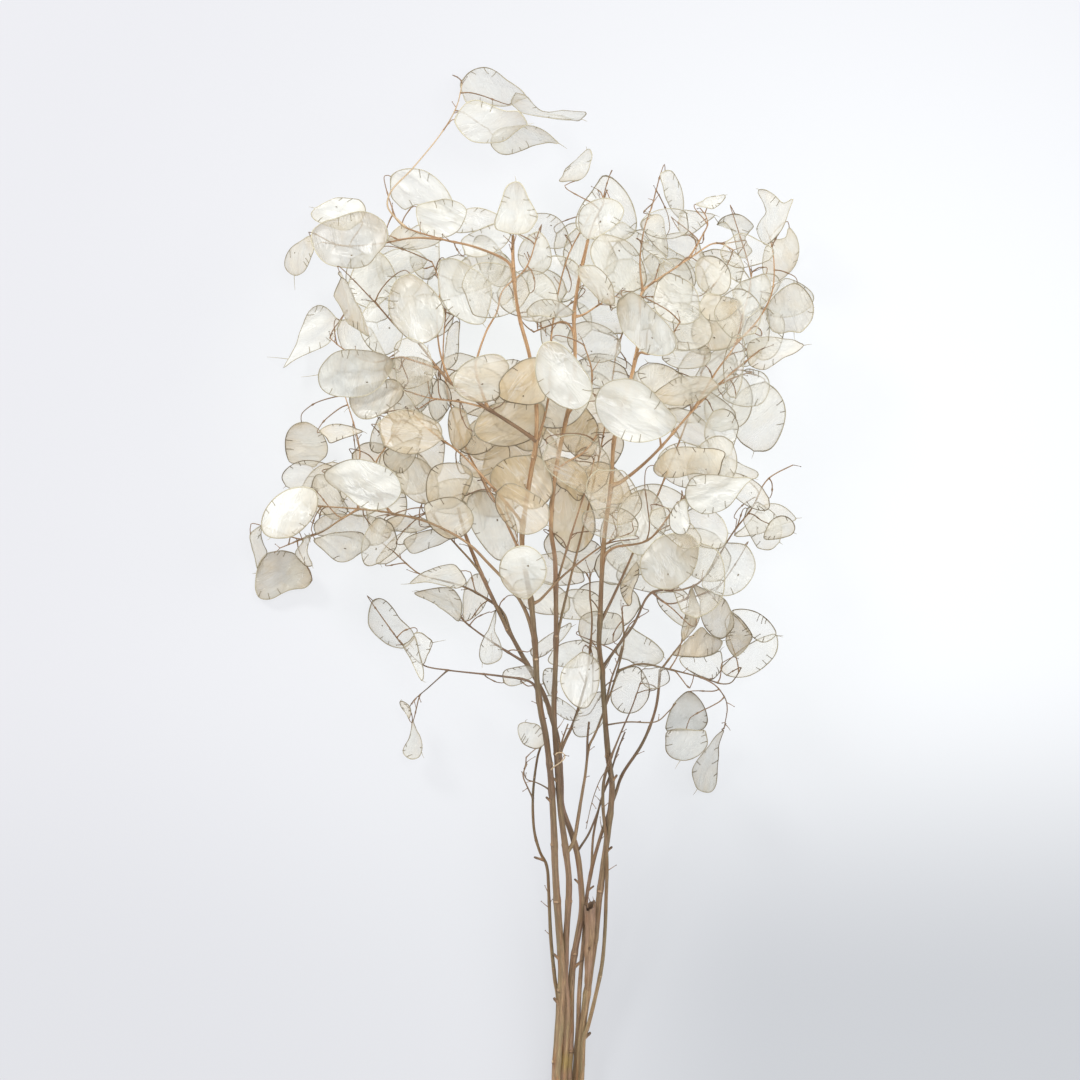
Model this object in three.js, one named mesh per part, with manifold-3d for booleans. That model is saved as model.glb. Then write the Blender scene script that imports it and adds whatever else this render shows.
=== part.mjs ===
// Dried honesty (Lunaria annua): one cut plant, lying on its back.
// Seven stems spring from one woody root collar.  Every branch ends in a
// raceme: a thin rachis, curved stalks and flat, papery seed pods.
//
// Units: millimetres.  +Z up, the plant's tips towards +Y.  The origin is
// the centre of the plant's bounding box, on the surface that it lies on.
import * as THREE from 'three';
import Module from 'manifold-3d';
import { mergeVertices } from 'three/addons/utils/BufferGeometryUtils.js';

// ------------------------------------------------ driving dimensions (mm)
const POD_THICKNESS = 0.9;     // dry membrane with its rim
const POD_SIDES = 6;           // outline facets of one pod
const POD_OUTLINE = 1.05;      // facet corners stand just outside the ellipse
const STALK_RADIUS = 0.62;     // pedicel with its gynophore
const STALK_FOOT = 0.28;       // its foot, held inside the rachis
const RACHIS_SIDES = 3;
const STEM_SIDES = 5;
const BROKEN_DEPTH = 9.0;      // how far the broken stem is hollow
const GAP = 0.36;              // clearance between neighbouring pieces
const COLLAR_TOP_Y = -371.0;   // plane where the stems meet the root collar
const COLLAR_LENGTH = 42.0;    // root collar, from the stems to the cut
const COLLAR_SIDES = 14;
const FLOOR_Z = 0.0;           // what the plant lies on
const ORIGIN_X = -6.91;        // plan position of the origin in the tables below
const ORIGIN_Y = -46.97;

const COLOUR = {
  collar: 0x9c7d62, stem: 0xa8896f, thinStem: 0xb3936f,
  pod: [0xe9e4d3, 0xdfd8c3, 0xd3c9ad, 0xeeebe0],
};

// Each stem: name, then [x, y, z, radius] from the root collar to its tip.
// Each raceme: name, the piece it grows from, its rachis as [x, y, z, radius],
// and its pods.  A pod is: centre (3), long axis from stalk to tip (3),
// face normal (3), length, width, and the points of its stalk, down to the rachis.
const STEMS = [
  ['stem_left', [[13.4,-380.55,20.1,3.06],[10.74,-362.41,19.16,2.92],[11.86,-343.87,19.87,2.83],[13.24,-325.1,22.66,2.74],[14.18,-306.14,27.12,2.66],[14.68,-287.29,31.1,2.58],[13.47,-268.56,34.66,2.51],[12.12,-249.81,39.07,2.44],[10.86,-230.99,44.94,2.37],[9.86,-212.19,51.28,2.3],[9.33,-193.46,57.64,2.23],[8.39,-174.83,64.03,2.17],[7.1,-156.32,70.42,2.1],[5.13,-137.95,76.73,2.04],[2.16,-119.83,83.03,1.98],[-0.88,-101.8,89.32,1.92],[-2.46,-83.67,95.34,1.86],[-3.18,-68.59,100.07,1.81],[-4.67,-50.61,105.62,1.75],[-6.98,-32.82,110.8,1.69],[-10.18,-15.23,115.54,1.63],[-11.63,2.5,120.23,1.57],[-9.49,20.13,124.99,1.52],[-6.75,37.61,129.82,1.46],[-3.58,54.94,134.63,1.4],[-2.15,72.43,139.12,1.35],[-2.59,89.94,143.31,1.3],[-4.75,107.26,147.47,1.24],[-8.39,124.27,151.6,1.19],[-12.96,141.02,155.61,1.13],[-15.79,158.08,159.61,1.08],[-17.04,175.32,163,1.03],[-17.08,192.27,170.13,0.98]]],
  ['stem_left_centre', [[17.5,-383.58,8.19,2.79],[18.74,-364.77,9.89,2.65],[19.75,-345.95,11.66,2.54],[20.36,-327.07,14,2.45],[20.64,-308.06,17.71,2.36],[21.45,-288.91,23.32,2.27],[23.57,-273.08,28.7,2.2],[26.86,-254.31,34.93,2.12],[27.69,-235.54,39.65,2.04],[26.05,-216.85,43.86,1.97],[22.14,-198.58,48.35,1.9],[15.93,-181.01,52.7,1.82],[14,-162.65,56.97,1.75],[12.93,-144.17,61.06,1.68],[10.41,-125.93,64.86,1.61],[5.14,-108.33,68.31,1.54],[-2.6,-91.79,71.16,1.48],[-11.6,-75.92,73.27,1.41],[-18.85,-62.58,74.89,1.36],[-27.16,-46.41,77.12,1.29],[-34.86,-29.97,77.44,1.23],[-42.17,-13.36,77.59,1.17],[-48.83,3.52,77.81,1.1],[-53.75,20.98,78,1.04]]],
  ['stem_centre', [[15.44,-382.76,14,2.6],[15.38,-364.08,14.88,2.5],[16.72,-345.38,16.47,2.42],[17.82,-326.59,18.9,2.35],[17.99,-307.67,22.38,2.29],[16.71,-288.9,25.57,2.23],[17.23,-269.96,30.27,2.17],[18.28,-250.91,37.11,2.11],[19.23,-231.96,43.72,2.06],[18.43,-216.29,48.88,2.01],[16.07,-197.67,54.94,1.96],[13.59,-179.15,60.99,1.91],[12.09,-160.62,67.03,1.86],[11,-142.14,73,1.81],[9.58,-123.76,78.93,1.76],[9.21,-105.43,84.85,1.71],[9.88,-87.19,90.48,1.67],[10.46,-69.04,95.67,1.62],[10.51,-50.95,100.65,1.57],[10.32,-32.94,105.26,1.53],[9.87,-15,109.38,1.48],[7.47,2.72,113.37,1.44],[7.62,20.53,117.4,1.39],[9.39,38.21,121.46,1.35],[11.59,52.82,124.79,1.31],[15.23,70.13,128.43,1.27],[18.93,87.38,131.69,1.23],[22.03,104.71,134.89,1.18],[22.43,122.26,138.06,1.14],[21.69,139.77,141.09,1.1],[23.34,157.17,144.05,1.06],[26.72,174.28,147.01,1.02],[30.6,191.25,150,0.98]]],
  ['stem_right', [[22.85,-381.66,12.22,2.73],[26.13,-363.29,13.05,2.62],[27.11,-344.51,15.01,2.53],[28.73,-325.66,18.19,2.46],[31.07,-306.82,22.35,2.39],[33.63,-288.19,25.31,2.32],[36.13,-269.3,31.15,2.25],[38.14,-250.41,37.36,2.19],[40.13,-231.64,43.05,2.13],[42.48,-213.03,48.32,2.07],[44.81,-194.44,54.29,2.01],[46.81,-175.85,60.95,1.96],[47.17,-157.31,66.7,1.9],[44.53,-139.01,72.36,1.85],[42.87,-120.65,78.44,1.79],[41.83,-105.4,83.22,1.75],[40.62,-87.19,88.58,1.7],[38.48,-69.14,93.49,1.64],[39.07,-51.07,98.17,1.59],[39.65,-33.06,102.45,1.54],[40.45,-15.12,106.24,1.49],[41.71,2.74,109.88,1.44],[43.96,20.45,113.53,1.39],[46.13,38.12,117.19,1.34],[46.95,55.86,120.76,1.29],[49.55,73.35,123.89,1.25],[54.42,90.35,126.63,1.2],[59.29,107.31,129.3,1.15],[62.92,124.55,132,1.11]]],
  ['stem_thin_right', [[25.49,-382.41,16.44,1.56],[27.87,-363.99,17.52,1.48],[28.85,-345.36,19.35,1.43],[31.57,-327.11,21.66,1.38],[36.2,-309.15,23.07,1.33],[40.14,-290.8,26.79,1.29],[42.52,-272.13,31.6,1.24],[43.55,-253.3,37.23,1.2],[44,-234.46,43.65,1.16],[44.37,-215.66,50.62,1.12],[43.52,-197.01,56.86,1.09],[41.72,-178.58,62.25,1.05],[41.79,-160.11,68.37,1.01],[46.6,-142.41,74.85,0.98]]],
  ['stem_right_centre', [[21.56,-381.36,4.89,1.82],[23.11,-362.53,7.43,1.72],[24.46,-343.67,10.37,1.64],[25.59,-324.67,14.74,1.57],[26.19,-305.48,21.08,1.5],[27.67,-283.44,26.55,1.43],[29.22,-264.74,30.31,1.37],[30.44,-246.03,34.37,1.32],[32.62,-227.33,40.22,1.26],[36.56,-209.08,45.26,1.21],[41.79,-191.28,49.59,1.15],[47.78,-173.81,53.62,1.1],[54.97,-153.64,57.84,1.04],[65.02,-138.38,60.92,0.99],[72.78,-121.89,63.95,0.94],[77.38,-104.28,67.06,0.89],[78.9,-86.13,70,0.85]]],
  ['stem_thin_left', [[10.76,-383.29,10.23,1.76],[9.43,-364.69,10.85,1.62],[10.15,-345.93,12.59,1.53],[11.26,-327.03,15.66,1.44],[11.82,-304.85,20.92,1.34],[9.12,-286.06,25.63,1.27],[7.36,-267.25,29.96,1.19],[6.43,-248.41,34.61,1.12],[5.64,-229.62,39.4,1.05],[2.26,-211.48,43.84,0.98],[-4.06,-190.87,48.66,0.91],[-4.76,-172.32,52.72,0.85],[-3.27,-153.9,56.52,0.85],[0.66,-135.96,60,0.85]]],
];

const RACEMES = [
  ['stem_broken', 'stem_right', [[31.49,-303.7,22.94,2.93],[32.12,-286.66,31.43,3.09],[32.8,-270.84,36.92,3.22],[33.25,-258.3,41.63,3.31],[33.15,-242.66,48,3.41]], [
  ]],
  ['raceme_inner_right', 'stem_centre', [[17.26,-206.96,51.92,1.62],[23.75,-192.93,55.25,1.5],[26.1,-177.52,58.66,1.41],[28.71,-162.24,62.16,1.32],[30.73,-146.92,65.74,1.24],[33.81,-131.91,69.38,1.17],[38.85,-120.74,72.33,1.11],[44.02,-106.31,76.05,1.04],[48.98,-91.86,79.84,0.97],[52.83,-77.1,83.7,0.91],[54.84,-62.08,87.66,0.85],[53.47,-46.95,91.7,0.85]], [
    [40.99,-57.51,55.74,0.8207,0.1447,-0.5528,0.566,-0.3388,0.7516,38.96,28.8,[[23.36,-60.62,67.61],[23.94,-61.77,70.4],[29.45,-64.18,74.48],[38.27,-67.55,78.34],[47.15,-71.86,81.55],[52.83,-77.1,83.7]]],
    [65.74,-72.32,70.28,0.8371,-0.2243,-0.4989,0.3166,-0.5451,0.7763,39.33,27.81,[[47.61,-67.46,81.09],[47.55,-64.63,82.59],[48.05,-61.92,83.94],[50.71,-56.3,86.85],[54.1,-52.99,90.07]]],
    [13.93,-111.44,46.69,-0.8275,0.3764,-0.4166,-0.5609,-0.5861,0.5846,27.65,16.46,[[27.03,-117.4,53.28],[31.83,-115.25,56.93],[38.31,-105.25,64.33],[44.08,-94.64,72.86],[48.98,-91.86,79.84]]],
    [59.5,-26.15,84.77,0.272,0.7168,-0.642,-0.6931,0.6088,0.386,39.35,28.66,[[53.6,-41.69,98.69],[53.52,-44.19,97.64],[53.56,-46.51,96.27],[53.99,-51.4,92.35],[54.4,-56.02,89.27]]],
    [44.34,-42.84,32.07,-0.9779,0.1115,-0.1769,-0.0958,0.5132,0.8529,45.99,35.36,[[68.78,-45.63,36.49],[72.12,-46.65,42.05],[70.01,-48.48,53.76],[65.37,-50.79,64.96],[58.86,-55.26,78.31],[54.84,-62.08,87.66]]],
  ]],
  ['raceme_inner_centre', 'stem_left_centre', [[12.69,-141.1,61.71,1.49],[19.51,-126.35,63.33,1.36],[24.94,-111.82,64.9,1.26],[29.2,-97.06,66.39,1.17],[31.85,-81.97,67.75,1.08],[33.42,-66.75,68.97,1],[34.18,-51.49,70.08,0.93],[32.84,-36.28,71.11,0.85],[32.85,-21.02,72.12,0.85]], [
    [26.02,-91.08,97.8,-0.0813,-0.9298,0.359,-0.4593,0.3547,0.8144,38.69,29.56,[[27.76,-71.23,90.14],[28.38,-70.03,87.69],[30.48,-69.26,79.34],[31.9,-70.59,73.32],[32.85,-72.85,68.5]]],
    [32.93,-115.24,65.86,-0.0639,-0.7305,-0.6799,0.6195,-0.5631,0.5469,39.31,28.11,[[34.31,-99.42,80.58],[34.68,-83.15,78.94],[33.14,-69.8,68.74]]],
    [23.24,-76.36,43.94,-0.7506,0.1561,-0.642,-0.2984,0.7868,0.5402,39.48,28.02,[[39.56,-79.76,57.9],[39.38,-77.28,59.75],[38.75,-74.77,61.42],[36.15,-69.36,65],[33.42,-66.75,68.97]]],
    [24.6,-43.21,40.97,-0.6782,0.2789,-0.6799,-0.3299,0.7112,0.6208,39.36,27.89,[[39.3,-49.25,55.71],[38.95,-47.28,58.42],[38.1,-45.19,60.81],[35.28,-40.77,65.92],[33.03,-39.33,70.91]]],
    [51.96,-15.13,69.12,0.8078,0.2045,-0.5528,0.588,-0.2153,0.7797,39.44,28.1,[[34.41,-19.57,81.12],[33.41,-22.1,79.98],[32.93,-24.65,78.43],[32.85,-30.66,74.22],[32.84,-36.28,71.11]]],
    [10.46,-18.97,59.43,-0.8476,0.0473,-0.5286,-0.4348,-0.6331,0.6405,41.51,29.96,[[29.75,-20.05,71.46],[32.78,-27.13,71.72]]],
  ]],
  ['raceme_leader_tip', 'stem_left', [[-16.91,172.43,162.56,1.04],[-17.82,183.79,166.92,0.85],[-17.15,192.73,164.02,0.85]], [
    [-15.19,210.15,168.04,-0,0.9,-0.4359,0.1205,0.4327,0.8934,38.06,26.84,[[-15.19,191.23,177.2],[-17.82,183.79,166.92]]],
  ]],
  ['raceme_upper_left', 'stem_left', [[-16.37,163.81,160.88,1.37],[-21.21,177.41,158.01,1.23],[-37.36,185.23,152.07,1.12],[-51.77,189.82,143.83,1.03],[-66.53,194.07,132.23,0.95],[-84.15,200.92,114.38,0.85],[-95.64,212.1,97.49,0.85]], [
    [-63.74,209.89,124.66,0.8144,-0.2964,0.4989,-0.5578,-0.1626,0.8139,38.91,29.01,[[-81.21,216.25,113.95],[-85.77,212.36,110.24],[-89.68,204.24,107.75]]],
    [-82.31,193.14,107.46,0.8634,0.0755,0.4989,-0.3108,0.8585,0.4079,39.15,30.5,[[-100.94,191.51,96.7],[-101.36,194.09,95.85],[-100.61,200.2,95.08],[-98.27,207.15,95.57],[-95.64,212.1,97.49]]],
    [-79.8,227.61,83.77,0.8503,-0.4909,-0.1897,-0.1161,-0.5265,0.8422,44.11,32.13,[[-100.25,239.42,88.33],[-101.59,237.39,89.8],[-99.75,226.91,93.67],[-96.52,216.96,97.21],[-93.87,209.29,100.93]]],
    [-34.19,193.53,119.58,0.6859,0.5298,-0.4989,-0.1214,0.7593,0.6393,39.82,28.79,[[-49.22,181.92,130.51],[-52.72,185.32,134.82],[-54.73,190.54,141.78]]],
  ]],
  ['raceme_top_spray', 'raceme_upper_left', [[-87.01,202.4,111.1,0.85],[-97.53,213.31,110.61,0.85],[-95.5,227.28,108.81,0.85],[-87.36,236.06,106.01,0.85],[-77.57,247.6,100.48,0.85],[-68.3,259.88,92.6,0.85],[-61.52,270.4,84.72,0.85],[-54.7,284.83,73.26,0.85],[-51.47,300.88,60.73,0.85]], [
    [-31.59,304.5,11.24,0.953,-0.2553,-0.1632,0.2891,0.6042,0.7425,44.96,33.93,[[-54.92,310.75,15.24],[-58.34,311.22,21.3],[-57.06,309.39,34.05],[-53.37,305.64,48.68],[-51.47,300.88,60.73]]],
    [-33.95,272.88,88.68,0.989,-0.0865,0.12,-0.0555,0.5348,0.8432,44.43,31.32,[[-57.9,274.98,85.77],[-63.14,267.7,86.81]]],
    [5.92,280.92,68.46,0.9669,-0.2055,0.1509,0.1536,0.9419,0.2988,49.16,34.76,[[-19.78,286.38,64.45],[-52.51,294.37,65.81]]],
    [-11.17,265.39,72.34,0.9695,-0.171,-0.1755,0.2448,0.7093,0.6611,41.36,29.34,[[-33.16,269.27,76.32],[-55.84,281.81,75.67]]],
  ]],
  ['raceme_left_shoulder', 'raceme_upper_left', [[-63.59,193.06,134.81,0.91],[-78.48,194.28,128.28,0.85],[-93.49,193.03,118.12,0.85],[-111.98,191.83,99.1,0.85],[-127.99,192.93,77.73,0.85],[-144.25,197.19,53.19,0.85]], [
    [-122.79,194.52,115,-0.989,-0.0692,-0.1304,-0.143,0.2307,0.9625,50.08,35.87,[[-96.04,196.39,118.52],[-90.5,193.49,120.54]]],
    [-160.38,187.55,49.13,-0.2872,-0.7108,-0.642,-0.8391,-0.1366,0.5265,39.8,28.98,[[-154.09,203.12,63.2],[-151.96,202.91,64.02],[-144.47,199.76,65.48],[-138.97,196.62,66.4],[-134.48,194.44,68.14]]],
    [-133.41,216.63,58.14,-0.7831,0.285,-0.5528,-0.1893,0.7374,0.6484,39.7,30.61,[[-116.31,210.41,70.22],[-116.56,208.3,71.71],[-120.3,201.22,75.76],[-123.49,196.22,78.81],[-124.75,192.41,82.34]]],
    [-113.33,165.87,59.76,0.1823,-0.9685,-0.1695,-0.5944,-0.2459,0.7656,46.89,34.43,[[-117.97,190.52,64.08],[-121.18,191.92,65.46],[-127.16,193.05,68.65],[-131.23,193.63,72.99]]],
  ]],
  ['raceme_long_left', 'stem_left', [[-2.51,63.66,136.93,1.62],[-13.6,71.39,139.1,1.5],[-25.83,79.18,140.7,1.4],[-40.65,88.78,141.34,1.3],[-52.88,97.08,140.53,1.22],[-63.42,107.51,138.34,1.14],[-72.52,119.4,134.78,1.07],[-85.3,132.03,128.91,0.98],[-96.63,142.04,123,0.91],[-106.57,153.71,116.6,0.85]], [
    [-79.26,147.65,143.26,0.1708,-0.9685,0.1814,-0.1694,0.1525,0.9737,45.23,34.65,[[-83.46,171.49,138.8],[-86.05,172.9,136.41],[-91.5,171.38,131.42],[-97.83,166.61,125.56],[-103.4,160.19,120.16],[-106.57,153.71,116.6]]],
    [-13.38,101.32,151.03,0.5421,0.7597,0.359,-0.3207,-0.2078,0.9241,38.13,32.1,[[-24.8,85.32,143.46],[-30.77,82.36,141.09]]],
    [-120.22,153.47,142.1,0.4199,-0.9004,0.1138,-0.9007,-0.3979,0.1746,43.2,33.3,[[-130.13,174.72,139.42],[-129.55,175.58,137.33],[-125.81,172.94,132.74],[-117.31,164.6,125.37],[-110.33,157.32,120.59],[-104.57,151.37,117.9]]],
    [-14.37,81.02,124.48,0.7897,-0.4037,-0.4619,0.3164,-0.377,0.8705,37.88,28.47,[[-30.91,89.48,134.15],[-38.16,87.2,141.35]]],
  ]],
  ['raceme_far_left', 'raceme_long_left', [[-65.29,109.85,137.74,0.91],[-80.38,114.83,131.78,0.85],[-95.22,116.96,122.28,0.85],[-110.52,115.65,107.53,0.85],[-125.12,122.79,87.59,0.85],[-138.37,133.1,64.3,0.85]], [
    [-118.27,108.63,128.85,-0.9906,0.0346,0.1321,0.0785,-0.6469,0.7585,50.26,38.4,[[-91.39,107.69,125.27],[-86.14,117.14,128.54]]],
    [-152.37,138.27,15.1,-0.8093,-0.5667,-0.1547,-0.5344,0.6008,0.5945,48.97,37.97,[[-130.93,153.28,19.2],[-128.75,154.02,22.87],[-129.63,151.27,31],[-133.98,144.18,44.25],[-137.4,137.89,55.13],[-138.37,133.1,64.3]]],
    [-105.43,92.5,112.65,-0.936,-0.3407,-0.0891,-0.2151,0.353,0.9106,38.99,29.74,[[-85.32,99.82,114.56],[-85.21,101.94,115.63],[-87.33,109.05,119.79],[-89.23,113.98,123.27],[-89.17,117.66,126.66]]],
    [-118.01,129.29,47.98,0.6782,-0.7272,-0.1058,0.5212,0.3744,0.7669,43.71,30.74,[[-134.19,146.63,50.51],[-135.61,145.85,53.33],[-135.87,140.88,59.68],[-134.74,133.89,67.21],[-133.34,128.55,73.83]]],
    [-102.07,139.26,96.35,-0.4343,0.7165,-0.5459,-0.4784,0.33,0.8138,44.46,32.03,[[-91.55,121.9,109.58],[-101.21,115.63,117.04]]],
  ]],
  ['raceme_left_upright', 'raceme_long_left', [[-57.39,100.93,139.82,0.85],[-62.62,115.03,136.05,0.85],[-65.88,132.79,127.56,0.85],[-66.26,148.17,115.64,0.85],[-65.23,167.06,95.59,0.85],[-70.85,182.38,75.8,0.85]], [
    [-48.49,159.71,113.66,0.4918,-0.8518,0.1807,0.0321,0.2251,0.9738,46.88,33.64,[[-61.01,181.38,109.06],[-63,183.1,104.88],[-64.67,183.22,99.38],[-66.71,180.87,90.34],[-68.2,176.36,83.88]]],
    [-109.54,170.55,76.21,-0.1679,-0.952,0.256,-0.0942,0.274,0.9571,39.31,31.76,[[-105.91,191.16,70.66],[-102.68,192.96,70.1],[-95.46,192.61,70.14],[-86.48,189.73,71.18],[-77.65,185.81,73.11],[-70.85,182.38,75.8]]],
    [-90.37,183.38,61.38,-0.6824,0.2686,-0.6799,-0.2667,0.7745,0.5736,39.62,28.7,[[-75.49,177.53,76.2],[-69.54,179.36,79.85]]],
    [-57.18,126.71,100.91,-0.2622,-0.7204,-0.642,-0.9432,0.0508,0.3283,39.51,27.68,[[-51.48,142.38,114.88],[-54.24,144.43,114.91],[-60.49,147.21,114.62],[-66.26,148.17,115.64]]],
    [-40.07,176.07,72.77,0.8592,0.2369,-0.4534,0.5,-0.5766,0.6462,41.26,31.08,[[-59.52,170.71,83.03],[-66.98,173.32,87.86]]],
    [-76.73,190.23,53.41,-0.4084,0.7718,-0.4874,-0.6847,0.0941,0.7228,40.88,29.78,[[-67.57,172.91,64.34],[-66.25,170.99,76.15],[-65.95,170.22,91.77]]],
  ]],
  ['raceme_left_level', 'raceme_long_left', [[-33.22,83.98,141.22,0.85],[-48.26,88.05,136.84,0.85],[-63.31,90.29,127.71,0.85],[-81.31,95,107.98,0.85],[-96.71,99.32,86.26,0.85]], [
    [-22.49,73.26,129.55,0.9794,0.1727,-0.1044,0.1819,-0.5316,0.8272,39.79,30.69,[[-43.93,69.48,131.83],[-46.26,71.55,132.04],[-49.47,76.84,132.56],[-51.26,83.31,133.58],[-51.24,88.63,135.51]]],
    [-81.7,110.87,106.48,0.9333,-0,0.359,-0.3326,0.3762,0.8648,38.87,27.96,[[-101.7,110.87,98.79],[-101.96,109.31,96.2],[-101.72,107.64,93.77],[-99.61,103.44,88.94],[-96.71,99.32,86.26]]],
    [-53.01,73.05,114.01,-0.0726,-0.8302,-0.5528,-0.8093,-0.2749,0.5191,39.07,29.27,[[-51.45,90.93,125.91],[-54.25,89.1,133.94]]],
    [-81.22,91.7,79.88,-0.2964,-0.8144,-0.4989,-0.548,-0.2828,0.7872,39.26,28.82,[[-74.81,109.32,90.68],[-73.95,109.8,94.28],[-73.16,106.87,100.79],[-72.5,101.23,108.26],[-71.42,95.24,115.71],[-69.38,91.24,122.17]]],
    [-65.37,94.13,85.25,0,-0.7667,-0.642,-0.7748,-0.4059,0.4847,39.51,29.17,[[-65.37,110.81,99.22],[-65.55,110.83,102.8],[-65.84,107.31,108.82],[-65.82,101.12,115.38],[-65.11,94.65,121.87],[-63.31,90.29,127.71]]],
    [-80.86,107.36,152.65,-0.0505,0.9479,0.3147,-0.6772,-0.2641,0.6867,45.08,33.18,[[-79.62,84.1,144.93],[-78.86,83.7,142.75],[-75.54,85.44,135.3],[-70.41,89.28,127.86],[-66.34,90.73,125.08]]],
  ]],
  ['raceme_upper_crossing', 'raceme_long_left', [[-33.22,83.98,141.22,1.17],[-38.33,98.16,142.63,1.07],[-41.18,112.43,143.09,1],[-37.02,126.44,142.1,0.94],[-30.94,139.79,139.36,0.88],[-25.49,156.54,133.57,0.85],[-16.24,167.92,126.83,0.85],[-6.95,179.55,118.72,0.85],[-2.59,194.26,109.83,0.85]], [
    [-36.65,104.27,172.28,0.8083,0.4667,0.359,-0.1844,-0.3785,0.9071,38.32,28.91,[[-53.75,94.39,164.68],[-53.92,96.14,161.64],[-50.78,101.67,155.82],[-45.58,107.58,149.22],[-41.17,109.52,143.1]]],
    [-1.96,187.64,84.77,-0.1505,-0.8535,-0.4989,-0.582,-0.3314,0.7426,39.25,29.02,[[1.29,206.1,95.56],[0.86,205.14,98.12],[0.31,203.61,100.5],[-1.21,198.77,105.57],[-2.59,194.26,109.83]]],
    [-42.42,208.21,89.25,-0.6265,0.228,-0.7454,-0.2809,0.826,0.4888,39.59,28.8,[[-28.77,203.24,105.49],[-3.42,191.29,111.63]]],
    [-25.35,169.01,99.85,-0.3773,0.6288,-0.6799,-0.8257,0.1039,0.5544,39.65,29.72,[[-17.12,155.29,114.69],[-17.1,156.55,117.36],[-17.34,158.09,119.81],[-18.71,162,125],[-20.74,164,129.72]]],
    [-31.12,180.21,107.03,-0.6195,0.5574,-0.5528,-0.773,-0.3107,0.5531,39.81,29.99,[[-17.55,168,119.14],[-16.24,167.92,126.83]]],
    [-28.4,159.16,145.37,-0.8876,0.032,0.4595,0.4489,-0.1634,0.8785,48.45,35.03,[[-5.12,158.32,133.32],[-4.02,160.22,131.61],[-3.64,167.62,126.57],[-5.37,173.05,123.21],[-8.21,176.78,120.43]]],
  ]],
  ['raceme_centre_left', 'stem_left', [[-11.4,5.45,121.02,1.3],[-17.54,18.93,122.47,1.18],[-27.12,30.16,122.85,1.09],[-36.97,41.13,121.37,1.01],[-49.25,53.99,116.55,0.92],[-60.86,63.4,110,0.85],[-72.98,72.4,101.59,0.85],[-83.45,83.45,92.1,0.85]], [
    [-12.1,-21.01,152.8,0.0828,-0.9464,0.3122,0.1129,0.3202,0.9406,37.85,29.31,[[-13.83,-1.21,146.27],[-21.32,23.49,122.8]]],
    [-12.91,38.74,117.14,0.6528,0.7506,0.1022,-0.1724,0.0157,0.9849,39.11,35.36,[[-26.99,22.56,114.94],[-29.11,23.82,114.9],[-34.46,31.76,115.85],[-37.32,38.56,117.7],[-38.95,43.32,120.8]]],
    [-36.63,55.59,83.81,0.6306,0.5946,-0.4989,0.2631,0.441,0.8581,39.2,29.03,[[-50.25,42.75,94.58],[-51.52,43.58,96.49],[-53.95,48.91,102.59],[-54.5,55.71,109.63],[-53.72,57.94,114.19]]],
    [-71.83,58,63.86,-0.2392,-0.6932,-0.6799,-0.7921,-0.2656,0.5495,39.39,29.79,[[-66.65,73.03,78.61],[-79.49,78.8,95.96]]],
    [-39.33,70.35,104.88,0.8064,0.4448,0.3897,-0.5106,0.1913,0.8383,40.25,30.46,[[-57.17,60.5,96.26],[-60.12,61.97,96.46],[-62.66,63.68,97.03],[-67.42,67.92,99.54],[-70.61,70.51,103.39]]],
    [-82.51,91.27,26.05,0.8344,0.2726,-0.4791,0.506,-0.0341,0.8619,47.7,35.19,[[-104.07,84.23,38.44],[-106.71,83.31,46.95],[-100.63,84.43,63.76],[-91.38,85.22,79.22],[-83.45,83.45,92.1]]],
    [-12.3,18.85,149.99,0.8183,-0.5467,0.1775,-0.3666,-0.2586,0.8937,39.03,28.71,[[-29.91,30.61,146.17],[-31.07,31.77,143.71],[-31.84,33.56,134.73],[-30.79,33.52,128.03],[-29.08,32.36,122.72]]],
  ]],
  ['raceme_low_left_long', 'stem_left', [[-3.4,-65.59,101.01,1.62],[-7.8,-50.12,101.85,1.51],[-14.7,-36.64,102.4,1.42],[-24.08,-24.96,102.44,1.35],[-34.48,-14.18,101.81,1.27],[-45.07,-3.59,100.37,1.21],[-57.67,4.55,98.04,1.14],[-71.31,10.94,94.81,1.08],[-85.82,15.24,90.68,1.01],[-100.75,18.26,85.76,0.95],[-115.95,20.06,80.15,0.89],[-131.3,21.32,74.04,0.85],[-146.75,22.38,67.63,0.85]], [
    [-124.48,9.27,51.45,0.9874,-0.0864,-0.1327,0.0037,-0.8253,0.5647,51.52,36.77,[[-151.89,11.67,55.13],[-152.01,14.05,57.68],[-150.02,18.72,62.87],[-146.75,22.38,67.63]]],
    [-59.86,35.79,97.2,0.3189,0.7699,0.5528,0.0236,-0.5895,0.8074,38.98,28.16,[[-66.72,19.25,85.32],[-69.87,18.34,85.46],[-72.87,17.73,86.01],[-79.07,16.7,88.42],[-82.87,14.53,91.58]]],
    [-106.25,-0.66,76.52,0.0513,-0.7315,-0.6799,0.6587,-0.4869,0.5736,39.33,28.49,[[-107.36,15.19,91.25],[-104.69,15.96,91.4],[-101.85,16.33,91.22],[-94.92,16.23,90.15],[-88.79,15.9,89.76]]],
    [-129.57,-3.95,69.09,0.9084,-0.3306,-0.256,-0.0819,-0.741,0.6665,39.56,30.6,[[-149.36,3.26,74.67],[-149.9,5.88,73.99],[-149.29,11.45,72.1],[-146.84,17.49,69.92],[-143.66,22.16,68.92]]],
    [-102.84,20.1,25.49,-0.1423,0.7842,-0.6039,-0.3999,0.5126,0.7598,40.34,29.4,[[-99.69,2.71,38.88],[-102.15,1.53,46.09],[-108.66,6.75,57.11],[-114.82,14.68,69.04],[-115.95,20.06,80.15]]],
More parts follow.
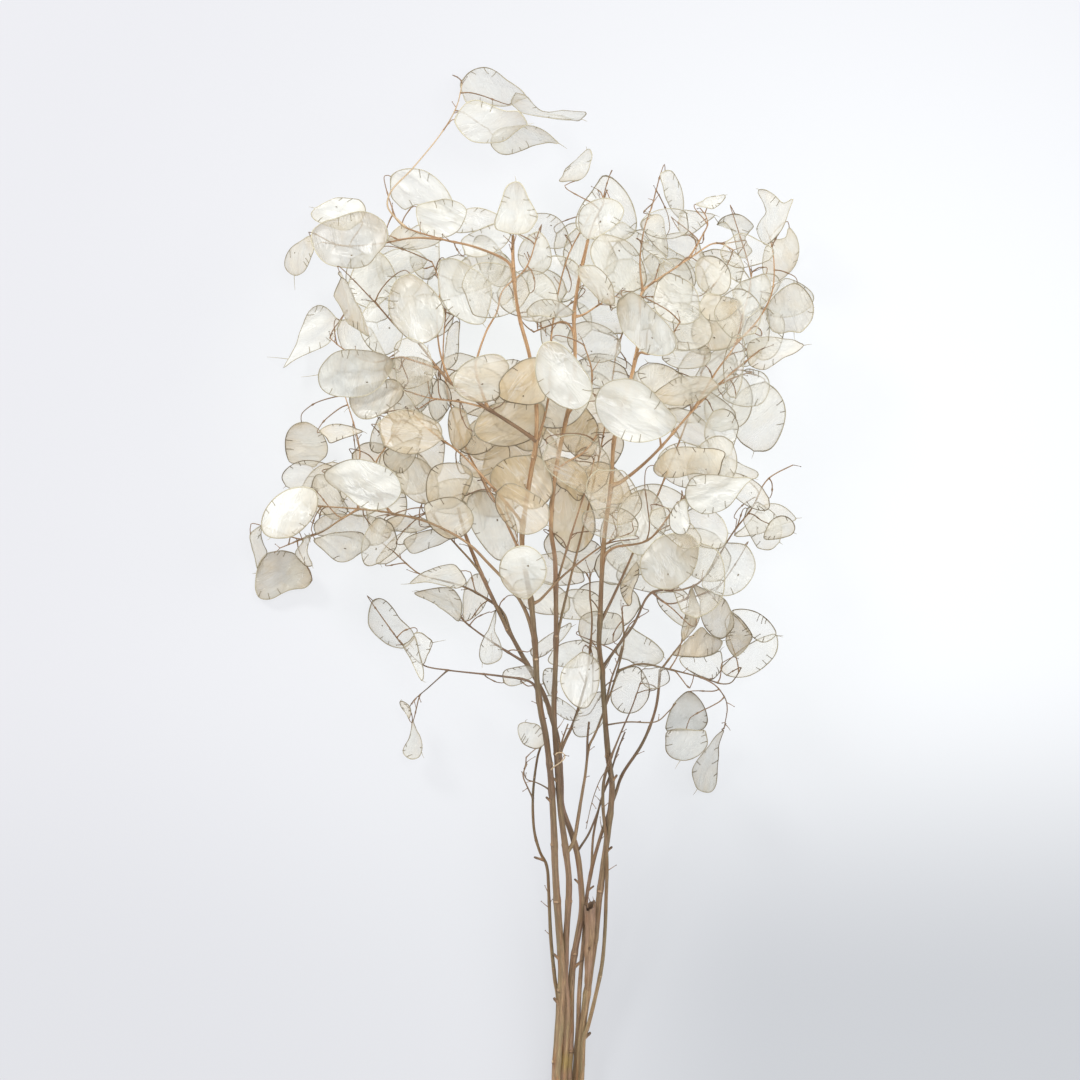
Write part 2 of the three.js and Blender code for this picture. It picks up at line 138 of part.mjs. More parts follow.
    [-142.71,34.94,26.13,0.1453,0.7925,-0.5923,-0.1353,0.6089,0.7816,45.03,33.62,[[-146.27,15.51,40.65],[-146.46,14.59,44.96],[-145.54,16.94,55.38],[-143.61,20.09,63.52],[-140.56,21.95,70.21]]],
  ]],
  ['raceme_low_left_inner', 'raceme_low_left_long', [[-97.74,17.72,86.8,0.91],[-105.92,29.93,87.77,0.85],[-109.03,41.25,87.81,0.85],[-104.7,55.35,86.53,0.85],[-98.28,65.42,84.46,0.85],[-91.01,78.57,81.05,0.85]], [
    [-89.4,54.16,89.73,-0.6128,-0.6128,0.4989,0.7463,-0.2414,0.6203,39.04,29.09,[[-76.21,67.35,78.99],[-77.7,70.01,78.8],[-79.65,72.34,78.89],[-85.36,76.54,79.86],[-91.01,78.57,81.05]]],
    [-80.02,39.35,76.48,0.2964,-0.8144,0.4989,0.3056,0.5758,0.7583,39.02,28.25,[[-86.39,56.87,65.75],[-87.5,59.29,66.84],[-90.94,64.85,73.34],[-93.74,67.32,79.12],[-96.85,68.06,83.82]]],
    [-87.45,72.88,49.9,-0.4357,-0.6709,0.6,0.7845,0.0437,0.6186,39.28,28.79,[[-78.02,87.4,36.91],[-77.56,89.03,38.33],[-81.29,85.48,48.31],[-86.42,79.67,59.91],[-93.65,70.88,74.68],[-99.71,62.78,85.05]]],
    [-107.46,67.9,63.01,0,-0.6333,-0.7739,0.9361,-0.2723,0.2228,39.35,29.82,[[-107.46,81.63,79.78],[-104.14,81.4,80.44],[-97.48,79.43,80.95],[-92.48,75.94,81.76]]],
    [-106.93,46.13,38.35,0.7347,-0.4795,-0.48,0.4698,-0.1509,0.8698,47.49,33.87,[[-125.84,58.48,50.71],[-126.17,59.95,55.84],[-120.05,59.14,67.27],[-111.36,55.02,79.46],[-107.38,50.07,87.23]]],
    [-83.74,69.15,133.85,0.9107,-0.2214,0.3487,-0.2127,0.4722,0.8554,45.79,32.29,[[-106.42,74.66,125.17],[-108.55,74.68,119.93],[-106.21,71.79,107.15],[-101.82,66.06,93.49],[-101.17,60.16,85.59]]],
  ]],
  ['raceme_low_left_rising', 'raceme_low_left_long', [[-119.01,20.35,78.96,0.85],[-120.47,35.35,79.62,0.85],[-118.69,50.33,77.44,0.85],[-119.65,65.49,70.86,0.85],[-124.08,80.5,59.89,0.85],[-129.37,95.54,46.16,0.85]], [
    [-113.36,36.07,123.54,0.9609,-0.2575,0.1024,-0.2255,-0.5122,0.8287,49.81,36.6,[[-139.22,43,120.79],[-140.85,44.62,116.71],[-137.44,46.17,107.46],[-132.4,46.5,98.95],[-125.14,45.25,87.73],[-120.46,41.4,79.21]]],
    [-157.2,65.16,12.81,0.1331,-0.755,-0.642,-0.1051,-0.6549,0.7484,40.32,30.29,[[-160.15,81.9,27.03],[-147.09,92.21,36.15],[-129.37,95.54,46.16]]],
    [-132.73,70.96,71.72,0.9056,0.0792,0.4166,-0.3907,0.5376,0.7472,26.61,15.11,[[-146.59,69.75,65.34],[-146.71,72.43,62.37],[-142.36,78.8,57.63],[-134.83,85.63,53.58],[-127.22,89.51,51.82]]],
    [-151.92,42.27,57.85,-0.8022,-0.3281,-0.4989,-0.0457,-0.7994,0.5991,39.69,30.62,[[-134.4,49.44,68.75],[-119.36,47.37,78.2]]],
    [-119.85,33.07,33.57,0.1251,-0.9278,0.3514,0.3478,0.3727,0.8603,37.67,29.23,[[-122.46,52.4,26.25],[-123.87,67.58,36.73],[-123.08,77.51,62.38]]],
  ]],
  ['raceme_low_left_tip', 'raceme_low_left_long', [[-119.01,20.35,78.96,0.85],[-132.03,12.65,75.87,0.85],[-145.3,4.44,67.28,0.85],[-157.6,0.4,55.07,0.85],[-173.22,-5.33,35.12,0.85]], [
    [-164.45,16.38,79.32,-0.5706,-0.8149,0.1014,-0.0574,0.1627,0.985,40.61,32.9,[[-151.72,34.56,77.06],[-148.26,33.34,76.65],[-142.5,26.98,76.28],[-136.05,18.92,76.28],[-129.41,14.25,76.79]]],
    [-174.27,-25.57,8.65,-0.8863,0.1563,-0.4359,-0.4006,0.2132,0.8911,40.32,31.22,[[-154.62,-29.03,18.31],[-152.57,-27.04,22.43],[-153.96,-20.94,29.46],[-156.67,-14.89,35.49],[-160.13,-6.75,43.75],[-160.71,-0.69,51.38]]],
    [-139.36,27.74,58.13,-0.0921,0.7275,0.6799,-0.5433,-0.6089,0.578,39.54,28.43,[[-137.35,11.9,43.33],[-140.63,8.7,41.53],[-148.6,4.65,41.16],[-157.62,1.16,43.25],[-163.82,-1.83,47.49]]],
    [-188.91,-4.67,29.96,0.1812,-0.6761,-0.7141,0.9538,-0.0562,0.2951,40.12,28.55,[[-192.9,10.24,45.71],[-190.91,10.98,47.78],[-184.94,9.69,49.73],[-173.46,5.32,51.28],[-164.6,2.03,52.65],[-157.6,0.4,55.07]]],
    [-154.31,-7.88,73.4,0.2104,-0.7025,0.6799,-0.9187,0.0957,0.3831,39.92,28.02,[[-158.93,7.55,58.47],[-160.41,7.21,56.06],[-163.29,4.97,51.56],[-165.9,1.03,47.1],[-166.94,-2.98,43.45]]],
  ]],
  ['raceme_left_drooping', 'stem_left_centre', [[-20.3,-59.92,75.25,1.3],[-24.78,-46.86,74.62,1.16],[-33.84,-39.37,74.6,1.07],[-46.83,-32.05,74.49,0.97],[-61.08,-27.52,73.14,0.88],[-75.63,-23.82,70.85,0.85],[-85.75,-17.47,68.52,0.85],[-96.83,-7.25,65.26,0.85]], [
    [-64.73,-42.5,84.83,-0.7551,0.5486,0.359,-0.3209,-0.7868,0.5273,38.97,29.9,[[-48.5,-54.28,77.12],[-46.31,-52.69,76.47],[-42.46,-48.05,75.65],[-38.34,-42.52,75.12],[-33.84,-39.37,74.6]]],
    [-65.34,-22.87,86.5,-0.8863,-0.1563,0.4359,0.0644,0.8906,0.4502,39.13,28.68,[[-46.22,-19.5,77.1],[-45.05,-22.49,76.28],[-43.61,-29.03,75.31],[-41.52,-34.79,74.69]]],
    [-95.72,-4.65,41.21,0.3212,0.5842,-0.7454,-0.5218,0.766,0.3755,39.41,27.99,[[-102.69,-17.33,57.38],[-100.83,-17.18,59.59],[-98.69,-16.77,61.46],[-93.08,-15.52,65],[-88.01,-15.48,67.89]]],
    [0.54,-37,50.83,0.8482,-0.0395,-0.5282,0.3973,0.707,0.585,42.89,33.19,[[-19.35,-36.07,63.22],[-26.77,-44.72,74.48]]],
  ]],
  ['raceme_front_low', 'stem_left_centre', [[-8.58,-81.19,72.62,1.23],[-24.03,-71.79,73.71,1.03],[-36.69,-63.44,73.33,0.9],[-48.79,-54.27,71.36,0.85],[-59.23,-39.49,67.5,0.85]], [
    [-33.25,-65.85,92.18,-0.1505,-0.8535,0.4989,0.8875,0.1057,0.4485,39.24,27.8,[[-30,-47.39,81.4],[-32.21,-47.25,79.83],[-37.43,-48.69,76.99],[-43.13,-52.13,74.22],[-46.46,-56.23,71.88]]],
    [7.91,-65.91,63.48,0.6766,0.3606,-0.642,0.6559,-0.6914,0.3029,39.43,29.94,[[-6.78,-73.74,77.42],[-10.34,-73.16,77.21],[-16.62,-72.2,75.65],[-21.46,-73.39,73.62]]],
    [-43.69,-38.4,51.98,0.413,0.5233,-0.7454,0.902,-0.1217,0.4143,39.62,29.75,[[-52.7,-49.81,68.24],[-48.79,-54.27,71.36]]],
  ]],
  ['raceme_lowest_left', 'stem_left', [[-0.48,-104.81,88.28,1.17],[-7.3,-92.04,88.58,1.05],[-21.88,-89.37,87.86,0.97],[-33.68,-87.92,86.07,0.91],[-48.53,-86.56,81.94,0.85],[-63.44,-84.95,75.57,0.85],[-75.32,-82.96,68.96,0.85],[-86.96,-73.71,59.18,0.85],[-96.78,-62.31,48.4,0.85]], [
    [-100.89,-55.15,9.62,0.6347,-0.7564,-0.1579,-0.4143,-0.5056,0.7568,40.83,29.81,[[-115.12,-38.2,13.16],[-115.92,-37.43,16.74],[-112.8,-41.64,24.38],[-108.47,-47.26,31.37],[-101.96,-55.64,40.76],[-96.78,-62.31,48.4]]],
    [-76.3,-72.35,69.06,0.2353,-0.8781,0.4166,-0.5357,0.2405,0.8094,27.46,16.23,[[-80,-58.54,62.51],[-82.12,-57.99,60.49],[-86.63,-58.55,56.59],[-91.45,-61.08,52.88],[-94.92,-64.68,50.59]]],
    [-84.13,-80.18,71.03,0.4545,-0.7873,0.4166,-0.6498,0.0268,0.7597,29.1,17.41,[[-91.65,-67.15,64.14],[-93.18,-66.02,57.97],[-93.04,-67.04,52.77]]],
    [-13.75,-88.41,80.48,0.8218,0.3888,0.4166,-0.0296,-0.701,0.7125,24.65,15.14,[[-25.53,-93.98,74.51],[-29,-93.03,75.92],[-34.13,-90.29,80.17],[-36.65,-87.65,85.42]]],
    [5.9,-93.78,76.83,0.8914,0.1784,-0.4166,0.4439,-0.5291,0.7232,24.73,14.96,[[-6.9,-96.34,82.81],[-13.04,-90.51,88.46]]],
  ]],
  ['raceme_lowest_left_tip', 'raceme_lowest_left', [[-60.46,-85.33,77.02,0.85],[-74.37,-97.99,60.04,0.85],[-87.54,-112.27,26.95,0.85]], [
    [-90.11,-114.14,30.17,-0.3842,0.8239,-0.4166,-0.7563,-0.0221,0.6538,16.16,9.28,[[-86.23,-122.44,34.37],[-84.71,-120.95,37.12],[-83.33,-116.93,40.25],[-81.34,-108.59,45.46],[-79.23,-102.19,50.61]]],
    [-82.84,-132.28,27.67,0.1579,-0.8953,0.4166,-0.8794,0.0644,0.4716,29.38,16.73,[[-85.48,-117.34,20.72],[-87.54,-112.27,26.95]]],
  ]],
  ['raceme_left_end', 'stem_left_centre', [[-38.58,-21.69,77.48,1.04],[-47.42,-11.19,80.07,0.92],[-57.26,-0.38,81.68,0.85],[-68.33,13.47,81.72,0.85],[-75.96,26.19,80.62,0.85]], [
    [-56.42,29.29,14.15,0.6807,0.4346,-0.5897,0.1376,0.7148,0.6856,43.27,32.36,[[-72.51,19.02,28.09],[-78.42,21.48,50.86],[-74.48,23.62,80.87]]],
    [-58.62,13.68,94.89,0.877,0.3192,0.359,-0.286,-0.2535,0.9241,38.61,29.9,[[-77.3,6.88,87.24],[-78.35,9.14,86.37],[-79.11,14.85,84.72],[-78.18,21.56,82.86],[-75.96,26.19,80.62]]],
    [-84.53,11.23,58.35,0.8634,-0.0755,-0.4989,0.2112,-0.8438,0.4933,38.84,27.3,[[-103.03,12.84,69.04],[-101.97,14.43,71.38],[-91.91,18.62,75.68],[-81.44,21.04,78.6],[-73.01,21.04,81.12]]],
    [-73.81,-0.66,63.8,0.952,0.1679,-0.256,0.3016,-0.658,0.69,39.08,27.38,[[-94.32,-4.28,69.31],[-94.69,-2.02,70.86],[-91.03,4,73.57],[-86.54,8.88,75.56],[-78.62,15.42,78.58],[-71.51,18.48,81.35]]],
    [-31.44,9.17,79.87,0.4899,-0.8485,-0.2003,0.3833,0.0033,0.9236,45.4,31.92,[[-43.54,30.13,84.81],[-48.13,30.86,84.79],[-56.37,28.1,83.81],[-64.55,22.38,82.42],[-69.96,15.95,81.55]]],
    [-89.07,45.72,39.15,-0.7984,0.5779,0.1691,0.2086,0.0021,0.978,40.63,29.06,[[-71.25,32.83,35.37],[-68.34,29.66,38.26],[-67.46,26.27,46.88],[-68.79,22.3,61.77],[-69.62,18.52,73.44],[-68.33,13.47,81.72]]],
  ]],
  ['raceme_middle_left', 'stem_centre', [[22.18,131.02,139.59,1.04],[9.66,138.95,132.12,0.85],[-3.88,134.43,114.69,0.85]], [
    [6.39,146.24,145.58,0.8667,-0,0.4989,-0.367,-0.6774,0.6376,38.91,28.21,[[-12.21,146.24,134.88],[-12.91,145.31,132.48],[-12.01,141.51,124.84],[-7.64,136.86,117.52],[-3.88,134.43,114.69]]],
    [10.42,132.86,94.98,0.5342,-0.5024,-0.6799,0.8088,0.0698,0.5839,39.03,27.78,[[-1.07,143.67,109.61],[-1.22,135.47,118.7]]],
    [35.43,127.56,123.12,0.6792,-0.5383,-0.4989,-0.013,-0.6884,0.7252,39.04,29.55,[[20.81,139.14,133.85],[12.44,139.64,134.39]]],
    [-3.24,158.17,107.11,-0.1804,0.8817,-0.4359,0.041,0.4495,0.8923,39.49,29.21,[[0.68,138.99,116.59],[1.45,136.48,122.56]]],
  ]],
  ['raceme_middle_right', 'stem_centre', [[21.72,142.69,141.58,1.04],[35.35,149.07,139.55,0.85],[48.75,156.49,134.39,0.85]], [
    [36.73,162.11,167.1,0.5571,-0.6639,0.4989,-0.7816,-0.2161,0.5851,38.12,28.23,[[25,176.09,156.59],[25.7,175.3,153.43],[31.56,167.27,146.67],[36.41,158.53,141.99],[37.91,150.75,138.75]]],
    [53.11,165.81,109.21,0.3261,0.8388,-0.4359,0.0256,0.4531,0.8911,39.53,30.61,[[46.01,147.56,118.7],[45.71,148.01,121.83],[45.52,149.02,124.79],[45,152.1,131.27],[43.27,153.7,136.74]]],
  ]],
  ['raceme_middle_tip', 'stem_centre', [[27.37,177.11,147.51,1.04],[31.57,194.96,140.57,0.87],[37.24,209.7,126.74,0.85],[37.69,227.46,100.5,0.85]], [
    [36.4,206.26,145.75,-0.2964,-0.8144,0.4989,0.4507,0.3413,0.8249,38.81,29.9,[[42.74,223.69,135.07],[42.99,224.74,128.8],[42.06,222.23,118.99],[41.15,218.76,114.48]]],
    [23.41,242.59,98.46,0.4015,0.5734,-0.7141,-0.5193,0.7848,0.3382,39.19,29.74,[[14.74,230.21,113.88],[16.68,227.41,115.92],[25.71,221.7,118.3],[33.63,217.2,119.97],[38.67,212.63,122.93]]],
    [45.82,219.92,81.86,-0.0864,-0.9878,-0.1293,0.1287,-0.1398,0.9818,39.69,33.13,[[47.71,241.5,84.69],[47.09,241.65,87.42],[44.55,235.14,95.94],[42.44,227.75,103.44],[41.24,222.06,109.93]]],
    [50.3,179.28,120.38,0.4956,-0.8583,0.133,0.3002,0.313,0.9011,43.59,31.68,[[38.51,199.71,117.21],[37.95,206.15,121.51],[37.24,209.7,126.74]]],
  ]],
  ['raceme_front_middle', 'stem_centre', [[16.46,75.89,129.55,1.1],[25.38,87.43,141.94,0.97],[32.79,98.78,154.09,0.87],[32.4,109.92,163.54,0.85],[27.77,123.08,175.17,0.85]], [
    [60.52,81.32,178.37,0.9241,-0.3364,0.1812,-0.2915,-0.3142,0.9035,53.37,40.81,[[34.01,90.97,173.17],[33.12,93.27,171.63],[32.59,97.84,168.05],[33.02,102.17,163.55],[33.13,104.38,158.85]]],
    [15.05,103.48,191.37,0.3081,-0.9482,-0.0773,-0.1099,-0.1161,0.9871,45,33.99,[[7.5,126.71,193.26],[9.88,128.26,191.03],[14.01,128.14,187.55],[21.74,125.91,181.04],[27.77,123.08,175.17]]],
    [17.4,85.06,122.35,-0.8821,-0.1788,-0.4359,-0.3717,-0.3044,0.877,38.57,29.03,[[36.17,88.87,131.63],[36.62,90.3,134.79],[36.39,91.52,137.76],[34.29,93.5,144.18],[31.34,93.33,149.28]]],
  ]],
  ['raceme_core', 'stem_centre', [[10.16,44.08,122.81,1.04],[24.71,54.14,125.63,0.85],[36.05,66.94,124.88,0.85]], [
    [16.16,39.42,115.07,-0.3895,-0.8482,-0.359,-0.2759,-0.2644,0.9241,38.75,30.01,[[24.48,57.55,122.75],[31.19,59.78,125.63]]],
    [25.96,68.78,104.38,-0.4447,0.7048,-0.5528,-0.6998,0.1118,0.7055,38.88,29.08,[[35.49,53.67,116.23],[33.02,53.77,119.3],[30.35,54.1,121.78],[24.71,54.14,125.63]]],
    [19.01,72.63,88.81,-0.9042,0.2754,-0.3266,-0.2546,0.2664,0.9296,41.48,30.56,[[39.57,66.36,96.23],[41.28,66.46,100.36],[41.03,67.52,108.6],[38.72,68.28,117.66],[36.05,66.94,124.88]]],
    [24.02,49.67,141.75,0.7944,-0.5125,-0.3259,0.0739,-0.451,0.8894,47.35,33.83,[[3.62,62.83,150.12],[4.11,64.83,149.26],[9.15,67.07,145.42],[20.61,68.27,137.17],[29.12,67.36,130.55],[34.46,64.53,125.17]]],
  ]],
  ['raceme_upper_right', 'stem_right', [[62.92,124.55,132,1.23],[63.64,139.41,132.45,1.14],[63.97,154.33,131.68,1.07],[72.94,165.71,128.82,1],[85.59,174.27,123.43,0.94],[98.33,183.13,115.52,0.89],[111.36,191.97,105.52,0.85],[125.72,188.91,94.3,0.85]], [
    [111.93,172.1,112.06,0.7165,-0.5446,-0.4359,0.4285,-0.1494,0.8911,38.94,30.15,[[96.55,183.79,121.42],[88.1,176.07,122.05]]],
    [122.79,179.26,73.41,-0.5908,-0.7225,-0.359,-0.3337,-0.1863,0.9241,39.23,30.38,[[135.56,194.88,81.17],[134.26,195.74,84.55],[130.9,195.32,88.64],[123.75,193.57,95.36],[117.43,192.67,101.12]]],
    [88.82,166.61,106.85,0.5215,-0.562,-0.642,0.7731,-0.0072,0.6342,39.32,30.1,[[77.52,178.78,120.76],[76.57,176.52,122.78],[75.02,170.91,126.09],[72.94,165.71,128.82]]],
    [132.64,184.79,124.52,0.647,-0.3453,0.6799,-0.2619,0.7367,0.6234,39.54,27.91,[[118.55,192.31,109.72],[114.36,192.88,103.34]]],
    [87.64,153.53,141.24,0.6675,-0.6037,0.4359,-0.531,0.0245,0.847,39.3,29.23,[[73.18,166.6,131.8],[68.18,161.97,130.25]]],
    [72.94,169.98,94.92,-0.3373,0.575,-0.7454,-0.8475,0.1591,0.5063,39.55,27.78,[[80.29,157.46,111.15],[78.54,156.62,115.47],[75.2,156.59,119.87],[68.83,156.57,126.37],[63.97,154.33,131.68]]],
    [84.39,179.47,73.67,-0.6284,0.7649,0.1417,-0.5284,-0.5534,0.6438,44.86,34.13,[[99.74,160.78,70.21],[104.83,160.36,71.41],[112.18,165.38,75.7],[117.48,171.79,80.35],[123.1,181.28,87.42],[125.72,188.91,94.3]]],
  ]],
  ['raceme_upper_right_rising', 'raceme_upper_right', [[66.07,159.82,130.82,0.85],[64.34,178.24,125.79,0.85],[66.01,194,116.25,0.85],[70.2,209.94,100.38,0.85],[76.12,229.66,75.3,0.85]], [
    [86.19,228.97,68.14,0.1733,-0.8151,-0.5528,0.8739,-0.1316,0.468,39.25,27.96,[[82.45,246.6,80.09],[81.19,245.65,82.16],[78.89,239.54,84.83],[77.17,233.4,86.53],[74.65,223.65,89.25],[72.55,216.31,92.51]]],
    [74.73,194.94,100.85,0.3804,-0.8157,0.4359,0.6281,0.5738,0.5256,39.1,29.01,[[66.53,212.51,91.45],[69.88,216.48,88.78],[73.56,219.59,88.34]]],
    [73.48,184.03,144.04,0.5618,-0.4714,0.6799,0.3504,0.88,0.3206,39.58,30.18,[[61.24,194.3,129.23],[63.51,193.55,123.03],[65.5,190.82,118.67]]],
    [63.8,187.16,31.24,-0.7504,-0.5208,-0.4071,-0.4898,0.0245,0.8715,49.05,37.1,[[83.71,200.98,42.04],[84.3,215.64,54.41],[76.12,229.66,75.3]]],
  ]],
  ['raceme_front_right', 'stem_right', [[61.2,115.92,130.65,1.1],[72.37,119.34,140.88,0.91],[80.97,126.8,148.2,0.85],[89.04,138.63,156.29,0.85]], [
    [68.07,136.15,178.78,0.6672,-0.741,0.0765,-0.5518,-0.4225,0.719,49.18,38.36,[[50.33,155.85,176.74],[51.8,157.53,175.01],[60.5,155.51,171.17],[69.72,151.72,167.43],[81.75,145.17,161.86],[89.04,138.63,156.29]]],
    [90.23,137.57,126.37,0.8449,0.1103,-0.5235,0.4276,0.4487,0.7847,46.96,34.65,[[68.71,134.76,139.71],[67,120.25,136.88]]],
  ]],
  ['raceme_upper_right_inner', 'raceme_upper_right', [[95.74,181.39,117.29,0.85],[106.33,199.34,100.34,0.85],[105.29,218.51,67.26,0.85]], [
    [112.41,223.5,70.64,0.8781,0.2353,-0.4166,0.0637,0.8055,0.5892,22.36,13.15,[[100.83,220.39,76.13],[100.92,218.8,77.81],[104.18,213.28,83.18],[107.42,209.19,87.16],[109.3,205.73,90.91]]],
    [101.6,208.45,77.95,0.755,-0.1331,-0.642,0.5362,0.6889,0.4878,39.34,28.86,[[85.24,211.34,91.87],[86.23,209.66,94.78],[91.71,204.94,98.93],[98.76,198.85,103.17],[102.95,193.31,107.62]]],
    [90.46,188.79,77.91,-0.7118,-0.1765,-0.6799,-0.4363,-0.6474,0.6249,39.49,29.35,[[105.94,192.63,92.69],[106.33,199.34,100.34]]],
    [81.78,201.9,144.29,-0.6123,0.2638,0.7454,0.2002,-0.8602,0.4689,39.63,30.05,[[95.14,196.15,128.03],[101.27,190.33,110.51]]],
  ]],
  ['raceme_long_right', 'stem_right', [[45.88,35.16,116.58,1.49],[58.58,42.07,118.46,1.37],[69.83,51.72,119.74,1.28],[80.22,62.38,119.93,1.19],[89.94,73.74,118.71,1.11],[97.8,82.84,116.6,1.05],[108.29,93.76,112.55,0.98],[119.49,104.14,107.09,0.91],[131.28,114.06,100.54,0.85],[143.36,123.81,93.38,0.85]], [
    [154.48,122.54,92.76,0.9781,0.1725,0.1164,-0.1976,0.5951,0.779,40.6,29.85,[[132.67,118.69,90.16],[128.9,112.09,101.91]]],
    [80.9,103.55,111.15,-0.5447,0.5395,-0.642,0.1189,0.8075,0.5777,38.97,29.3,[[92.6,91.96,124.94],[97.8,82.84,116.6]]],
    [117.94,69.34,107.95,0.3351,-0.6896,-0.642,0.6446,-0.3292,0.69,39.1,27.52,[[110.72,84.2,121.78],[106.13,91.62,113.48]]],
    [112.22,84.16,90.24,0.3851,-0.6629,-0.642,-0.2872,-0.7472,0.5993,39.07,29.99,[[103.93,98.44,104.06],[104.17,96.42,107.22],[104.4,94.16,109.87],[104,89.45,114.35]]],
    [97.52,73.07,94.18,0.6979,-0.5986,-0.3932,-0.2659,-0.7263,0.6338,38.88,27.47,[[82.56,85.9,102.61],[82.44,85.1,104.72],[84.28,79.37,111.4],[85.94,73.9,115.94],[86.07,69.16,119.38]]],
    [148.74,136.86,52.66,0.4366,0.692,-0.5749,0.6004,0.2518,0.7591,42,29.76,[[138.7,120.95,65.88],[126.52,110.12,103.26]]],
  ]],
  ['raceme_right_short', 'raceme_long_right', [[114.92,100.05,109.43,0.85],[127.37,106.42,80.22,0.85],[140.77,111.55,43.55,0.85]], [
    [134.82,99.96,69.44,0.9,-0,-0.4359,0.4031,-0.3805,0.8323,38.7,27.9,[[115.6,99.96,78.75],[116.01,100.6,81.48],[116.86,101.22,84.12],[119.62,102.56,90.09],[121.11,103.27,95.6]]],
    [124.74,91.76,53.94,-0.1195,-0.8965,0.4266,-0.0497,0.4346,0.8993,43.84,31.27,[[127.6,113.2,43.73],[134.82,112.67,42.35],[140.77,111.55,43.55]]],
    [145.17,82.33,38.39,-0.1357,-0.9378,-0.3196,-0.381,-0.2484,0.8906,48.74,37.59,[[148.75,107.06,46.82],[145.6,108.53,48.34],[142.61,109.39,49.77],[137.32,110.41,53.21]]],
    [125.22,111.84,118.9,-0.0714,0.8423,0.5342,0.8917,-0.1861,0.4125,44.3,31.64,[[126.94,91.5,105.99],[127.18,91.85,103.49],[127.27,96.27,95.8],[126.38,100.91,91.05],[124.22,104.86,88.17]]],
  ]],
  ['raceme_right_rising', 'raceme_long_right', [[99.84,85.06,115.92,0.98],[106.62,96.96,117.08,0.89],[112.73,107.01,116.9,0.85],[121.61,119.13,114.5,0.85],[128.5,132.63,109.29,0.85],[132.2,147.69,101.3,0.85],[135.71,159.79,93.26,0.85],[138.75,175.4,82.02,0.85]], [
    [117.43,151.63,119.06,-0.7028,0.5071,0.4989,0.609,0.0665,0.7903,38.44,28.1,[[132.35,140.87,108.48],[128.5,132.63,109.29]]],
    [138.54,158.6,110.56,-0.45,-0.7794,0.4359,0.4752,0.2042,0.8558,39.08,27.39,[[148.23,175.39,101.17],[147.76,176.76,98.24],[145.56,177.95,92.38],[142.1,177.47,86.35],[138.75,175.4,82.02]]],
    [119.27,136.87,93,-0.7362,0.5736,-0.359,-0.3667,0.1077,0.9241,39.13,32.93,[[135.15,124.5,100.74],[134.18,123.64,102.73],[130.71,122.32,106.83],[125.71,121.03,111.14],[121.61,119.13,114.5]]],
    [94.66,119.94,106.65,-0.6219,0.3886,-0.6799,-0.1212,0.81,0.5738,39.15,30.02,[[108.07,111.56,121.32],[111.16,104.49,117.07]]],
    [132.78,205.09,70.6,0.3833,-0.664,-0.642,-0.368,-0.7474,0.5532,39.58,29.25,[[124.43,219.56,84.54],[124.3,218.42,86.5],[126.96,210.11,86.05],[131.38,197.11,83.42],[135.72,183.22,83.19],[138.17,172.26,84.29]]],
    [114.4,108.39,67.95,-0.4554,-0.8266,-0.3306,0.4526,-0.5347,0.7136,41.14,30.08,[[124.68,127.05,75.42],[134.06,153.69,97.43]]],
    [141.15,161.54,69.27,0.816,0.3847,-0.4315,0.5779,-0.5617,0.5921,40.98,29.61,[[122.8,152.89,78.97],[123.14,152.58,81.31],[127.26,152.41,89.02],[131.01,152.09,94.62],[133.13,150.68,99.4]]],
  ]],
  ['raceme_front_bright', 'raceme_long_right', [[78.21,60.17,120,0.85],[73.58,76.61,135.57,0.85],[67.02,89.37,146.79,0.85]], [
    [92.53,95.72,147.46,0.9872,0.1387,-0.0784,0.1532,-0.6896,0.7078,43.57,32.39,[[69.05,92.42,149.33],[67.02,89.37,146.79]]],
  ]],
  ['raceme_right_edge', 'raceme_right_rising', [[126.49,126.84,111.72,0.85],[136.83,137.2,108.08,0.85],[145.86,149.63,101.09,0.85],[152.62,167.43,86.34,0.85],[153.88,183.7,68.91,0.85],[152.46,200.19,48.53,0.85]], [
    [163.38,192.3,10.55,-0.1563,-0.8863,-0.4359,0.4448,-0.4572,0.7701,40.32,28.27,[[166.85,211.94,20.21],[165.75,213.06,23.59],[162.37,211.46,29.92],[159.45,208.87,34.74],[155.19,204.15,42.07],[152.46,200.19,48.53]]],
    [150.94,219.79,51.95,-0.2964,0.8144,-0.4989,-0.8445,0.0205,0.5352,39.63,27.8,[[157.4,202.02,62.83],[153.24,193.59,56.86]]],
    [166.91,149.24,81.73,-0.0864,-0.9879,0.1285,-0.3481,0.1508,0.9252,39.81,29.62,[[168.81,170.88,78.91],[166.01,173.33,77.71],[159.76,176.16,76.07],[153.62,177.13,76.36]]],
    [162.04,158.09,65.17,0.8356,-0.2299,-0.4989,0.2427,-0.6602,0.7108,39.63,30.6,[[143.81,163.1,76.05],[144.01,162.95,78.65],[145.8,162.03,83.95],[148.57,160.29,89.7],[150.02,158.16,94.62]]],
    [142.23,136.99,78.23,0.1616,-0.6468,-0.7454,0.755,-0.4053,0.5154,39.69,29.09,[[138.7,151.12,94.52],[145.86,149.63,101.09]]],
    [126.89,142.89,159.62,-0.5836,0.5826,0.5657,0.4616,-0.3351,0.8213,37.2,28.9,[[138.91,130.89,147.97],[142.32,132.29,133.87],[141.01,136.89,119.63],[136.83,137.2,108.08]]],
  ]],
  ['raceme_crossing_right', 'stem_left', [[-5.58,-41.67,108.28,1.17],[5.61,-32.9,109.73,1.05],[15.92,-22.33,109.5,0.96],[29.89,-11.25,105.58,0.86],[42.25,-2.87,98.87,0.85],[53.55,6.81,89.47,0.85],[61.61,19.66,78.48,0.85]], [
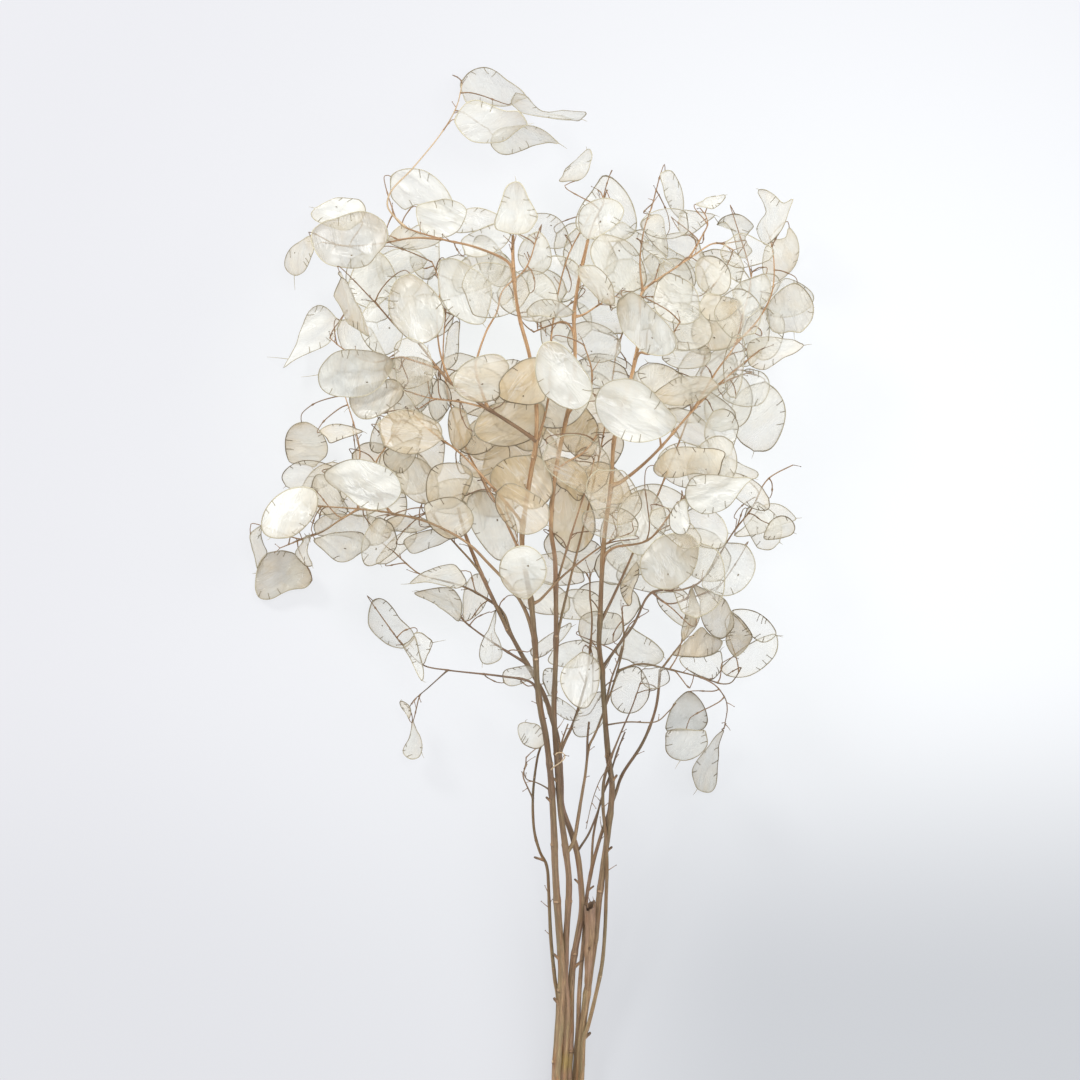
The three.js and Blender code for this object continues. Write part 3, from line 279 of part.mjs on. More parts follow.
    [65.62,11.69,101.14,-0.0855,-0.9778,0.1914,-0.1233,0.2011,0.9718,40.22,32.15,[[67.51,33.31,96.91],[67.22,33.24,94.65],[65.48,29.08,86.82],[63.66,24.2,81.61],[61.61,19.66,78.48]]],
    [74.5,20.78,69.3,0.9936,0.0601,-0.0958,0.071,0.3274,0.9422,47.47,33.97,[[48.93,19.23,71.77],[47.5,16.85,74.95],[47.85,13.51,79.34],[49.64,7.5,87.03],[49.72,2.15,93.5]]],
    [47.29,27.74,138.51,-0.526,0.7833,0.3314,0.0759,-0.3449,0.9356,41.82,29.97,[[59.34,9.8,130.92],[59.99,6.37,125.28],[57.09,3.87,114.83],[51.44,1.92,104.15],[44.89,-1.42,97.18]]],
    [54.37,-3.64,50.01,0.4965,-0.8272,-0.263,0.6788,0.1812,0.7116,48.05,34.65,[[41.45,17.89,56.85],[41.55,19.21,59.96],[44.09,18.32,66.5],[48.19,15.01,74.54],[51.97,10.69,82.66],[53.55,6.81,89.47]]],
    [45.47,10.99,142.33,-0.7639,0.3761,0.5244,0.0633,-0.7651,0.6408,41.03,29.36,[[62.67,2.52,130.52],[63.23,1.1,124.58],[58.57,0.19,114.73],[50.47,-0.71,105.12],[42.25,-2.87,98.87]]],
  ]],
  ['raceme_core_rising', 'stem_centre', [[10.29,-29.94,105.97,1.1],[14.76,-14.84,107.11,1.01],[18.25,-3.14,107.61,0.95],[22.72,11.34,107.39,0.88],[27.37,25.75,106.12,0.85],[31.09,37.3,104.45,0.85],[35.07,51.96,101.87,0.85]], [
    [19.65,15.72,80.35,-0.8946,0.4251,-0.1377,0.0393,0.3818,0.9234,39.6,28.05,[[39.15,6.45,83.36],[38.81,5.7,86.7],[33.65,5.57,93.85],[26.01,5.14,101.75],[20.01,2.66,107.65]]],
    [43.77,36.58,86.8,0.827,-0.2592,-0.4989,0.5614,0.4272,0.7087,39.35,30.48,[[25.84,42.2,97.61],[25.59,40.06,99.36],[25.76,37.64,100.89],[26.93,31.41,103.85],[27.37,25.75,106.12]]],
    [35.77,32.65,42.15,0.5824,-0.6577,-0.4778,0.1991,-0.4544,0.8682,43.08,32.27,[[22.06,48.13,53.4],[23.47,55.16,69.63],[30.01,56.02,85.57],[35.07,51.96,101.87]]],
    [22.66,-7.96,51.32,0.7631,-0.5165,-0.3884,-0.1294,-0.711,0.6912,44.97,34.29,[[3.98,4.69,60.83],[2.41,6.8,67.85],[7.64,5.24,83.3],[14.03,0.6,96.99],[17.37,-6.05,107.54]]],
    [39.18,60.29,53.91,0.4201,0.7922,-0.4426,0.1608,0.415,0.8955,39.98,28.54,[[29.94,42.87,63.64],[28.31,28.63,105.75]]],
  ]],
  ['raceme_right_level', 'stem_right', [[40.62,-12.13,106.85,1.1],[51.7,-3.98,111.8,1.01],[66.13,-1.6,116.57,0.95],[79,9.83,121.79,0.88],[87.77,21.48,125.61,0.85],[96.99,32.74,129.05,0.85],[107.84,42.37,132.33,0.85]], [
    [110.93,29.33,149.83,0.9752,0.2073,0.0782,0.0497,-0.5489,0.8344,40.69,30.29,[[89.14,24.7,148.08],[88.26,24.46,145.79],[88.04,23.89,137.11],[88.51,23.11,130.6],[87.77,21.48,125.61]]],
    [88.61,15.19,168.32,-0.0639,-0.7305,0.6799,0.8207,0.3491,0.4523,38.05,28.79,[[89.95,30.55,154.03],[90.91,30.55,141.27],[89.56,23.78,126.32]]],
    [82.96,-12.86,127.63,-0.1732,-0.9822,0.0733,-0.1256,0.0958,0.9874,39.9,36.3,[[86.76,8.7,126.03],[82.37,14.59,123.38]]],
    [96.19,48.74,134.94,0.9954,-0,0.0954,-0.0704,0.6749,0.7345,45.14,33.06,[[71.73,48.74,132.6],[68.22,45.49,131.33],[67.4,34.57,128.09],[69.05,22.99,124.84],[70.57,8.49,120.58],[68.83,-0.49,117.49]]],
    [106.31,7.73,122.89,0.7498,-0.1601,0.642,-0.6558,-0.3088,0.6889,38.91,27.43,[[90.22,11.17,109.11],[87.99,10.8,110.15],[83.75,9.55,113.41],[79.42,7.53,117.6],[75.43,5.2,120.13]]],
    [111.38,48.31,122.24,0.5911,0.6346,0.4978,-0.5876,-0.084,0.8048,43.58,31.79,[[97.32,33.21,110.39],[95.71,31.34,111.45],[91.59,26.29,117.35],[88.82,22.78,122.05],[85.95,19.2,124.88]]],
    [86.74,7.92,160.09,0.7679,-0.6088,0.1991,0.4191,0.7126,0.5627,38.08,29.58,[[70.59,20.73,155.91],[70.46,22.25,152.66],[73.71,22.72,145.62],[77.15,22.04,139.93],[82.08,19.91,131.29],[84.11,16.93,124.14]]],
  ]],
  ['raceme_far_right', 'stem_right', [[40.34,-84.17,89.43,1.3],[49.18,-71.45,90.26,1.22],[58.22,-59.38,90.8,1.15],[65.31,-46.22,90.88,1.1],[73.45,-33.94,90.37,1.04],[88.3,-33.09,89.18,0.99],[102.6,-28.72,87.21,0.95],[110.9,-20.08,85.06,0.91],[118.88,-7.27,81.65,0.86],[127,5.52,77.48,0.85],[136.63,17.34,72.61,0.85],[144.17,30.58,67.17,0.85],[153.42,42.56,61.3,0.85],[167.28,49.59,55.18,0.85]], [
    [153.24,13.44,11.53,0.9333,-0,-0.359,0.252,0.7122,0.6552,40.32,28.72,[[132.56,13.44,19.49],[129.94,15.03,23.92],[131.7,19.93,34.81],[136.11,24.36,45.45],[141.53,28.08,58.95],[142.91,27.79,68.3]]],
    [157.42,7.87,76.28,0.8545,-0.3103,-0.4166,0.3916,-0.1422,0.9091,24.5,14.41,[[145.25,12.29,82.22],[136.63,17.34,72.61]]],
    [135.92,31.37,86.22,-0.7169,0.1544,0.6799,0.6084,0.6147,0.502,39.24,30.58,[[151.42,28.03,71.52],[152.49,30.69,69.34],[152.89,36.29,65.68],[150.93,40.73,62.5]]],
    [128.28,46.95,54.98,-0.4645,0.4305,-0.7739,0.1709,0.901,0.3987,39.52,29.3,[[138.39,37.58,71.82],[144.17,30.58,67.17]]],
    [146.75,9.43,57.68,0.5878,-0.5774,-0.5667,0.68,-0.0269,0.7328,38.16,27.62,[[134.36,21.6,69.63],[133.05,19.29,71.37],[131,13.48,74.18],[128.84,7.95,76.56]]],
  ]],
  ['raceme_lower_right', 'raceme_far_right', [[73.45,-33.94,90.37,0.85],[85.76,-41.7,88.14,0.85],[100.65,-37.32,77.89,0.85],[116.18,-33,59.68,0.85]], [
    [123.55,-18.96,85.27,-0.5639,-0.8053,0.1829,0.2188,0.0678,0.9734,39.79,31.61,[[135.89,-1.33,81.27],[136.45,-1.14,78.98],[133.61,-7.15,72.48],[129,-15.21,66.99],[121.49,-26.65,61.23],[116.18,-33,59.68]]],
    [97.25,-46.68,106.71,-0.1505,-0.8535,0.4989,-0.8412,0.3757,0.389,39.31,29.2,[[100.51,-28.19,95.91],[99.96,-29.6,92.54],[97.95,-34.34,86.87],[94.62,-39.13,83.17]]],
    [107.12,-10.2,61.23,-0.4591,0.7225,-0.517,0.0031,0.5832,0.8123,46.85,33.31,[[118.79,-28.57,74.38],[116.18,-30.7,74.45],[109.78,-33.9,74.09],[103.72,-36.47,74.71]]],
    [72.63,-24.92,41.22,-0.723,0.3908,-0.5696,0.0471,0.8505,0.5238,47.46,34.83,[[91.23,-34.97,55.88],[91.69,-40.19,85.22]]],
    [102.9,-26.28,128.88,0.0695,0.9916,-0.1093,-0.4773,0.1293,0.8692,48.22,35.77,[[101.08,-52.17,131.73],[99.65,-55.19,128.5],[96.38,-54.5,119.68],[91.79,-50.31,108.18],[86.22,-44.76,97.13],[80.06,-40.03,89.67]]],
  ]],
  ['raceme_lowest_right', 'raceme_inner_right', [[50.62,-85.98,81.37,0.91],[64.33,-81.19,82.18,0.85],[78.97,-83.29,81.24,0.85],[93.56,-86.9,77.35,0.85],[108.25,-90.96,70.12,0.85],[123.07,-95.17,59.93,0.85],[133.26,-84.86,47.99,0.85]], [
    [142.54,-80.68,10.65,0.7794,0.45,-0.4359,0.0854,0.6129,0.7855,40.32,30.8,[[125.26,-90.65,20.31],[124.97,-90.42,24.31],[127.63,-88.12,31.91],[131.49,-85.41,40.4],[133.26,-84.86,47.99]]],
    [130.92,-66.12,55.05,0.5142,0.6128,-0.6,-0.3097,0.7851,0.5364,39.55,29.49,[[119.73,-79.47,68.12],[116.99,-94.06,64.3]]],
    [114.97,-46.91,56.91,0.5746,-0.7355,-0.359,0.5851,0.0625,0.8085,39.4,30.32,[[102.51,-30.96,64.7],[99.13,-32.03,67.5],[96.49,-42.5,70.67],[94.24,-58.41,73.7],[90.84,-74.29,76.78],[84.79,-84.7,80.08]]],
    [144.23,-58.49,41.37,0.877,-0.3192,0.359,-0.286,0.2535,0.9241,39.88,29.54,[[124.99,-51.49,33.49],[123.47,-53.14,33.61],[124.09,-59.03,35.85],[127.91,-70.91,41.45],[130.76,-80.15,46.26],[131.65,-87.39,50.44]]],
    [106.93,-81.85,59.75,0.3418,0.76,-0.5528,0.7412,0.1436,0.6558,39.76,30.32,[[99.45,-98.48,71.85],[97.61,-97.02,73.43],[95.86,-95.06,74.74],[91.82,-89.61,77.19],[87.72,-85.39,79.3]]],
  ]],
  ['raceme_lowest_right_tip', 'raceme_lowest_right', [[105.32,-90.07,71.82,0.85],[118.01,-98.37,64.06,0.85],[123.98,-109.53,50.86,0.85],[123.01,-125.69,25.82,0.85]], [
    [112.8,-148.39,14.23,-0.3671,-0.9086,-0.1992,0.7695,-0.417,0.4837,43.89,32.67,[[121.59,-126.63,19],[123.01,-125.69,25.82]]],
    [97.9,-117.22,35.97,0.0512,-0.7315,-0.6799,-0.2833,-0.6634,0.6925,40.01,29.65,[[96.78,-101.12,50.93],[98.66,-100.32,52.51],[106.25,-99.74,56.46],[114.71,-99.7,60.67],[118.01,-98.37,64.06]]],
    [95.14,-134.51,75.42,-0.1273,-0.7222,0.6799,-0.3694,0.6707,0.6432,40.09,28.95,[[97.95,-118.59,60.43],[108.57,-112.09,56.77],[121.73,-103.52,58.41]]],
  ]],
  ['raceme_low_right_end', 'stem_right_centre', [[78.9,-86.13,70,0.91],[85.91,-76.65,71.92,0.85],[94.79,-64.91,72.26,0.85],[98.59,-53.9,70.88,0.85]], [
    [104.28,-67.56,76.5,0.8157,0.3804,0.4359,-0.5692,0.3929,0.7223,39.3,29.38,[[86.62,-75.79,67.06],[84.16,-79.02,71.53]]],
    [90.91,-43.79,45.76,-0.2224,0.7337,-0.642,0.5213,0.646,0.5576,39.48,30.76,[[95.74,-59.74,59.72],[98.59,-53.9,70.88]]],
  ]],
  ['raceme_low_front', 'stem_thin_right', [[46.6,-142.41,74.85,0.98],[53.4,-125.42,77.54,0.85],[59.47,-111.51,78.34,0.85],[65.57,-94.42,77.27,0.85]], [
    [59.61,-100.02,50.48,-0.8309,-0.0633,-0.5528,-0.5184,0.449,0.7278,39.68,28.78,[[77.76,-98.64,62.55],[76.77,-97.37,65.28],[75.13,-96.23,67.75],[70.08,-94.29,72.91],[65.57,-94.42,77.27]]],
    [72.92,-88.55,95.73,0.4481,0.4936,0.7454,0.3317,-0.866,0.3742,39.66,30.62,[[63.14,-99.32,79.46],[62.65,-103.01,77.99]]],
  ]],
  ['raceme_back_centre', 'stem_centre', [[10.49,-66.02,96.51,1.17],[13.77,-50.76,95.75,1.1],[17.14,-36.13,94.71,1.06],[20.65,-21.63,93.23,1.01],[25.11,-4.3,90.67,0.96],[28.84,10.17,87.77,0.93],[32.38,24.74,84.1,0.89],[35.64,39.42,79.63,0.85],[38.74,54.21,74.35,0.85],[41.66,69.11,68.3,0.85],[44.89,87.18,60.13,0.85],[47.32,102.39,52.66,0.85],[49.63,117.73,44.75,0.85],[51.94,133.17,36.57,0.85]], [
    [45.46,107.19,13.36,-0.8473,0.1504,-0.5094,-0.5301,-0.2998,0.7932,48.23,36.78,[[67.59,103.26,26.66],[66.98,104.58,30.01],[61.78,107.95,35.79],[54.34,111.13,42.07],[48.71,111.58,47.96]]],
    [42.2,110.77,62.72,-0.723,-0.1225,0.6799,0.4393,0.678,0.5894,39.18,27.63,[[57.81,113.41,48.04],[57.74,115.88,46.34],[57.25,118.32,44.87],[54.66,123.59,42.14],[51,126.98,39.86]]],
    [40.66,84.68,52.48,-0.823,0.3085,-0.477,-0.3158,0.4496,0.8356,43.75,33.83,[[60.31,77.32,63.87],[58.83,74.65,65.79],[54.68,71.42,67.43],[46.2,65.8,69.71],[39.93,60.15,72.02]]],
    [31.41,98.37,28.34,-0.8915,0.1362,-0.4321,-0.3765,0.3079,0.8738,42.93,31.21,[[52.32,95.17,38.48],[51.97,97.14,41.41],[49.67,100.83,47.09],[47.32,102.39,52.66]]],
    [-8.15,62.43,67,-0.8687,0.3882,-0.3077,-0.1766,0.3376,0.9246,45.84,34.06,[[13.5,52.75,74.66],[37.52,48.28,76.56]]],
    [14.55,147.17,25.24,-0.9036,0.3081,-0.2976,-0.0965,0.5304,0.8423,43.37,33.22,[[35.95,139.87,32.29],[51.94,133.17,36.57]]],
    [67.38,158.08,41.45,0.4901,0.8085,0.3257,-0.0398,-0.3525,0.9349,42.41,30.6,[[56.01,139.32,33.89],[51.46,130.08,38.21]]],
    [16.69,81.72,69.74,-0.8001,0.2304,-0.5538,-0.5877,-0.1169,0.8006,42.01,30.51,[[35.09,76.42,82.48],[36.31,74.54,81.88],[38.41,67.6,78.02],[38.98,62.15,74.85],[39.33,57.18,73.2]]],
    [42.75,154.31,50.2,-0.4632,0.7786,0.4234,-0.2562,-0.575,0.777,46.04,34.22,[[54.34,134.83,39.6],[53.38,131.75,39.84],[52.38,129.01,40.25],[50.54,123.89,41.49]]],
  ]],
  ['raceme_back_right', 'stem_right', [[38.95,-54.08,97.4,1.17],[45.39,-41.6,96.2,1.11],[51.73,-28.28,94.71,1.06],[57.92,-14.72,92.77,1.02],[63.95,-1.03,90.27,0.98],[69.92,12.72,87.11,0.94],[75.85,26.56,83.21,0.9],[80.55,37.69,79.54,0.87],[86.33,51.73,74.24,0.85],[92.06,65.88,68.17,0.85],[97.54,80.22,61.36,0.85],[102.56,94.85,53.89,0.85],[106.92,109.79,45.86,0.85],[110.93,124.95,37.39,0.85],[114.87,140.25,28.66,0.85]], [
    [96.65,170.9,13.92,-0.5024,0.6624,-0.5557,-0.0539,0.6174,0.7848,48.49,35.5,[[109.84,153.52,28.51],[114.87,140.25,28.66]]],
    [105.32,91.01,13.49,0.9639,0.0734,-0.2558,0.2234,-0.7456,0.6279,47.48,33.95,[[80.51,89.12,20.08],[77.35,87.17,25.78],[79.01,83.86,34.47],[84.67,78.24,47.51],[89.41,72.95,57.85],[92.06,65.88,68.17]]],
    [97.14,48.55,50.89,0.8596,0.0431,-0.5092,0.4325,0.4694,0.7699,45.37,34.64,[[75.93,47.48,63.45],[76.44,46.7,66.13],[77.33,45.83,68.67],[80.15,43.45,74.08],[81.71,40.49,78.54]]],
    [92.52,140.37,30.93,-0.9863,0.1359,-0.0935,-0.1048,-0.0785,0.9914,37.51,28.11,[[112.99,137.55,32.87],[113.27,134.12,32.17]]],
    [131.86,134.06,24.79,0.79,-0.2834,-0.5437,0.5554,-0.0447,0.8304,45.72,33.91,[[112.22,141.11,38.3],[109.79,134.85,40.19],[109.26,124.74,41.08],[108.55,115.84,42.52]]],
    [109.28,140.49,50.47,-0.9076,0.1856,0.3766,0.4185,0.3281,0.8469,49.2,37.7,[[133.43,135.56,40.46],[132.99,133.33,39.78],[127.73,128.57,39.98],[122.27,124.68,40.74],[113.69,118.52,42.4],[107.74,112.81,44.2]]],
    [125.68,169.36,11.54,-0.0749,0.9059,-0.4169,-0.1953,0.3967,0.8969,45.84,33.4,[[127.55,146.78,21.93],[114.06,137.18,30.42]]],
    [81.54,100.49,43.59,-0.8438,0.4785,-0.2429,0.0006,0.4536,0.8912,43.77,33.12,[[101.7,89.06,49.39],[101.16,87.56,52.4],[100.38,86.18,55.13],[98.59,83.13,59.92]]],
    [111.97,112.73,20.33,0.955,-0.0263,-0.2956,0.2461,-0.4864,0.8384,40.85,31.28,[[90.56,113.32,26.96],[91.1,112.48,30.57],[94.23,111.03,35.07],[100.94,107.81,42.65],[105.24,103.78,49.14]]],
  ]],
  ['raceme_back_left', 'stem_left', [[-10.64,-12.29,116.32,1.17],[-16.96,0.81,113.16,1.1],[-23.32,14.26,109.54,1.04],[-28.85,24.88,106.11,1],[-36.45,37.87,100.98,0.96],[-43.99,50.98,94.77,0.91],[-50.68,64.67,87.4,0.87],[-55.91,79.1,78.84,0.85],[-60.02,94.04,69.12,0.85],[-63.02,109.39,58.32,0.85],[-64.19,121.95,49.01,0.85],[-63.87,137.85,36.69,0.85],[-62.89,153.88,23.91,0.85]], [
    [-75.74,150.37,9.53,-0.8759,-0.1295,-0.4647,-0.4412,-0.1744,0.8803,42.36,30.13,[[-55.44,153.37,20.3],[-55.79,152.14,22.28],[-57.97,148.92,26.24],[-61.38,144.79,30.47],[-63.68,141.04,34.16]]],
    [-19.52,50.42,77.53,0.865,0.4765,-0.1574,-0.1135,0.4914,0.8635,44.35,32.48,[[-40.43,38.9,81.34],[-40.81,38.71,83.83],[-40.23,38.81,89.46],[-38.31,38.93,95.86],[-36.45,37.87,100.98]]],
    [-30.18,30.78,67.2,0.9053,0.2223,-0.3619,0.2522,0.4041,0.8793,44.76,34.56,[[-52.26,25.36,76.02],[-52.68,26.02,79.21],[-49.43,28.41,85.41],[-45.48,30.38,90.16],[-38.76,32.68,97.26],[-33.37,32.68,103.15]]],
    [-42.44,98.26,55.61,0.9637,-0.1928,0.1846,-0.2421,-0.3401,0.9087,44.48,34.48,[[-65.8,102.94,51.13],[-66.41,106.06,49.94],[-66.37,109.16,48.99],[-65.12,116.22,47.82],[-64.19,121.95,49.01]]],
    [-53.14,111.77,32.89,0.805,-0.1938,-0.5607,0.3186,-0.656,0.6842,40,28.84,[[-70.85,116.04,45.23],[-69.73,115.1,48.18],[-66.15,112.52,53.55],[-63.02,109.39,58.32]]],
    [-60.88,176.16,14.38,0.2711,0.7818,-0.5615,-0.1955,0.6159,0.7631,38.68,30.06,[[-66.66,159.48,26.36],[-63.02,150.65,26.48]]],
    [-33.63,67.86,59.81,0.7866,0.4116,-0.4603,0.4983,0.0172,0.8668,39.49,28.09,[[-50.73,58.91,69.82],[-51.7,60.39,72.41],[-52.19,62.06,74.88],[-52.24,65.9,80.46],[-51.82,67.51,85.79]]],
    [-93.84,183.13,12.85,-0.4055,0.894,-0.1907,-0.3326,0.05,0.9417,42.77,31.96,[[-84.36,162.23,17.31],[-62.89,153.88,23.91]]],
    [-23.08,111.01,40.78,0.9601,0.0985,-0.2618,0.1,0.7532,0.6502,39.9,29.4,[[-44.15,108.85,46.53],[-63.47,112.51,56.05]]],
  ]],
  ['raceme_back_top', 'stem_left', [[-3.58,54.94,134.63,1.1],[0.12,68.82,131.54,1.04],[3.87,83.19,127.88,0.99],[5.99,98.05,123.3,0.94],[6.51,113.17,117.59,0.9],[7.05,128.43,110.6,0.86],[8.39,140.68,104.04,0.85],[10.83,156.05,94.62,0.85],[14.05,171.47,83.93,0.85],[18.59,186.74,72.12,0.85],[25.38,201.34,59.4,0.85],[33.17,215.63,46.14,0.85]], [
    [30.09,193.68,8.06,0.7942,-0.5042,-0.3392,0.3519,-0.0735,0.9331,48.18,33.89,[[9.37,206.83,16.91],[9.36,209.07,19.51],[13.2,212.04,24.52],[22.47,214.99,32.88],[29.27,216,39.63],[33.17,215.63,46.14]]],
    [-6.5,74.77,99.35,-0.5284,-0.6444,-0.5528,-0.6949,-0.0458,0.7177,39.02,30.21,[[4.86,88.63,111.24],[6.16,101.06,122.25]]],
    [61.52,196.48,53.86,0.7506,-0.4333,-0.4989,0.6558,0.3957,0.6429,39.44,30.13,[[45.22,205.89,64.7],[42.73,206.75,63.52],[38.06,207.78,60.1],[33.16,207.94,56.09],[28.48,207.04,54.14]]],
    [10.54,172.58,65.25,-0.8404,0.322,-0.4359,-0.3528,0.2855,0.8911,39.65,30.7,[[28.88,165.55,74.76],[29.66,163.59,77.54],[25.98,158.78,84.31],[20.36,154.5,90.07],[12.55,148.35,97.55],[8.82,143.75,102.26]]],
    [33.22,190.03,42.24,0.7729,-0.5806,-0.256,0.1184,-0.2645,0.9571,39.81,32.16,[[16.29,202.75,47.85],[16.25,202.32,50.38],[17.68,199.95,55.83],[20.01,196.15,61.98],[21.09,192.65,67.12]]],
    [-5.19,162.25,75.61,-0.9461,0.0101,-0.3238,-0.2845,0.4525,0.8452,48.26,36.99,[[19.53,161.98,84.08],[20.37,164.79,82.76],[20.46,167.74,81.29],[18.97,174.76,78.02],[16.53,180.68,76.97]]],
    [3.36,91.85,81.43,-0.6532,-0.5881,-0.4769,0.0026,-0.6316,0.7753,42.72,30.54,[[18.62,105.59,92.57],[18.45,108.7,96.1],[15.14,112.95,102.47],[10.23,115.88,109.59],[6.57,116.21,116.3]]],
    [1.69,205.26,43.4,-0.9344,0.321,0.1543,-0.143,-0.7348,0.663,39.81,30.93,[[22.16,198.23,40.02],[24.14,200.05,40.5],[27.33,204.59,42.18],[29.85,209.74,45.05],[31.65,212.73,48.81]]],
  ]],
  ['raceme_thin_left', 'stem_left', [[7.82,-165.56,67.23,0.85],[-5.89,-158.46,68.4,0.85],[-8.56,-146.14,66.78,0.85]], [
    [-5.95,-126.26,55.85,0.1455,0.6847,-0.7141,-0.692,0.5863,0.4211,39.61,28.53,[[-9.12,-141.19,71.42],[-9.61,-149.07,67.26]]],
  ]],
];

// ------------------------------------------------------------- solids
const wasm = await Module();
wasm.setup();
const { Manifold, Mesh } = wasm;

function solid(geometry) {
  const g = geometry.index ? geometry.toNonIndexed() : geometry.clone();
  g.deleteAttribute('normal');
  g.deleteAttribute('uv');
  const m = mergeVertices(g, 1e-4);
  return new Manifold(new Mesh({
    numProp: 3,
    vertProperties: new Float32Array(m.attributes.position.array),
    triVerts: new Uint32Array(m.index.array),
  }));
}

// A closed, tapered tube of `sides` facets through [x, y, z, radius] points.
function tube(points, sides, steps, grow = 0) {
  const curve = new THREE.CatmullRomCurve3(
    points.map((p) => new THREE.Vector3(p[0], p[1], p[2])), false, 'centripetal');
  const section = new THREE.Shape();
  for (let i = 0; i < sides; i++) {
    const a = (2 * Math.PI * i) / sides;
    if (i === 0) section.moveTo(Math.cos(a), Math.sin(a));
    else section.lineTo(Math.cos(a), Math.sin(a));
  }
  section.closePath();
  const g = new THREE.ExtrudeGeometry(section, { steps, bevelEnabled: false, extrudePath: curve });
  // the section has a radius of 1: scale each ring about the path to its own
  const path = curve.getSpacedPoints(steps);
  const lengths = [0];
  for (let i = 1; i < points.length; i++) {
    lengths.push(lengths[i - 1] + Math.hypot(points[i][0] - points[i - 1][0],
      points[i][1] - points[i - 1][1], points[i][2] - points[i - 1][2]));
  }
  const total = lengths[lengths.length - 1];
  const radiusAt = (t) => {
    const s = t * total;
    let i = 1;
    while (i < lengths.length - 1 && lengths[i] < s) i++;
    const k = (s - lengths[i - 1]) / Math.max(1e-6, lengths[i] - lengths[i - 1]);
    return points[i - 1][3] + (points[i][3] - points[i - 1][3]) * Math.min(1, Math.max(0, k));
  };
  const pos = g.attributes.position;
  const v = new THREE.Vector3();
  for (let i = 0; i < pos.count; i++) {
    v.fromBufferAttribute(pos, i);
    let best = 0;
    let bestD = Infinity;
    for (let j = 0; j < path.length; j++) {
      const d = path[j].distanceToSquared(v);
      if (d < bestD) { bestD = d; best = j; }
    }
    const r = radiusAt(best / steps) + grow / Math.cos(Math.PI / sides);
    v.sub(path[best]).multiplyScalar(r).add(path[best]);
    pos.setXYZ(i, v.x, v.y, v.z);
  }
  return solid(g);
}

// A thin plate with the outline of a pod, drawn out at its base into a
// four-sided stalk that ends at the last point of `stalk` (pod to rachis).
function podOnStalk(centre, axis, normal, length, width, stalk) {
  const side = new THREE.Vector3().crossVectors(normal, axis).normalize();
  const t = POD_THICKNESS / 2;
  const at = (x, y, z) => centre.clone()
    .addScaledVector(axis, x).addScaledVector(side, y).addScaledVector(normal, z);
  const outline = [[-length / 2, -STALK_RADIUS]];
  for (let i = 1; i < POD_SIDES; i++) {
    const a = (2 * Math.PI * i) / POD_SIDES;
    outline.push([(-Math.cos(a) * length * POD_OUTLINE) / 2, (-Math.sin(a) * width * POD_OUTLINE) / 2]);
  }
  outline.push([-length / 2, STALK_RADIUS]);
  const top = outline.map(([x, y]) => at(x, y, t));
  const low = outline.map(([x, y]) => at(x, y, -t));
  const p = [];
  const tri = (a, b, c) => p.push(a.x, a.y, a.z, b.x, b.y, b.z, c.x, c.y, c.z);
  const n = outline.length;
  for (let i = 1; i < n - 1; i++) {
    tri(top[0], top[i], top[i + 1]);
    tri(low[0], low[i + 1], low[i]);
  }
  for (let i = 0; i < n - 1; i++) {
    tri(top[i], low[i], low[i + 1]);
    tri(top[i], low[i + 1], top[i + 1]);
  }
  // the stalk: rings of four, each square to the bend that it stands in
  let ring = [top[0], top[n - 1], low[n - 1], low[0]];
  let tangent = axis.clone().negate();
  let across = side.clone();
  let from = at(-length / 2, 0, 0);
  for (let k = 0; k < stalk.length; k++) {
    const last = k === stalk.length - 1;
    const dir = stalk[k].clone().sub(from).normalize();
    if (!last) dir.add(stalk[k + 1].clone().sub(stalk[k]).normalize()).normalize();
    from = stalk[k];
    across.applyQuaternion(new THREE.Quaternion().setFromUnitVectors(tangent, dir));
    across.addScaledVector(dir, -across.dot(dir)).normalize();
    tangent = dir;
    const up = new THREE.Vector3().crossVectors(across, dir).normalize();
    const r = last ? STALK_FOOT : STALK_RADIUS;
    const corner = (u, v) => stalk[k].clone().addScaledVector(across, u * r).addScaledVector(up, v * r);
    const next = [corner(-1, 1), corner(1, 1), corner(1, -1), corner(-1, -1)];
    for (let i = 0; i < 4; i++) {
      const j = (i + 1) % 4;
      tri(ring[i], ring[j], next[j]);
      tri(ring[i], next[j], next[i]);
    }
    ring = next;
  }
  tri(ring[0], ring[1], ring[2]);
  tri(ring[0], ring[2], ring[3]);
  const g = new THREE.BufferGeometry();
  g.setAttribute('position', new THREE.BufferAttribute(new Float32Array(p), 3));
  return solid(g);
}

function box(lo, hi) {
  const g = new THREE.BoxGeometry(hi[0] - lo[0], hi[1] - lo[1], hi[2] - lo[2]);
  g.translate((hi[0] + lo[0]) / 2, (hi[1] + lo[1]) / 2, (hi[2] + lo[2]) / 2);
  return solid(g);
}

const belowFloor = box([-600, -800, -60], [600, 800, FLOOR_Z]);
const pastCollar = box([-200, -900, -50], [200, COLLAR_TOP_Y, 120]);
const onFloor = (m) => (m.boundingBox().min[2] < FLOOR_Z ? m.subtract(belowFloor) : m);

// the largest body, when a cut leaves slivers behind
function whole(m) {
  const parts = m.decompose();
  if (parts.length === 1) return m;
  parts.sort((a, b) => b.volume() - a.volume());
  return parts[0];
}

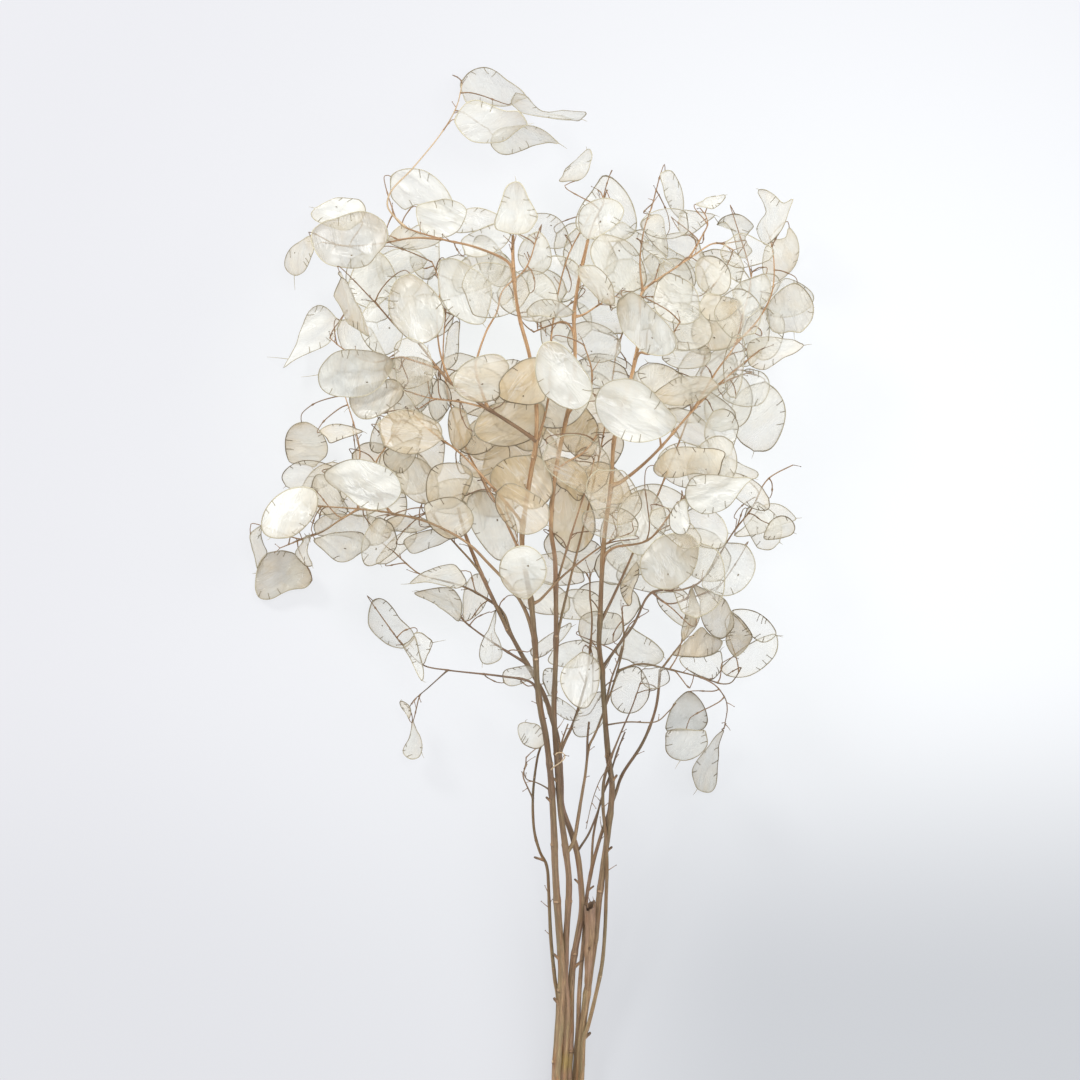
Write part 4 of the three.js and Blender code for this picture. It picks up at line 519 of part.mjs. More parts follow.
function toMesh(name, manifold, colour, roughness) {
  const m = manifold.getMesh();
  const g = new THREE.BufferGeometry();
  const n = m.vertProperties.length / m.numProp;
  const xyz = new Float32Array(n * 3);
  for (let i = 0; i < n; i++) {
    xyz[3 * i] = m.vertProperties[m.numProp * i];
    xyz[3 * i + 1] = m.vertProperties[m.numProp * i + 1];
    xyz[3 * i + 2] = m.vertProperties[m.numProp * i + 2];
  }
  g.setAttribute('position', new THREE.BufferAttribute(xyz, 3));
  g.setIndex(new THREE.BufferAttribute(new Uint32Array(m.triVerts), 1));
  g.computeVertexNormals();
  const mesh = new THREE.Mesh(g, new THREE.MeshStandardMaterial({
    color: colour, roughness, metalness: 0, side: THREE.DoubleSide,
  }));
  mesh.name = name;
  return mesh;
}

const V = (a, i = 0) => new THREE.Vector3(a[i], a[i + 1], a[i + 2]);
const plant = new THREE.Group();
plant.name = 'honesty';
const stems = new THREE.Group();
const racemes = new THREE.Group();
plant.add(stems, racemes);
plant.position.set(-ORIGIN_X, -ORIGIN_Y, 0);

// ------------------------------------------------------------- the pieces
// root collar: a short tapered trunk with an oval section, cut off square
{
  const rings = [0, 0.1, 0.35, 0.65, 0.9, 1];
  const rx = [10.6, 11.6, 11.0, 9.4, 8.6, 8.4];
  const rz = [9.6, 10.4, 10.0, 9.0, 8.4, 8.2];
  const cx = [16.6, 16.7, 17.2, 17.0, 16.4, 16.2];
  const section = [];
  for (let k = 0; k < rings.length; k++) {
    const y = COLLAR_TOP_Y - GAP - rings[k] * COLLAR_LENGTH;
    const ring = [];
    for (let i = 0; i < COLLAR_SIDES; i++) {
      const a = (2 * Math.PI * i) / COLLAR_SIDES;
      const w = 1 + 0.05 * Math.sin(3 * a + 0.8 * k);
      ring.push([cx[k] + Math.cos(a) * rx[k] * w, y, 8.9 + 0.6 * (k < 2 ? 1 : 0) + Math.sin(a) * rz[k] * w]);
    }
    section.push(ring);
  }
  const p = [];
  const tri = (a, b, c) => p.push(...a, ...b, ...c);
  for (let k = 0; k < rings.length - 1; k++) {
    for (let i = 0; i < COLLAR_SIDES; i++) {
      const j = (i + 1) % COLLAR_SIDES;
      const [a, b, c, d] = [section[k][i], section[k][j], section[k + 1][j], section[k + 1][i]];
      tri(a, b, c);
      tri(a, c, d);
    }
  }
  const top = [cx[0], COLLAR_TOP_Y - GAP, 9.5];
  const end = [cx[5], COLLAR_TOP_Y - GAP - COLLAR_LENGTH, 8.9];
  for (let i = 0; i < COLLAR_SIDES; i++) {
    const j = (i + 1) % COLLAR_SIDES;
    tri(top, section[0][j], section[0][i]);
    tri(end, section[5][i], section[5][j]);
  }
  const g = new THREE.BufferGeometry();
  g.setAttribute('position', new THREE.BufferAttribute(new Float32Array(p), 3));
  let m = solid(g);
  m = onFloor(m);
  stems.add(toMesh('root_collar', m, COLOUR.collar, 0.85));
}

// the point of a polyline nearest to p
function nearest(line, p) {
  let best = line[0];
  let d = Infinity;
  const q = new THREE.Vector3();
  for (let i = 0; i < line.length - 1; i++) {
    new THREE.Line3(line[i], line[i + 1]).closestPointToPoint(p, true, q);
    if (q.distanceTo(p) < d) { d = q.distanceTo(p); best = q.clone(); }
  }
  return best;
}

// every stem and rachis, grown a little, so that what grows from it keeps clear
const axes = new Map();
for (const [name, pts] of STEMS) axes.set(name, { pts, sides: STEM_SIDES, steps: pts.length - 1 });
for (const [name, , pts, pods] of RACEMES) axes.set(name, { pts, sides: pods.length ? RACHIS_SIDES : STEM_SIDES, steps: Math.max(3, pts.length - 1) });
const clearance = new Map();
function clear(name) {
  if (!clearance.has(name)) {
    const a = axes.get(name);
    // it reaches past the tip, so that what carries on from there keeps clear too
    const n = a.pts.length;
    const d = V(a.pts[n - 1]).sub(V(a.pts[n - 2])).normalize().multiplyScalar(GAP + 0.25);
    const tip = a.pts[n - 1];
    const pts = a.pts.slice(0, n - 1).concat([[tip[0] + d.x, tip[1] + d.y, tip[2] + d.z, tip[3]]]);
    clearance.set(name, tube(pts, a.sides, a.steps, GAP));
  }
  return clearance.get(name);
}

for (const [name, pts] of STEMS) {
  const a = axes.get(name);
  let m = tube(pts, a.sides, a.steps).subtract(pastCollar);
  stems.add(toMesh(name, onFloor(whole(m)), COLOUR.stem, 0.8));
}

RACEMES.forEach(([name, parent, pts, pods], index) => {
  const a = axes.get(name);
  const solids = [tube(pts, a.sides, a.steps)];
  const spine = new THREE.CatmullRomCurve3(pts.map((p) => V(p)), false, 'centripetal').getSpacedPoints(a.steps);
  for (const row of pods) {
    const centre = V(row);
    const axis = V(row, 3).normalize();
    const normal = V(row, 6);
    normal.addScaledVector(axis, -normal.dot(axis)).normalize();
    const [length, width, stalk] = [row[9], row[10], row[11]];
    const path = stalk.map((p) => V(p));
    path[path.length - 1] = nearest(spine, path[path.length - 1]);
    solids.push(podOnStalk(centre, axis, normal, length, width, path));
  }
  let m = solids[0];
  for (let i = 1; i < solids.length; i++) m = m.add(solids[i]);
  if (name === 'stem_broken') {
    // a dead side axis: its broken end is a hollow shell, open at the top
    const n = pts.length;
    const [tip, before] = [V(pts[n - 1]), V(pts[n - 2])];
    const dir = tip.clone().sub(before).normalize();
    const deep = tip.clone().addScaledVector(dir, -BROKEN_DEPTH);
    const out = tip.clone().addScaledVector(dir, 3);
    const r = pts[n - 1][3] * 0.6;
    m = m.subtract(tube([[deep.x, deep.y, deep.z, r * 0.7], [tip.x, tip.y, tip.z, r],
      [out.x, out.y, out.z, r * 1.1]], STEM_SIDES, 2));
  }
  m = m.subtract(clear(parent));
  m = onFloor(whole(m));
  if (m.simplify) m = m.simplify(0.01);
  racemes.add(toMesh(name, m, COLOUR.pod[index % COLOUR.pod.length], 0.6));
});

export default plant;
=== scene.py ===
import math

import bpy
import numpy as np
from mathutils import Matrix, Vector


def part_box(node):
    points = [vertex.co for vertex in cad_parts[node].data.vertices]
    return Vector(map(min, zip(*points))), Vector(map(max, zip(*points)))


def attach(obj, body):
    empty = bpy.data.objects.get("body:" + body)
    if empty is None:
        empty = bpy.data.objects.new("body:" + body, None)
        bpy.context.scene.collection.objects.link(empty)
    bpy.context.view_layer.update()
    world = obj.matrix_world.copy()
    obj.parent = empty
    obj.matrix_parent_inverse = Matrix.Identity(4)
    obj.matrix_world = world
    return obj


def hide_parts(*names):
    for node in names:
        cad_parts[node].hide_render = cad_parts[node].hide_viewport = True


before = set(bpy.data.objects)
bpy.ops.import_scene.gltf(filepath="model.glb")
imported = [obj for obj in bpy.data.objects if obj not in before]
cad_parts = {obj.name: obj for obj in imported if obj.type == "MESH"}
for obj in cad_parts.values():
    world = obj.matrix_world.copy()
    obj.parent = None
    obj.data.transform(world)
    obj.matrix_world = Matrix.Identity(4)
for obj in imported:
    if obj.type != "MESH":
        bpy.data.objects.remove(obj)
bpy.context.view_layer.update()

# ---------------------------------------------------------------------------
# A dried honesty plant (Lunaria annua), cut and laid down.  Units in the
# tables are millimetres in plan from the centre of the picture; OFFSET takes
# them to the row frame.
# ---------------------------------------------------------------------------
OFFSET = np.array([6.91, 46.97, 0.0])
MM = 0.001

# stems and racheis: node, parent node, [x, y, z, radius]
BRANCHES = {
    "stem_left": (None, [[13.4, -380.55, 20.1, 3.06], [12.23, -374.55, 19.7, 3], [11.23, -368.52, 19.36, 2.96], [10.74, -362.41, 19.16, 2.92], [10.87, -356.24, 19.16, 2.89], [11.3, -350.07, 19.4, 2.86], [11.86, -343.87, 19.87, 2.83], [12.42, -337.64, 20.56, 2.8], [12.86, -331.38, 21.49, 2.77], [13.24, -325.1, 22.66, 2.74], [13.59, -318.79, 24.02, 2.71], [13.91, -312.47, 25.53, 2.69], [14.18, -306.14, 27.12, 2.66], [14.45, -299.83, 28.65, 2.63], [14.65, -293.55, 29.93, 2.61], [14.68, -287.29, 31.1, 2.58], [14.45, -281.03, 32.27, 2.56], [13.98, -274.79, 33.44, 2.53], [13.47, -268.56, 34.66, 2.51], [13.03, -262.32, 35.94, 2.48], [12.58, -256.07, 37.41, 2.46], [12.12, -249.81, 39.07, 2.44], [11.68, -243.54, 40.91, 2.41], [11.26, -237.26, 42.88, 2.39], [10.86, -230.99, 44.94, 2.37], [10.49, -224.71, 47.04, 2.34], [10.15, -218.45, 49.16, 2.32], [9.86, -212.19, 51.28, 2.3], [9.69, -205.94, 53.4, 2.28], [9.55, -199.69, 55.52, 2.25], [9.33, -193.46, 57.64, 2.23], [9.04, -187.24, 59.77, 2.21], [8.73, -181.03, 61.9, 2.19], [8.39, -174.83, 64.03, 2.17], [8.02, -168.65, 66.17, 2.14], [7.6, -162.47, 68.3, 2.12], [7.1, -156.32, 70.42, 2.1], [6.52, -150.18, 72.53, 2.08], [5.86, -144.06, 74.63, 2.06], [5.13, -137.95, 76.73, 2.04], [4.33, -131.87, 78.83, 2.02], [3.41, -125.81, 80.93, 2], [2.16, -119.83, 83.03, 1.98], [0.9, -113.85, 85.14, 1.96], [-0.05, -107.83, 87.24, 1.94], [-0.88, -101.8, 89.32, 1.92], [-1.59, -95.76, 91.37, 1.9], [-2.13, -89.72, 93.38, 1.88], [-2.46, -83.67, 95.34, 1.86], [-2.71, -77.63, 97.25, 1.84], [-2.99, -71.6, 99.14, 1.82], [-3.4, -65.59, 101.01, 1.8], [-3.88, -59.59, 102.87, 1.78], [-4.39, -53.6, 104.71, 1.76], [-4.95, -47.63, 106.52, 1.74], [-5.58, -41.67, 108.28, 1.72], [-6.38, -35.74, 109.97, 1.7], [-7.65, -29.91, 111.61, 1.68], [-8.71, -24.04, 113.2, 1.66], [-9.7, -18.17, 114.76, 1.64], [-10.64, -12.29, 116.32, 1.62], [-11.38, -6.39, 117.88, 1.6], [-11.69, -0.47, 119.44, 1.58], [-11.4, 5.45, 121.02, 1.56], [-10.67, 11.33, 122.6, 1.54], [-9.91, 17.2, 124.19, 1.53], [-9.05, 23.05, 125.79, 1.51], [-8.15, 28.88, 127.4, 1.49], [-7.22, 34.7, 129.02, 1.47], [-6.28, 40.51, 130.63, 1.45], [-5.33, 46.31, 132.25, 1.43], [-4.17, 52.07, 133.84, 1.41], [-3.09, 57.84, 135.41, 1.4], [-2.51, 63.66, 136.93, 1.38], [-2.23, 69.51, 138.4, 1.36], [-2.12, 75.36, 139.83, 1.34], [-2.17, 81.2, 141.23, 1.32], [-2.4, 87.03, 142.62, 1.3], [-2.84, 92.84, 144, 1.29], [-3.48, 98.63, 145.39, 1.27], [-4.29, 104.39, 146.78, 1.25], [-5.25, 110.12, 148.17, 1.23], [-6.33, 115.83, 149.55, 1.21], [-7.64, 121.48, 150.92, 1.2], [-9.18, 127.06, 152.27, 1.18], [-10.8, 132.62, 153.61, 1.16], [-12.31, 138.2, 154.95, 1.14], [-13.55, 143.84, 156.28, 1.12], [-14.59, 149.52, 157.61, 1.11], [-15.44, 155.22, 158.95, 1.09], [-16.11, 160.94, 160.25, 1.07], [-16.59, 166.68, 161.49, 1.05], [-16.91, 172.43, 162.56, 1.04], [-17.14, 178.2, 163.37, 1.02], [-17.21, 183.99, 164.02, 1], [-17.13, 189.53, 167.82, 0.98], [-17.08, 192.27, 170.13, 0.98]]),
    "stem_left_centre": (None, [[17.5, -383.58, 8.19, 2.79], [17.93, -377.31, 8.75, 2.73], [18.35, -371.04, 9.32, 2.69], [18.74, -364.77, 9.89, 2.65], [19.09, -358.49, 10.46, 2.61], [19.43, -352.22, 11.05, 2.58], [19.75, -345.95, 11.66, 2.54], [20.02, -339.67, 12.29, 2.51], [20.23, -333.38, 13.06, 2.48], [20.36, -327.07, 14, 2.45], [20.45, -320.74, 15.11, 2.42], [20.53, -314.4, 16.35, 2.39], [20.64, -308.06, 17.71, 2.36], [20.82, -301.69, 19.37, 2.33], [21.06, -295.3, 21.28, 2.3], [21.45, -288.91, 23.32, 2.27], [22.1, -282.54, 25.48, 2.24], [23.03, -276.22, 27.64, 2.22], [24.12, -269.95, 29.75, 2.19], [25.26, -263.69, 31.82, 2.16], [26.31, -257.43, 33.9, 2.14], [27.4, -251.19, 35.91, 2.11], [27.98, -244.92, 37.65, 2.08], [27.88, -238.66, 39, 2.06], [27.45, -232.42, 40.32, 2.03], [26.95, -226.19, 41.69, 2.01], [26.39, -219.96, 43.12, 1.98], [25.65, -213.75, 44.61, 1.96], [24.55, -207.61, 46.11, 1.93], [23.02, -201.56, 47.61, 1.91], [21.24, -195.6, 49.09, 1.88], [19.17, -189.74, 50.54, 1.86], [16.95, -183.94, 51.98, 1.83], [15.04, -178.04, 53.42, 1.81], [14.02, -171.93, 54.84, 1.79], [13.96, -165.75, 56.26, 1.76], [13.93, -159.56, 57.67, 1.74], [13.55, -153.4, 59.05, 1.72], [13.15, -147.24, 60.39, 1.69], [12.69, -141.1, 61.71, 1.67], [12.09, -134.98, 63, 1.65], [11.15, -128.91, 64.25, 1.62], [9.52, -123, 65.46, 1.6], [7.78, -117.12, 66.64, 1.58], [6.06, -111.24, 67.77, 1.56], [4.13, -105.44, 68.84, 1.53], [1.75, -99.83, 69.83, 1.51], [-1.11, -94.44, 70.74, 1.49], [-4.08, -89.13, 71.55, 1.47], [-7.06, -83.83, 72.28, 1.44], [-10.1, -78.56, 72.95, 1.42], [-13.07, -73.26, 73.59, 1.4], [-15.97, -67.93, 74.22, 1.38], [-18.85, -62.58, 74.89, 1.36], [-21.83, -57.31, 75.61, 1.34], [-24.55, -51.88, 76.38, 1.31], [-27.16, -46.41, 77.12, 1.29], [-29.75, -40.94, 77.44, 1.27], [-32.32, -35.46, 77.44, 1.25], [-34.86, -29.97, 77.44, 1.23], [-37.36, -24.46, 77.46, 1.21], [-39.79, -18.92, 77.51, 1.19], [-42.17, -13.36, 77.59, 1.17], [-44.49, -7.78, 77.66, 1.14], [-46.73, -2.16, 77.74, 1.12], [-48.83, 3.52, 77.81, 1.1], [-50.65, 9.29, 77.88, 1.08], [-52.24, 15.12, 77.94, 1.06], [-53.75, 20.98, 78, 1.04]]),
    "stem_centre": (None, [[15.44, -382.76, 14, 2.6], [15.35, -376.54, 14.2, 2.56], [15.29, -370.32, 14.5, 2.53], [15.38, -364.08, 14.88, 2.5], [15.7, -357.85, 15.33, 2.47], [16.19, -351.62, 15.86, 2.45], [16.72, -345.38, 16.47, 2.42], [17.2, -339.14, 17.16, 2.4], [17.55, -332.87, 17.95, 2.38], [17.82, -326.59, 18.9, 2.35], [18.01, -320.28, 20, 2.33], [18.1, -313.97, 21.19, 2.31], [17.99, -307.67, 22.38, 2.29], [17.28, -301.44, 23.35, 2.27], [16.74, -295.19, 24.37, 2.25], [16.71, -288.9, 25.57, 2.23], [16.82, -282.6, 26.87, 2.21], [17, -276.29, 28.42, 2.19], [17.23, -269.96, 30.27, 2.17], [17.5, -263.6, 32.44, 2.15], [17.87, -257.25, 34.77, 2.13], [18.28, -250.91, 37.11, 2.11], [18.68, -244.58, 39.4, 2.1], [19.02, -238.27, 41.59, 2.08], [19.23, -231.96, 43.72, 2.06], [19.18, -225.67, 45.8, 2.04], [18.77, -219.4, 47.86, 2.02], [18.03, -213.18, 49.89, 2.01], [17.26, -206.96, 51.92, 1.99], [16.49, -200.76, 53.94, 1.97], [15.64, -194.58, 55.95, 1.95], [14.77, -188.41, 57.96, 1.94], [13.96, -182.24, 59.98, 1.92], [13.25, -176.06, 62, 1.9], [12.71, -169.88, 64.01, 1.89], [12.27, -163.7, 66.03, 1.87], [11.91, -157.53, 68.03, 1.85], [11.57, -151.36, 70.03, 1.84], [11.21, -145.21, 72.01, 1.82], [10.77, -139.07, 73.99, 1.8], [10.26, -132.94, 75.97, 1.79], [9.78, -126.82, 77.94, 1.77], [9.41, -120.71, 79.92, 1.75], [9.19, -114.59, 81.9, 1.74], [9.16, -108.48, 83.87, 1.72], [9.29, -102.38, 85.81, 1.71], [9.5, -96.3, 87.72, 1.69], [9.75, -90.22, 89.57, 1.67], [10.01, -84.16, 91.37, 1.66], [10.25, -78.11, 93.11, 1.64], [10.41, -72.06, 94.82, 1.63], [10.49, -66.02, 96.51, 1.61], [10.53, -59.98, 98.18, 1.6], [10.52, -53.96, 99.84, 1.58], [10.48, -47.94, 101.46, 1.57], [10.42, -41.93, 103.03, 1.55], [10.35, -35.93, 104.53, 1.54], [10.29, -29.94, 105.97, 1.52], [10.19, -23.96, 107.35, 1.5], [10.01, -17.98, 108.71, 1.49], [9.69, -12.02, 110.04, 1.47], [8.94, -6.1, 111.37, 1.46], [7.88, -0.23, 112.7, 1.44], [7.21, 5.68, 114.04, 1.43], [7.15, 11.63, 115.38, 1.42], [7.42, 17.56, 116.72, 1.4], [7.85, 23.48, 118.07, 1.39], [8.4, 29.39, 119.43, 1.37], [9.04, 35.28, 120.78, 1.36], [9.77, 41.15, 122.13, 1.34], [10.59, 47, 123.47, 1.33], [11.59, 52.82, 124.79, 1.31], [12.73, 58.61, 126.06, 1.3], [13.97, 64.37, 127.27, 1.28], [15.23, 70.13, 128.43, 1.27], [16.46, 75.89, 129.55, 1.25], [17.66, 81.65, 130.63, 1.24], [18.93, 87.38, 131.69, 1.23], [20.19, 93.12, 132.76, 1.21], [21.27, 98.89, 133.82, 1.2], [22.03, 104.71, 134.89, 1.18], [22.39, 110.55, 135.95, 1.17], [22.48, 116.41, 137.01, 1.16], [22.43, 122.26, 138.06, 1.14], [22.34, 128.11, 139.08, 1.13], [21.98, 133.94, 140.09, 1.11], [21.69, 139.77, 141.09, 1.1], [21.9, 145.6, 142.08, 1.09], [22.51, 151.4, 143.06, 1.07], [23.34, 157.17, 144.05, 1.06], [24.28, 162.91, 145.03, 1.04], [25.39, 168.62, 146.02, 1.03], [26.72, 174.28, 147.01, 1.02], [28.01, 179.94, 148.01, 1], [29.3, 185.6, 149, 0.99], [30.6, 191.25, 150, 0.98]]),
    "stem_right": (None, [[22.85, -381.66, 12.22, 2.73], [24.08, -375.58, 12.41, 2.68], [25.24, -369.46, 12.66, 2.65], [26.13, -363.29, 13.05, 2.62], [26.63, -357.05, 13.59, 2.59], [26.89, -350.79, 14.25, 2.56], [27.11, -344.51, 15.01, 2.53], [27.46, -338.23, 15.87, 2.51], [28.03, -331.96, 16.85, 2.48], [28.73, -325.66, 18.19, 2.46], [29.49, -319.36, 19.67, 2.43], [30.27, -313.08, 21.06, 2.41], [31.07, -306.82, 22.35, 2.39], [31.91, -300.58, 23.49, 2.36], [32.77, -294.38, 24.45, 2.34], [33.63, -288.19, 25.31, 2.32], [34.49, -281.93, 26.81, 2.3], [35.32, -275.62, 28.98, 2.28], [36.13, -269.3, 31.15, 2.25], [36.9, -263, 33.28, 2.23], [37.57, -256.7, 35.35, 2.21], [38.14, -250.41, 37.36, 2.19], [38.72, -244.13, 39.32, 2.17], [39.39, -237.87, 41.22, 2.15], [40.13, -231.64, 43.05, 2.13], [40.91, -225.43, 44.83, 2.11], [41.7, -219.23, 46.57, 2.09], [42.48, -213.03, 48.32, 2.07], [43.27, -206.84, 50.12, 2.05], [44.06, -200.64, 52.09, 2.03], [44.81, -194.44, 54.29, 2.01], [45.54, -188.23, 56.57, 1.99], [46.24, -182.04, 58.81, 1.98], [46.81, -175.85, 60.95, 1.96], [47.25, -169.66, 62.98, 1.94], [47.49, -163.48, 64.89, 1.92], [47.17, -157.31, 66.7, 1.9], [46.09, -151.24, 68.45, 1.88], [45.19, -145.14, 70.31, 1.86], [44.53, -139.01, 72.36, 1.85], [43.92, -132.89, 74.43, 1.83], [43.36, -126.77, 76.46, 1.81], [42.87, -120.65, 78.44, 1.79], [42.44, -114.55, 80.38, 1.77], [42.04, -108.45, 82.28, 1.76], [41.63, -102.36, 84.15, 1.74], [41.25, -96.28, 85.97, 1.72], [40.85, -90.21, 87.73, 1.7], [40.34, -84.17, 89.43, 1.69], [39.54, -78.16, 91.08, 1.67], [38.74, -72.16, 92.69, 1.65], [38.39, -66.12, 94.28, 1.63], [38.61, -60.1, 95.85, 1.62], [38.95, -54.08, 97.4, 1.6], [39.17, -48.06, 98.92, 1.58], [39.36, -42.06, 100.38, 1.57], [39.55, -36.06, 101.78, 1.55], [39.76, -30.06, 103.11, 1.53], [40, -24.08, 104.39, 1.52], [40.29, -18.1, 105.63, 1.5], [40.62, -12.13, 106.85, 1.48], [40.99, -6.17, 108.06, 1.47], [41.44, -0.22, 109.28, 1.45], [42, 5.71, 110.49, 1.43], [42.69, 11.62, 111.7, 1.42], [43.52, 17.51, 112.92, 1.4], [44.39, 23.39, 114.14, 1.38], [45.21, 29.27, 115.36, 1.37], [45.88, 35.16, 116.58, 1.35], [46.31, 41.07, 117.8, 1.33], [46.55, 46.99, 119, 1.32], [46.78, 52.9, 120.18, 1.3], [47.17, 58.8, 121.32, 1.29], [47.83, 64.67, 122.39, 1.27], [48.89, 70.48, 123.41, 1.25], [50.28, 76.21, 124.37, 1.24], [51.86, 81.89, 125.29, 1.22], [53.55, 87.54, 126.18, 1.21], [55.29, 93.17, 127.07, 1.19], [57, 98.8, 127.96, 1.18], [58.58, 104.46, 128.85, 1.16], [59.96, 110.18, 129.75, 1.14], [61.2, 115.92, 130.65, 1.13], [62.34, 121.67, 131.55, 1.11], [62.92, 124.55, 132, 1.11]]),
    "stem_thin_right": (None, [[25.49, -382.41, 16.44, 1.56], [26.34, -376.28, 16.75, 1.53], [27.16, -370.14, 17.11, 1.51], [27.87, -363.99, 17.52, 1.48], [28.37, -357.8, 18.01, 1.47], [28.64, -351.59, 18.62, 1.45], [28.85, -345.36, 19.35, 1.43], [29.08, -339.12, 20.19, 1.41], [29.55, -332.89, 21.11, 1.4], [31.57, -327.11, 21.66, 1.38], [33.26, -321.19, 21.88, 1.36], [34.77, -315.2, 22.33, 1.35], [36.2, -309.15, 23.07, 1.33], [37.55, -303.06, 24.1, 1.32], [38.89, -296.95, 25.36, 1.3], [40.14, -290.8, 26.79, 1.29], [41.2, -284.62, 28.31, 1.27], [41.97, -278.39, 29.91, 1.26], [42.52, -272.13, 31.6, 1.24], [42.93, -265.86, 33.37, 1.23], [43.27, -259.59, 35.25, 1.22], [43.55, -253.3, 37.23, 1.2], [43.7, -247.02, 39.29, 1.19], [43.82, -240.74, 41.43, 1.18], [44, -234.46, 43.65, 1.16], [44.21, -228.19, 45.94, 1.15], [44.36, -221.92, 48.27, 1.14], [44.37, -215.66, 50.62, 1.12], [44.23, -209.41, 52.9, 1.11], [43.93, -203.2, 55, 1.1], [43.52, -197.01, 56.86, 1.09], [42.94, -190.86, 58.63, 1.07], [42.28, -184.72, 60.41, 1.06], [41.72, -178.58, 62.25, 1.05], [41.43, -172.42, 64.2, 1.04], [41.4, -166.26, 66.24, 1.02], [41.79, -160.11, 68.37, 1.01], [42.89, -154.07, 70.58, 1], [44.65, -148.2, 72.81, 0.99], [46.6, -142.41, 74.85, 0.98]]),
    "stem_right_centre": (None, [[21.56, -381.36, 4.89, 1.82], [22.08, -375.08, 5.72, 1.78], [22.61, -368.81, 6.55, 1.74], [23.11, -362.53, 7.43, 1.72], [23.58, -356.25, 8.33, 1.69], [24.03, -349.97, 9.29, 1.66], [24.46, -343.67, 10.37, 1.64], [24.87, -337.36, 11.62, 1.61], [25.26, -331.04, 13, 1.59], [25.59, -324.67, 14.74, 1.57], [25.81, -318.26, 16.89, 1.55], [25.94, -311.85, 19.07, 1.52], [26.19, -305.48, 21.08, 1.5], [26.55, -299.14, 22.88, 1.48], [26.97, -292.84, 24.46, 1.46], [27.43, -286.57, 25.88, 1.44], [27.93, -280.32, 27.2, 1.42], [28.45, -274.08, 28.46, 1.4], [28.98, -267.85, 29.69, 1.38], [29.46, -261.62, 30.92, 1.36], [29.86, -255.39, 32.18, 1.34], [30.24, -249.15, 33.59, 1.32], [30.67, -242.9, 35.25, 1.31], [31.22, -236.63, 37.27, 1.29], [32.11, -230.42, 39.27, 1.27], [33.17, -224.25, 41.14, 1.25], [34.37, -218.14, 42.88, 1.23], [35.78, -212.08, 44.49, 1.21], [37.37, -206.09, 46.02, 1.2], [39.06, -200.13, 47.48, 1.18], [40.84, -194.22, 48.89, 1.16], [42.78, -188.36, 50.28, 1.14], [44.81, -182.55, 51.63, 1.13], [46.8, -176.72, 52.96, 1.11], [48.77, -170.9, 54.26, 1.09], [50.75, -165.1, 55.51, 1.08], [52.49, -159.22, 56.71, 1.06], [54.97, -153.64, 57.84, 1.04], [58.21, -148.47, 58.9, 1.02], [61.67, -143.45, 59.93, 1.01], [65.02, -138.38, 60.92, 0.99], [68, -133.07, 61.92, 0.97], [70.54, -127.54, 62.93, 0.96], [72.78, -121.89, 63.95, 0.94], [74.72, -116.12, 64.99, 0.93], [76.31, -110.26, 66.03, 0.91], [77.38, -104.28, 67.06, 0.89], [78.03, -98.24, 68.07, 0.88], [78.48, -92.18, 69.04, 0.86], [78.9, -86.13, 70, 0.85]]),
    "stem_thin_left": (None, [[10.76, -383.29, 10.23, 1.76], [10.2, -377.11, 10.35, 1.7], [9.7, -370.92, 10.54, 1.66], [9.43, -364.69, 10.85, 1.62], [9.49, -358.45, 11.29, 1.59], [9.78, -352.19, 11.87, 1.56], [10.15, -345.93, 12.59, 1.53], [10.53, -339.65, 13.44, 1.5], [10.87, -333.35, 14.46, 1.47], [11.26, -327.03, 15.66, 1.44], [11.66, -320.71, 17.02, 1.41], [11.98, -314.37, 18.51, 1.38], [12.04, -308.02, 20.11, 1.36], [11.31, -301.72, 21.74, 1.33], [10.17, -295.49, 23.34, 1.31], [9.46, -289.2, 24.89, 1.28], [8.79, -282.93, 26.36, 1.26], [8.16, -276.66, 27.79, 1.23], [7.6, -270.39, 29.22, 1.21], [7.15, -264.11, 30.7, 1.18], [6.82, -257.83, 32.23, 1.16], [6.55, -251.55, 33.81, 1.13], [6.31, -245.27, 35.42, 1.11], [6.03, -239, 37.03, 1.09], [5.75, -232.74, 38.62, 1.06], [5.52, -226.49, 40.17, 1.04], [5.09, -220.26, 41.68, 1.02], [3.75, -214.2, 43.13, 1], [0.7, -208.8, 44.54, 0.97], [-1.39, -202.96, 45.93, 0.95], [-3.05, -196.98, 47.3, 0.93], [-4.06, -190.87, 48.66, 0.91], [-4.54, -184.69, 50.03, 0.89], [-4.76, -178.51, 51.38, 0.86], [-4.76, -172.32, 52.72, 0.84], [-4.53, -166.16, 54.02, 0.82], [-4, -160.01, 55.29, 0.8], [-3.27, -153.9, 56.52, 0.78], [-2.38, -147.82, 57.71, 0.76], [-1.25, -141.78, 58.86, 0.74], [0.66, -135.96, 60, 0.72]]),
    "stem_broken": ("stem_right", [[31.49, -303.7, 22.94, 2.93], [31.73, -296.66, 26.38, 3.01], [31.99, -289.94, 29.83, 3.07], [32.25, -283.46, 32.6, 3.12], [32.53, -277.13, 34.73, 3.17], [32.8, -270.84, 36.92, 3.22], [33.08, -264.57, 39.22, 3.26], [33.25, -258.3, 41.63, 3.31], [33.25, -252.04, 44.14, 3.35], [33.18, -245.78, 46.7, 3.39], [33.15, -242.66, 48, 3.41]]),
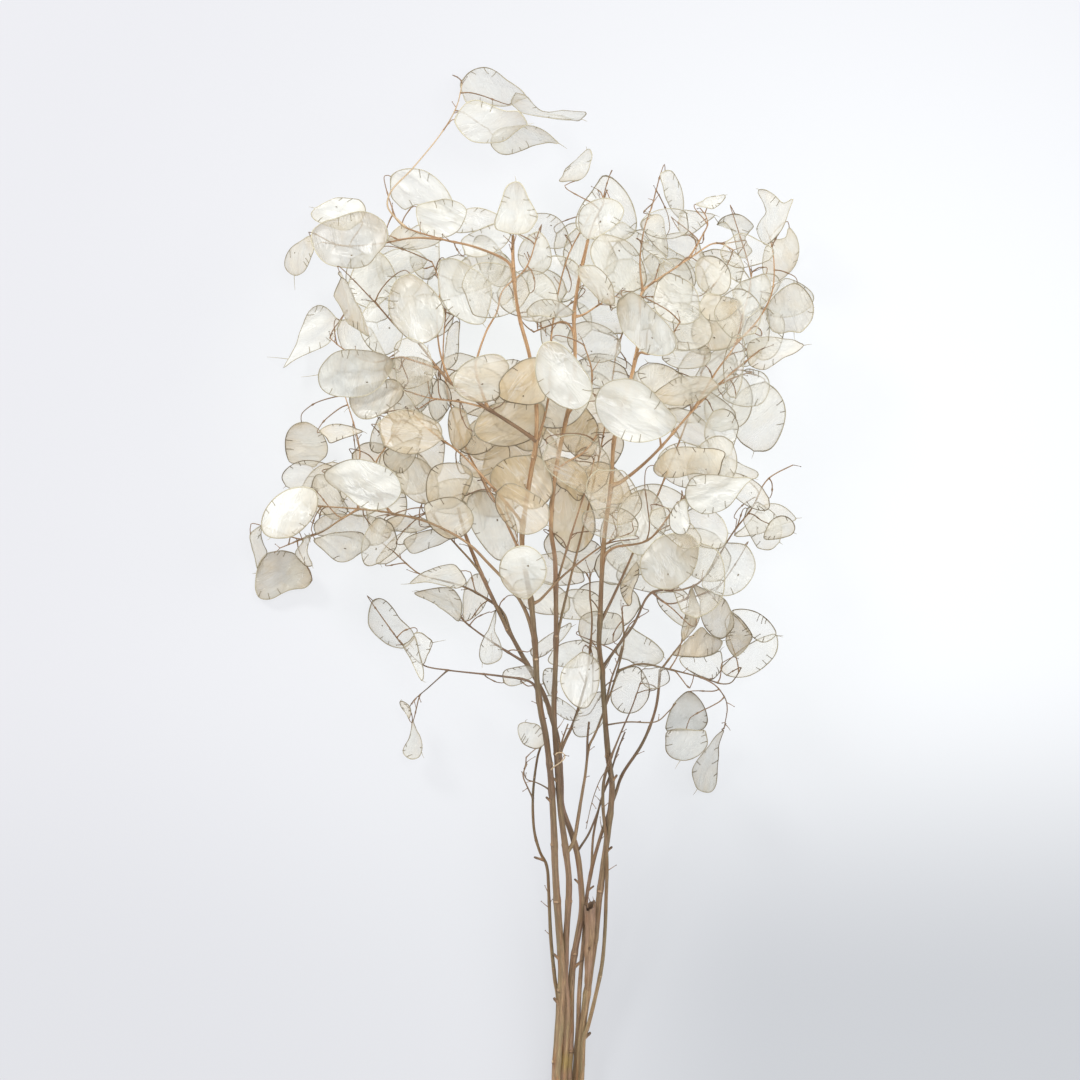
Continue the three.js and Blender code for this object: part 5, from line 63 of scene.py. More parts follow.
    "raceme_inner_right": ("stem_centre", [[17.26, -206.96, 51.92, 1.62], [21.13, -201.96, 53.25, 1.56], [23.15, -196.01, 54.58, 1.52], [24.26, -189.84, 55.93, 1.48], [25.19, -183.67, 57.28, 1.44], [26.1, -177.52, 58.66, 1.41], [27.14, -171.4, 60.05, 1.37], [28.2, -165.29, 61.46, 1.34], [29.21, -159.18, 62.87, 1.31], [30.07, -153.06, 64.3, 1.27], [30.73, -146.92, 65.74, 1.24], [31.43, -140.78, 67.19, 1.21], [32.64, -134.74, 68.65, 1.18], [35.35, -129.25, 70.11, 1.15], [37.79, -123.62, 71.59, 1.13], [39.89, -117.85, 73.07, 1.1], [41.94, -112.07, 74.55, 1.07], [44.02, -106.31, 76.05, 1.04], [46.17, -100.58, 77.56, 1.01], [48.11, -94.79, 79.07, 0.99], [49.82, -88.92, 80.6, 0.96], [51.39, -83.03, 82.14, 0.93], [52.83, -77.1, 83.7, 0.91], [54.22, -71.17, 85.27, 0.88], [54.88, -65.13, 86.86, 0.86], [54.66, -59.05, 88.46, 0.83], [54.1, -52.99, 90.07, 0.81], [53.47, -46.95, 91.7, 0.78]]),
    "raceme_inner_centre": ("stem_left_centre", [[12.69, -141.1, 61.71, 1.49], [15.34, -134.96, 62.37, 1.43], [18.1, -129.17, 63.01, 1.38], [20.8, -123.5, 63.65, 1.34], [23, -117.69, 64.28, 1.3], [24.94, -111.82, 64.9, 1.26], [26.73, -105.93, 65.51, 1.22], [28.43, -100.03, 66.1, 1.19], [29.89, -94.07, 66.67, 1.15], [31, -88.04, 67.22, 1.12], [31.85, -81.97, 67.75, 1.08], [32.54, -75.89, 68.25, 1.05], [33.14, -69.8, 68.74, 1.02], [33.68, -63.71, 69.2, 0.99], [34.07, -57.6, 69.65, 0.96], [34.18, -51.49, 70.08, 0.93], [33.72, -45.4, 70.5, 0.9], [33.03, -39.33, 70.91, 0.87], [32.77, -33.23, 71.32, 0.84], [32.78, -27.13, 71.72, 0.81], [32.85, -21.02, 72.12, 0.78]]),
    "raceme_leader_tip": ("stem_left", [[-16.91, 172.43, 162.56, 1.04], [-17.42, 178.11, 164.9, 0.9], [-17.82, 183.79, 166.92, 0.79], [-17.46, 189.73, 165.33, 0.7], [-17.15, 192.73, 164.02, 0.65]]),
    "raceme_upper_left": ("stem_left", [[-16.37, 163.81, 160.88, 1.37], [-17.06, 169.72, 159.85, 1.3], [-19.11, 175.28, 158.68, 1.25], [-23.7, 179.07, 157.26, 1.21], [-29.03, 181.79, 155.5, 1.17], [-34.56, 184.13, 153.33, 1.13], [-40.18, 186.31, 150.68, 1.1], [-45.9, 188.27, 147.52, 1.06], [-51.77, 189.82, 143.83, 1.03], [-57.69, 191.29, 139.59, 1], [-63.59, 193.06, 134.81, 0.96], [-69.47, 195.1, 129.52, 0.93], [-75.36, 197.25, 123.77, 0.9], [-81.24, 199.61, 117.6, 0.87], [-87.01, 202.4, 111.1, 0.84], [-91.98, 206.58, 104.35, 0.81], [-95.64, 212.1, 97.49, 0.78]]),
    "raceme_top_spray": ("raceme_upper_left", [[-87.01, 202.4, 111.1, 0.85], [-91.48, 206.59, 110.99, 0.82], [-95.71, 210.91, 110.78, 0.8], [-98.68, 216.06, 110.38, 0.79], [-98.22, 221.95, 109.74, 0.77], [-95.5, 227.28, 108.81, 0.76], [-91.62, 231.83, 107.58, 0.74], [-87.36, 236.06, 106.01, 0.73], [-83.3, 240.51, 104.07, 0.71], [-79.47, 245.22, 101.77, 0.7], [-75.68, 250.01, 99.09, 0.69], [-71.94, 254.88, 96.03, 0.68], [-68.3, 259.88, 92.6, 0.66], [-64.81, 265.04, 88.83, 0.65], [-61.52, 270.4, 84.72, 0.64], [-58.49, 275.97, 80.32, 0.63], [-55.84, 281.81, 75.67, 0.62], [-53.8, 287.95, 70.81, 0.61], [-52.51, 294.37, 65.81, 0.6], [-51.47, 300.88, 60.73, 0.59]]),
    "raceme_left_shoulder": ("raceme_upper_left", [[-63.59, 193.06, 134.81, 0.91], [-69.51, 193.6, 132.46, 0.88], [-75.48, 194.11, 129.8, 0.85], [-81.49, 194.34, 126.61, 0.83], [-87.51, 193.92, 122.75, 0.81], [-93.49, 193.03, 118.12, 0.79], [-99.55, 192.31, 112.64, 0.77], [-105.72, 191.99, 106.3, 0.75], [-111.98, 191.83, 99.1, 0.73], [-118.32, 191.91, 91.08, 0.72], [-124.75, 192.41, 82.34, 0.7], [-131.23, 193.63, 72.99, 0.68], [-137.72, 195.33, 63.21, 0.67], [-144.25, 197.19, 53.19, 0.65]]),
    "raceme_long_left": ("stem_left", [[-2.51, 63.66, 136.93, 1.62], [-6.71, 66.65, 137.83, 1.56], [-11.25, 69.8, 138.7, 1.52], [-15.99, 72.96, 139.48, 1.47], [-20.89, 76.07, 140.16, 1.44], [-25.83, 79.18, 140.7, 1.4], [-30.77, 82.36, 141.09, 1.36], [-35.67, 85.61, 141.31, 1.33], [-40.65, 88.78, 141.34, 1.3], [-45.63, 91.95, 141.18, 1.26], [-50.51, 95.3, 140.8, 1.23], [-55.18, 98.96, 140.2, 1.2], [-59.5, 103.03, 139.39, 1.17], [-63.42, 107.51, 138.34, 1.14], [-67.11, 112.21, 137.08, 1.11], [-70.71, 117, 135.6, 1.08], [-74.35, 121.78, 133.92, 1.05], [-78.24, 126.39, 132.04, 1.02], [-82.76, 130.38, 130, 0.99], [-87.89, 133.61, 127.79, 0.97], [-92.5, 137.55, 125.45, 0.94], [-96.63, 142.04, 123, 0.91], [-100.63, 146.68, 120.47, 0.89], [-104.57, 151.37, 117.9, 0.86], [-106.57, 153.71, 116.6, 0.85]]),
    "raceme_far_left": ("raceme_long_left", [[-65.29, 109.85, 137.74, 0.91], [-71.43, 111.99, 135.59, 0.87], [-77.42, 113.91, 133.17, 0.83], [-83.27, 115.96, 130.24, 0.81], [-89.17, 117.66, 126.66, 0.78], [-95.22, 116.96, 122.28, 0.75], [-101.21, 115.63, 117.04, 0.73], [-107.4, 115.12, 110.92, 0.71], [-113.56, 116.67, 103.92, 0.68], [-119.42, 119.46, 96.11, 0.66], [-125.12, 122.79, 87.59, 0.64], [-130.71, 126.43, 78.51, 0.62], [-135.86, 130.82, 69.08, 0.6], [-138.37, 133.1, 64.3, 0.59]]),
    "raceme_left_upright": ("raceme_long_left", [[-57.39, 100.93, 139.82, 0.85], [-59.58, 106.57, 138.5, 0.81], [-61.67, 112.19, 136.96, 0.79], [-63.47, 117.9, 135.01, 0.77], [-64.74, 123.78, 132.52, 0.75], [-65.58, 129.77, 129.39, 0.73], [-66.11, 135.83, 125.55, 0.71], [-66.4, 141.97, 120.97, 0.69], [-66.26, 148.17, 115.64, 0.67], [-65.61, 154.38, 109.59, 0.66], [-65.01, 160.67, 102.87, 0.64], [-65.23, 167.06, 95.59, 0.62], [-66.98, 173.32, 87.86, 0.61], [-69.54, 179.36, 79.85, 0.59], [-70.85, 182.38, 75.8, 0.59]]),
    "raceme_left_level": ("raceme_long_left", [[-33.22, 83.98, 141.22, 0.85], [-39.32, 85.76, 139.78, 0.81], [-45.28, 87.36, 137.98, 0.78], [-51.24, 88.63, 135.51, 0.75], [-57.26, 89.51, 132.13, 0.72], [-63.31, 90.29, 127.71, 0.7], [-69.38, 91.24, 122.17, 0.68], [-75.4, 92.81, 115.56, 0.66], [-81.31, 95, 107.98, 0.64], [-87.38, 96.92, 99.62, 0.62], [-93.58, 98.53, 90.77, 0.59], [-96.71, 99.32, 86.26, 0.59]]),
    "raceme_upper_crossing": ("raceme_long_left", [[-33.22, 83.98, 141.22, 1.17], [-35.39, 89.73, 141.85, 1.12], [-37.39, 95.36, 142.4, 1.09], [-39.21, 100.96, 142.82, 1.06], [-40.73, 106.63, 143.06, 1.03], [-41.18, 112.43, 143.09, 1], [-39.68, 118.07, 142.89, 0.98], [-37.98, 123.67, 142.43, 0.95], [-36, 129.19, 141.7, 0.93], [-33.78, 134.64, 140.68, 0.9], [-30.94, 139.79, 139.36, 0.88], [-28.03, 144.94, 137.73, 0.85], [-26.5, 150.66, 135.8, 0.83], [-25.49, 156.54, 133.57, 0.81], [-22.79, 161.83, 131.07, 0.79], [-18.52, 165.99, 128.3, 0.76], [-13.97, 169.87, 125.3, 0.74], [-9.82, 174.21, 122.1, 0.72], [-6.95, 179.55, 118.72, 0.7], [-4.99, 185.35, 115.22, 0.68], [-3.42, 191.29, 111.63, 0.66], [-2.59, 194.26, 109.83, 0.65]]),
    "raceme_centre_left": ("stem_left", [[-11.4, 5.45, 121.02, 1.3], [-12.39, 11.57, 121.66, 1.24], [-15.71, 16.58, 122.23, 1.2], [-19.42, 21.22, 122.66, 1.16], [-23.24, 25.73, 122.88, 1.12], [-27.12, 30.16, 122.85, 1.09], [-31.04, 34.56, 122.51, 1.06], [-35, 38.94, 121.84, 1.03], [-38.95, 43.32, 120.8, 0.99], [-42.96, 47.68, 119.39, 0.96], [-47.11, 51.93, 117.59, 0.93], [-51.45, 56, 115.42, 0.91], [-56.06, 59.8, 112.88, 0.88], [-60.86, 63.4, 110, 0.85], [-65.75, 66.92, 106.83, 0.82], [-70.61, 70.51, 103.39, 0.79], [-75.26, 74.42, 99.75, 0.77], [-79.49, 78.8, 95.96, 0.74], [-83.45, 83.45, 92.1, 0.72]]),
    "raceme_low_left_long": ("stem_left", [[-3.4, -65.59, 101.01, 1.62], [-5.14, -59.16, 101.36, 1.57], [-6.85, -53.06, 101.69, 1.53], [-8.89, -47.25, 101.99, 1.49], [-11.55, -41.78, 102.23, 1.46], [-14.7, -36.64, 102.4, 1.42], [-18.22, -31.78, 102.49, 1.39], [-22.07, -27.18, 102.48, 1.36], [-26.13, -22.77, 102.37, 1.33], [-30.3, -18.47, 102.15, 1.3], [-34.48, -14.18, 101.81, 1.27], [-38.56, -9.79, 101.33, 1.25], [-42.8, -5.55, 100.72, 1.22], [-47.45, -1.77, 99.97, 1.19], [-52.47, 1.54, 99.08, 1.17], [-57.67, 4.55, 98.04, 1.14], [-63.03, 7.3, 96.86, 1.11], [-68.52, 9.8, 95.53, 1.09], [-74.15, 11.98, 94.05, 1.06], [-79.94, 13.76, 92.43, 1.04], [-85.82, 15.24, 90.68, 1.01], [-91.77, 16.53, 88.8, 0.99], [-97.74, 17.72, 86.8, 0.97], [-103.77, 18.74, 84.69, 0.94], [-109.84, 19.48, 82.46, 0.92], [-115.95, 20.06, 80.15, 0.89], [-122.07, 20.62, 77.76, 0.87], [-128.22, 21.1, 75.29, 0.85], [-134.38, 21.54, 72.77, 0.83], [-140.56, 21.95, 70.21, 0.8], [-146.75, 22.38, 67.63, 0.78]]),
    "raceme_low_left_inner": ("raceme_low_left_long", [[-97.74, 17.72, 86.8, 0.91], [-101.02, 22.54, 87.26, 0.86], [-104.35, 27.41, 87.63, 0.83], [-107.34, 32.55, 87.86, 0.8], [-108.99, 38.26, 87.88, 0.77], [-108.71, 44.23, 87.68, 0.74], [-107.38, 50.07, 87.23, 0.72], [-104.7, 55.35, 86.53, 0.69], [-101.17, 60.16, 85.59, 0.67], [-98.28, 65.42, 84.46, 0.64], [-95.4, 70.69, 83.16, 0.62], [-92.48, 75.94, 81.76, 0.6], [-91.01, 78.57, 81.05, 0.59]]),
    "raceme_low_left_rising": ("raceme_low_left_long", [[-119.01, 20.35, 78.96, 0.85], [-119.6, 26.33, 79.41, 0.81], [-120.23, 32.33, 79.64, 0.78], [-120.6, 38.37, 79.48, 0.76], [-120, 44.4, 78.79, 0.74], [-118.69, 50.33, 77.44, 0.72], [-118.12, 56.39, 75.37, 0.7], [-118.95, 62.48, 72.55, 0.68], [-120.39, 68.51, 68.99, 0.66], [-122.09, 74.52, 64.74, 0.65], [-124.08, 80.5, 59.89, 0.63], [-126.15, 86.5, 54.59, 0.61], [-128.3, 92.52, 49, 0.59], [-129.37, 95.54, 46.16, 0.59]]),
    "raceme_low_left_tip": ("raceme_low_left_long", [[-119.01, 20.35, 78.96, 0.85], [-124.16, 17.32, 78.08, 0.8], [-129.41, 14.25, 76.79, 0.77], [-134.58, 10.91, 74.71, 0.74], [-139.7, 7.36, 71.59, 0.71], [-145.3, 4.44, 67.28, 0.69], [-151.37, 2.34, 61.74, 0.66], [-157.6, 0.4, 55.07, 0.64], [-163.82, -1.83, 47.49, 0.62], [-170.07, -4.16, 39.31, 0.6], [-173.22, -5.33, 35.12, 0.59]]),
    "raceme_left_drooping": ("stem_left_centre", [[-20.3, -59.92, 75.25, 1.3], [-21.4, -54.66, 75.02, 1.23], [-23.26, -49.32, 74.76, 1.18], [-26.77, -44.72, 74.48, 1.13], [-31.39, -41.04, 74.5, 1.09], [-36.36, -37.78, 74.68, 1.05], [-41.52, -34.79, 74.69, 1.01], [-46.83, -32.05, 74.49, 0.97], [-52.39, -29.84, 74.08, 0.94], [-58.16, -28.23, 73.49, 0.9], [-63.98, -26.77, 72.75, 0.86], [-69.79, -25.23, 71.86, 0.83], [-75.63, -23.82, 70.85, 0.8], [-81.02, -21.18, 69.73, 0.76], [-85.75, -17.47, 68.52, 0.73], [-90.23, -13.44, 67.25, 0.7], [-94.61, -9.3, 65.93, 0.67], [-96.83, -7.25, 65.26, 0.65]]),
    "raceme_front_low": ("stem_left_centre", [[-8.58, -81.19, 72.62, 1.23], [-13.73, -78.11, 73.09, 1.15], [-18.89, -74.98, 73.48, 1.09], [-24.03, -71.79, 73.71, 1.03], [-29.15, -68.54, 73.74, 0.97], [-34.19, -65.16, 73.53, 0.92], [-39.17, -61.69, 73.06, 0.87], [-44.07, -58.1, 72.33, 0.83], [-48.79, -54.27, 71.36, 0.78], [-53.03, -49.92, 70.2, 0.74], [-56.36, -44.85, 68.89, 0.69], [-59.23, -39.49, 67.5, 0.65]]),
    "raceme_lowest_left": ("stem_left", [[-0.48, -104.81, 88.28, 1.17], [-1.96, -98.87, 88.46, 1.11], [-4.78, -93.62, 88.57, 1.07], [-10.13, -91.13, 88.54, 1.04], [-15.98, -90.06, 88.32, 1], [-21.88, -89.37, 87.86, 0.97], [-27.77, -88.6, 87.12, 0.94], [-33.68, -87.92, 86.07, 0.91], [-39.61, -87.39, 84.68, 0.88], [-45.56, -86.83, 82.94, 0.85], [-51.51, -86.29, 80.84, 0.82], [-57.48, -85.7, 78.38, 0.79], [-63.44, -84.95, 75.57, 0.76], [-69.44, -84.31, 72.42, 0.74], [-75.32, -82.96, 68.96, 0.71], [-80.51, -79.97, 65.22, 0.69], [-84.9, -75.89, 61.24, 0.66], [-89.04, -71.53, 57.07, 0.63], [-93.04, -67.04, 52.77, 0.61], [-96.78, -62.31, 48.4, 0.59]]),
    "raceme_lowest_left_tip": ("raceme_lowest_left", [[-60.46, -85.33, 77.02, 0.65], [-65.12, -89.51, 72.72, 0.6], [-69.71, -93.74, 67.32, 0.57], [-74.37, -97.99, 60.04, 0.54], [-79.23, -102.19, 50.61, 0.51], [-84.01, -106.66, 39.31, 0.48], [-87.54, -112.27, 26.95, 0.45]]),
    "raceme_left_end": ("stem_left_centre", [[-38.58, -21.69, 77.48, 1.04], [-41.94, -17.64, 78.58, 0.98], [-45.53, -13.34, 79.6, 0.94], [-49.38, -9.06, 80.5, 0.9], [-53.34, -4.77, 81.2, 0.86], [-57.26, -0.38, 81.68, 0.82], [-61.07, 4.12, 81.92, 0.79], [-64.81, 8.71, 81.93, 0.76], [-68.33, 13.47, 81.72, 0.73], [-71.51, 18.48, 81.35, 0.7], [-74.48, 23.62, 80.87, 0.66], [-75.96, 26.19, 80.62, 0.65]]),
    "raceme_middle_left": ("stem_centre", [[22.18, 131.02, 139.59, 1.04], [19.65, 136.37, 138.41, 0.94], [15.3, 139.9, 136.16, 0.87], [9.66, 138.95, 132.12, 0.8], [4.17, 137.36, 126.15, 0.74], [-1.22, 135.47, 118.7, 0.68], [-3.88, 134.43, 114.69, 0.65]]),
    "raceme_middle_right": ("stem_centre", [[21.72, 142.69, 141.58, 1.04], [27.63, 144.09, 141.06, 0.93], [32.83, 147.32, 140.19, 0.85], [37.91, 150.75, 138.75, 0.78], [43.27, 153.7, 136.74, 0.71], [48.75, 156.49, 134.39, 0.65]]),
    "raceme_middle_tip": ("stem_centre", [[27.37, 177.11, 147.51, 1.04], [28.66, 183.09, 145.88, 0.97], [29.99, 189.03, 143.72, 0.92], [31.57, 194.96, 140.57, 0.87], [33.49, 200.9, 136.12, 0.83], [35.84, 206.8, 130.22, 0.78], [38.67, 212.63, 122.93, 0.74], [41.15, 218.76, 114.48, 0.71], [39.73, 224.95, 105.25, 0.67], [37.69, 227.46, 100.5, 0.65]]),
    "raceme_front_middle": ("stem_centre", [[16.46, 75.89, 129.55, 1.1], [18.8, 81.75, 134.52, 1.04], [22.83, 86.01, 139.47, 0.99], [27.84, 88.93, 144.4, 0.95], [31.34, 93.33, 149.28, 0.91], [32.79, 98.78, 154.09, 0.87], [33.13, 104.38, 158.85, 0.83], [32.4, 109.92, 163.54, 0.8], [30.73, 115.26, 168.21, 0.77], [28.74, 120.48, 172.85, 0.73], [27.77, 123.08, 175.17, 0.72]]),
    "raceme_core": ("stem_centre", [[10.16, 44.08, 122.81, 1.04], [14.62, 48.29, 124.05, 0.96], [19.55, 51.5, 125.05, 0.91], [24.71, 54.14, 125.63, 0.85], [29.33, 57.57, 125.74, 0.81], [32.87, 62.12, 125.43, 0.76], [36.05, 66.94, 124.88, 0.72]]),
    "raceme_upper_right": ("stem_right", [[62.92, 124.55, 132, 1.23], [63.2, 130.49, 132.25, 1.19], [63.48, 136.44, 132.42, 1.15], [63.81, 142.39, 132.43, 1.12], [64.24, 148.35, 132.2, 1.1], [63.97, 154.33, 131.68, 1.07], [66.07, 159.82, 130.82, 1.04], [70.51, 163.9, 129.58, 1.02], [75.42, 167.46, 127.95, 0.99], [80.49, 170.86, 125.9, 0.97], [85.59, 174.27, 123.43, 0.94], [90.61, 177.88, 120.56, 0.92], [95.74, 181.39, 117.29, 0.9], [100.86, 184.99, 113.67, 0.88], [105.94, 188.71, 109.73, 0.85], [111.36, 191.97, 105.52, 0.83], [117.43, 192.67, 101.12, 0.81], [123.02, 190.29, 96.59, 0.79], [125.72, 188.91, 94.3, 0.78]]),
    "raceme_upper_right_rising": ("raceme_upper_right", [[66.07, 159.82, 130.82, 0.85], [65.3, 165.93, 129.6, 0.81], [64.62, 172.05, 128.01, 0.78], [64.34, 178.24, 125.79, 0.75], [64.72, 184.5, 122.72, 0.73], [65.5, 190.82, 118.67, 0.71], [66.6, 197.19, 113.58, 0.68], [68.07, 203.6, 107.45, 0.66], [70.2, 209.94, 100.38, 0.64], [72.55, 216.31, 92.51, 0.62], [74.46, 222.92, 84.06, 0.6], [76.12, 229.66, 75.3, 0.59]]),
    "raceme_front_right": ("stem_right", [[61.2, 115.92, 130.65, 1.1], [64.37, 120.26, 134.83, 1.01], [69.61, 118.98, 138.9, 0.94], [74.74, 120.9, 142.8, 0.87], [79, 124.72, 146.46, 0.81], [82.82, 128.99, 149.89, 0.76], [86.04, 133.74, 153.14, 0.7], [89.04, 138.63, 156.29, 0.65]]),
    "raceme_upper_right_inner": ("raceme_upper_right", [[95.74, 181.39, 117.29, 0.85], [99.51, 187.37, 113.01, 0.78], [102.95, 193.31, 107.62, 0.74], [106.33, 199.34, 100.34, 0.7], [109.3, 205.73, 90.91, 0.66], [108.49, 212.5, 79.62, 0.62], [105.29, 218.51, 67.26, 0.59]]),
    "raceme_long_right": ("stem_right", [[45.88, 35.16, 116.58, 1.49], [51.36, 36.94, 117.37, 1.43], [56.21, 40.29, 118.12, 1.39], [60.9, 43.9, 118.78, 1.35], [65.43, 47.74, 119.33, 1.31], [69.83, 51.72, 119.74, 1.28], [74.09, 55.87, 119.97, 1.24], [78.21, 60.17, 120, 1.21], [82.19, 64.62, 119.81, 1.18], [86.07, 69.16, 119.38, 1.15], [89.94, 73.74, 118.71, 1.11], [93.83, 78.31, 117.78, 1.08], [97.8, 82.84, 116.6, 1.05], [101.91, 87.27, 115.17, 1.03], [106.13, 91.62, 113.48, 1], [110.47, 95.88, 111.56, 0.97], [114.92, 100.05, 109.43, 0.94], [119.49, 104.14, 107.09, 0.91], [124.16, 108.14, 104.57, 0.89], [128.9, 112.09, 101.91, 0.86], [133.66, 116.04, 99.14, 0.83], [138.48, 119.96, 96.28, 0.81], [143.36, 123.81, 93.38, 0.78]]),
    "raceme_right_short": ("raceme_long_right", [[114.92, 100.05, 109.43, 0.85], [121.11, 103.27, 95.6, 0.76], [127.37, 106.42, 80.22, 0.7], [133.92, 109.23, 62.66, 0.64], [140.77, 111.55, 43.55, 0.59]]),
    "raceme_right_rising": ("raceme_long_right", [[99.84, 85.06, 115.92, 0.98], [102.38, 89.64, 116.5, 0.93], [105.17, 94.49, 116.94, 0.9], [108.1, 99.46, 117.16, 0.88], [111.16, 104.49, 117.07, 0.85], [114.35, 109.52, 116.63, 0.82], [117.88, 114.37, 115.78, 0.8], [121.61, 119.13, 114.5, 0.78], [125.06, 124.14, 112.76, 0.76], [127.62, 129.69, 110.56, 0.73], [129.22, 135.63, 107.9, 0.71], [130.51, 141.68, 104.8, 0.69], [132.2, 147.69, 101.3, 0.67], [134.06, 153.69, 97.43, 0.65], [135.71, 159.79, 93.26, 0.63], [137.01, 166, 88.86, 0.61], [138.17, 172.26, 84.32, 0.59], [138.75, 175.4, 82.02, 0.59]]),
    "raceme_front_bright": ("raceme_long_right", [[78.21, 60.17, 120, 0.78], [77.09, 65.74, 125.41, 0.73], [75.67, 71.27, 130.63, 0.69], [73.58, 76.61, 135.57, 0.66], [71.15, 81.82, 140.21, 0.63], [68.43, 86.87, 144.63, 0.6], [67.02, 89.37, 146.79, 0.59]]),
    "raceme_right_edge": ("raceme_right_rising", [[126.49, 126.84, 111.72, 0.85], [130.59, 130.82, 110.5, 0.81], [134.77, 135, 109, 0.79], [138.84, 139.47, 107.02, 0.76], [142.55, 144.36, 104.42, 0.74], [145.86, 149.63, 101.09, 0.72], [148.77, 155.23, 96.98, 0.7], [151.11, 161.17, 92.06, 0.69], [152.62, 167.43, 86.34, 0.67], [153.4, 173.87, 79.86, 0.65], [153.77, 180.41, 72.7, 0.63], [153.8, 187, 64.99, 0.62], [153.24, 193.59, 56.86, 0.6], [152.46, 200.19, 48.53, 0.59]]),
    "raceme_crossing_right": ("stem_left", [[-5.58, -41.67, 108.28, 1.17], [-0.49, -39.17, 108.96, 1.11], [3.64, -35.07, 109.53, 1.07], [7.59, -30.72, 109.86, 1.03], [11.63, -26.42, 109.88, 0.99], [15.92, -22.33, 109.5, 0.96], [20.46, -18.51, 108.69, 0.93], [25.14, -14.84, 107.38, 0.89], [29.89, -11.25, 105.58, 0.86], [34.7, -7.71, 103.26, 0.83], [39.64, -4.34, 100.45, 0.8], [44.89, -1.42, 97.18, 0.77], [49.72, 2.15, 93.5, 0.75], [53.55, 6.81, 89.47, 0.72], [56.86, 11.87, 85.19, 0.69], [60, 17.07, 80.73, 0.66], [61.61, 19.66, 78.48, 0.65]]),
    "raceme_core_rising": ("stem_centre", [[10.29, -29.94, 105.97, 1.1], [12.12, -23.78, 106.47, 1.06], [13.89, -17.79, 106.92, 1.02], [15.63, -11.9, 107.29, 0.99], [17.37, -6.05, 107.54, 0.96], [19.13, -0.24, 107.65, 0.93], [20.9, 5.56, 107.61, 0.91], [22.72, 11.34, 107.39, 0.88], [24.57, 17.1, 107.01, 0.86], [26.44, 22.86, 106.46, 0.83], [28.31, 28.63, 105.75, 0.81], [30.17, 34.41, 104.91, 0.78], [31.99, 40.2, 103.96, 0.76], [33.64, 46.05, 102.93, 0.74], [35.07, 51.96, 101.87, 0.72]]),
    "raceme_right_level": ("stem_right", [[40.62, -12.13, 106.85, 1.1], [43.94, -7.62, 108.84, 1.06], [48.83, -4.6, 110.81, 1.03], [54.61, -3.59, 112.77, 1], [60.42, -2.87, 114.7, 0.97], [66.13, -1.6, 116.57, 0.95], [71.26, 1.11, 118.39, 0.92], [75.43, 5.2, 120.13, 0.9], [79, 9.83, 121.79, 0.88], [82.37, 14.59, 123.38, 0.85], [85.95, 19.2, 124.88, 0.83], [89.56, 23.78, 126.32, 0.81], [93.15, 28.36, 127.71, 0.79], [96.99, 32.74, 129.05, 0.77], [101.22, 36.72, 130.37, 0.75], [105.63, 40.49, 131.68, 0.73], [107.84, 42.37, 132.33, 0.72]]),
    "raceme_far_right": ("stem_right", [[40.34, -84.17, 89.43, 1.3], [43.89, -78.97, 89.78, 1.26], [47.42, -73.94, 90.11, 1.23], [50.94, -68.98, 90.4, 1.2], [54.53, -64.13, 90.63, 1.18], [58.22, -59.38, 90.8, 1.15], [61.55, -54.39, 90.89, 1.13], [64.14, -48.98, 90.9, 1.11], [66.5, -43.47, 90.83, 1.09], [69.28, -38.16, 90.65, 1.06], [73.45, -33.94, 90.37, 1.04], [79.28, -32.77, 89.98, 1.02], [85.29, -33.06, 89.48, 1], [91.27, -32.67, 88.85, 0.98], [97.1, -31.15, 88.09, 0.96], [102.6, -28.72, 87.21, 0.95], [107.18, -24.82, 86.2, 0.93], [110.9, -20.08, 85.06, 0.91], [114.2, -15.03, 83.8, 0.89], [117.33, -9.87, 82.4, 0.87], [120.43, -4.67, 80.88, 0.85], [123.58, 0.5, 79.24, 0.84], [127, 5.52, 77.48, 0.82], [130.75, 10.32, 75.61, 0.8], [134.7, 14.97, 73.64, 0.78], [138.47, 19.78, 71.57, 0.77], [141.6, 25.03, 69.41, 0.75], [144.17, 30.58, 67.17, 0.73], [146.96, 36.04, 64.86, 0.72], [150.93, 40.73, 62.5, 0.7], [156.09, 44.16, 60.09, 0.68], [161.65, 46.94, 57.64, 0.67], [167.28, 49.59, 55.18, 0.65]]),
    "raceme_lower_right": ("raceme_far_right", [[73.45, -33.94, 90.37, 0.85], [77.68, -38.18, 90.04, 0.79], [82.76, -41.39, 89.05, 0.75], [88.76, -41.14, 86.87, 0.72], [94.62, -39.13, 83.17, 0.69], [100.65, -37.32, 77.89, 0.66], [106.81, -35.61, 71.23, 0.63], [113.04, -33.87, 63.64, 0.6], [116.18, -33, 59.68, 0.59]]),
    "raceme_lowest_right": ("raceme_inner_right", [[50.62, -85.98, 81.37, 0.91], [55.94, -83.77, 81.8, 0.88], [61.45, -81.79, 82.11, 0.85], [67.29, -81.08, 82.18, 0.83], [73.17, -81.88, 81.92, 0.81], [78.97, -83.29, 81.24, 0.79], [84.79, -84.7, 80.08, 0.77], [90.64, -86.13, 78.39, 0.75], [96.49, -87.68, 76.17, 0.73], [102.37, -89.28, 73.4, 0.72], [108.25, -90.96, 70.12, 0.7], [114.06, -93.06, 66.35, 0.68], [119.99, -94.86, 62.16, 0.67], [125.99, -94.33, 57.64, 0.65], [130.08, -89.95, 52.87, 0.63], [133.26, -84.86, 47.99, 0.62]]),
    "raceme_lowest_right_tip": ("raceme_lowest_right", [[105.32, -90.07, 71.82, 0.65], [110.78, -92.67, 69.46, 0.62], [115.87, -96.09, 66.22, 0.59], [119.99, -100.85, 61.47, 0.57], [123.12, -106.42, 54.86, 0.55], [124.17, -112.75, 46.43, 0.53], [123.73, -119.2, 36.53, 0.51], [123.01, -125.69, 25.82, 0.49]]),
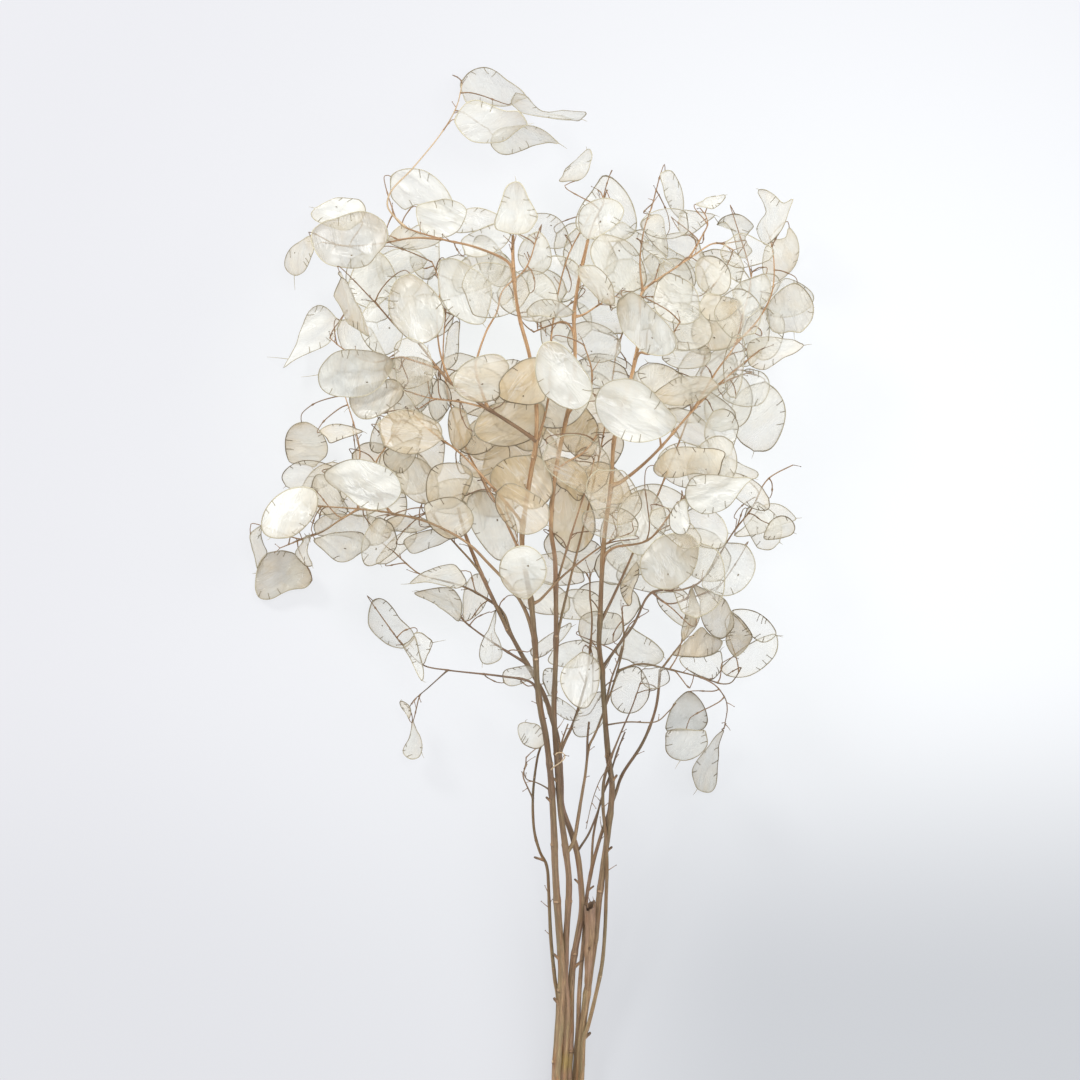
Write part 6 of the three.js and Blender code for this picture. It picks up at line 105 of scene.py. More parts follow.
    "raceme_low_right_end": ("stem_right_centre", [[78.9, -86.13, 70, 0.91], [82.41, -81.39, 71.07, 0.85], [85.91, -76.65, 71.92, 0.81], [89.48, -71.97, 72.4, 0.77], [93.08, -67.31, 72.42, 0.73], [96.27, -62.38, 72.01, 0.7], [98.02, -56.78, 71.29, 0.67], [98.59, -53.9, 70.88, 0.65]]),
    "raceme_low_front": ("stem_thin_right", [[46.6, -142.41, 74.85, 0.98], [48.85, -136.74, 75.85, 0.9], [51.11, -131.07, 76.78, 0.85], [53.4, -125.42, 77.54, 0.81], [55.8, -119.84, 78.08, 0.76], [58.27, -114.3, 78.32, 0.72], [60.59, -108.7, 78.28, 0.68], [62.65, -103.01, 77.99, 0.64], [64.6, -97.28, 77.53, 0.6], [65.57, -94.42, 77.27, 0.59]]),
    "raceme_back_centre": ("stem_centre", [[10.49, -66.02, 96.51, 1.17], [11.79, -59.76, 96.22, 1.14], [13.11, -53.73, 95.91, 1.12], [14.44, -47.81, 95.57, 1.09], [15.78, -41.95, 95.17, 1.08], [17.14, -36.13, 94.71, 1.06], [18.52, -30.32, 94.18, 1.04], [19.93, -24.52, 93.57, 1.02], [21.38, -18.74, 92.87, 1], [22.86, -12.96, 92.07, 0.99], [24.36, -7.19, 91.16, 0.97], [25.86, -1.41, 90.15, 0.96], [27.36, 4.38, 89.02, 0.94], [28.84, 10.17, 87.77, 0.93], [30.29, 15.98, 86.4, 0.91], [31.69, 21.81, 84.9, 0.9], [33.04, 27.66, 83.27, 0.88], [34.36, 33.53, 81.52, 0.87], [35.64, 39.42, 79.63, 0.85], [36.9, 45.32, 77.61, 0.84], [38.13, 51.24, 75.47, 0.83], [39.33, 57.18, 73.2, 0.81], [40.51, 63.14, 70.81, 0.8], [41.66, 69.11, 68.3, 0.79], [42.77, 75.11, 65.68, 0.77], [43.86, 81.13, 62.95, 0.76], [44.89, 87.18, 60.13, 0.75], [45.88, 93.25, 57.2, 0.73], [46.85, 99.34, 54.2, 0.72], [47.79, 105.45, 51.11, 0.71], [48.71, 111.58, 47.96, 0.69], [49.63, 117.73, 44.75, 0.68], [50.54, 123.89, 41.49, 0.67], [51.46, 130.08, 38.21, 0.66], [51.94, 133.17, 36.57, 0.65]]),
    "raceme_back_right": ("stem_right", [[38.95, -54.08, 97.4, 1.17], [41.53, -49.29, 96.94, 1.14], [44.1, -44.21, 96.45, 1.12], [46.66, -38.97, 95.93, 1.1], [49.2, -33.65, 95.35, 1.08], [51.73, -28.28, 94.71, 1.06], [54.22, -22.88, 94, 1.04], [56.69, -17.45, 93.2, 1.02], [59.13, -11.99, 92.32, 1.01], [61.54, -6.52, 91.35, 0.99], [63.95, -1.03, 90.27, 0.98], [66.34, 4.46, 89.09, 0.96], [68.73, 9.97, 87.8, 0.95], [71.11, 15.48, 86.39, 0.93], [73.48, 21.01, 84.86, 0.92], [75.85, 26.56, 83.21, 0.9], [78.21, 32.12, 81.44, 0.89], [80.55, 37.69, 79.54, 0.87], [82.87, 43.29, 77.51, 0.86], [85.18, 48.91, 75.36, 0.85], [87.48, 54.54, 73.09, 0.83], [89.78, 60.2, 70.69, 0.82], [92.06, 65.88, 68.17, 0.81], [94.29, 71.59, 65.53, 0.79], [96.48, 77.33, 62.78, 0.78], [98.59, 83.13, 59.92, 0.77], [100.62, 88.96, 56.95, 0.76], [102.56, 94.85, 53.89, 0.74], [104.37, 100.79, 50.74, 0.73], [106.09, 106.78, 47.51, 0.72], [107.74, 112.81, 44.2, 0.71], [109.35, 118.87, 40.83, 0.69], [110.93, 124.95, 37.39, 0.68], [112.49, 131.06, 33.92, 0.67], [114.06, 137.18, 30.42, 0.66], [114.87, 140.25, 28.66, 0.65]]),
    "raceme_back_left": ("stem_left", [[-10.64, -12.29, 116.32, 1.17], [-13.23, -7.16, 115.08, 1.13], [-15.72, -1.86, 113.82, 1.11], [-18.21, 3.5, 112.49, 1.09], [-20.73, 8.88, 111.07, 1.06], [-23.32, 14.26, 109.54, 1.04], [-26, 19.61, 107.9, 1.02], [-28.85, 24.88, 106.11, 1], [-31.84, 30.09, 104.18, 0.98], [-34.91, 35.27, 102.09, 0.97], [-37.98, 40.47, 99.83, 0.95], [-41.03, 45.69, 97.39, 0.93], [-43.99, 50.98, 94.77, 0.91], [-46.83, 56.36, 91.97, 0.9], [-49.47, 61.86, 88.97, 0.88], [-51.82, 67.51, 85.79, 0.86], [-53.95, 73.26, 82.41, 0.85], [-55.91, 79.1, 78.84, 0.83], [-57.68, 85.02, 75.09, 0.81], [-59.29, 91.02, 71.15, 0.8], [-60.71, 97.08, 67.04, 0.78], [-61.96, 103.21, 62.76, 0.77], [-63.02, 109.39, 58.32, 0.75], [-63.82, 115.64, 53.74, 0.74], [-64.19, 121.95, 49.01, 0.72], [-64.23, 128.3, 44.16, 0.71], [-64.03, 134.66, 39.21, 0.69], [-63.68, 141.04, 34.16, 0.68], [-63.24, 147.44, 29.05, 0.66], [-62.89, 153.88, 23.91, 0.65]]),
    "raceme_back_top": ("stem_left", [[-3.58, 54.94, 134.63, 1.1], [-2.28, 60.43, 133.43, 1.07], [-0.7, 66, 132.19, 1.05], [0.92, 71.66, 130.87, 1.03], [2.48, 77.39, 129.44, 1.01], [3.87, 83.19, 127.88, 0.99], [5, 89.08, 126.17, 0.97], [5.75, 95.04, 124.3, 0.95], [6.16, 101.06, 122.25, 0.93], [6.38, 107.1, 120.02, 0.92], [6.51, 113.17, 117.59, 0.9], [6.65, 119.26, 114.95, 0.88], [6.87, 125.37, 112.1, 0.87], [7.28, 131.49, 109.04, 0.85], [7.97, 137.62, 105.76, 0.84], [8.82, 143.75, 102.26, 0.82], [9.77, 149.89, 98.55, 0.81], [10.83, 156.05, 94.62, 0.79], [12.01, 162.21, 90.49, 0.78], [13.32, 168.38, 86.17, 0.76], [14.81, 174.54, 81.66, 0.75], [16.53, 180.68, 76.97, 0.73], [18.59, 186.74, 72.12, 0.72], [21.09, 192.65, 67.12, 0.7], [23.89, 198.46, 62, 0.69], [26.91, 204.19, 56.78, 0.68], [30.07, 209.88, 51.48, 0.66], [33.17, 215.63, 46.14, 0.65]]),
    "raceme_thin_left": ("stem_left", [[7.82, -165.56, 67.23, 0.72], [2.71, -162.06, 67.96, 0.66], [-2.88, -159.35, 68.38, 0.62], [-8.81, -157.35, 68.29, 0.59], [-10.57, -152.03, 67.69, 0.55], [-8.56, -146.14, 66.78, 0.52]]),
}

# pods: number, node, centre, axis (stalk to tip), face normal, length, width,
# depth in the crown (0 back, 1 front), kind, place in the picture, stalk path
PODS = [
    (66, "raceme_front_middle", [60.52, 81.32, 178.37], [0.924, -0.336, 0.181], [-0.291, -0.314, 0.903], 53.37, 40.81, 1, "b", (636, 411), False, [[33.13, 104.38, 158.85], [33.02, 102.17, 163.55], [32.77, 100.15, 165.87], [32.66, 95.47, 170], [33.12, 93.27, 171.63], [35.86, 90.3, 173.54]]),
    (67, "raceme_front_middle", [15.05, 103.48, 191.37], [0.308, -0.948, -0.077], [-0.11, -0.116, 0.987], 45, 33.99, 1, "b", (564, 375), False, [[27.77, 123.08, 175.17], [24.14, 124.93, 178.89], [19.16, 126.82, 183.26], [11.75, 128.39, 189.44], [8.55, 127.67, 192.24], [8.12, 124.82, 193.11]]),
    (69, "raceme_front_right", [68.07, 136.15, 178.78], [0.667, -0.741, 0.076], [-0.552, -0.422, 0.719], 49.18, 38.36, 0.95, "", (648, 324), False, [[89.04, 138.63, 156.29], [81.75, 145.17, 161.86], [69.72, 151.72, 167.43], [60.5, 155.51, 171.17], [51.8, 157.53, 175.01], [51.67, 154.37, 176.89]]),
    (78, "raceme_low_left_rising", [-113.36, 36.07, 123.54], [0.961, -0.258, 0.102], [-0.226, -0.512, 0.829], 49.81, 36.6, 0.95, "b", (364, 484), False, [[-120.46, 41.4, 79.21], [-125.14, 45.25, 87.73], [-132.4, 46.5, 98.95], [-137.44, 46.17, 107.46], [-140.85, 44.62, 116.71], [-137.29, 42.48, 120.99]]),
    (100, "raceme_centre_left", [-12.1, -21.01, 152.8], [0.083, -0.946, 0.312], [0.113, 0.32, 0.941], 37.85, 29.31, 0.95, "b", (521, 573), False, [[-21.32, 23.49, 122.8], [-22.04, 20.7, 128.82], [-20.49, 15.98, 134.62], [-17.82, 9.99, 139.81], [-15.17, 3.41, 144.03], [-13.67, -3.11, 146.89]]),
    (118, "raceme_right_level", [110.93, 29.33, 149.83], [0.975, 0.207, 0.078], [0.05, -0.549, 0.834], 40.69, 30.29, 0.95, "b", (714, 494), False, [[87.77, 21.48, 125.61], [88.51, 23.11, 130.6], [88.04, 23.89, 137.11], [87.82, 24.1, 140.37], [88.26, 24.46, 145.79], [91.09, 25.11, 148.24]]),
    (6, "raceme_leader_tip", [-15.19, 210.15, 168.04], [0, 0.9, -0.436], [0.12, 0.433, 0.893], 38.06, 26.84, 0.9, "", (516, 208), False, [[-17.82, 183.79, 166.92], [-17.37, 185.71, 168.87], [-16.7, 187.47, 171.64], [-15.98, 189.19, 174.38], [-15.42, 191, 176.23], [-15.19, 193.03, 176.33]]),
    (79, "raceme_low_left_tip", [-164.45, 16.38, 79.32], [-0.571, -0.815, 0.101], [-0.057, 0.163, 0.985], 40.61, 32.9, 0.9, "b", (289, 515), False, [[-129.41, 14.25, 76.79], [-133.83, 16.74, 76.38], [-140.4, 24.23, 76.23], [-144.52, 29.54, 76.37], [-149.95, 34.21, 76.84], [-152.86, 32.93, 77.26]]),
    (119, "raceme_right_level", [88.61, 15.19, 168.32], [-0.064, -0.731, 0.68], [0.821, 0.349, 0.452], 38.05, 28.79, 0.9, "b", (680, 516), False, [[89.56, 23.78, 126.32], [90.55, 26.19, 130.54], [90.98, 29.66, 138.46], [90.78, 31.22, 144.06], [90.19, 31.26, 151.64], [89.82, 29.09, 155.39]]),
    (10, "raceme_left_shoulder", [-122.79, 194.52, 115], [-0.989, -0.069, -0.13], [-0.143, 0.231, 0.963], 50.08, 35.87, 0.85, "", (350, 239), False, [[-90.5, 193.49, 120.54], [-91.9, 193.94, 119.92], [-93.4, 194.68, 119.37], [-94.95, 195.46, 118.89], [-96.5, 196.07, 118.52], [-98.02, 196.25, 118.26]]),
    (18, "raceme_long_left", [-79.26, 147.65, 143.26], [0.171, -0.969, 0.181], [-0.169, 0.152, 0.974], 45.23, 34.65, 0.85, "", (416, 309), False, [[-106.57, 153.71, 116.6], [-103.4, 160.19, 120.16], [-97.83, 166.61, 125.56], [-91.5, 171.38, 131.42], [-86.05, 172.9, 136.41], [-83.12, 169.55, 139.16]]),
    (21, "raceme_far_left", [-118.27, 108.63, 128.85], [-0.991, 0.035, 0.132], [0.079, -0.647, 0.758], 50.26, 38.4, 0.85, "", (356, 371), False, [[-86.14, 117.14, 128.54], [-87.68, 115.57, 127.6], [-88.93, 113.15, 126.68], [-90.12, 110.58, 125.94], [-91.51, 108.54, 125.51], [-93.38, 107.76, 125.53]]),
    (138, "raceme_inner_centre", [26.02, -91.08, 97.8], [-0.081, -0.93, 0.359], [-0.459, 0.355, 0.814], 38.69, 29.56, 0.85, "", (580, 680), False, [[32.85, -72.85, 68.5], [31.9, -70.59, 73.32], [30.48, -69.26, 79.34], [29.73, -69.09, 82.38], [28.38, -70.03, 87.69], [27.6, -73.09, 90.86]]),
    (57, "raceme_right_edge", [163.38, 192.3, 10.55], [-0.156, -0.886, -0.436], [0.445, -0.457, 0.77], 40.32, 28.27, 0.7, "", (783, 254), True, [[152.46, 200.19, 48.53], [155.19, 204.15, 42.07], [159.45, 208.87, 34.74], [162.37, 211.46, 29.92], [165.75, 213.06, 23.59], [166.53, 210.16, 19.34]]),
    (88, "raceme_low_left_tip", [-174.27, -25.57, 8.65], [-0.886, 0.156, -0.436], [-0.401, 0.213, 0.891], 40.32, 31.22, 0.7, "", (281, 578), True, [[-160.71, -0.69, 51.38], [-160.13, -6.75, 43.75], [-156.67, -14.89, 35.49], [-153.96, -20.94, 29.46], [-152.57, -27.04, 22.43], [-156.4, -28.72, 17.44]]),
    (145, "raceme_lowest_right_tip", [112.8, -148.39, 14.23], [-0.367, -0.909, -0.199], [0.769, -0.417, 0.484], 43.89, 32.67, 0.7, "", (708, 761), True, [[123.01, -125.69, 25.82], [122.71, -126.15, 24.29], [122.32, -126.47, 22.49], [121.87, -126.82, 20.73], [121.38, -127.42, 19.33], [120.86, -128.45, 18.6]]),
    (1, "raceme_top_spray", [-31.59, 304.5, 11.24], [0.953, -0.255, -0.163], [0.289, 0.604, 0.743], 44.96, 33.93, 0.6, "", (493, 87), True, [[-51.47, 300.88, 60.73], [-52.71, 304.74, 51.44], [-55.64, 308.07, 39.92], [-58.1, 310.4, 28.47], [-57.94, 311.28, 19.37], [-53.01, 310.24, 14.91]]),
    (75, "raceme_low_left_rising", [-157.2, 65.16, 12.81], [0.133, -0.755, -0.642], [-0.105, -0.655, 0.748], 40.32, 30.29, 0.6, "", (306, 443), True, [[-129.37, 95.54, 46.16], [-134.96, 95.36, 41.99], [-144.62, 93.09, 37.26], [-151.76, 90.14, 33.99], [-158.57, 84.95, 29.52], [-159.88, 80.39, 25.75]]),
    (91, "raceme_lowest_left", [-100.89, -55.15, 9.62], [0.635, -0.756, -0.158], [-0.414, -0.506, 0.757], 40.83, 29.81, 0.6, "", (390, 622), True, [[-96.78, -62.31, 48.4], [-101.96, -55.64, 40.76], [-108.47, -47.26, 31.37], [-112.8, -41.64, 24.38], [-115.92, -37.43, 16.74], [-113.85, -39.71, 12.84]]),
    (129, "raceme_lowest_right", [142.54, -80.68, 10.65], [0.779, 0.45, -0.436], [0.085, 0.613, 0.785], 40.32, 30.8, 0.5, "", (752, 660), True, [[133.26, -84.86, 47.99], [132.48, -84.86, 43.12], [128.95, -87.13, 34.73], [126.45, -89.05, 29.18], [124.93, -90.65, 22.29], [126.82, -89.75, 19.43]]),
    (19, "raceme_far_left", [-152.37, 138.27, 15.1], [-0.809, -0.567, -0.155], [-0.534, 0.601, 0.595], 48.97, 37.97, 0.4, "", (313, 334), True, [[-138.37, 133.1, 64.3], [-137.4, 137.89, 55.13], [-133.98, 144.18, 44.25], [-129.63, 151.27, 31], [-128.75, 154.02, 22.87], [-132.55, 152.15, 18.89]]),
    (124, "raceme_far_right", [153.24, 13.44, 11.53], [0.933, 0, -0.359], [0.252, 0.712, 0.655], 40.32, 28.72, 0.4, "", (768, 520), True, [[142.91, 27.79, 68.3], [141.53, 28.08, 58.95], [136.11, 24.36, 45.45], [131.7, 19.93, 34.81], [129.94, 15.03, 23.92], [134.43, 13.44, 18.77]]),
    (228, "raceme_back_right", [96.65, 170.9, 13.92], [-0.502, 0.662, -0.556], [-0.054, 0.617, 0.785], 48.49, 35.5, 0.34, "f", (684, 285), True, [[114.87, 140.25, 28.66], [114.36, 142.68, 28.31], [113.54, 145.35, 28.36], [111.31, 150.67, 28.62], [110.06, 152.98, 28.32], [108.83, 154.84, 27.4]]),
    (222, "raceme_back_right", [105.32, 91.01, 13.49], [0.964, 0.073, -0.256], [0.223, -0.746, 0.628], 47.48, 33.95, 0.25, "f", (697, 404), True, [[92.06, 65.88, 68.17], [89.41, 72.95, 57.85], [84.67, 78.24, 47.51], [79.01, 83.86, 34.47], [77.35, 87.17, 25.78], [82.44, 89.27, 19.57]]),
    (242, "raceme_back_left", [-75.74, 150.37, 9.53], [-0.876, -0.13, -0.465], [-0.441, -0.174, 0.88], 42.36, 30.13, 0.18, "f", (427, 316), True, [[-63.68, 141.04, 34.16], [-61.38, 144.79, 30.47], [-59.66, 146.89, 28.37], [-56.58, 150.73, 24.18], [-55.79, 152.14, 22.28], [-57.19, 153.11, 19.38]]),
    (252, "raceme_back_top", [30.09, 193.68, 8.06], [0.794, -0.504, -0.339], [0.352, -0.073, 0.933], 48.18, 33.89, 0.17, "f", (585, 252), True, [[33.17, 215.63, 46.14], [29.27, 216, 39.63], [22.47, 214.99, 32.88], [13.2, 212.04, 24.52], [9.36, 209.07, 19.51], [10.96, 205.82, 16.24]]),
    (274, "raceme_left_end", [-56.42, 29.29, 14.15], [0.681, 0.435, -0.59], [0.138, 0.715, 0.686], 43.27, 32.36, 0.15, "f", (456, 496), True, [[-74.48, 23.62, 80.87], [-76.86, 25.29, 69.8], [-78.13, 23.54, 59.14], [-78.18, 20.12, 45.49], [-76.41, 18.32, 35.73], [-71.15, 19.89, 26.91]]),
    (208, "raceme_back_centre", [45.46, 107.19, 13.36], [-0.847, 0.15, -0.509], [-0.53, -0.3, 0.793], 48.23, 36.78, 0, "f", (608, 380), True, [[48.71, 111.58, 47.96], [52.06, 111.71, 44.12], [59.35, 109.16, 37.87], [63.96, 106.73, 33.76], [67.52, 103.86, 28.35], [65.9, 103.56, 25.64]]),
    (35, "raceme_middle_right", [36.73, 162.11, 167.1], [0.557, -0.664, 0.499], [-0.782, -0.216, 0.585], 38.12, 28.23, 0.8, "", (598, 284), False, [[37.91, 150.75, 138.75], [36.41, 158.53, 141.99], [33.34, 164.43, 145.02], [28.13, 172.17, 150.1], [25.7, 175.3, 153.43], [26.11, 174.76, 157.59]]),
    (53, "raceme_right_rising", [117.43, 151.63, 119.06], [-0.703, 0.507, 0.499], [0.609, 0.067, 0.79], 38.44, 28.1, 0.8, "", (722, 305), False, [[128.5, 132.63, 109.29], [129.23, 134.51, 109], [130.26, 136.65, 108.75], [131.16, 138.79, 108.66], [131.53, 140.63, 108.86], [130.94, 141.88, 109.47]]),
    (121, "raceme_crossing_right", [65.62, 11.69, 101.14], [-0.086, -0.978, 0.191], [-0.123, 0.201, 0.972], 40.22, 32.15, 0.8, "", (641, 522), False, [[61.61, 19.66, 78.48], [63.66, 24.2, 81.61], [65.48, 29.08, 86.82], [66.22, 31.11, 89.65], [67.22, 33.24, 94.65], [67.34, 31.36, 97.29]]),
    (2, "raceme_top_spray", [-33.95, 272.88, 88.68], [0.989, -0.086, 0.12], [-0.056, 0.535, 0.843], 44.43, 31.32, 0.75, "", (488, 122), False, [[-63.14, 267.7, 86.81], [-61.95, 269.32, 86.36], [-60.65, 271.24, 86.05], [-59.22, 273.06, 85.89], [-57.65, 274.38, 85.87], [-55.92, 274.81, 86.01]]),
    (65, "raceme_front_bright", [92.53, 95.72, 147.46], [0.987, 0.139, -0.078], [0.153, -0.69, 0.708], 43.57, 32.39, 0.75, "", (685, 390), False, [[67.02, 89.37, 146.79], [67.47, 90.19, 147.44], [68.16, 91.03, 148.11], [69.03, 91.79, 148.68], [70, 92.38, 149.07], [71.02, 92.7, 149.17]]),
    (122, "raceme_right_level", [82.96, -12.86, 127.63], [-0.173, -0.982, 0.073], [-0.126, 0.096, 0.987], 39.9, 36.3, 0.75, "b", (669, 560), False, [[82.37, 14.59, 123.38], [83.73, 13.73, 124.16], [84.93, 12.27, 124.88], [85.86, 10.45, 125.48], [86.4, 8.52, 125.93], [86.41, 6.73, 126.17]]),
    (157, "raceme_long_left", [-13.38, 101.32, 151.03], [0.542, 0.76, 0.359], [-0.321, -0.208, 0.924], 38.13, 32.1, 0.75, "", (519, 381), False, [[-30.77, 82.36, 141.09], [-29.98, 83.55, 141.72], [-28.48, 84.39, 142.35], [-26.68, 85.08, 142.98], [-24.96, 85.82, 143.59], [-23.72, 86.84, 144.18]]),
    (17, "raceme_left_upright", [-48.49, 159.71, 113.66], [0.492, -0.852, 0.181], [0.032, 0.225, 0.974], 46.88, 33.64, 0.7, "", (465, 293), False, [[-68.2, 176.36, 83.88], [-67.26, 179.56, 87.7], [-66.09, 181.94, 93.26], [-63.86, 183.35, 102.28], [-62.07, 182.43, 107.04], [-60.02, 179.67, 109.42]]),
    (64, "raceme_right_short", [134.82, 99.96, 69.44], [0.9, 0, -0.436], [0.403, -0.381, 0.832], 38.7, 27.9, 0.7, "", (745, 388), False, [[121.11, 103.27, 95.6], [120.73, 103.05, 93], [118.19, 101.92, 87.06], [116.86, 101.22, 84.12], [116.05, 100.14, 79.32], [117.4, 99.96, 77.87]]),
    (108, "raceme_left_level", [-22.49, 73.26, 129.55], [0.979, 0.173, -0.104], [0.182, -0.532, 0.827], 39.79, 30.69, 0.7, "", (505, 426), False, [[-51.24, 88.63, 135.51], [-51.26, 83.31, 133.58], [-50.57, 80.07, 132.98], [-48.02, 73.9, 132.26], [-46.26, 71.55, 132.04], [-41.98, 69.82, 131.62]]),
    (117, "raceme_right_level", [96.19, 48.74, 134.94], [0.995, 0, 0.095], [-0.07, 0.675, 0.735], 45.14, 33.06, 0.7, "", (690, 464), False, [[68.83, -0.49, 117.49], [70.57, 8.49, 120.58], [69.05, 22.99, 124.84], [67.4, 34.57, 128.09], [68.22, 45.49, 131.33], [73.72, 48.74, 132.79]]),
    (139, "raceme_inner_centre", [32.93, -115.24, 65.86], [-0.064, -0.731, -0.68], [0.62, -0.563, 0.547], 39.31, 28.11, 0.7, "", (590, 715), False, [[33.14, -69.8, 68.74], [34.24, -75.23, 74.3], [34.59, -80.35, 77.57], [34.7, -88.89, 80.9], [34.56, -94.37, 81.54], [34.18, -100.89, 79.22]]),
    (156, "raceme_upper_crossing", [-36.65, 104.27, 172.28], [0.808, 0.467, 0.359], [-0.184, -0.379, 0.907], 38.32, 28.91, 0.7, "", (482, 375), False, [[-41.17, 109.52, 143.1], [-43.88, 108.88, 147.07], [-49.14, 103.82, 153.65], [-52.2, 99.57, 157.91], [-54.02, 95.13, 163.18], [-52.14, 95.33, 165.4]]),
    (63, "raceme_long_right", [154.48, 122.54, 92.76], [0.978, 0.172, 0.116], [-0.198, 0.595, 0.779], 40.6, 29.85, 0.65, "", (777, 352), False, [[128.9, 112.09, 101.91], [129.99, 113.65, 99.57], [130.7, 115.34, 96.48], [131.44, 116.95, 93.41], [132.61, 118.25, 91.12], [134.62, 119.04, 90.39]]),
    (87, "raceme_left_end", [-58.62, 13.68, 94.89], [0.877, 0.319, 0.359], [-0.286, -0.254, 0.924], 38.61, 29.9, 0.65, "", (450, 519), False, [[-75.96, 26.19, 80.62], [-78.18, 21.56, 82.86], [-78.83, 18.27, 83.83], [-78.96, 11.67, 85.56], [-78.35, 9.14, 86.37], [-75.55, 7.51, 87.96]]),
    (9, "raceme_upper_left", [-63.74, 209.89, 124.66], [0.814, -0.296, 0.499], [-0.558, -0.163, 0.814], 38.91, 29.01, 0.6, "b", (441, 214), False, [[-89.68, 204.24, 107.75], [-88.84, 206.9, 107.96], [-87.5, 209.72, 108.86], [-83.79, 214.46, 111.87], [-81.69, 215.67, 113.51], [-79.59, 215.66, 114.95]]),
    (14, "raceme_long_left", [-120.22, 153.47, 142.1], [0.42, -0.9, 0.114], [-0.901, -0.398, 0.175], 43.2, 33.3, 0.6, "e", (352, 300), False, [[-104.57, 151.37, 117.9], [-110.33, 157.32, 120.59], [-117.31, 164.6, 125.37], [-125.81, 172.94, 132.74], [-129.55, 175.58, 137.33], [-129.29, 172.92, 139.65]]),
    (22, "raceme_far_left", [-105.43, 92.5, 112.65], [-0.936, -0.341, -0.089], [-0.215, 0.353, 0.911], 38.99, 29.74, 0.6, "", (377, 397), False, [[-89.17, 117.66, 126.66], [-89.23, 113.98, 123.27], [-87.33, 109.05, 119.79], [-86.28, 106.49, 118.19], [-85.21, 101.94, 115.63], [-87.19, 99.14, 114.38]]),
    (37, "raceme_middle_tip", [36.4, 206.26, 145.75], [-0.296, -0.814, 0.499], [0.451, 0.341, 0.825], 38.81, 29.9, 0.6, "", (597, 217), False, [[41.15, 218.76, 114.48], [42.06, 222.23, 118.99], [42.48, 223.51, 122.12], [42.99, 224.74, 128.8], [42.97, 224.53, 131.85], [42.15, 222.06, 136.07]]),
    (51, "raceme_upper_right", [111.93, 172.1, 112.06], [0.717, -0.545, -0.436], [0.428, -0.149, 0.891], 38.94, 30.15, 0.6, "", (713, 274), False, [[88.1, 176.07, 122.05], [89.98, 177.7, 121.69], [92.07, 179.82, 121.58], [94.21, 181.78, 121.49], [96.24, 182.95, 121.22], [97.98, 182.7, 120.54]]),
    (59, "raceme_right_rising", [138.54, 158.6, 110.56], [-0.45, -0.779, 0.436], [0.475, 0.204, 0.856], 39.08, 27.39, 0.6, "", (754, 295), False, [[138.75, 175.4, 82.02], [142.1, 177.47, 86.35], [143.9, 177.91, 89.27], [146.91, 177.57, 95.45], [147.76, 176.76, 98.24], [147.33, 173.83, 102.04]]),
    (68, "raceme_front_middle", [17.4, 85.06, 122.35], [-0.882, -0.179, -0.436], [-0.372, -0.304, 0.877], 38.57, 29.03, 0.6, "b", (567, 408), False, [[31.34, 93.33, 149.28], [32.82, 93.79, 147.04], [35.55, 92.66, 140.99], [36.39, 91.52, 137.76], [36.03, 89.22, 132.35], [34.41, 88.51, 130.75]]),
    (85, "raceme_left_end", [-84.53, 11.23, 58.35], [0.863, -0.075, -0.499], [0.211, -0.844, 0.493], 38.84, 27.3, 0.6, "", (412, 523), False, [[-73.01, 21.04, 81.12], [-81.44, 21.04, 78.6], [-88.45, 19.6, 76.69], [-98, 16.46, 73.57], [-101.97, 14.43, 71.38], [-101.3, 12.69, 68.04]]),
    (97, "raceme_left_drooping", [-64.73, -42.5, 84.83], [-0.755, 0.549, 0.359], [-0.321, -0.787, 0.527], 38.97, 29.9, 0.6, "", (441, 605), False, [[-33.84, -39.37, 74.6], [-38.34, -42.52, 75.12], [-40.44, -45.19, 75.37], [-44.41, -50.68, 76.01], [-46.31, -52.69, 76.47], [-50.01, -53.19, 77.84]]),
    (120, "raceme_right_level", [106.31, 7.73, 122.89], [0.75, -0.16, 0.642], [-0.656, -0.309, 0.689], 38.91, 27.43, 0.6, "h", (705, 528), False, [[75.43, 5.2, 120.13], [79.42, 7.53, 117.6], [81.57, 8.61, 115.55], [85.91, 10.3, 111.5], [87.99, 10.8, 110.15], [91.72, 10.85, 110.4]]),
    (123, "raceme_lower_right", [123.55, -18.96, 85.27], [-0.564, -0.805, 0.183], [0.219, 0.068, 0.973], 39.79, 31.61, 0.6, "", (729, 569), False, [[116.18, -33, 59.68], [121.49, -26.65, 61.23], [129, -15.21, 66.99], [133.61, -7.15, 72.48], [136.45, -1.14, 78.98], [134.76, -2.94, 81.63]]),
    (125, "raceme_far_right", [157.42, 7.87, 76.28], [0.855, -0.31, -0.417], [0.392, -0.142, 0.909], 24.5, 14.41, 0.6, "s", (780, 528), False, [[136.63, 17.34, 72.61], [138.94, 17.09, 74.22], [140.98, 15.97, 76.82], [142.89, 14.41, 79.48], [144.84, 12.84, 81.31], [146.96, 11.67, 81.38]]),
    (131, "raceme_lowest_right", [130.92, -66.12, 55.05], [0.514, 0.613, -0.6], [-0.31, 0.785, 0.536], 39.55, 29.49, 0.6, "", (738, 640), False, [[116.99, -94.06, 64.3], [118.29, -91.92, 64.34], [118.93, -89.12, 65.18], [119.41, -82.93, 67.33], [119.83, -80.23, 67.68], [120.76, -78.24, 66.92]]),
    (132, "raceme_low_right_end", [104.28, -67.56, 76.5], [0.816, 0.38, 0.436], [-0.569, 0.393, 0.722], 39.3, 29.38, 0.6, "", (699, 643), False, [[84.16, -79.02, 71.53], [84.93, -78.12, 70.87], [85.69, -77.21, 69.78], [86.47, -76.35, 68.66], [87.32, -75.6, 67.92], [88.26, -75.03, 67.93]]),
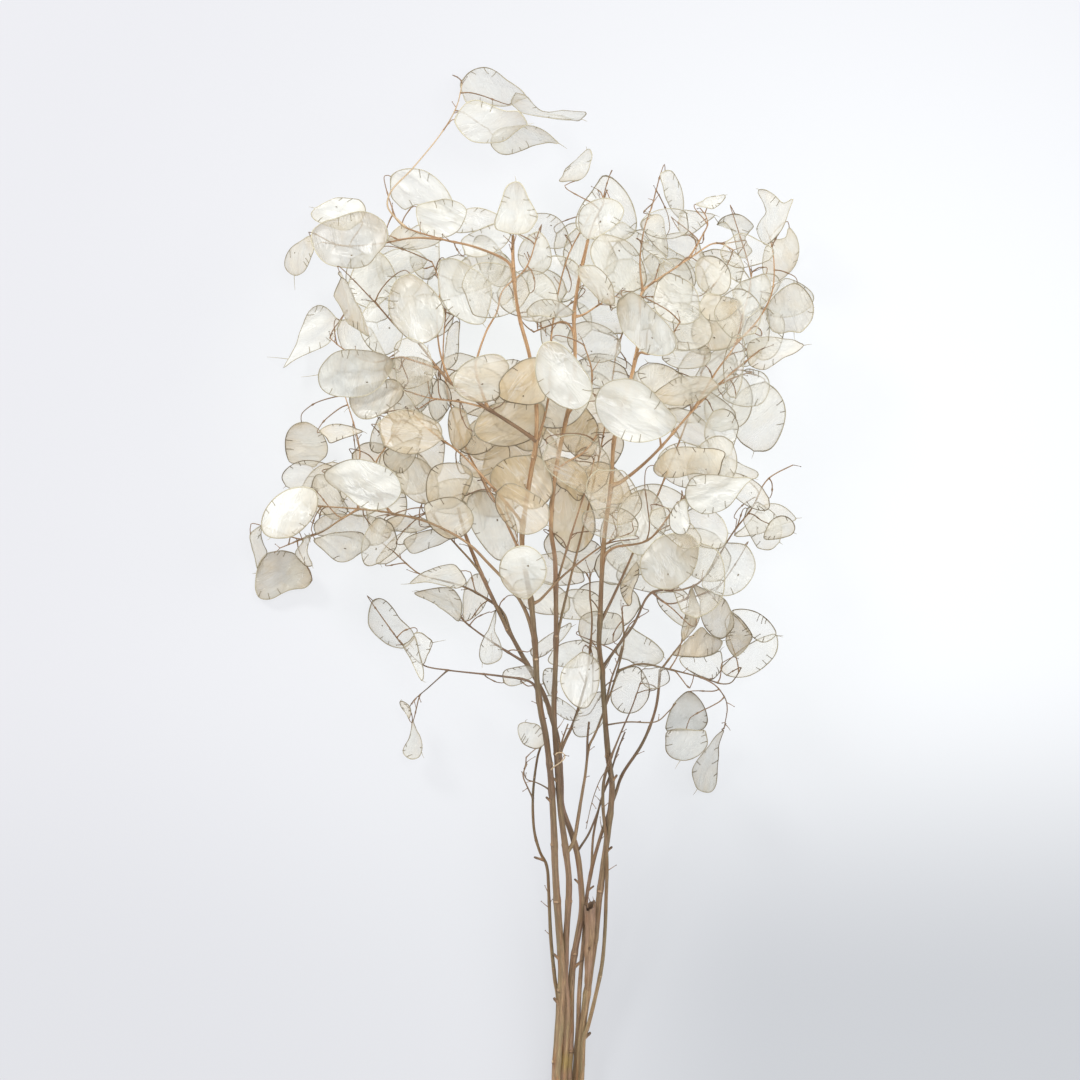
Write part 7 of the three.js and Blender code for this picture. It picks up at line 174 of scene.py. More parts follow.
    (137, "raceme_inner_right", [40.99, -57.51, 55.74], [0.821, 0.145, -0.553], [0.566, -0.339, 0.752], 38.96, 28.8, 0.6, "", (602, 627), False, [[52.83, -77.1, 83.7], [47.15, -71.86, 81.55], [38.27, -67.55, 78.34], [29.45, -64.18, 74.48], [23.94, -61.77, 70.4], [25, -60.33, 66.5]]),
    (143, "raceme_lowest_right_tip", [97.9, -117.22, 35.97], [0.051, -0.732, -0.68], [-0.283, -0.663, 0.693], 40.01, 29.65, 0.6, "", (687, 716), False, [[118.01, -98.37, 64.06], [114.71, -99.7, 60.67], [109.26, -99.83, 57.79], [103.35, -99.72, 55.16], [98.66, -100.32, 52.51], [96.88, -102.58, 49.57]]),
    (148, "raceme_thin_left", [-5.95, -126.26, 55.85], [0.145, 0.685, -0.714], [-0.692, 0.586, 0.421], 39.61, 28.53, 0.6, "", (531, 731), False, [[-9.61, -149.07, 67.26], [-9.36, -147.21, 67.86], [-9.23, -145.16, 68.95], [-9.13, -143.12, 70.02], [-9.02, -141.27, 70.54], [-8.83, -139.82, 69.99]]),
    (23, "raceme_left_level", [-81.7, 110.87, 106.48], [0.933, 0, 0.359], [-0.333, 0.376, 0.865], 38.87, 27.96, 0.55, "", (414, 369), False, [[-96.71, 99.32, 86.26], [-98.16, 101.28, 87.17], [-100.87, 105.62, 91.24], [-101.72, 107.64, 93.77], [-101.4, 110.45, 98.21], [-99.83, 110.87, 99.51]]),
    (112, "raceme_core", [16.16, 39.42, 115.07], [-0.39, -0.848, -0.359], [-0.276, -0.264, 0.924], 38.75, 30.01, 0.55, "", (565, 479), False, [[31.19, 59.78, 125.63], [29.84, 59.84, 124.57], [28.1, 59.35, 123.77], [26.29, 58.43, 123.14], [24.72, 57.22, 122.59], [23.7, 55.86, 122.03]]),
    (4, "raceme_top_spray", [5.92, 280.92, 68.46], [0.967, -0.205, 0.151], [0.154, 0.942, 0.299], 49.16, 34.76, 0.5, "e", (549, 113), False, [[-52.51, 294.37, 65.81], [-46.27, 294.81, 63.96], [-39.2, 293.29, 63.19], [-31.8, 290.7, 63.24], [-24.52, 287.96, 63.85], [-17.84, 285.97, 64.75]]),
    (5, "raceme_middle_tip", [23.41, 242.59, 98.46], [0.402, 0.573, -0.714], [-0.519, 0.785, 0.338], 39.19, 29.74, 0.5, "", (576, 167), False, [[38.67, 212.63, 122.93], [33.63, 217.2, 119.97], [28.46, 220.21, 118.79], [20.55, 224.61, 117.28], [16.68, 227.41, 115.92], [15.55, 231.36, 112.45]]),
    (16, "raceme_upper_left", [-82.31, 193.14, 107.46], [0.863, 0.075, 0.499], [-0.311, 0.859, 0.408], 39.15, 30.5, 0.5, "", (413, 242), False, [[-95.64, 212.1, 97.49], [-98.27, 207.15, 95.57], [-99.56, 203.74, 95.16], [-101.27, 196.86, 95.32], [-101.36, 194.09, 95.85], [-99.21, 191.67, 97.7]]),
    (33, "raceme_middle_left", [6.39, 146.24, 145.58], [0.867, 0, 0.499], [-0.367, -0.677, 0.638], 38.91, 28.21, 0.5, "", (550, 311), False, [[-3.88, 134.43, 114.69], [-7.64, 136.86, 117.52], [-10.83, 139.94, 122.17], [-12.81, 142.99, 127.53], [-12.91, 145.31, 132.48], [-10.47, 146.24, 135.88]]),
    (42, "raceme_upper_right_rising", [86.19, 228.97, 68.14], [0.173, -0.815, -0.553], [0.874, -0.132, 0.468], 39.25, 27.96, 0.5, "", (671, 192), False, [[72.55, 216.31, 92.51], [74.65, 223.65, 89.25], [77.17, 233.4, 86.53], [78.89, 239.54, 84.83], [81.19, 245.65, 82.16], [82.79, 244.97, 78.99]]),
    (43, "raceme_upper_right_inner", [112.41, 223.5, 70.64], [0.878, 0.235, -0.417], [0.064, 0.805, 0.589], 22.36, 13.15, 0.5, "s", (711, 200), False, [[109.3, 205.73, 90.91], [107.42, 209.19, 87.16], [104.18, 213.28, 83.18], [102.64, 215.31, 81.26], [100.92, 218.8, 77.81], [102.59, 220.86, 75.3]]),
    (46, "raceme_upper_right_rising", [74.73, 194.94, 100.85], [0.38, -0.816, 0.436], [0.628, 0.574, 0.526], 39.1, 29.01, 0.5, "", (655, 240), False, [[73.56, 219.59, 88.34], [71.81, 218.2, 88.14], [69.88, 216.48, 88.78], [68.2, 214.59, 89.92], [67.2, 212.67, 91.22], [67.29, 210.88, 92.33]]),
    (52, "raceme_upper_right", [122.79, 179.26, 73.41], [-0.591, -0.723, -0.359], [-0.334, -0.186, 0.924], 39.23, 30.38, 0.5, "", (727, 267), False, [[117.43, 192.67, 101.12], [121.36, 193.05, 97.48], [126.23, 194.18, 93.13], [132.81, 195.66, 86.51], [135.1, 195.45, 82.85], [134.38, 193.44, 80.45]]),
    (54, "raceme_right_rising", [119.27, 136.87, 93], [-0.736, 0.574, -0.359], [-0.367, 0.108, 0.924], 39.13, 32.93, 0.5, "", (723, 330), False, [[121.61, 119.13, 114.5], [125.71, 121.03, 111.14], [128.25, 121.71, 109.03], [132.79, 122.93, 104.68], [134.18, 123.64, 102.73], [133.67, 125.64, 100.03]]),
    (56, "raceme_right_edge", [150.94, 219.79, 51.95], [-0.296, 0.814, -0.499], [-0.845, 0.021, 0.535], 39.63, 27.8, 0.5, "", (768, 208), False, [[153.24, 193.59, 56.86], [153.97, 195.68, 57.41], [155.09, 197.79, 58.97], [156.2, 199.86, 60.74], [156.91, 201.83, 61.96], [156.81, 203.65, 61.84]]),
    (61, "raceme_right_edge", [166.91, 149.24, 81.73], [-0.086, -0.988, 0.129], [-0.348, 0.151, 0.925], 39.81, 29.62, 0.5, "", (795, 312), False, [[153.62, 177.13, 76.36], [156.44, 176.89, 75.84], [159.76, 176.16, 76.07], [166.01, 173.33, 77.71], [168.01, 171.31, 78.59], [168.64, 168.91, 79.17]]),
    (74, "raceme_long_right", [80.9, 103.55, 111.15], [-0.545, 0.539, -0.642], [0.119, 0.807, 0.578], 38.97, 29.3, 0.5, "h", (665, 380), False, [[97.8, 82.84, 116.6], [97.38, 85.23, 118.03], [96.26, 87.52, 120.35], [94.72, 89.64, 122.66], [93.05, 91.5, 124.06], [91.51, 93.04, 123.66]]),
    (76, "raceme_low_left_rising", [-132.73, 70.96, 71.72], [0.906, 0.079, 0.417], [-0.391, 0.538, 0.747], 26.61, 15.11, 0.5, "s", (338, 432), False, [[-127.22, 89.51, 51.82], [-132.15, 87.42, 52.66], [-140.05, 81.2, 56.13], [-144.32, 76.46, 59.21], [-146.92, 71, 63.82], [-144.78, 69.91, 66.18]]),
    (81, "raceme_low_left_long", [-124.48, 9.27, 51.45], [0.987, -0.086, -0.133], [0.004, -0.825, 0.565], 51.52, 36.77, 0.5, "", (352, 526), False, [[-146.75, 22.38, 67.63], [-148.37, 20.87, 65.48], [-150.02, 18.72, 62.87], [-152.01, 14.05, 57.68], [-151.65, 12.31, 55.8], [-149.92, 11.5, 54.87]]),
    (86, "raceme_left_end", [-73.81, -0.66, 63.8], [0.952, 0.168, -0.256], [0.302, -0.658, 0.69], 39.08, 27.38, 0.5, "", (428, 541), False, [[-71.51, 18.48, 81.35], [-78.62, 15.42, 78.58], [-86.54, 8.88, 75.56], [-91.03, 4, 73.57], [-94.69, -2.02, 70.86], [-92.42, -3.94, 68.8]]),
    (93, "raceme_lowest_left", [-76.3, -72.35, 69.06], [0.235, -0.878, 0.417], [-0.536, 0.24, 0.809], 27.46, 16.23, 0.5, "s", (424, 650), False, [[-94.92, -64.68, 50.59], [-91.45, -61.08, 52.88], [-89.11, -59.63, 54.63], [-84.24, -57.97, 58.59], [-82.12, -57.99, 60.49], [-79.53, -60.3, 63.34]]),
    (94, "raceme_lowest_left_tip", [-90.11, -114.14, 30.17], [-0.384, 0.824, -0.417], [-0.756, -0.022, 0.654], 16.16, 9.28, 0.5, "s", (405, 711), False, [[-79.23, -102.19, 50.61], [-80.66, -105.98, 47.22], [-82, -111.42, 43.69], [-84.01, -119.22, 38.63], [-85.43, -121.92, 35.75], [-87, -120.79, 33.53]]),
    (95, "raceme_lowest_left_tip", [-82.84, -132.28, 27.67], [0.158, -0.895, 0.417], [-0.879, 0.064, 0.472], 29.38, 16.73, 0.5, "s", (416, 738), False, [[-87.54, -112.27, 26.95], [-87.26, -113.43, 25.49], [-86.75, -114.75, 23.84], [-86.13, -116.17, 22.37], [-85.56, -117.65, 21.48], [-85.16, -119.13, 21.55]]),
    (96, "raceme_left_drooping", [-65.34, -22.87, 86.5], [-0.886, -0.156, 0.436], [0.064, 0.891, 0.45], 39.13, 28.68, 0.5, "", (440, 575), False, [[-41.52, -34.79, 74.69], [-42.79, -32.3, 74.98], [-43.61, -29.03, 75.31], [-45.05, -22.49, 76.28], [-46.2, -20.38, 77.02], [-48, -19.81, 77.97]]),
    (98, "raceme_front_low", [-33.25, -65.85, 92.18], [-0.15, -0.854, 0.499], [0.887, 0.106, 0.449], 39.24, 27.8, 0.5, "", (489, 641), False, [[-46.46, -56.23, 71.88], [-43.13, -52.13, 74.22], [-40.4, -50.25, 75.57], [-34.58, -47.64, 78.42], [-32.21, -47.25, 79.83], [-30.3, -49.1, 82.4]]),
    (101, "raceme_low_left_inner", [-89.4, 54.16, 89.73], [-0.613, -0.613, 0.499], [0.746, -0.241, 0.62], 39.04, 29.09, 0.5, "", (403, 457), False, [[-91.01, 78.57, 81.05], [-88.38, 77.95, 80.49], [-82.33, 74.59, 79.29], [-79.65, 72.34, 78.89], [-76.84, 67.86, 79.12], [-77.44, 66.13, 79.99]]),
    (104, "raceme_low_left_inner", [-80.02, 39.35, 76.48], [0.296, -0.814, 0.499], [0.306, 0.576, 0.758], 39.02, 28.25, 0.5, "", (418, 480), False, [[-96.85, 68.06, 83.82], [-93.74, 67.32, 79.12], [-90.94, 64.85, 73.34], [-89.68, 63.17, 70.64], [-87.5, 59.29, 66.84], [-85.8, 55.24, 66.75]]),
    (105, "raceme_low_left_long", [-59.86, 35.79, 97.2], [0.319, 0.77, 0.553], [0.024, -0.59, 0.807], 38.98, 28.16, 0.5, "h", (448, 485), False, [[-82.87, 14.53, 91.58], [-81.47, 15.86, 89.98], [-76.07, 17.25, 87.05], [-72.87, 17.73, 86.01], [-67.48, 19.28, 85.55], [-66.08, 20.78, 86.42]]),
    (111, "raceme_centre_left", [-12.91, 38.74, 117.14], [0.653, 0.751, 0.102], [-0.172, 0.016, 0.985], 39.11, 35.36, 0.5, "", (520, 480), False, [[-38.95, 43.32, 120.8], [-37.32, 38.56, 117.7], [-34.46, 31.76, 115.85], [-32.75, 28.47, 115.32], [-29.11, 23.82, 114.9], [-25.68, 24.07, 115.14]]),
    (115, "raceme_core", [25.96, 68.78, 104.38], [-0.445, 0.705, -0.553], [-0.7, 0.112, 0.706], 38.88, 29.08, 0.5, "h", (580, 434), False, [[24.71, 54.14, 125.63], [27.35, 54.4, 124.02], [30.35, 54.1, 121.78], [33.02, 53.77, 119.3], [34.67, 53.93, 116.95], [34.6, 55.08, 115.12]]),
    (126, "raceme_far_right", [135.92, 31.37, 86.22], [-0.717, 0.154, 0.68], [0.608, 0.615, 0.502], 39.24, 30.58, 0.5, "h", (748, 492), False, [[150.93, 40.73, 62.5], [152.22, 38.93, 63.99], [152.89, 36.29, 65.68], [152.49, 30.69, 69.34], [151.49, 28.83, 71.16], [149.98, 28.34, 72.88]]),
    (130, "raceme_lowest_right", [114.97, -46.91, 56.91], [0.575, -0.736, -0.359], [0.585, 0.062, 0.808], 39.4, 30.32, 0.5, "", (714, 611), False, [[84.79, -84.7, 80.08], [90.84, -74.29, 76.78], [94.24, -58.41, 73.7], [96.49, -42.5, 70.67], [99.13, -32.03, 67.5], [103.65, -32.43, 63.99]]),
    (133, "raceme_lower_right", [97.25, -46.68, 106.71], [-0.15, -0.854, 0.499], [-0.841, 0.376, 0.389], 39.31, 29.2, 0.5, "", (690, 612), False, [[94.62, -39.13, 83.17], [96.42, -37.04, 84.57], [97.95, -34.34, 86.87], [99.96, -29.6, 92.54], [100.33, -28.81, 95.09], [100.21, -29.9, 96.91]]),
    (136, "raceme_inner_right", [65.74, -72.32, 70.28], [0.837, -0.224, -0.499], [0.317, -0.545, 0.776], 39.33, 27.81, 0.5, "", (640, 650), False, [[54.1, -52.99, 90.07], [52.42, -54.16, 88.42], [49.18, -59.01, 85.36], [48.05, -61.92, 83.94], [47.88, -66.75, 81.31], [49.28, -67.91, 80.09]]),
    (154, "raceme_long_right", [117.94, 69.34, 107.95], [0.335, -0.69, -0.642], [0.645, -0.329, 0.69], 39.1, 27.52, 0.5, "h", (722, 433), False, [[106.13, 91.62, 113.48], [107.85, 90.63, 114.96], [109.08, 88.9, 117.22], [109.97, 86.79, 119.45], [110.68, 84.64, 120.82], [111.39, 82.82, 120.5]]),
    (155, "raceme_long_right", [112.22, 84.16, 90.24], [0.385, -0.663, -0.642], [-0.287, -0.747, 0.599], 39.07, 29.99, 0.5, "h", (712, 411), False, [[104, 89.45, 114.35], [104.47, 91.59, 112.35], [104.4, 94.16, 109.87], [104.17, 96.42, 107.22], [104.14, 97.65, 104.75], [104.7, 97.11, 102.78]]),
    (3, "raceme_top_spray", [-11.17, 265.39, 72.34], [0.97, -0.171, -0.175], [0.245, 0.709, 0.661], 41.36, 29.34, 0.45, "", (523, 136), False, [[-55.84, 281.81, 75.67], [-51.5, 280.98, 74.74], [-47.04, 278.51, 74.83], [-40.22, 273.55, 75.79], [-35.68, 270.61, 76.24], [-31.22, 268.93, 75.97]]),
    (8, "raceme_upper_left", [-79.8, 227.61, 83.77], [0.85, -0.491, -0.19], [-0.116, -0.526, 0.842], 44.11, 32.13, 0.45, "", (418, 192), False, [[-93.87, 209.29, 100.93], [-96.52, 216.96, 97.21], [-98.73, 223.57, 94.81], [-101.27, 233, 91.57], [-101.59, 237.39, 89.8], [-98.55, 238.44, 87.95]]),
    (13, "raceme_left_upright", [-109.54, 170.55, 76.21], [-0.168, -0.952, 0.256], [-0.094, 0.274, 0.957], 39.31, 31.76, 0.45, "b", (373, 280), False, [[-70.85, 182.38, 75.8], [-77.65, 185.81, 73.11], [-86.48, 189.73, 71.18], [-95.46, 192.61, 70.14], [-102.68, 192.96, 70.1], [-106.24, 189.26, 71.17]]),
    (34, "raceme_middle_left", [10.42, 132.86, 94.98], [0.534, -0.502, -0.68], [0.809, 0.07, 0.584], 39.03, 27.78, 0.45, "h", (556, 336), False, [[-1.22, 135.47, 118.7], [-1.58, 136.81, 116.48], [-1.71, 139.01, 114.22], [-1.53, 141.27, 112.01], [-0.99, 142.75, 109.99], [-0.01, 142.66, 108.25]]),
    (44, "raceme_upper_right_inner", [101.6, 208.45, 77.95], [0.755, -0.133, -0.642], [0.536, 0.689, 0.488], 39.34, 28.86, 0.45, "", (695, 222), False, [[102.95, 193.31, 107.62], [100.69, 196.85, 104.62], [94.11, 202.97, 100.33], [89.49, 206.76, 97.54], [85.52, 210.59, 93.39], [86.75, 211.07, 90.58]]),
    (71, "raceme_middle_left", [35.43, 127.56, 123.12], [0.679, -0.538, -0.499], [-0.013, -0.688, 0.725], 39.04, 29.55, 0.45, "h", (595, 342), False, [[12.44, 139.64, 134.39], [13.88, 139.24, 133.49], [15.98, 139.1, 133.29], [18.34, 139.02, 133.38], [20.54, 138.75, 133.37], [22.17, 138.06, 132.86]]),
    (73, "raceme_right_rising", [94.66, 119.94, 106.65], [-0.622, 0.389, -0.68], [-0.121, 0.81, 0.574], 39.15, 30.02, 0.45, "h", (686, 355), False, [[111.16, 104.49, 117.07], [110.81, 106.27, 117.76], [110.07, 108.13, 118.87], [109.06, 109.9, 119.93], [107.94, 111.36, 120.45], [106.83, 112.34, 119.96]]),
    (83, "raceme_low_left_long", [-106.25, -0.66, 76.52], [0.051, -0.732, -0.68], [0.659, -0.487, 0.574], 39.33, 28.49, 0.45, "h", (378, 541), False, [[-88.79, 15.9, 89.76], [-91.57, 16.03, 89.75], [-98.47, 16.37, 90.72], [-101.85, 16.33, 91.22], [-106.62, 15.14, 91.04], [-107.26, 13.73, 89.89]]),
    (107, "raceme_left_level", [-53.01, 73.05, 114.01], [-0.073, -0.83, -0.553], [-0.809, -0.275, 0.519], 39.07, 29.27, 0.45, "", (458, 427), False, [[-54.25, 89.1, 133.94], [-54.22, 89.44, 132.09], [-53.56, 89.94, 129.99], [-52.64, 90.3, 127.91], [-51.86, 90.19, 126.1], [-51.59, 89.27, 124.8]]),
    (109, "raceme_back_top", [-6.5, 74.77, 99.35], [-0.528, -0.644, -0.553], [-0.695, -0.046, 0.718], 39.02, 30.21, 0.45, "h", (530, 425), False, [[6.16, 101.06, 122.25], [6, 100.35, 120.01], [5.91, 96.6, 116.14], [5.78, 94.1, 114.46], [4.83, 89.2, 111.48], [3.81, 87.34, 110.13]]),
    (144, "raceme_lowest_right_tip", [95.14, -134.51, 75.42], [-0.127, -0.722, 0.68], [-0.369, 0.671, 0.643], 40.09, 28.95, 0.45, "", (685, 745), False, [[121.73, -103.52, 58.41], [118.58, -106.81, 57.24], [111.26, -110.87, 56.64], [105.95, -113.31, 57.1], [99.57, -117.1, 59.26], [97.69, -120.03, 61.79]]),
    (11, "raceme_left_shoulder", [-160.38, 187.55, 49.13], [-0.287, -0.711, -0.642], [-0.839, -0.137, 0.526], 39.8, 28.98, 0.4, "", (298, 257), False, [[-134.48, 194.44, 68.14], [-138.97, 196.62, 66.4], [-144.47, 199.76, 65.48], [-147.22, 201.21, 65.1], [-151.96, 202.91, 64.02], [-154.66, 201.7, 61.91]]),
    (12, "raceme_left_shoulder", [-133.41, 216.63, 58.14], [-0.783, 0.285, -0.553], [-0.189, 0.737, 0.648], 39.7, 30.61, 0.4, "h", (338, 212), False, [[-124.75, 192.41, 82.34], [-123.49, 196.22, 78.81], [-120.3, 201.22, 75.76], [-118.65, 203.78, 74.36], [-116.56, 208.3, 71.71], [-117.87, 210.98, 69.11]]),
    (24, "raceme_left_level", [-81.22, 91.7, 79.88], [-0.296, -0.814, -0.499], [-0.548, -0.283, 0.787], 39.26, 28.82, 0.4, "", (416, 400), False, [[-69.38, 91.24, 122.17], [-71.42, 95.24, 115.71], [-72.5, 101.23, 108.26], [-73.16, 106.87, 100.79], [-73.95, 109.8, 94.28], [-75.4, 107.69, 89.68]]),
    (30, "raceme_upper_crossing", [-1.96, 187.64, 84.77], [-0.15, -0.854, -0.499], [-0.582, -0.331, 0.743], 39.25, 29.02, 0.4, "", (537, 253), False, [[-2.59, 194.26, 109.83], [-1.97, 196.27, 107.89], [-0.41, 201.35, 103.05], [0.31, 203.61, 100.5], [1.12, 205.54, 96.08], [0.99, 204.39, 94.56]]),
    (38, "raceme_middle_tip", [45.82, 219.92, 81.86], [-0.086, -0.988, -0.129], [0.129, -0.14, 0.982], 39.69, 33.13, 0.4, "", (610, 204), False, [[41.24, 222.06, 109.93], [42.44, 227.75, 103.44], [43.81, 232.7, 98.44], [45.98, 239.3, 91.25], [47.09, 241.65, 87.42], [47.53, 239.53, 84.43]]),
    (40, "raceme_middle_tip", [50.3, 179.28, 120.38], [0.496, -0.858, 0.133], [0.3, 0.313, 0.901], 43.59, 31.68, 0.4, "", (618, 262), False, [[37.24, 209.7, 126.74], [37.76, 208.37, 124.13], [37.95, 206.15, 121.51], [38.11, 203.43, 119.28], [38.53, 200.58, 117.81], [39.5, 197.99, 117.48]]),
    (50, "raceme_upper_right", [88.82, 166.61, 106.85], [0.521, -0.562, -0.642], [0.773, -0.007, 0.634], 39.32, 30.1, 0.4, "h", (677, 283), False, [[72.94, 165.71, 128.82], [74.11, 167.95, 127.56], [75.02, 170.91, 126.09], [76.57, 176.52, 122.78], [77.45, 177.95, 121.1], [78.56, 177.66, 119.48]]),
    (55, "raceme_right_rising", [132.78, 205.09, 70.6], [0.383, -0.664, -0.642], [-0.368, -0.747, 0.553], 39.58, 29.25, 0.4, "", (742, 228), False, [[138.17, 172.26, 84.29], [135.72, 183.22, 83.19], [131.38, 197.11, 83.42], [126.96, 210.11, 86.05], [124.3, 218.42, 86.5], [125.2, 218.23, 83.23]]),
    (58, "raceme_upper_right", [132.64, 184.79, 124.52], [0.647, -0.345, 0.68], [-0.262, 0.737, 0.623], 39.54, 27.91, 0.4, "h", (746, 253), False, [[114.36, 192.88, 103.34], [115.79, 192.79, 104.31], [116.93, 192.66, 105.9], [117.89, 192.45, 107.78], [118.82, 192.11, 109.61], [119.85, 191.62, 111.07]]),
    (60, "raceme_right_edge", [162.04, 158.09, 65.17], [0.836, -0.23, -0.499], [0.243, -0.66, 0.711], 39.63, 30.6, 0.4, "h", (786, 300), False, [[150.02, 158.16, 94.62], [148.57, 160.29, 89.7], [147.21, 161.24, 86.85], [144.64, 162.62, 81.16], [144.01, 162.95, 78.65], [145.49, 162.64, 75.05]]),
    (70, "raceme_back_centre", [42.2, 110.77, 62.72], [-0.723, -0.122, 0.68], [0.439, 0.678, 0.589], 39.18, 27.63, 0.4, "h", (604, 372), False, [[51, 126.98, 39.86], [52.89, 125.7, 40.93], [56.17, 121.01, 43.46], [57.25, 118.32, 44.87], [57.5, 114.04, 47.86], [56.36, 113.17, 49.4]]),
    (72, "raceme_upper_right", [87.64, 153.53, 141.24], [0.667, -0.604, 0.436], [-0.531, 0.025, 0.847], 39.3, 29.23, 0.4, "h", (677, 300), False, [[68.18, 161.97, 130.25], [69.41, 162.95, 130.5], [70.78, 164.12, 130.92], [72.17, 165.15, 131.46], [73.46, 165.69, 132.06], [74.52, 165.39, 132.67]]),
    (80, "raceme_low_left_tip", [-139.36, 27.74, 58.13], [-0.092, 0.728, 0.68], [-0.543, -0.609, 0.578], 39.54, 28.43, 0.4, "h", (329, 498), False, [[-163.82, -1.83, 47.49], [-160.19, 0.12, 44.44], [-151.68, 3.43, 41.6], [-145.64, 5.94, 40.99], [-138.87, 10.18, 42.26], [-137.54, 13.36, 44.69]]),
    (82, "raceme_low_left_long", [-129.57, -3.95, 69.09], [0.908, -0.331, -0.256], [-0.082, -0.741, 0.666], 39.56, 30.6, 0.4, "", (343, 546), False, [[-143.66, 22.16, 68.92], [-146.84, 17.49, 69.92], [-148.23, 14.52, 70.95], [-149.9, 8.49, 73.17], [-149.9, 5.88, 73.99], [-147.54, 2.59, 74.16]]),
    (84, "raceme_left_drooping", [-95.72, -4.65, 41.21], [0.321, 0.584, -0.745], [-0.522, 0.766, 0.376], 39.41, 27.99, 0.4, "h", (396, 547), False, [[-88.01, -15.48, 67.89], [-90.31, -15.21, 66.56], [-95.99, -16.13, 63.29], [-98.69, -16.77, 61.46], [-102.07, -17.07, 57.71], [-102.05, -16.16, 55.89]]),
    (89, "raceme_low_left_tip", [-188.91, -4.67, 29.96], [0.181, -0.676, -0.714], [0.954, -0.056, 0.295], 40.12, 28.55, 0.4, "e", (257, 547), False, [[-157.6, 0.4, 55.07], [-164.6, 2.03, 52.65], [-173.46, 5.32, 51.28], [-184.94, 9.69, 49.73], [-190.91, 10.98, 47.78], [-192.54, 8.89, 44.28]]),
    (92, "raceme_lowest_left", [-84.13, -80.18, 71.03], [0.455, -0.787, 0.417], [-0.65, 0.027, 0.76], 29.1, 17.41, 0.4, "s", (412, 662), False, [[-93.04, -67.04, 52.77], [-93.37, -66.25, 55.1], [-93.18, -66.02, 57.97], [-92.59, -66.35, 60.91], [-91.74, -67.25, 63.4], [-90.74, -68.73, 64.97]]),
    (102, "raceme_low_left_inner", [-87.45, 72.88, 49.9], [-0.436, -0.671, 0.6], [0.784, 0.044, 0.619], 39.28, 28.79, 0.4, "", (408, 430), False, [[-99.71, 62.78, 85.05], [-93.65, 70.88, 74.68], [-86.42, 79.67, 59.91], [-81.29, 85.48, 48.31], [-77.56, 89.03, 38.33], [-78.9, 86.06, 38.11]]),
    (103, "raceme_low_left_inner", [-107.46, 67.9, 63.01], [0, -0.633, -0.774], [0.936, -0.272, 0.223], 39.35, 29.82, 0.4, "", (377, 437), False, [[-92.48, 75.94, 81.76], [-94.46, 77.78, 81.19], [-97.48, 79.43, 80.95], [-104.14, 81.4, 80.44], [-106.52, 81.35, 79.67], [-107.46, 80.36, 78.23]]),
    (110, "raceme_centre_left", [-36.63, 55.59, 83.81], [0.631, 0.595, -0.499], [0.263, 0.441, 0.858], 39.2, 29.03, 0.4, "h", (484, 455), False, [[-53.72, 57.94, 114.19], [-54.5, 55.71, 109.63], [-54.35, 51.33, 104.9], [-53.34, 46.66, 100.39], [-51.52, 43.58, 96.49], [-48.98, 43.94, 93.58]]),
    (113, "raceme_left_end", [-31.44, 9.17, 79.87], [0.49, -0.849, -0.2], [0.383, 0.003, 0.924], 45.4, 31.92, 0.4, "", (492, 526), False, [[-69.96, 15.95, 81.55], [-66.8, 20.21, 82.03], [-59.23, 26.41, 83.35], [-53.49, 29.46, 84.23], [-45.85, 30.74, 84.86], [-42.56, 28.43, 84.41]]),
    (114, "raceme_core_rising", [19.65, 15.72, 80.35], [-0.895, 0.425, -0.138], [0.039, 0.382, 0.923], 39.6, 28.05, 0.4, "", (570, 516), False, [[20.01, 2.66, 107.65], [23.62, 4.62, 104.08], [31.18, 5.54, 96.54], [35.85, 5.56, 91.25], [39.26, 5.99, 84.97], [37.36, 7.3, 83.08]]),
    (128, "raceme_lowest_right", [144.23, -58.49, 41.37], [0.877, -0.319, 0.359], [-0.286, 0.254, 0.924], 39.88, 29.54, 0.4, "", (757, 628), False, [[131.65, -87.39, 50.44], [130.76, -80.15, 46.26], [127.91, -70.91, 41.45], [124.09, -59.03, 35.85], [123.47, -53.14, 33.61], [126.74, -52.12, 34.21]]),
    (134, "raceme_low_right_end", [90.91, -43.79, 45.76], [-0.222, 0.734, -0.642], [0.521, 0.646, 0.558], 39.48, 30.76, 0.4, "h", (677, 606), False, [[98.59, -53.9, 70.88], [98.18, -54.1, 68.37], [97.52, -55.7, 65.61], [96.74, -57.63, 62.85], [95.95, -58.84, 60.37], [95.3, -58.28, 58.44]]),
    (135, "raceme_lowest_right", [106.93, -81.85, 59.75], [0.342, 0.76, -0.553], [0.741, 0.144, 0.656], 39.76, 30.32, 0.4, "", (702, 664), False, [[87.72, -85.39, 79.3], [89.73, -87.1, 78.3], [93.9, -92.42, 76], [95.86, -95.06, 74.74], [99.07, -97.82, 72.09], [100.13, -96.96, 70.74]]),
    (140, "raceme_inner_centre", [23.24, -76.36, 43.94], [-0.751, 0.156, -0.642], [-0.298, 0.787, 0.54], 39.48, 28.02, 0.4, "h", (575, 655), False, [[33.42, -66.75, 68.97], [34.68, -67.46, 66.93], [37.59, -71.96, 63.17], [38.75, -74.77, 61.42], [39.23, -79, 58.16], [38.06, -79.44, 56.62]]),
    (141, "raceme_low_front", [59.61, -100.02, 50.48], [-0.831, -0.063, -0.553], [-0.518, 0.449, 0.728], 39.68, 28.78, 0.4, "", (630, 691), False, [[65.57, -94.42, 77.27], [67.54, -93.97, 75.28], [72.76, -95.12, 70.35], [75.13, -96.23, 67.75], [77.24, -98.29, 63.13], [76.1, -98.76, 61.45]]),
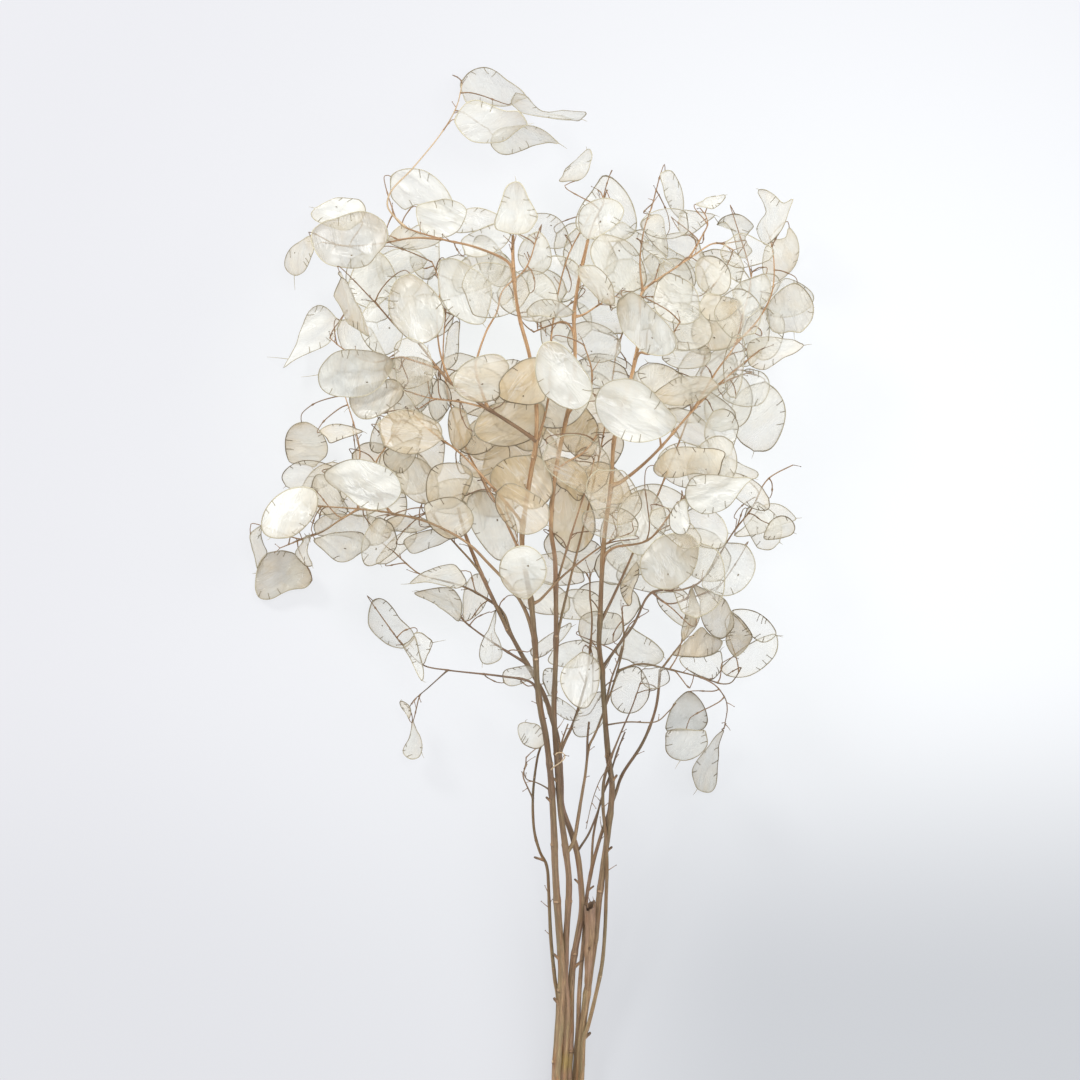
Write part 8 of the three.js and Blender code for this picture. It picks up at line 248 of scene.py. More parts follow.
    (142, "raceme_low_front", [72.92, -88.55, 95.73], [0.448, 0.494, 0.745], [0.332, -0.866, 0.374], 39.66, 30.62, 0.4, "", (652, 676), False, [[62.65, -103.01, 77.99], [62.91, -102, 78.37], [63.13, -100.93, 78.88], [63.36, -99.89, 79.5], [63.64, -98.99, 80.2], [64.03, -98.33, 80.95]]),
    (146, "raceme_inner_centre", [24.6, -43.21, 40.97], [-0.678, 0.279, -0.68], [-0.33, 0.711, 0.621], 39.36, 27.89, 0.4, "h", (577, 605), False, [[33.03, -39.33, 70.91], [33.93, -39.43, 68.47], [36.78, -42.85, 63.34], [38.1, -45.19, 60.81], [39, -48.61, 56.24], [37.94, -48.7, 54.35]]),
    (147, "raceme_front_low", [7.91, -65.91, 63.48], [0.677, 0.361, -0.642], [0.656, -0.691, 0.303], 39.43, 29.94, 0.4, "", (552, 640), False, [[-21.46, -73.39, 73.62], [-19.4, -72.33, 74.55], [-16.62, -72.2, 75.65], [-10.34, -73.16, 77.21], [-7.54, -73.43, 77.14], [-5.43, -73.02, 76.14]]),
    (149, "raceme_lowest_left", [-13.75, -88.41, 80.48], [0.822, 0.389, 0.417], [-0.03, -0.701, 0.713], 24.65, 15.14, 0.4, "s", (519, 675), False, [[-36.65, -87.65, 85.42], [-35.88, -88.79, 82.84], [-34.13, -90.29, 80.17], [-29, -93.03, 75.92], [-26.28, -93.6, 75], [-23.88, -93.2, 75.34]]),
    (151, "raceme_inner_right", [13.93, -111.44, 46.69], [-0.828, 0.376, -0.417], [-0.561, -0.586, 0.585], 27.65, 16.46, 0.4, "s", (561, 708), False, [[48.98, -91.86, 79.84], [44.08, -94.64, 72.86], [40.64, -100.57, 67.66], [35.87, -109.84, 61.18], [31.83, -115.25, 56.93], [25.37, -116.64, 52.45]]),
    (153, "raceme_inner_right", [59.5, -26.15, 84.77], [0.272, 0.717, -0.642], [-0.693, 0.609, 0.386], 39.35, 28.66, 0.4, "", (631, 580), False, [[54.4, -56.02, 89.27], [54.24, -53.79, 90.53], [53.74, -48.95, 94.39], [53.56, -46.51, 96.27], [53.69, -42.07, 98.14], [54.14, -40.25, 97.41]]),
    (20, "raceme_far_left", [-118.01, 129.29, 47.98], [0.678, -0.727, -0.106], [0.521, 0.374, 0.767], 43.71, 30.74, 0.35, "h", (362, 345), False, [[-133.34, 128.55, 73.83], [-134.25, 131.75, 69.62], [-135.59, 138.59, 62.16], [-135.99, 142.94, 57.33], [-135.02, 146.44, 51.85], [-132.84, 145.18, 50.29]]),
    (41, "raceme_back_top", [61.52, 196.48, 53.86], [0.751, -0.433, -0.499], [0.656, 0.396, 0.643], 39.44, 30.13, 0.35, "", (633, 243), False, [[28.48, 207.04, 54.14], [33.16, 207.94, 56.09], [35.61, 207.98, 58], [40.45, 207.36, 62.05], [42.73, 206.75, 63.52], [46.72, 205.02, 63.7]]),
    (47, "raceme_upper_right_inner", [90.46, 188.79, 77.91], [-0.712, -0.176, -0.68], [-0.436, -0.647, 0.625], 39.49, 29.35, 0.35, "h", (678, 252), False, [[106.33, 199.34, 100.34], [106.44, 198.46, 98.31], [106.48, 196.8, 96.37], [106.27, 194.87, 94.53], [105.67, 193.19, 92.85], [104.52, 192.28, 91.33]]),
    (77, "raceme_low_left_rising", [-151.92, 42.27, 57.85], [-0.802, -0.328, -0.499], [-0.046, -0.799, 0.599], 39.69, 30.62, 0.35, "h", (310, 476), False, [[-119.36, 47.37, 78.2], [-121.08, 48.69, 76.74], [-125.81, 50.05, 73.64], [-128.51, 50.18, 72.07], [-133.76, 49.51, 69.09], [-136, 48.78, 67.75]]),
    (106, "raceme_centre_left", [-71.83, 58, 63.86], [-0.239, -0.693, -0.68], [-0.792, -0.266, 0.549], 39.39, 29.79, 0.35, "h", (431, 452), False, [[-79.49, 78.8, 95.96], [-77.44, 78.81, 91.34], [-73.47, 77.79, 86.87], [-71.34, 76.93, 84.74], [-67.92, 74.63, 80.75], [-67.12, 71.65, 77.25]]),
    (116, "raceme_core_rising", [43.77, 36.58, 86.8], [0.827, -0.259, -0.499], [0.561, 0.427, 0.709], 39.35, 30.48, 0.35, "h", (607, 484), False, [[27.37, 25.75, 106.12], [27.38, 28.32, 105.11], [26.29, 34.63, 102.42], [25.76, 37.64, 100.89], [26.08, 41.53, 97.91], [27.5, 41.69, 96.61]]),
    (127, "raceme_far_right", [128.28, 46.95, 54.98], [-0.465, 0.43, -0.774], [0.171, 0.901, 0.399], 39.52, 29.3, 0.35, "h", (734, 469), False, [[144.17, 30.58, 67.17], [143.31, 32.47, 67.77], [141.89, 34.3, 69.02], [140.24, 35.98, 70.29], [138.66, 37.39, 70.92], [137.46, 38.44, 70.27]]),
    (150, "raceme_lowest_left", [5.9, -93.78, 76.83], [0.891, 0.178, -0.417], [0.444, -0.529, 0.723], 24.73, 14.96, 0.35, "s", (549, 683), False, [[-13.04, -90.51, 88.46], [-12.55, -91.82, 86.77], [-11.19, -93.38, 85.3], [-9.28, -94.83, 84.02], [-7.14, -95.82, 82.92], [-5.12, -95.98, 81.98]]),
    (152, "raceme_inner_centre", [51.96, -15.13, 69.12], [0.808, 0.204, -0.553], [0.588, -0.215, 0.78], 39.44, 28.1, 0.35, "h", (619, 563), False, [[32.84, -36.28, 71.11], [32.92, -33.64, 72.33], [32.8, -27.58, 76.38], [32.93, -24.65, 78.43], [34.39, -20.19, 80.64], [36.03, -19.16, 80.02]]),
    (7, "raceme_upper_crossing", [-42.42, 208.21, 89.25], [-0.626, 0.228, -0.745], [-0.281, 0.826, 0.489], 39.59, 28.8, 0.3, "h", (475, 221), False, [[-3.42, 191.29, 111.63], [-6.64, 194.37, 110.14], [-13.71, 198.15, 109.1], [-19.03, 200.16, 108.53], [-26.4, 202.52, 106.64], [-30.02, 203.69, 104]]),
    (15, "raceme_left_upright", [-90.37, 183.38, 61.38], [-0.682, 0.269, -0.68], [-0.267, 0.774, 0.574], 39.62, 28.7, 0.3, "h", (403, 262), False, [[-69.54, 179.36, 79.85], [-70.81, 179.33, 78.75], [-72.35, 178.9, 77.77], [-74, 178.34, 76.83], [-75.56, 177.97, 75.88], [-76.85, 178.06, 74.84]]),
    (25, "raceme_left_level", [-65.37, 94.13, 85.25], [0, -0.767, -0.642], [-0.775, -0.406, 0.485], 39.51, 29.17, 0.3, "", (440, 396), False, [[-63.31, 90.29, 127.71], [-65.11, 94.65, 121.87], [-65.82, 101.12, 115.38], [-65.84, 107.31, 108.82], [-65.55, 110.83, 102.8], [-65.37, 109.28, 97.94]]),
    (26, "raceme_left_upright", [-57.18, 126.71, 100.91], [-0.262, -0.72, -0.642], [-0.943, 0.051, 0.328], 39.51, 27.68, 0.3, "", (452, 345), False, [[-66.26, 148.17, 115.64], [-63.72, 147.99, 114.78], [-60.49, 147.21, 114.62], [-54.24, 144.43, 114.91], [-52.34, 142.71, 114.64], [-52, 140.94, 113.59]]),
    (32, "raceme_middle_left", [-3.24, 158.17, 107.11], [-0.18, 0.882, -0.436], [0.041, 0.45, 0.892], 39.49, 29.21, 0.3, "h", (535, 296), False, [[1.45, 136.48, 122.56], [1.04, 136.95, 121.1], [0.81, 137.62, 119.5], [0.66, 138.49, 117.95], [0.53, 139.54, 116.63], [0.32, 140.76, 115.72]]),
    (36, "raceme_middle_right", [53.11, 165.81, 109.21], [0.326, 0.839, -0.436], [0.026, 0.453, 0.891], 39.53, 30.61, 0.3, "h", (622, 284), False, [[43.27, 153.7, 136.74], [44.36, 153.3, 134.26], [45.34, 150.53, 128.02], [45.52, 149.02, 124.79], [46.04, 147.94, 119.42], [46.67, 149.23, 117.83]]),
    (45, "raceme_upper_right_inner", [81.78, 201.9, 144.29], [-0.612, 0.264, 0.745], [0.2, -0.86, 0.469], 39.63, 30.05, 0.3, "h", (668, 224), False, [[101.27, 190.33, 110.51], [100.48, 193.42, 114.15], [99.78, 194.32, 116.66], [97.85, 195.38, 122.25], [96.66, 195.75, 124.98], [93.92, 196.67, 129.52]]),
    (48, "raceme_upper_right_rising", [73.48, 184.03, 144.04], [0.562, -0.471, 0.68], [0.35, 0.88, 0.321], 39.58, 30.18, 0.3, "", (655, 252), False, [[65.5, 190.82, 118.67], [64.72, 192.43, 120.47], [63.51, 193.55, 123.03], [62.37, 194.12, 125.89], [61.82, 194.07, 128.56], [62.37, 193.36, 130.59]]),
    (49, "raceme_upper_right", [72.94, 169.98, 94.92], [-0.337, 0.575, -0.745], [-0.848, 0.159, 0.506], 39.55, 27.78, 0.3, "h", (652, 279), False, [[63.97, 154.33, 131.68], [66.87, 156.2, 128.33], [70.96, 156.7, 124.27], [77.04, 156.54, 117.64], [79.55, 156.93, 113.38], [79.61, 158.61, 109.66]]),
    (62, "raceme_right_edge", [142.23, 136.99, 78.23], [0.162, -0.647, -0.745], [0.755, -0.405, 0.515], 39.69, 29.09, 0.3, "h", (757, 331), False, [[145.86, 149.63, 101.09], [144.78, 150.37, 99.42], [142.95, 150.87, 97.75], [140.97, 151.03, 96.1], [139.46, 150.72, 94.51], [139.02, 149.82, 93.03]]),
    (90, "raceme_low_left_tip", [-154.31, -7.88, 73.4], [0.21, -0.703, 0.68], [-0.919, 0.096, 0.383], 39.92, 28.02, 0.3, "", (305, 552), False, [[-166.94, -2.98, 43.45], [-165.9, 1.03, 47.1], [-164.71, 3.11, 49.28], [-161.81, 6.4, 53.86], [-160.41, 7.21, 56.06], [-158.51, 6.14, 59.83]]),
    (99, "raceme_front_low", [-43.69, -38.4, 51.98], [0.413, 0.523, -0.745], [0.902, -0.122, 0.414], 39.62, 29.75, 0.3, "h", (474, 598), False, [[-48.79, -54.27, 71.36], [-49.7, -53.17, 70.66], [-50.72, -51.96, 69.8], [-51.58, -50.75, 68.84], [-52.05, -49.65, 67.8], [-51.87, -48.76, 66.75]]),
    (29, "raceme_upper_crossing", [-25.35, 169.01, 99.85], [-0.377, 0.629, -0.68], [-0.826, 0.104, 0.554], 39.65, 29.72, 0.25, "h", (501, 280), False, [[-20.74, 164, 129.72], [-19.68, 163.46, 127.48], [-17.91, 160.06, 122.4], [-17.34, 158.09, 119.81], [-17.25, 155.88, 115.15], [-17.87, 156.54, 113.33]]),
    (31, "raceme_back_top", [10.54, 172.58, 65.25], [-0.84, 0.322, -0.436], [-0.353, 0.285, 0.891], 39.65, 30.7, 0.25, "h", (556, 278), False, [[8.82, 143.75, 102.26], [12.55, 148.35, 97.55], [20.36, 154.5, 90.07], [25.98, 158.78, 84.31], [29.66, 163.59, 77.54], [27.2, 166.19, 73.89]]),
    (27, "raceme_upper_left", [-34.19, 193.53, 119.58], [0.686, 0.53, -0.499], [-0.121, 0.759, 0.639], 39.82, 28.79, 0.2, "h", (487, 240), False, [[-54.73, 190.54, 141.78], [-54.64, 189.35, 139.44], [-53.92, 187.44, 137.09], [-51.21, 183.53, 132.74], [-49.54, 182.57, 130.94], [-47.85, 182.98, 129.52]]),
    (28, "raceme_upper_crossing", [-31.12, 180.21, 107.03], [-0.62, 0.557, -0.553], [-0.773, -0.311, 0.553], 39.81, 29.99, 0.2, "h", (492, 262), False, [[-16.24, 167.92, 126.83], [-16.18, 168.31, 125.1], [-16.46, 168.36, 123.09], [-17.03, 168.34, 121.07], [-17.82, 168.5, 119.29], [-18.79, 169.12, 118.03]]),
    (39, "raceme_back_top", [33.22, 190.03, 42.24], [0.773, -0.581, -0.256], [0.118, -0.265, 0.957], 39.81, 32.16, 0.2, "h", (590, 254), False, [[21.09, 192.65, 67.12], [20.01, 196.15, 61.98], [18.87, 198.12, 58.92], [16.72, 201.42, 52.91], [16.25, 202.32, 50.38], [17.84, 201.59, 47.34]]),
    (216, "raceme_core_rising", [35.77, 32.65, 42.15], [0.582, -0.658, -0.478], [0.199, -0.454, 0.868], 43.08, 32.27, 0.59, "f", (594, 491), False, [[35.07, 51.96, 101.87], [33, 54.97, 93.23], [27.73, 56.17, 80.21], [23.47, 55.16, 69.63], [20.93, 51.53, 58.33], [23.22, 46.82, 52.44]]),
    (239, "raceme_right_rising", [114.4, 108.39, 67.95], [-0.455, -0.827, -0.331], [0.453, -0.535, 0.714], 41.14, 30.08, 0.58, "f", (714, 375), False, [[134.06, 153.69, 97.43], [133.13, 151.15, 91.54], [131.67, 146.34, 86.37], [128.99, 137.94, 80.65], [126.53, 131.31, 77.29], [123.77, 125.39, 74.75]]),
    (220, "raceme_core", [19.01, 72.63, 88.81], [-0.904, 0.275, -0.327], [-0.255, 0.266, 0.93], 41.48, 30.56, 0.58, "f", (569, 429), False, [[36.05, 66.94, 124.88], [37.79, 68.16, 120.4], [40.41, 67.89, 111.66], [41.43, 67.11, 105.63], [40.61, 66.35, 98.25], [37.76, 66.91, 95.58]]),
    (240, "raceme_right_edge", [126.89, 142.89, 159.62], [-0.584, 0.583, 0.566], [0.462, -0.335, 0.821], 37.2, 28.9, 0.57, "f", (740, 315), False, [[136.83, 137.2, 108.08], [139.64, 137.93, 114.42], [141.92, 135.17, 125.28], [142.32, 132.29, 133.87], [140.74, 130.25, 143.95], [137.75, 132.06, 149.1]]),
    (219, "raceme_centre_left", [-39.33, 70.35, 104.88], [0.806, 0.445, 0.39], [-0.511, 0.191, 0.838], 40.25, 30.46, 0.56, "f", (479, 432), False, [[-70.61, 70.51, 103.39], [-69.29, 69.62, 101.33], [-65.15, 65.8, 98.08], [-62.66, 63.68, 97.03], [-57.7, 61.07, 96.44], [-55.56, 61.39, 97.04]]),
    (218, "raceme_long_left", [-14.37, 81.02, 124.48], [0.79, -0.404, -0.462], [0.316, -0.377, 0.871], 37.88, 28.47, 0.5, "f", (518, 414), False, [[-38.16, 87.2, 141.35], [-37.3, 88.33, 139.57], [-35.64, 89.07, 137.74], [-33.52, 89.41, 135.99], [-31.29, 89.29, 134.44], [-29.33, 88.67, 133.23]]),
    (217, "raceme_core", [24.02, 49.67, 141.75], [0.794, -0.512, -0.326], [0.074, -0.451, 0.889], 47.35, 33.83, 0.5, "f", (578, 462), False, [[34.46, 64.53, 125.17], [29.12, 67.36, 130.55], [20.61, 68.27, 137.17], [9.15, 67.07, 145.42], [4.11, 64.83, 149.26], [5.21, 61.8, 149.46]]),
    (238, "raceme_front_right", [90.23, 137.57, 126.37], [0.845, 0.11, -0.523], [0.428, 0.449, 0.785], 46.96, 34.65, 0.49, "f", (680, 326), False, [[67, 120.25, 136.88], [68.06, 122.89, 138.06], [68.3, 126.59, 139.05], [68.34, 130.45, 139.64], [68.83, 133.54, 139.58], [70.4, 134.98, 138.66]]),
    (221, "raceme_back_left", [-19.52, 50.42, 77.53], [0.865, 0.476, -0.157], [-0.114, 0.491, 0.864], 44.35, 32.48, 0.44, "f", (510, 463), False, [[-36.45, 37.87, 100.98], [-38.31, 38.93, 95.86], [-39.35, 38.94, 92.69], [-40.77, 38.68, 86.42], [-40.81, 38.71, 83.83], [-38.7, 39.85, 81.02]]),
    (237, "raceme_long_right", [97.52, 73.07, 94.18], [0.698, -0.599, -0.393], [-0.266, -0.726, 0.634], 38.88, 27.47, 0.41, "f", (690, 428), False, [[86.07, 69.16, 119.38], [85.94, 73.9, 115.94], [84.28, 79.37, 111.4], [83.38, 81.83, 109.03], [82.44, 85.1, 104.72], [83.96, 84.7, 101.82]]),
    (258, "raceme_back_top", [-5.19, 162.25, 75.61], [-0.946, 0.01, -0.324], [-0.284, 0.453, 0.845], 48.26, 36.99, 0.33, "f", (532, 293), False, [[16.53, 180.68, 76.97], [17.78, 178.05, 77.02], [19.93, 171.19, 79.57], [20.46, 167.74, 81.29], [19.5, 162.75, 83.61], [17.64, 162, 83.43]]),
    (253, "raceme_upper_crossing", [-28.4, 159.16, 145.37], [-0.888, 0.032, 0.46], [0.449, -0.163, 0.878], 48.45, 35.03, 0.33, "f", (496, 291), False, [[-8.21, 176.78, 120.43], [-5.37, 173.05, 123.21], [-3.64, 167.62, 126.57], [-3.31, 164.83, 128.32], [-4.02, 160.22, 131.61], [-6.89, 158.39, 134.23]]),
    (210, "raceme_back_centre", [40.66, 84.68, 52.48], [-0.823, 0.308, -0.477], [-0.316, 0.45, 0.836], 43.75, 33.83, 0.32, "f", (601, 412), False, [[39.93, 60.15, 72.02], [43.59, 63.87, 70.46], [49.06, 67.73, 68.96], [57.04, 73.11, 66.63], [59.83, 75.99, 64.9], [58.66, 77.94, 62.91]]),
    (270, "raceme_inner_right", [44.34, -42.84, 32.07], [-0.978, 0.112, -0.177], [-0.096, 0.513, 0.853], 45.99, 35.36, 0.3, "f", (606, 604), False, [[54.84, -62.08, 87.66], [58.86, -55.26, 78.31], [65.37, -50.79, 64.96], [70.01, -48.48, 53.76], [72.12, -46.65, 42.05], [66.83, -45.4, 36.14]]),
    (268, "raceme_core_rising", [22.66, -7.96, 51.32], [0.763, -0.516, -0.388], [-0.129, -0.711, 0.691], 44.97, 34.29, 0.3, "f", (574, 552), False, [[17.37, -6.05, 107.54], [15.09, -0.6, 99.47], [10.27, 3.69, 88.92], [4.25, 6.66, 75.09], [2.32, 6.53, 65.79], [5.5, 3.66, 60.06]]),
    (215, "raceme_back_left", [-30.18, 30.78, 67.2], [0.905, 0.222, -0.362], [0.252, 0.404, 0.879], 44.76, 34.56, 0.29, "f", (494, 493), False, [[-33.37, 32.68, 103.15], [-38.76, 32.68, 97.26], [-45.48, 30.38, 90.16], [-49.43, 28.41, 85.41], [-52.68, 26.02, 79.21], [-50.45, 25.8, 75.3]]),
    (206, "raceme_back_centre", [31.41, 98.37, 28.34], [-0.891, 0.136, -0.432], [-0.377, 0.308, 0.874], 42.93, 31.21, 0.29, "f", (587, 393), False, [[47.32, 102.39, 52.66], [48.27, 102.14, 50.02], [49.67, 100.83, 47.09], [51.97, 97.14, 41.41], [51.95, 95.78, 39.16], [50.54, 95.45, 37.62]]),
    (265, "raceme_far_right", [146.75, 9.43, 57.68], [0.588, -0.577, -0.567], [0.68, -0.027, 0.733], 38.16, 27.62, 0.29, "f", (762, 526), False, [[128.84, 7.95, 76.56], [129.96, 10.37, 75.45], [131, 13.48, 74.18], [133.05, 19.29, 71.37], [134.2, 20.76, 69.91], [135.53, 20.44, 68.5]]),
    (201, "raceme_back_centre", [-8.15, 62.43, 67], [-0.869, 0.388, -0.308], [-0.177, 0.338, 0.925], 45.84, 34.06, 0.28, "f", (528, 445), False, [[37.52, 48.28, 76.56], [33.89, 50.48, 75.76], [29.16, 51.49, 75.48], [21.2, 51.97, 75.34], [16.09, 52.39, 74.98], [11.76, 53.53, 74.05]]),
    (214, "raceme_core_rising", [39.18, 60.29, 53.91], [0.42, 0.792, -0.443], [0.161, 0.415, 0.895], 39.98, 28.54, 0.27, "f", (599, 449), False, [[28.31, 28.63, 105.75], [28.99, 33.04, 97.69], [28.55, 35.36, 87.11], [28.17, 36.71, 78.83], [28.49, 39.35, 69.06], [30.78, 44.45, 62.76]]),
    (262, "raceme_crossing_right", [74.5, 20.78, 69.3], [0.994, 0.06, -0.096], [0.071, 0.327, 0.942], 47.47, 33.97, 0.26, "f", (653, 508), False, [[49.72, 2.15, 93.5], [50.04, 5.55, 89.46], [49.06, 9.54, 84.46], [47.5, 15.3, 77], [47.98, 18.1, 73.29], [50.92, 19.35, 71.58]]),
    (236, "raceme_right_short", [124.74, 91.76, 53.94], [-0.119, -0.896, 0.427], [-0.05, 0.435, 0.899], 43.84, 31.27, 0.26, "f", (729, 401), False, [[140.77, 111.55, 43.55], [138.21, 112, 42.54], [134.82, 112.67, 42.35], [131.38, 113.11, 42.77], [128.64, 112.84, 43.58], [127.36, 111.41, 44.59]]),
    (203, "raceme_back_top", [3.36, 91.85, 81.43], [-0.653, -0.588, -0.477], [0.003, -0.632, 0.775], 42.72, 30.54, 0.25, "f", (545, 400), False, [[6.57, 116.21, 116.3], [8.73, 116.34, 111.92], [13.54, 114.13, 104.82], [16.56, 111.62, 100.21], [18.71, 107.21, 94.34], [17.31, 104.41, 91.62]]),
    (277, "raceme_low_left_inner", [-106.93, 46.13, 38.35], [0.735, -0.479, -0.48], [0.47, -0.151, 0.87], 47.49, 33.87, 0.25, "f", (379, 471), False, [[-107.38, 50.07, 87.23], [-111.36, 55.02, 79.46], [-116.48, 57.83, 72.27], [-123.21, 59.92, 62.4], [-126.17, 59.95, 55.84], [-124.37, 57.52, 49.75]]),
    (272, "raceme_left_end", [-89.07, 45.72, 39.15], [-0.798, 0.578, 0.169], [0.209, 0.002, 0.978], 40.63, 29.06, 0.25, "f", (406, 471), False, [[-68.33, 13.47, 81.72], [-69.62, 18.52, 73.44], [-68.79, 22.3, 61.77], [-67.46, 26.27, 46.88], [-68.34, 29.66, 38.26], [-72.85, 33.98, 35.71]]),
    (225, "raceme_right_rising", [141.15, 161.54, 69.27], [0.816, 0.385, -0.431], [0.578, -0.562, 0.592], 40.98, 29.61, 0.24, "f", (755, 294), False, [[133.13, 150.68, 99.4], [131.01, 152.09, 94.62], [127.26, 152.41, 89.02], [125.43, 152.41, 86.23], [123.14, 152.58, 81.31], [124.43, 153.66, 78.11]]),
    (244, "raceme_centre_left", [-82.51, 91.27, 26.05], [0.834, 0.273, -0.479], [0.506, -0.034, 0.862], 47.7, 35.19, 0.23, "f", (417, 403), False, [[-83.45, 83.45, 92.1], [-89.84, 85.17, 81.64], [-97.7, 84.84, 68.99], [-104.26, 83.79, 56.11], [-106.75, 83.33, 44.96], [-102.41, 84.77, 37.48]]),
    (255, "raceme_left_upright", [-40.07, 176.07, 72.77], [0.859, 0.237, -0.453], [0.5, -0.577, 0.646], 41.26, 31.08, 0.22, "f", (479, 272), False, [[-66.98, 173.32, 87.86], [-65.63, 173.25, 86.35], [-63.82, 172.6, 85.09], [-61.76, 171.77, 84], [-59.68, 171.16, 83.03], [-57.8, 171.18, 82.13]]),
    (248, "raceme_far_left", [-102.07, 139.26, 96.35], [-0.434, 0.717, -0.546], [-0.478, 0.33, 0.814], 44.46, 32.03, 0.22, "f", (383, 326), False, [[-101.21, 115.63, 117.04], [-99.98, 116.76, 114.84], [-97.43, 118.15, 112.98], [-94.6, 119.74, 111.37], [-92.57, 121.49, 109.9], [-92.41, 123.33, 108.49]]),
    (267, "raceme_inner_centre", [10.46, -18.97, 59.43], [-0.848, 0.047, -0.529], [-0.435, -0.633, 0.64], 41.51, 29.96, 0.22, "f", (556, 569), False, [[32.78, -27.13, 71.72], [32.17, -25.45, 71.65], [31.38, -23.58, 71.58], [30.43, -21.82, 71.41], [29.31, -20.51, 71.05], [28.06, -19.95, 70.4]]),
    (264, "raceme_lower_right", [107.12, -10.2, 61.23], [-0.459, 0.723, -0.517], [0.003, 0.583, 0.812], 46.85, 33.31, 0.21, "f", (702, 555), False, [[103.72, -36.47, 74.71], [106.39, -35.28, 74.13], [109.78, -33.9, 74.09], [116.18, -30.7, 74.45], [117.93, -28.95, 74.23], [117.87, -27.13, 73.34]]),
    (226, "raceme_upper_right", [84.39, 179.47, 73.67], [-0.628, 0.765, 0.142], [-0.528, -0.553, 0.644], 44.86, 34.13, 0.21, "f", (669, 267), False, [[125.72, 188.91, 94.3], [123.1, 181.28, 87.42], [117.48, 171.79, 80.35], [112.18, 165.38, 75.7], [104.83, 160.36, 71.41], [98.49, 162.31, 70.49]]),
    (246, "raceme_low_left_inner", [-83.74, 69.15, 133.85], [0.911, -0.221, 0.349], [-0.213, 0.472, 0.855], 45.79, 32.29, 0.2, "f", (409, 432), False, [[-101.17, 60.16, 85.59], [-101.82, 66.06, 93.49], [-104.34, 69.78, 101.49], [-107.76, 73.35, 112.67], [-108.55, 74.68, 119.93], [-104.59, 74.22, 125.87]]),
    (266, "raceme_back_right", [97.14, 48.55, 50.89], [0.86, 0.043, -0.509], [0.432, 0.469, 0.77], 45.37, 34.64, 0.19, "f", (687, 467), False, [[81.71, 40.49, 78.54], [81.28, 42.02, 76.53], [78.7, 44.73, 71.39], [77.33, 45.83, 68.67], [76.41, 47.29, 63.99], [77.65, 47.57, 62.43]]),
    (245, "raceme_left_level", [-80.86, 107.36, 152.65], [-0.051, 0.948, 0.315], [-0.677, -0.264, 0.687], 45.08, 33.18, 0.19, "f", (413, 371), False, [[-66.34, 90.73, 125.08], [-70.41, 89.28, 127.86], [-74, 86.71, 132.6], [-76.89, 84.39, 138], [-78.86, 83.7, 142.75], [-79.72, 86, 145.56]]),
    (205, "raceme_back_left", [-42.44, 98.26, 55.61], [0.964, -0.193, 0.185], [-0.242, -0.34, 0.909], 44.48, 34.48, 0.19, "f", (476, 391), False, [[-64.19, 121.95, 49.01], [-64.47, 119.44, 48.01], [-65.85, 112.67, 48.21], [-66.37, 109.16, 48.99], [-65.67, 103.73, 50.84], [-63.87, 102.55, 51.5]]),
    (224, "raceme_long_right", [148.74, 136.86, 52.66], [0.437, 0.692, -0.575], [0.6, 0.252, 0.759], 42, 29.76, 0.18, "f", (765, 333), False, [[126.52, 110.12, 103.26], [130.12, 112.91, 95.43], [132.17, 114.23, 88.23], [134.55, 115.94, 78.25], [136.42, 117.88, 71.46], [139.57, 122.33, 64.73]]),
    (273, "raceme_low_left_long", [-102.84, 20.1, 25.49], [-0.142, 0.784, -0.604], [-0.4, 0.513, 0.76], 40.34, 29.4, 0.17, "f", (386, 510), False, [[-115.95, 20.06, 80.15], [-115.6, 16.12, 71.38], [-111.43, 9.89, 61.87], [-105.84, 4.04, 52.5], [-101.22, 1.28, 44.14], [-99.97, 4.28, 37.68]]),
    (276, "raceme_low_left_long", [-142.71, 34.94, 26.13], [0.145, 0.792, -0.592], [-0.135, 0.609, 0.782], 45.03, 33.62, 0.16, "f", (327, 488), False, [[-140.56, 21.95, 70.21], [-143.61, 20.09, 63.52], [-145.02, 17.99, 58.16], [-146.23, 15.22, 49.92], [-146.46, 14.59, 44.96], [-145.98, 17.09, 39.47]]),
    (230, "raceme_back_right", [92.52, 140.37, 30.93], [-0.986, 0.136, -0.093], [-0.105, -0.079, 0.991], 37.51, 28.11, 0.16, "f", (679, 330), False, [[113.27, 134.12, 32.17], [113.04, 134.97, 32.16], [112.71, 135.92, 32.3], [112.28, 136.81, 32.5], [111.72, 137.49, 32.66], [111.02, 137.82, 32.69]]),
    (213, "raceme_crossing_right", [47.29, 27.74, 138.51], [-0.526, 0.783, 0.331], [0.076, -0.345, 0.936], 41.82, 29.97, 0.15, "f", (614, 497), False, [[44.89, -1.42, 97.18], [49.82, 1.29, 101.91], [54.5, 2.95, 109.28], [59, 4.93, 120.33], [60.07, 7.31, 127.4], [58.29, 11.37, 131.58]]),
    (261, "raceme_crossing_right", [54.37, -3.64, 50.01], [0.496, -0.827, -0.263], [0.679, 0.181, 0.712], 48.05, 34.65, 0.15, "f", (622, 545), False, [[53.55, 6.81, 89.47], [51.97, 10.69, 82.66], [48.19, 15.01, 74.54], [44.09, 18.32, 66.5], [41.55, 19.21, 59.96], [42.44, 16.23, 56.33]]),
    (200, "raceme_crossing_right", [45.47, 10.99, 142.33], [-0.764, 0.376, 0.524], [0.063, -0.765, 0.641], 41.03, 29.36, 0.14, "f", (611, 523), False, [[42.25, -2.87, 98.87], [48.3, -1.08, 103.12], [54.74, -0.19, 109.7], [61.54, 0.56, 119.82], [63.47, 1.47, 126.72], [61.14, 3.28, 131.57]]),
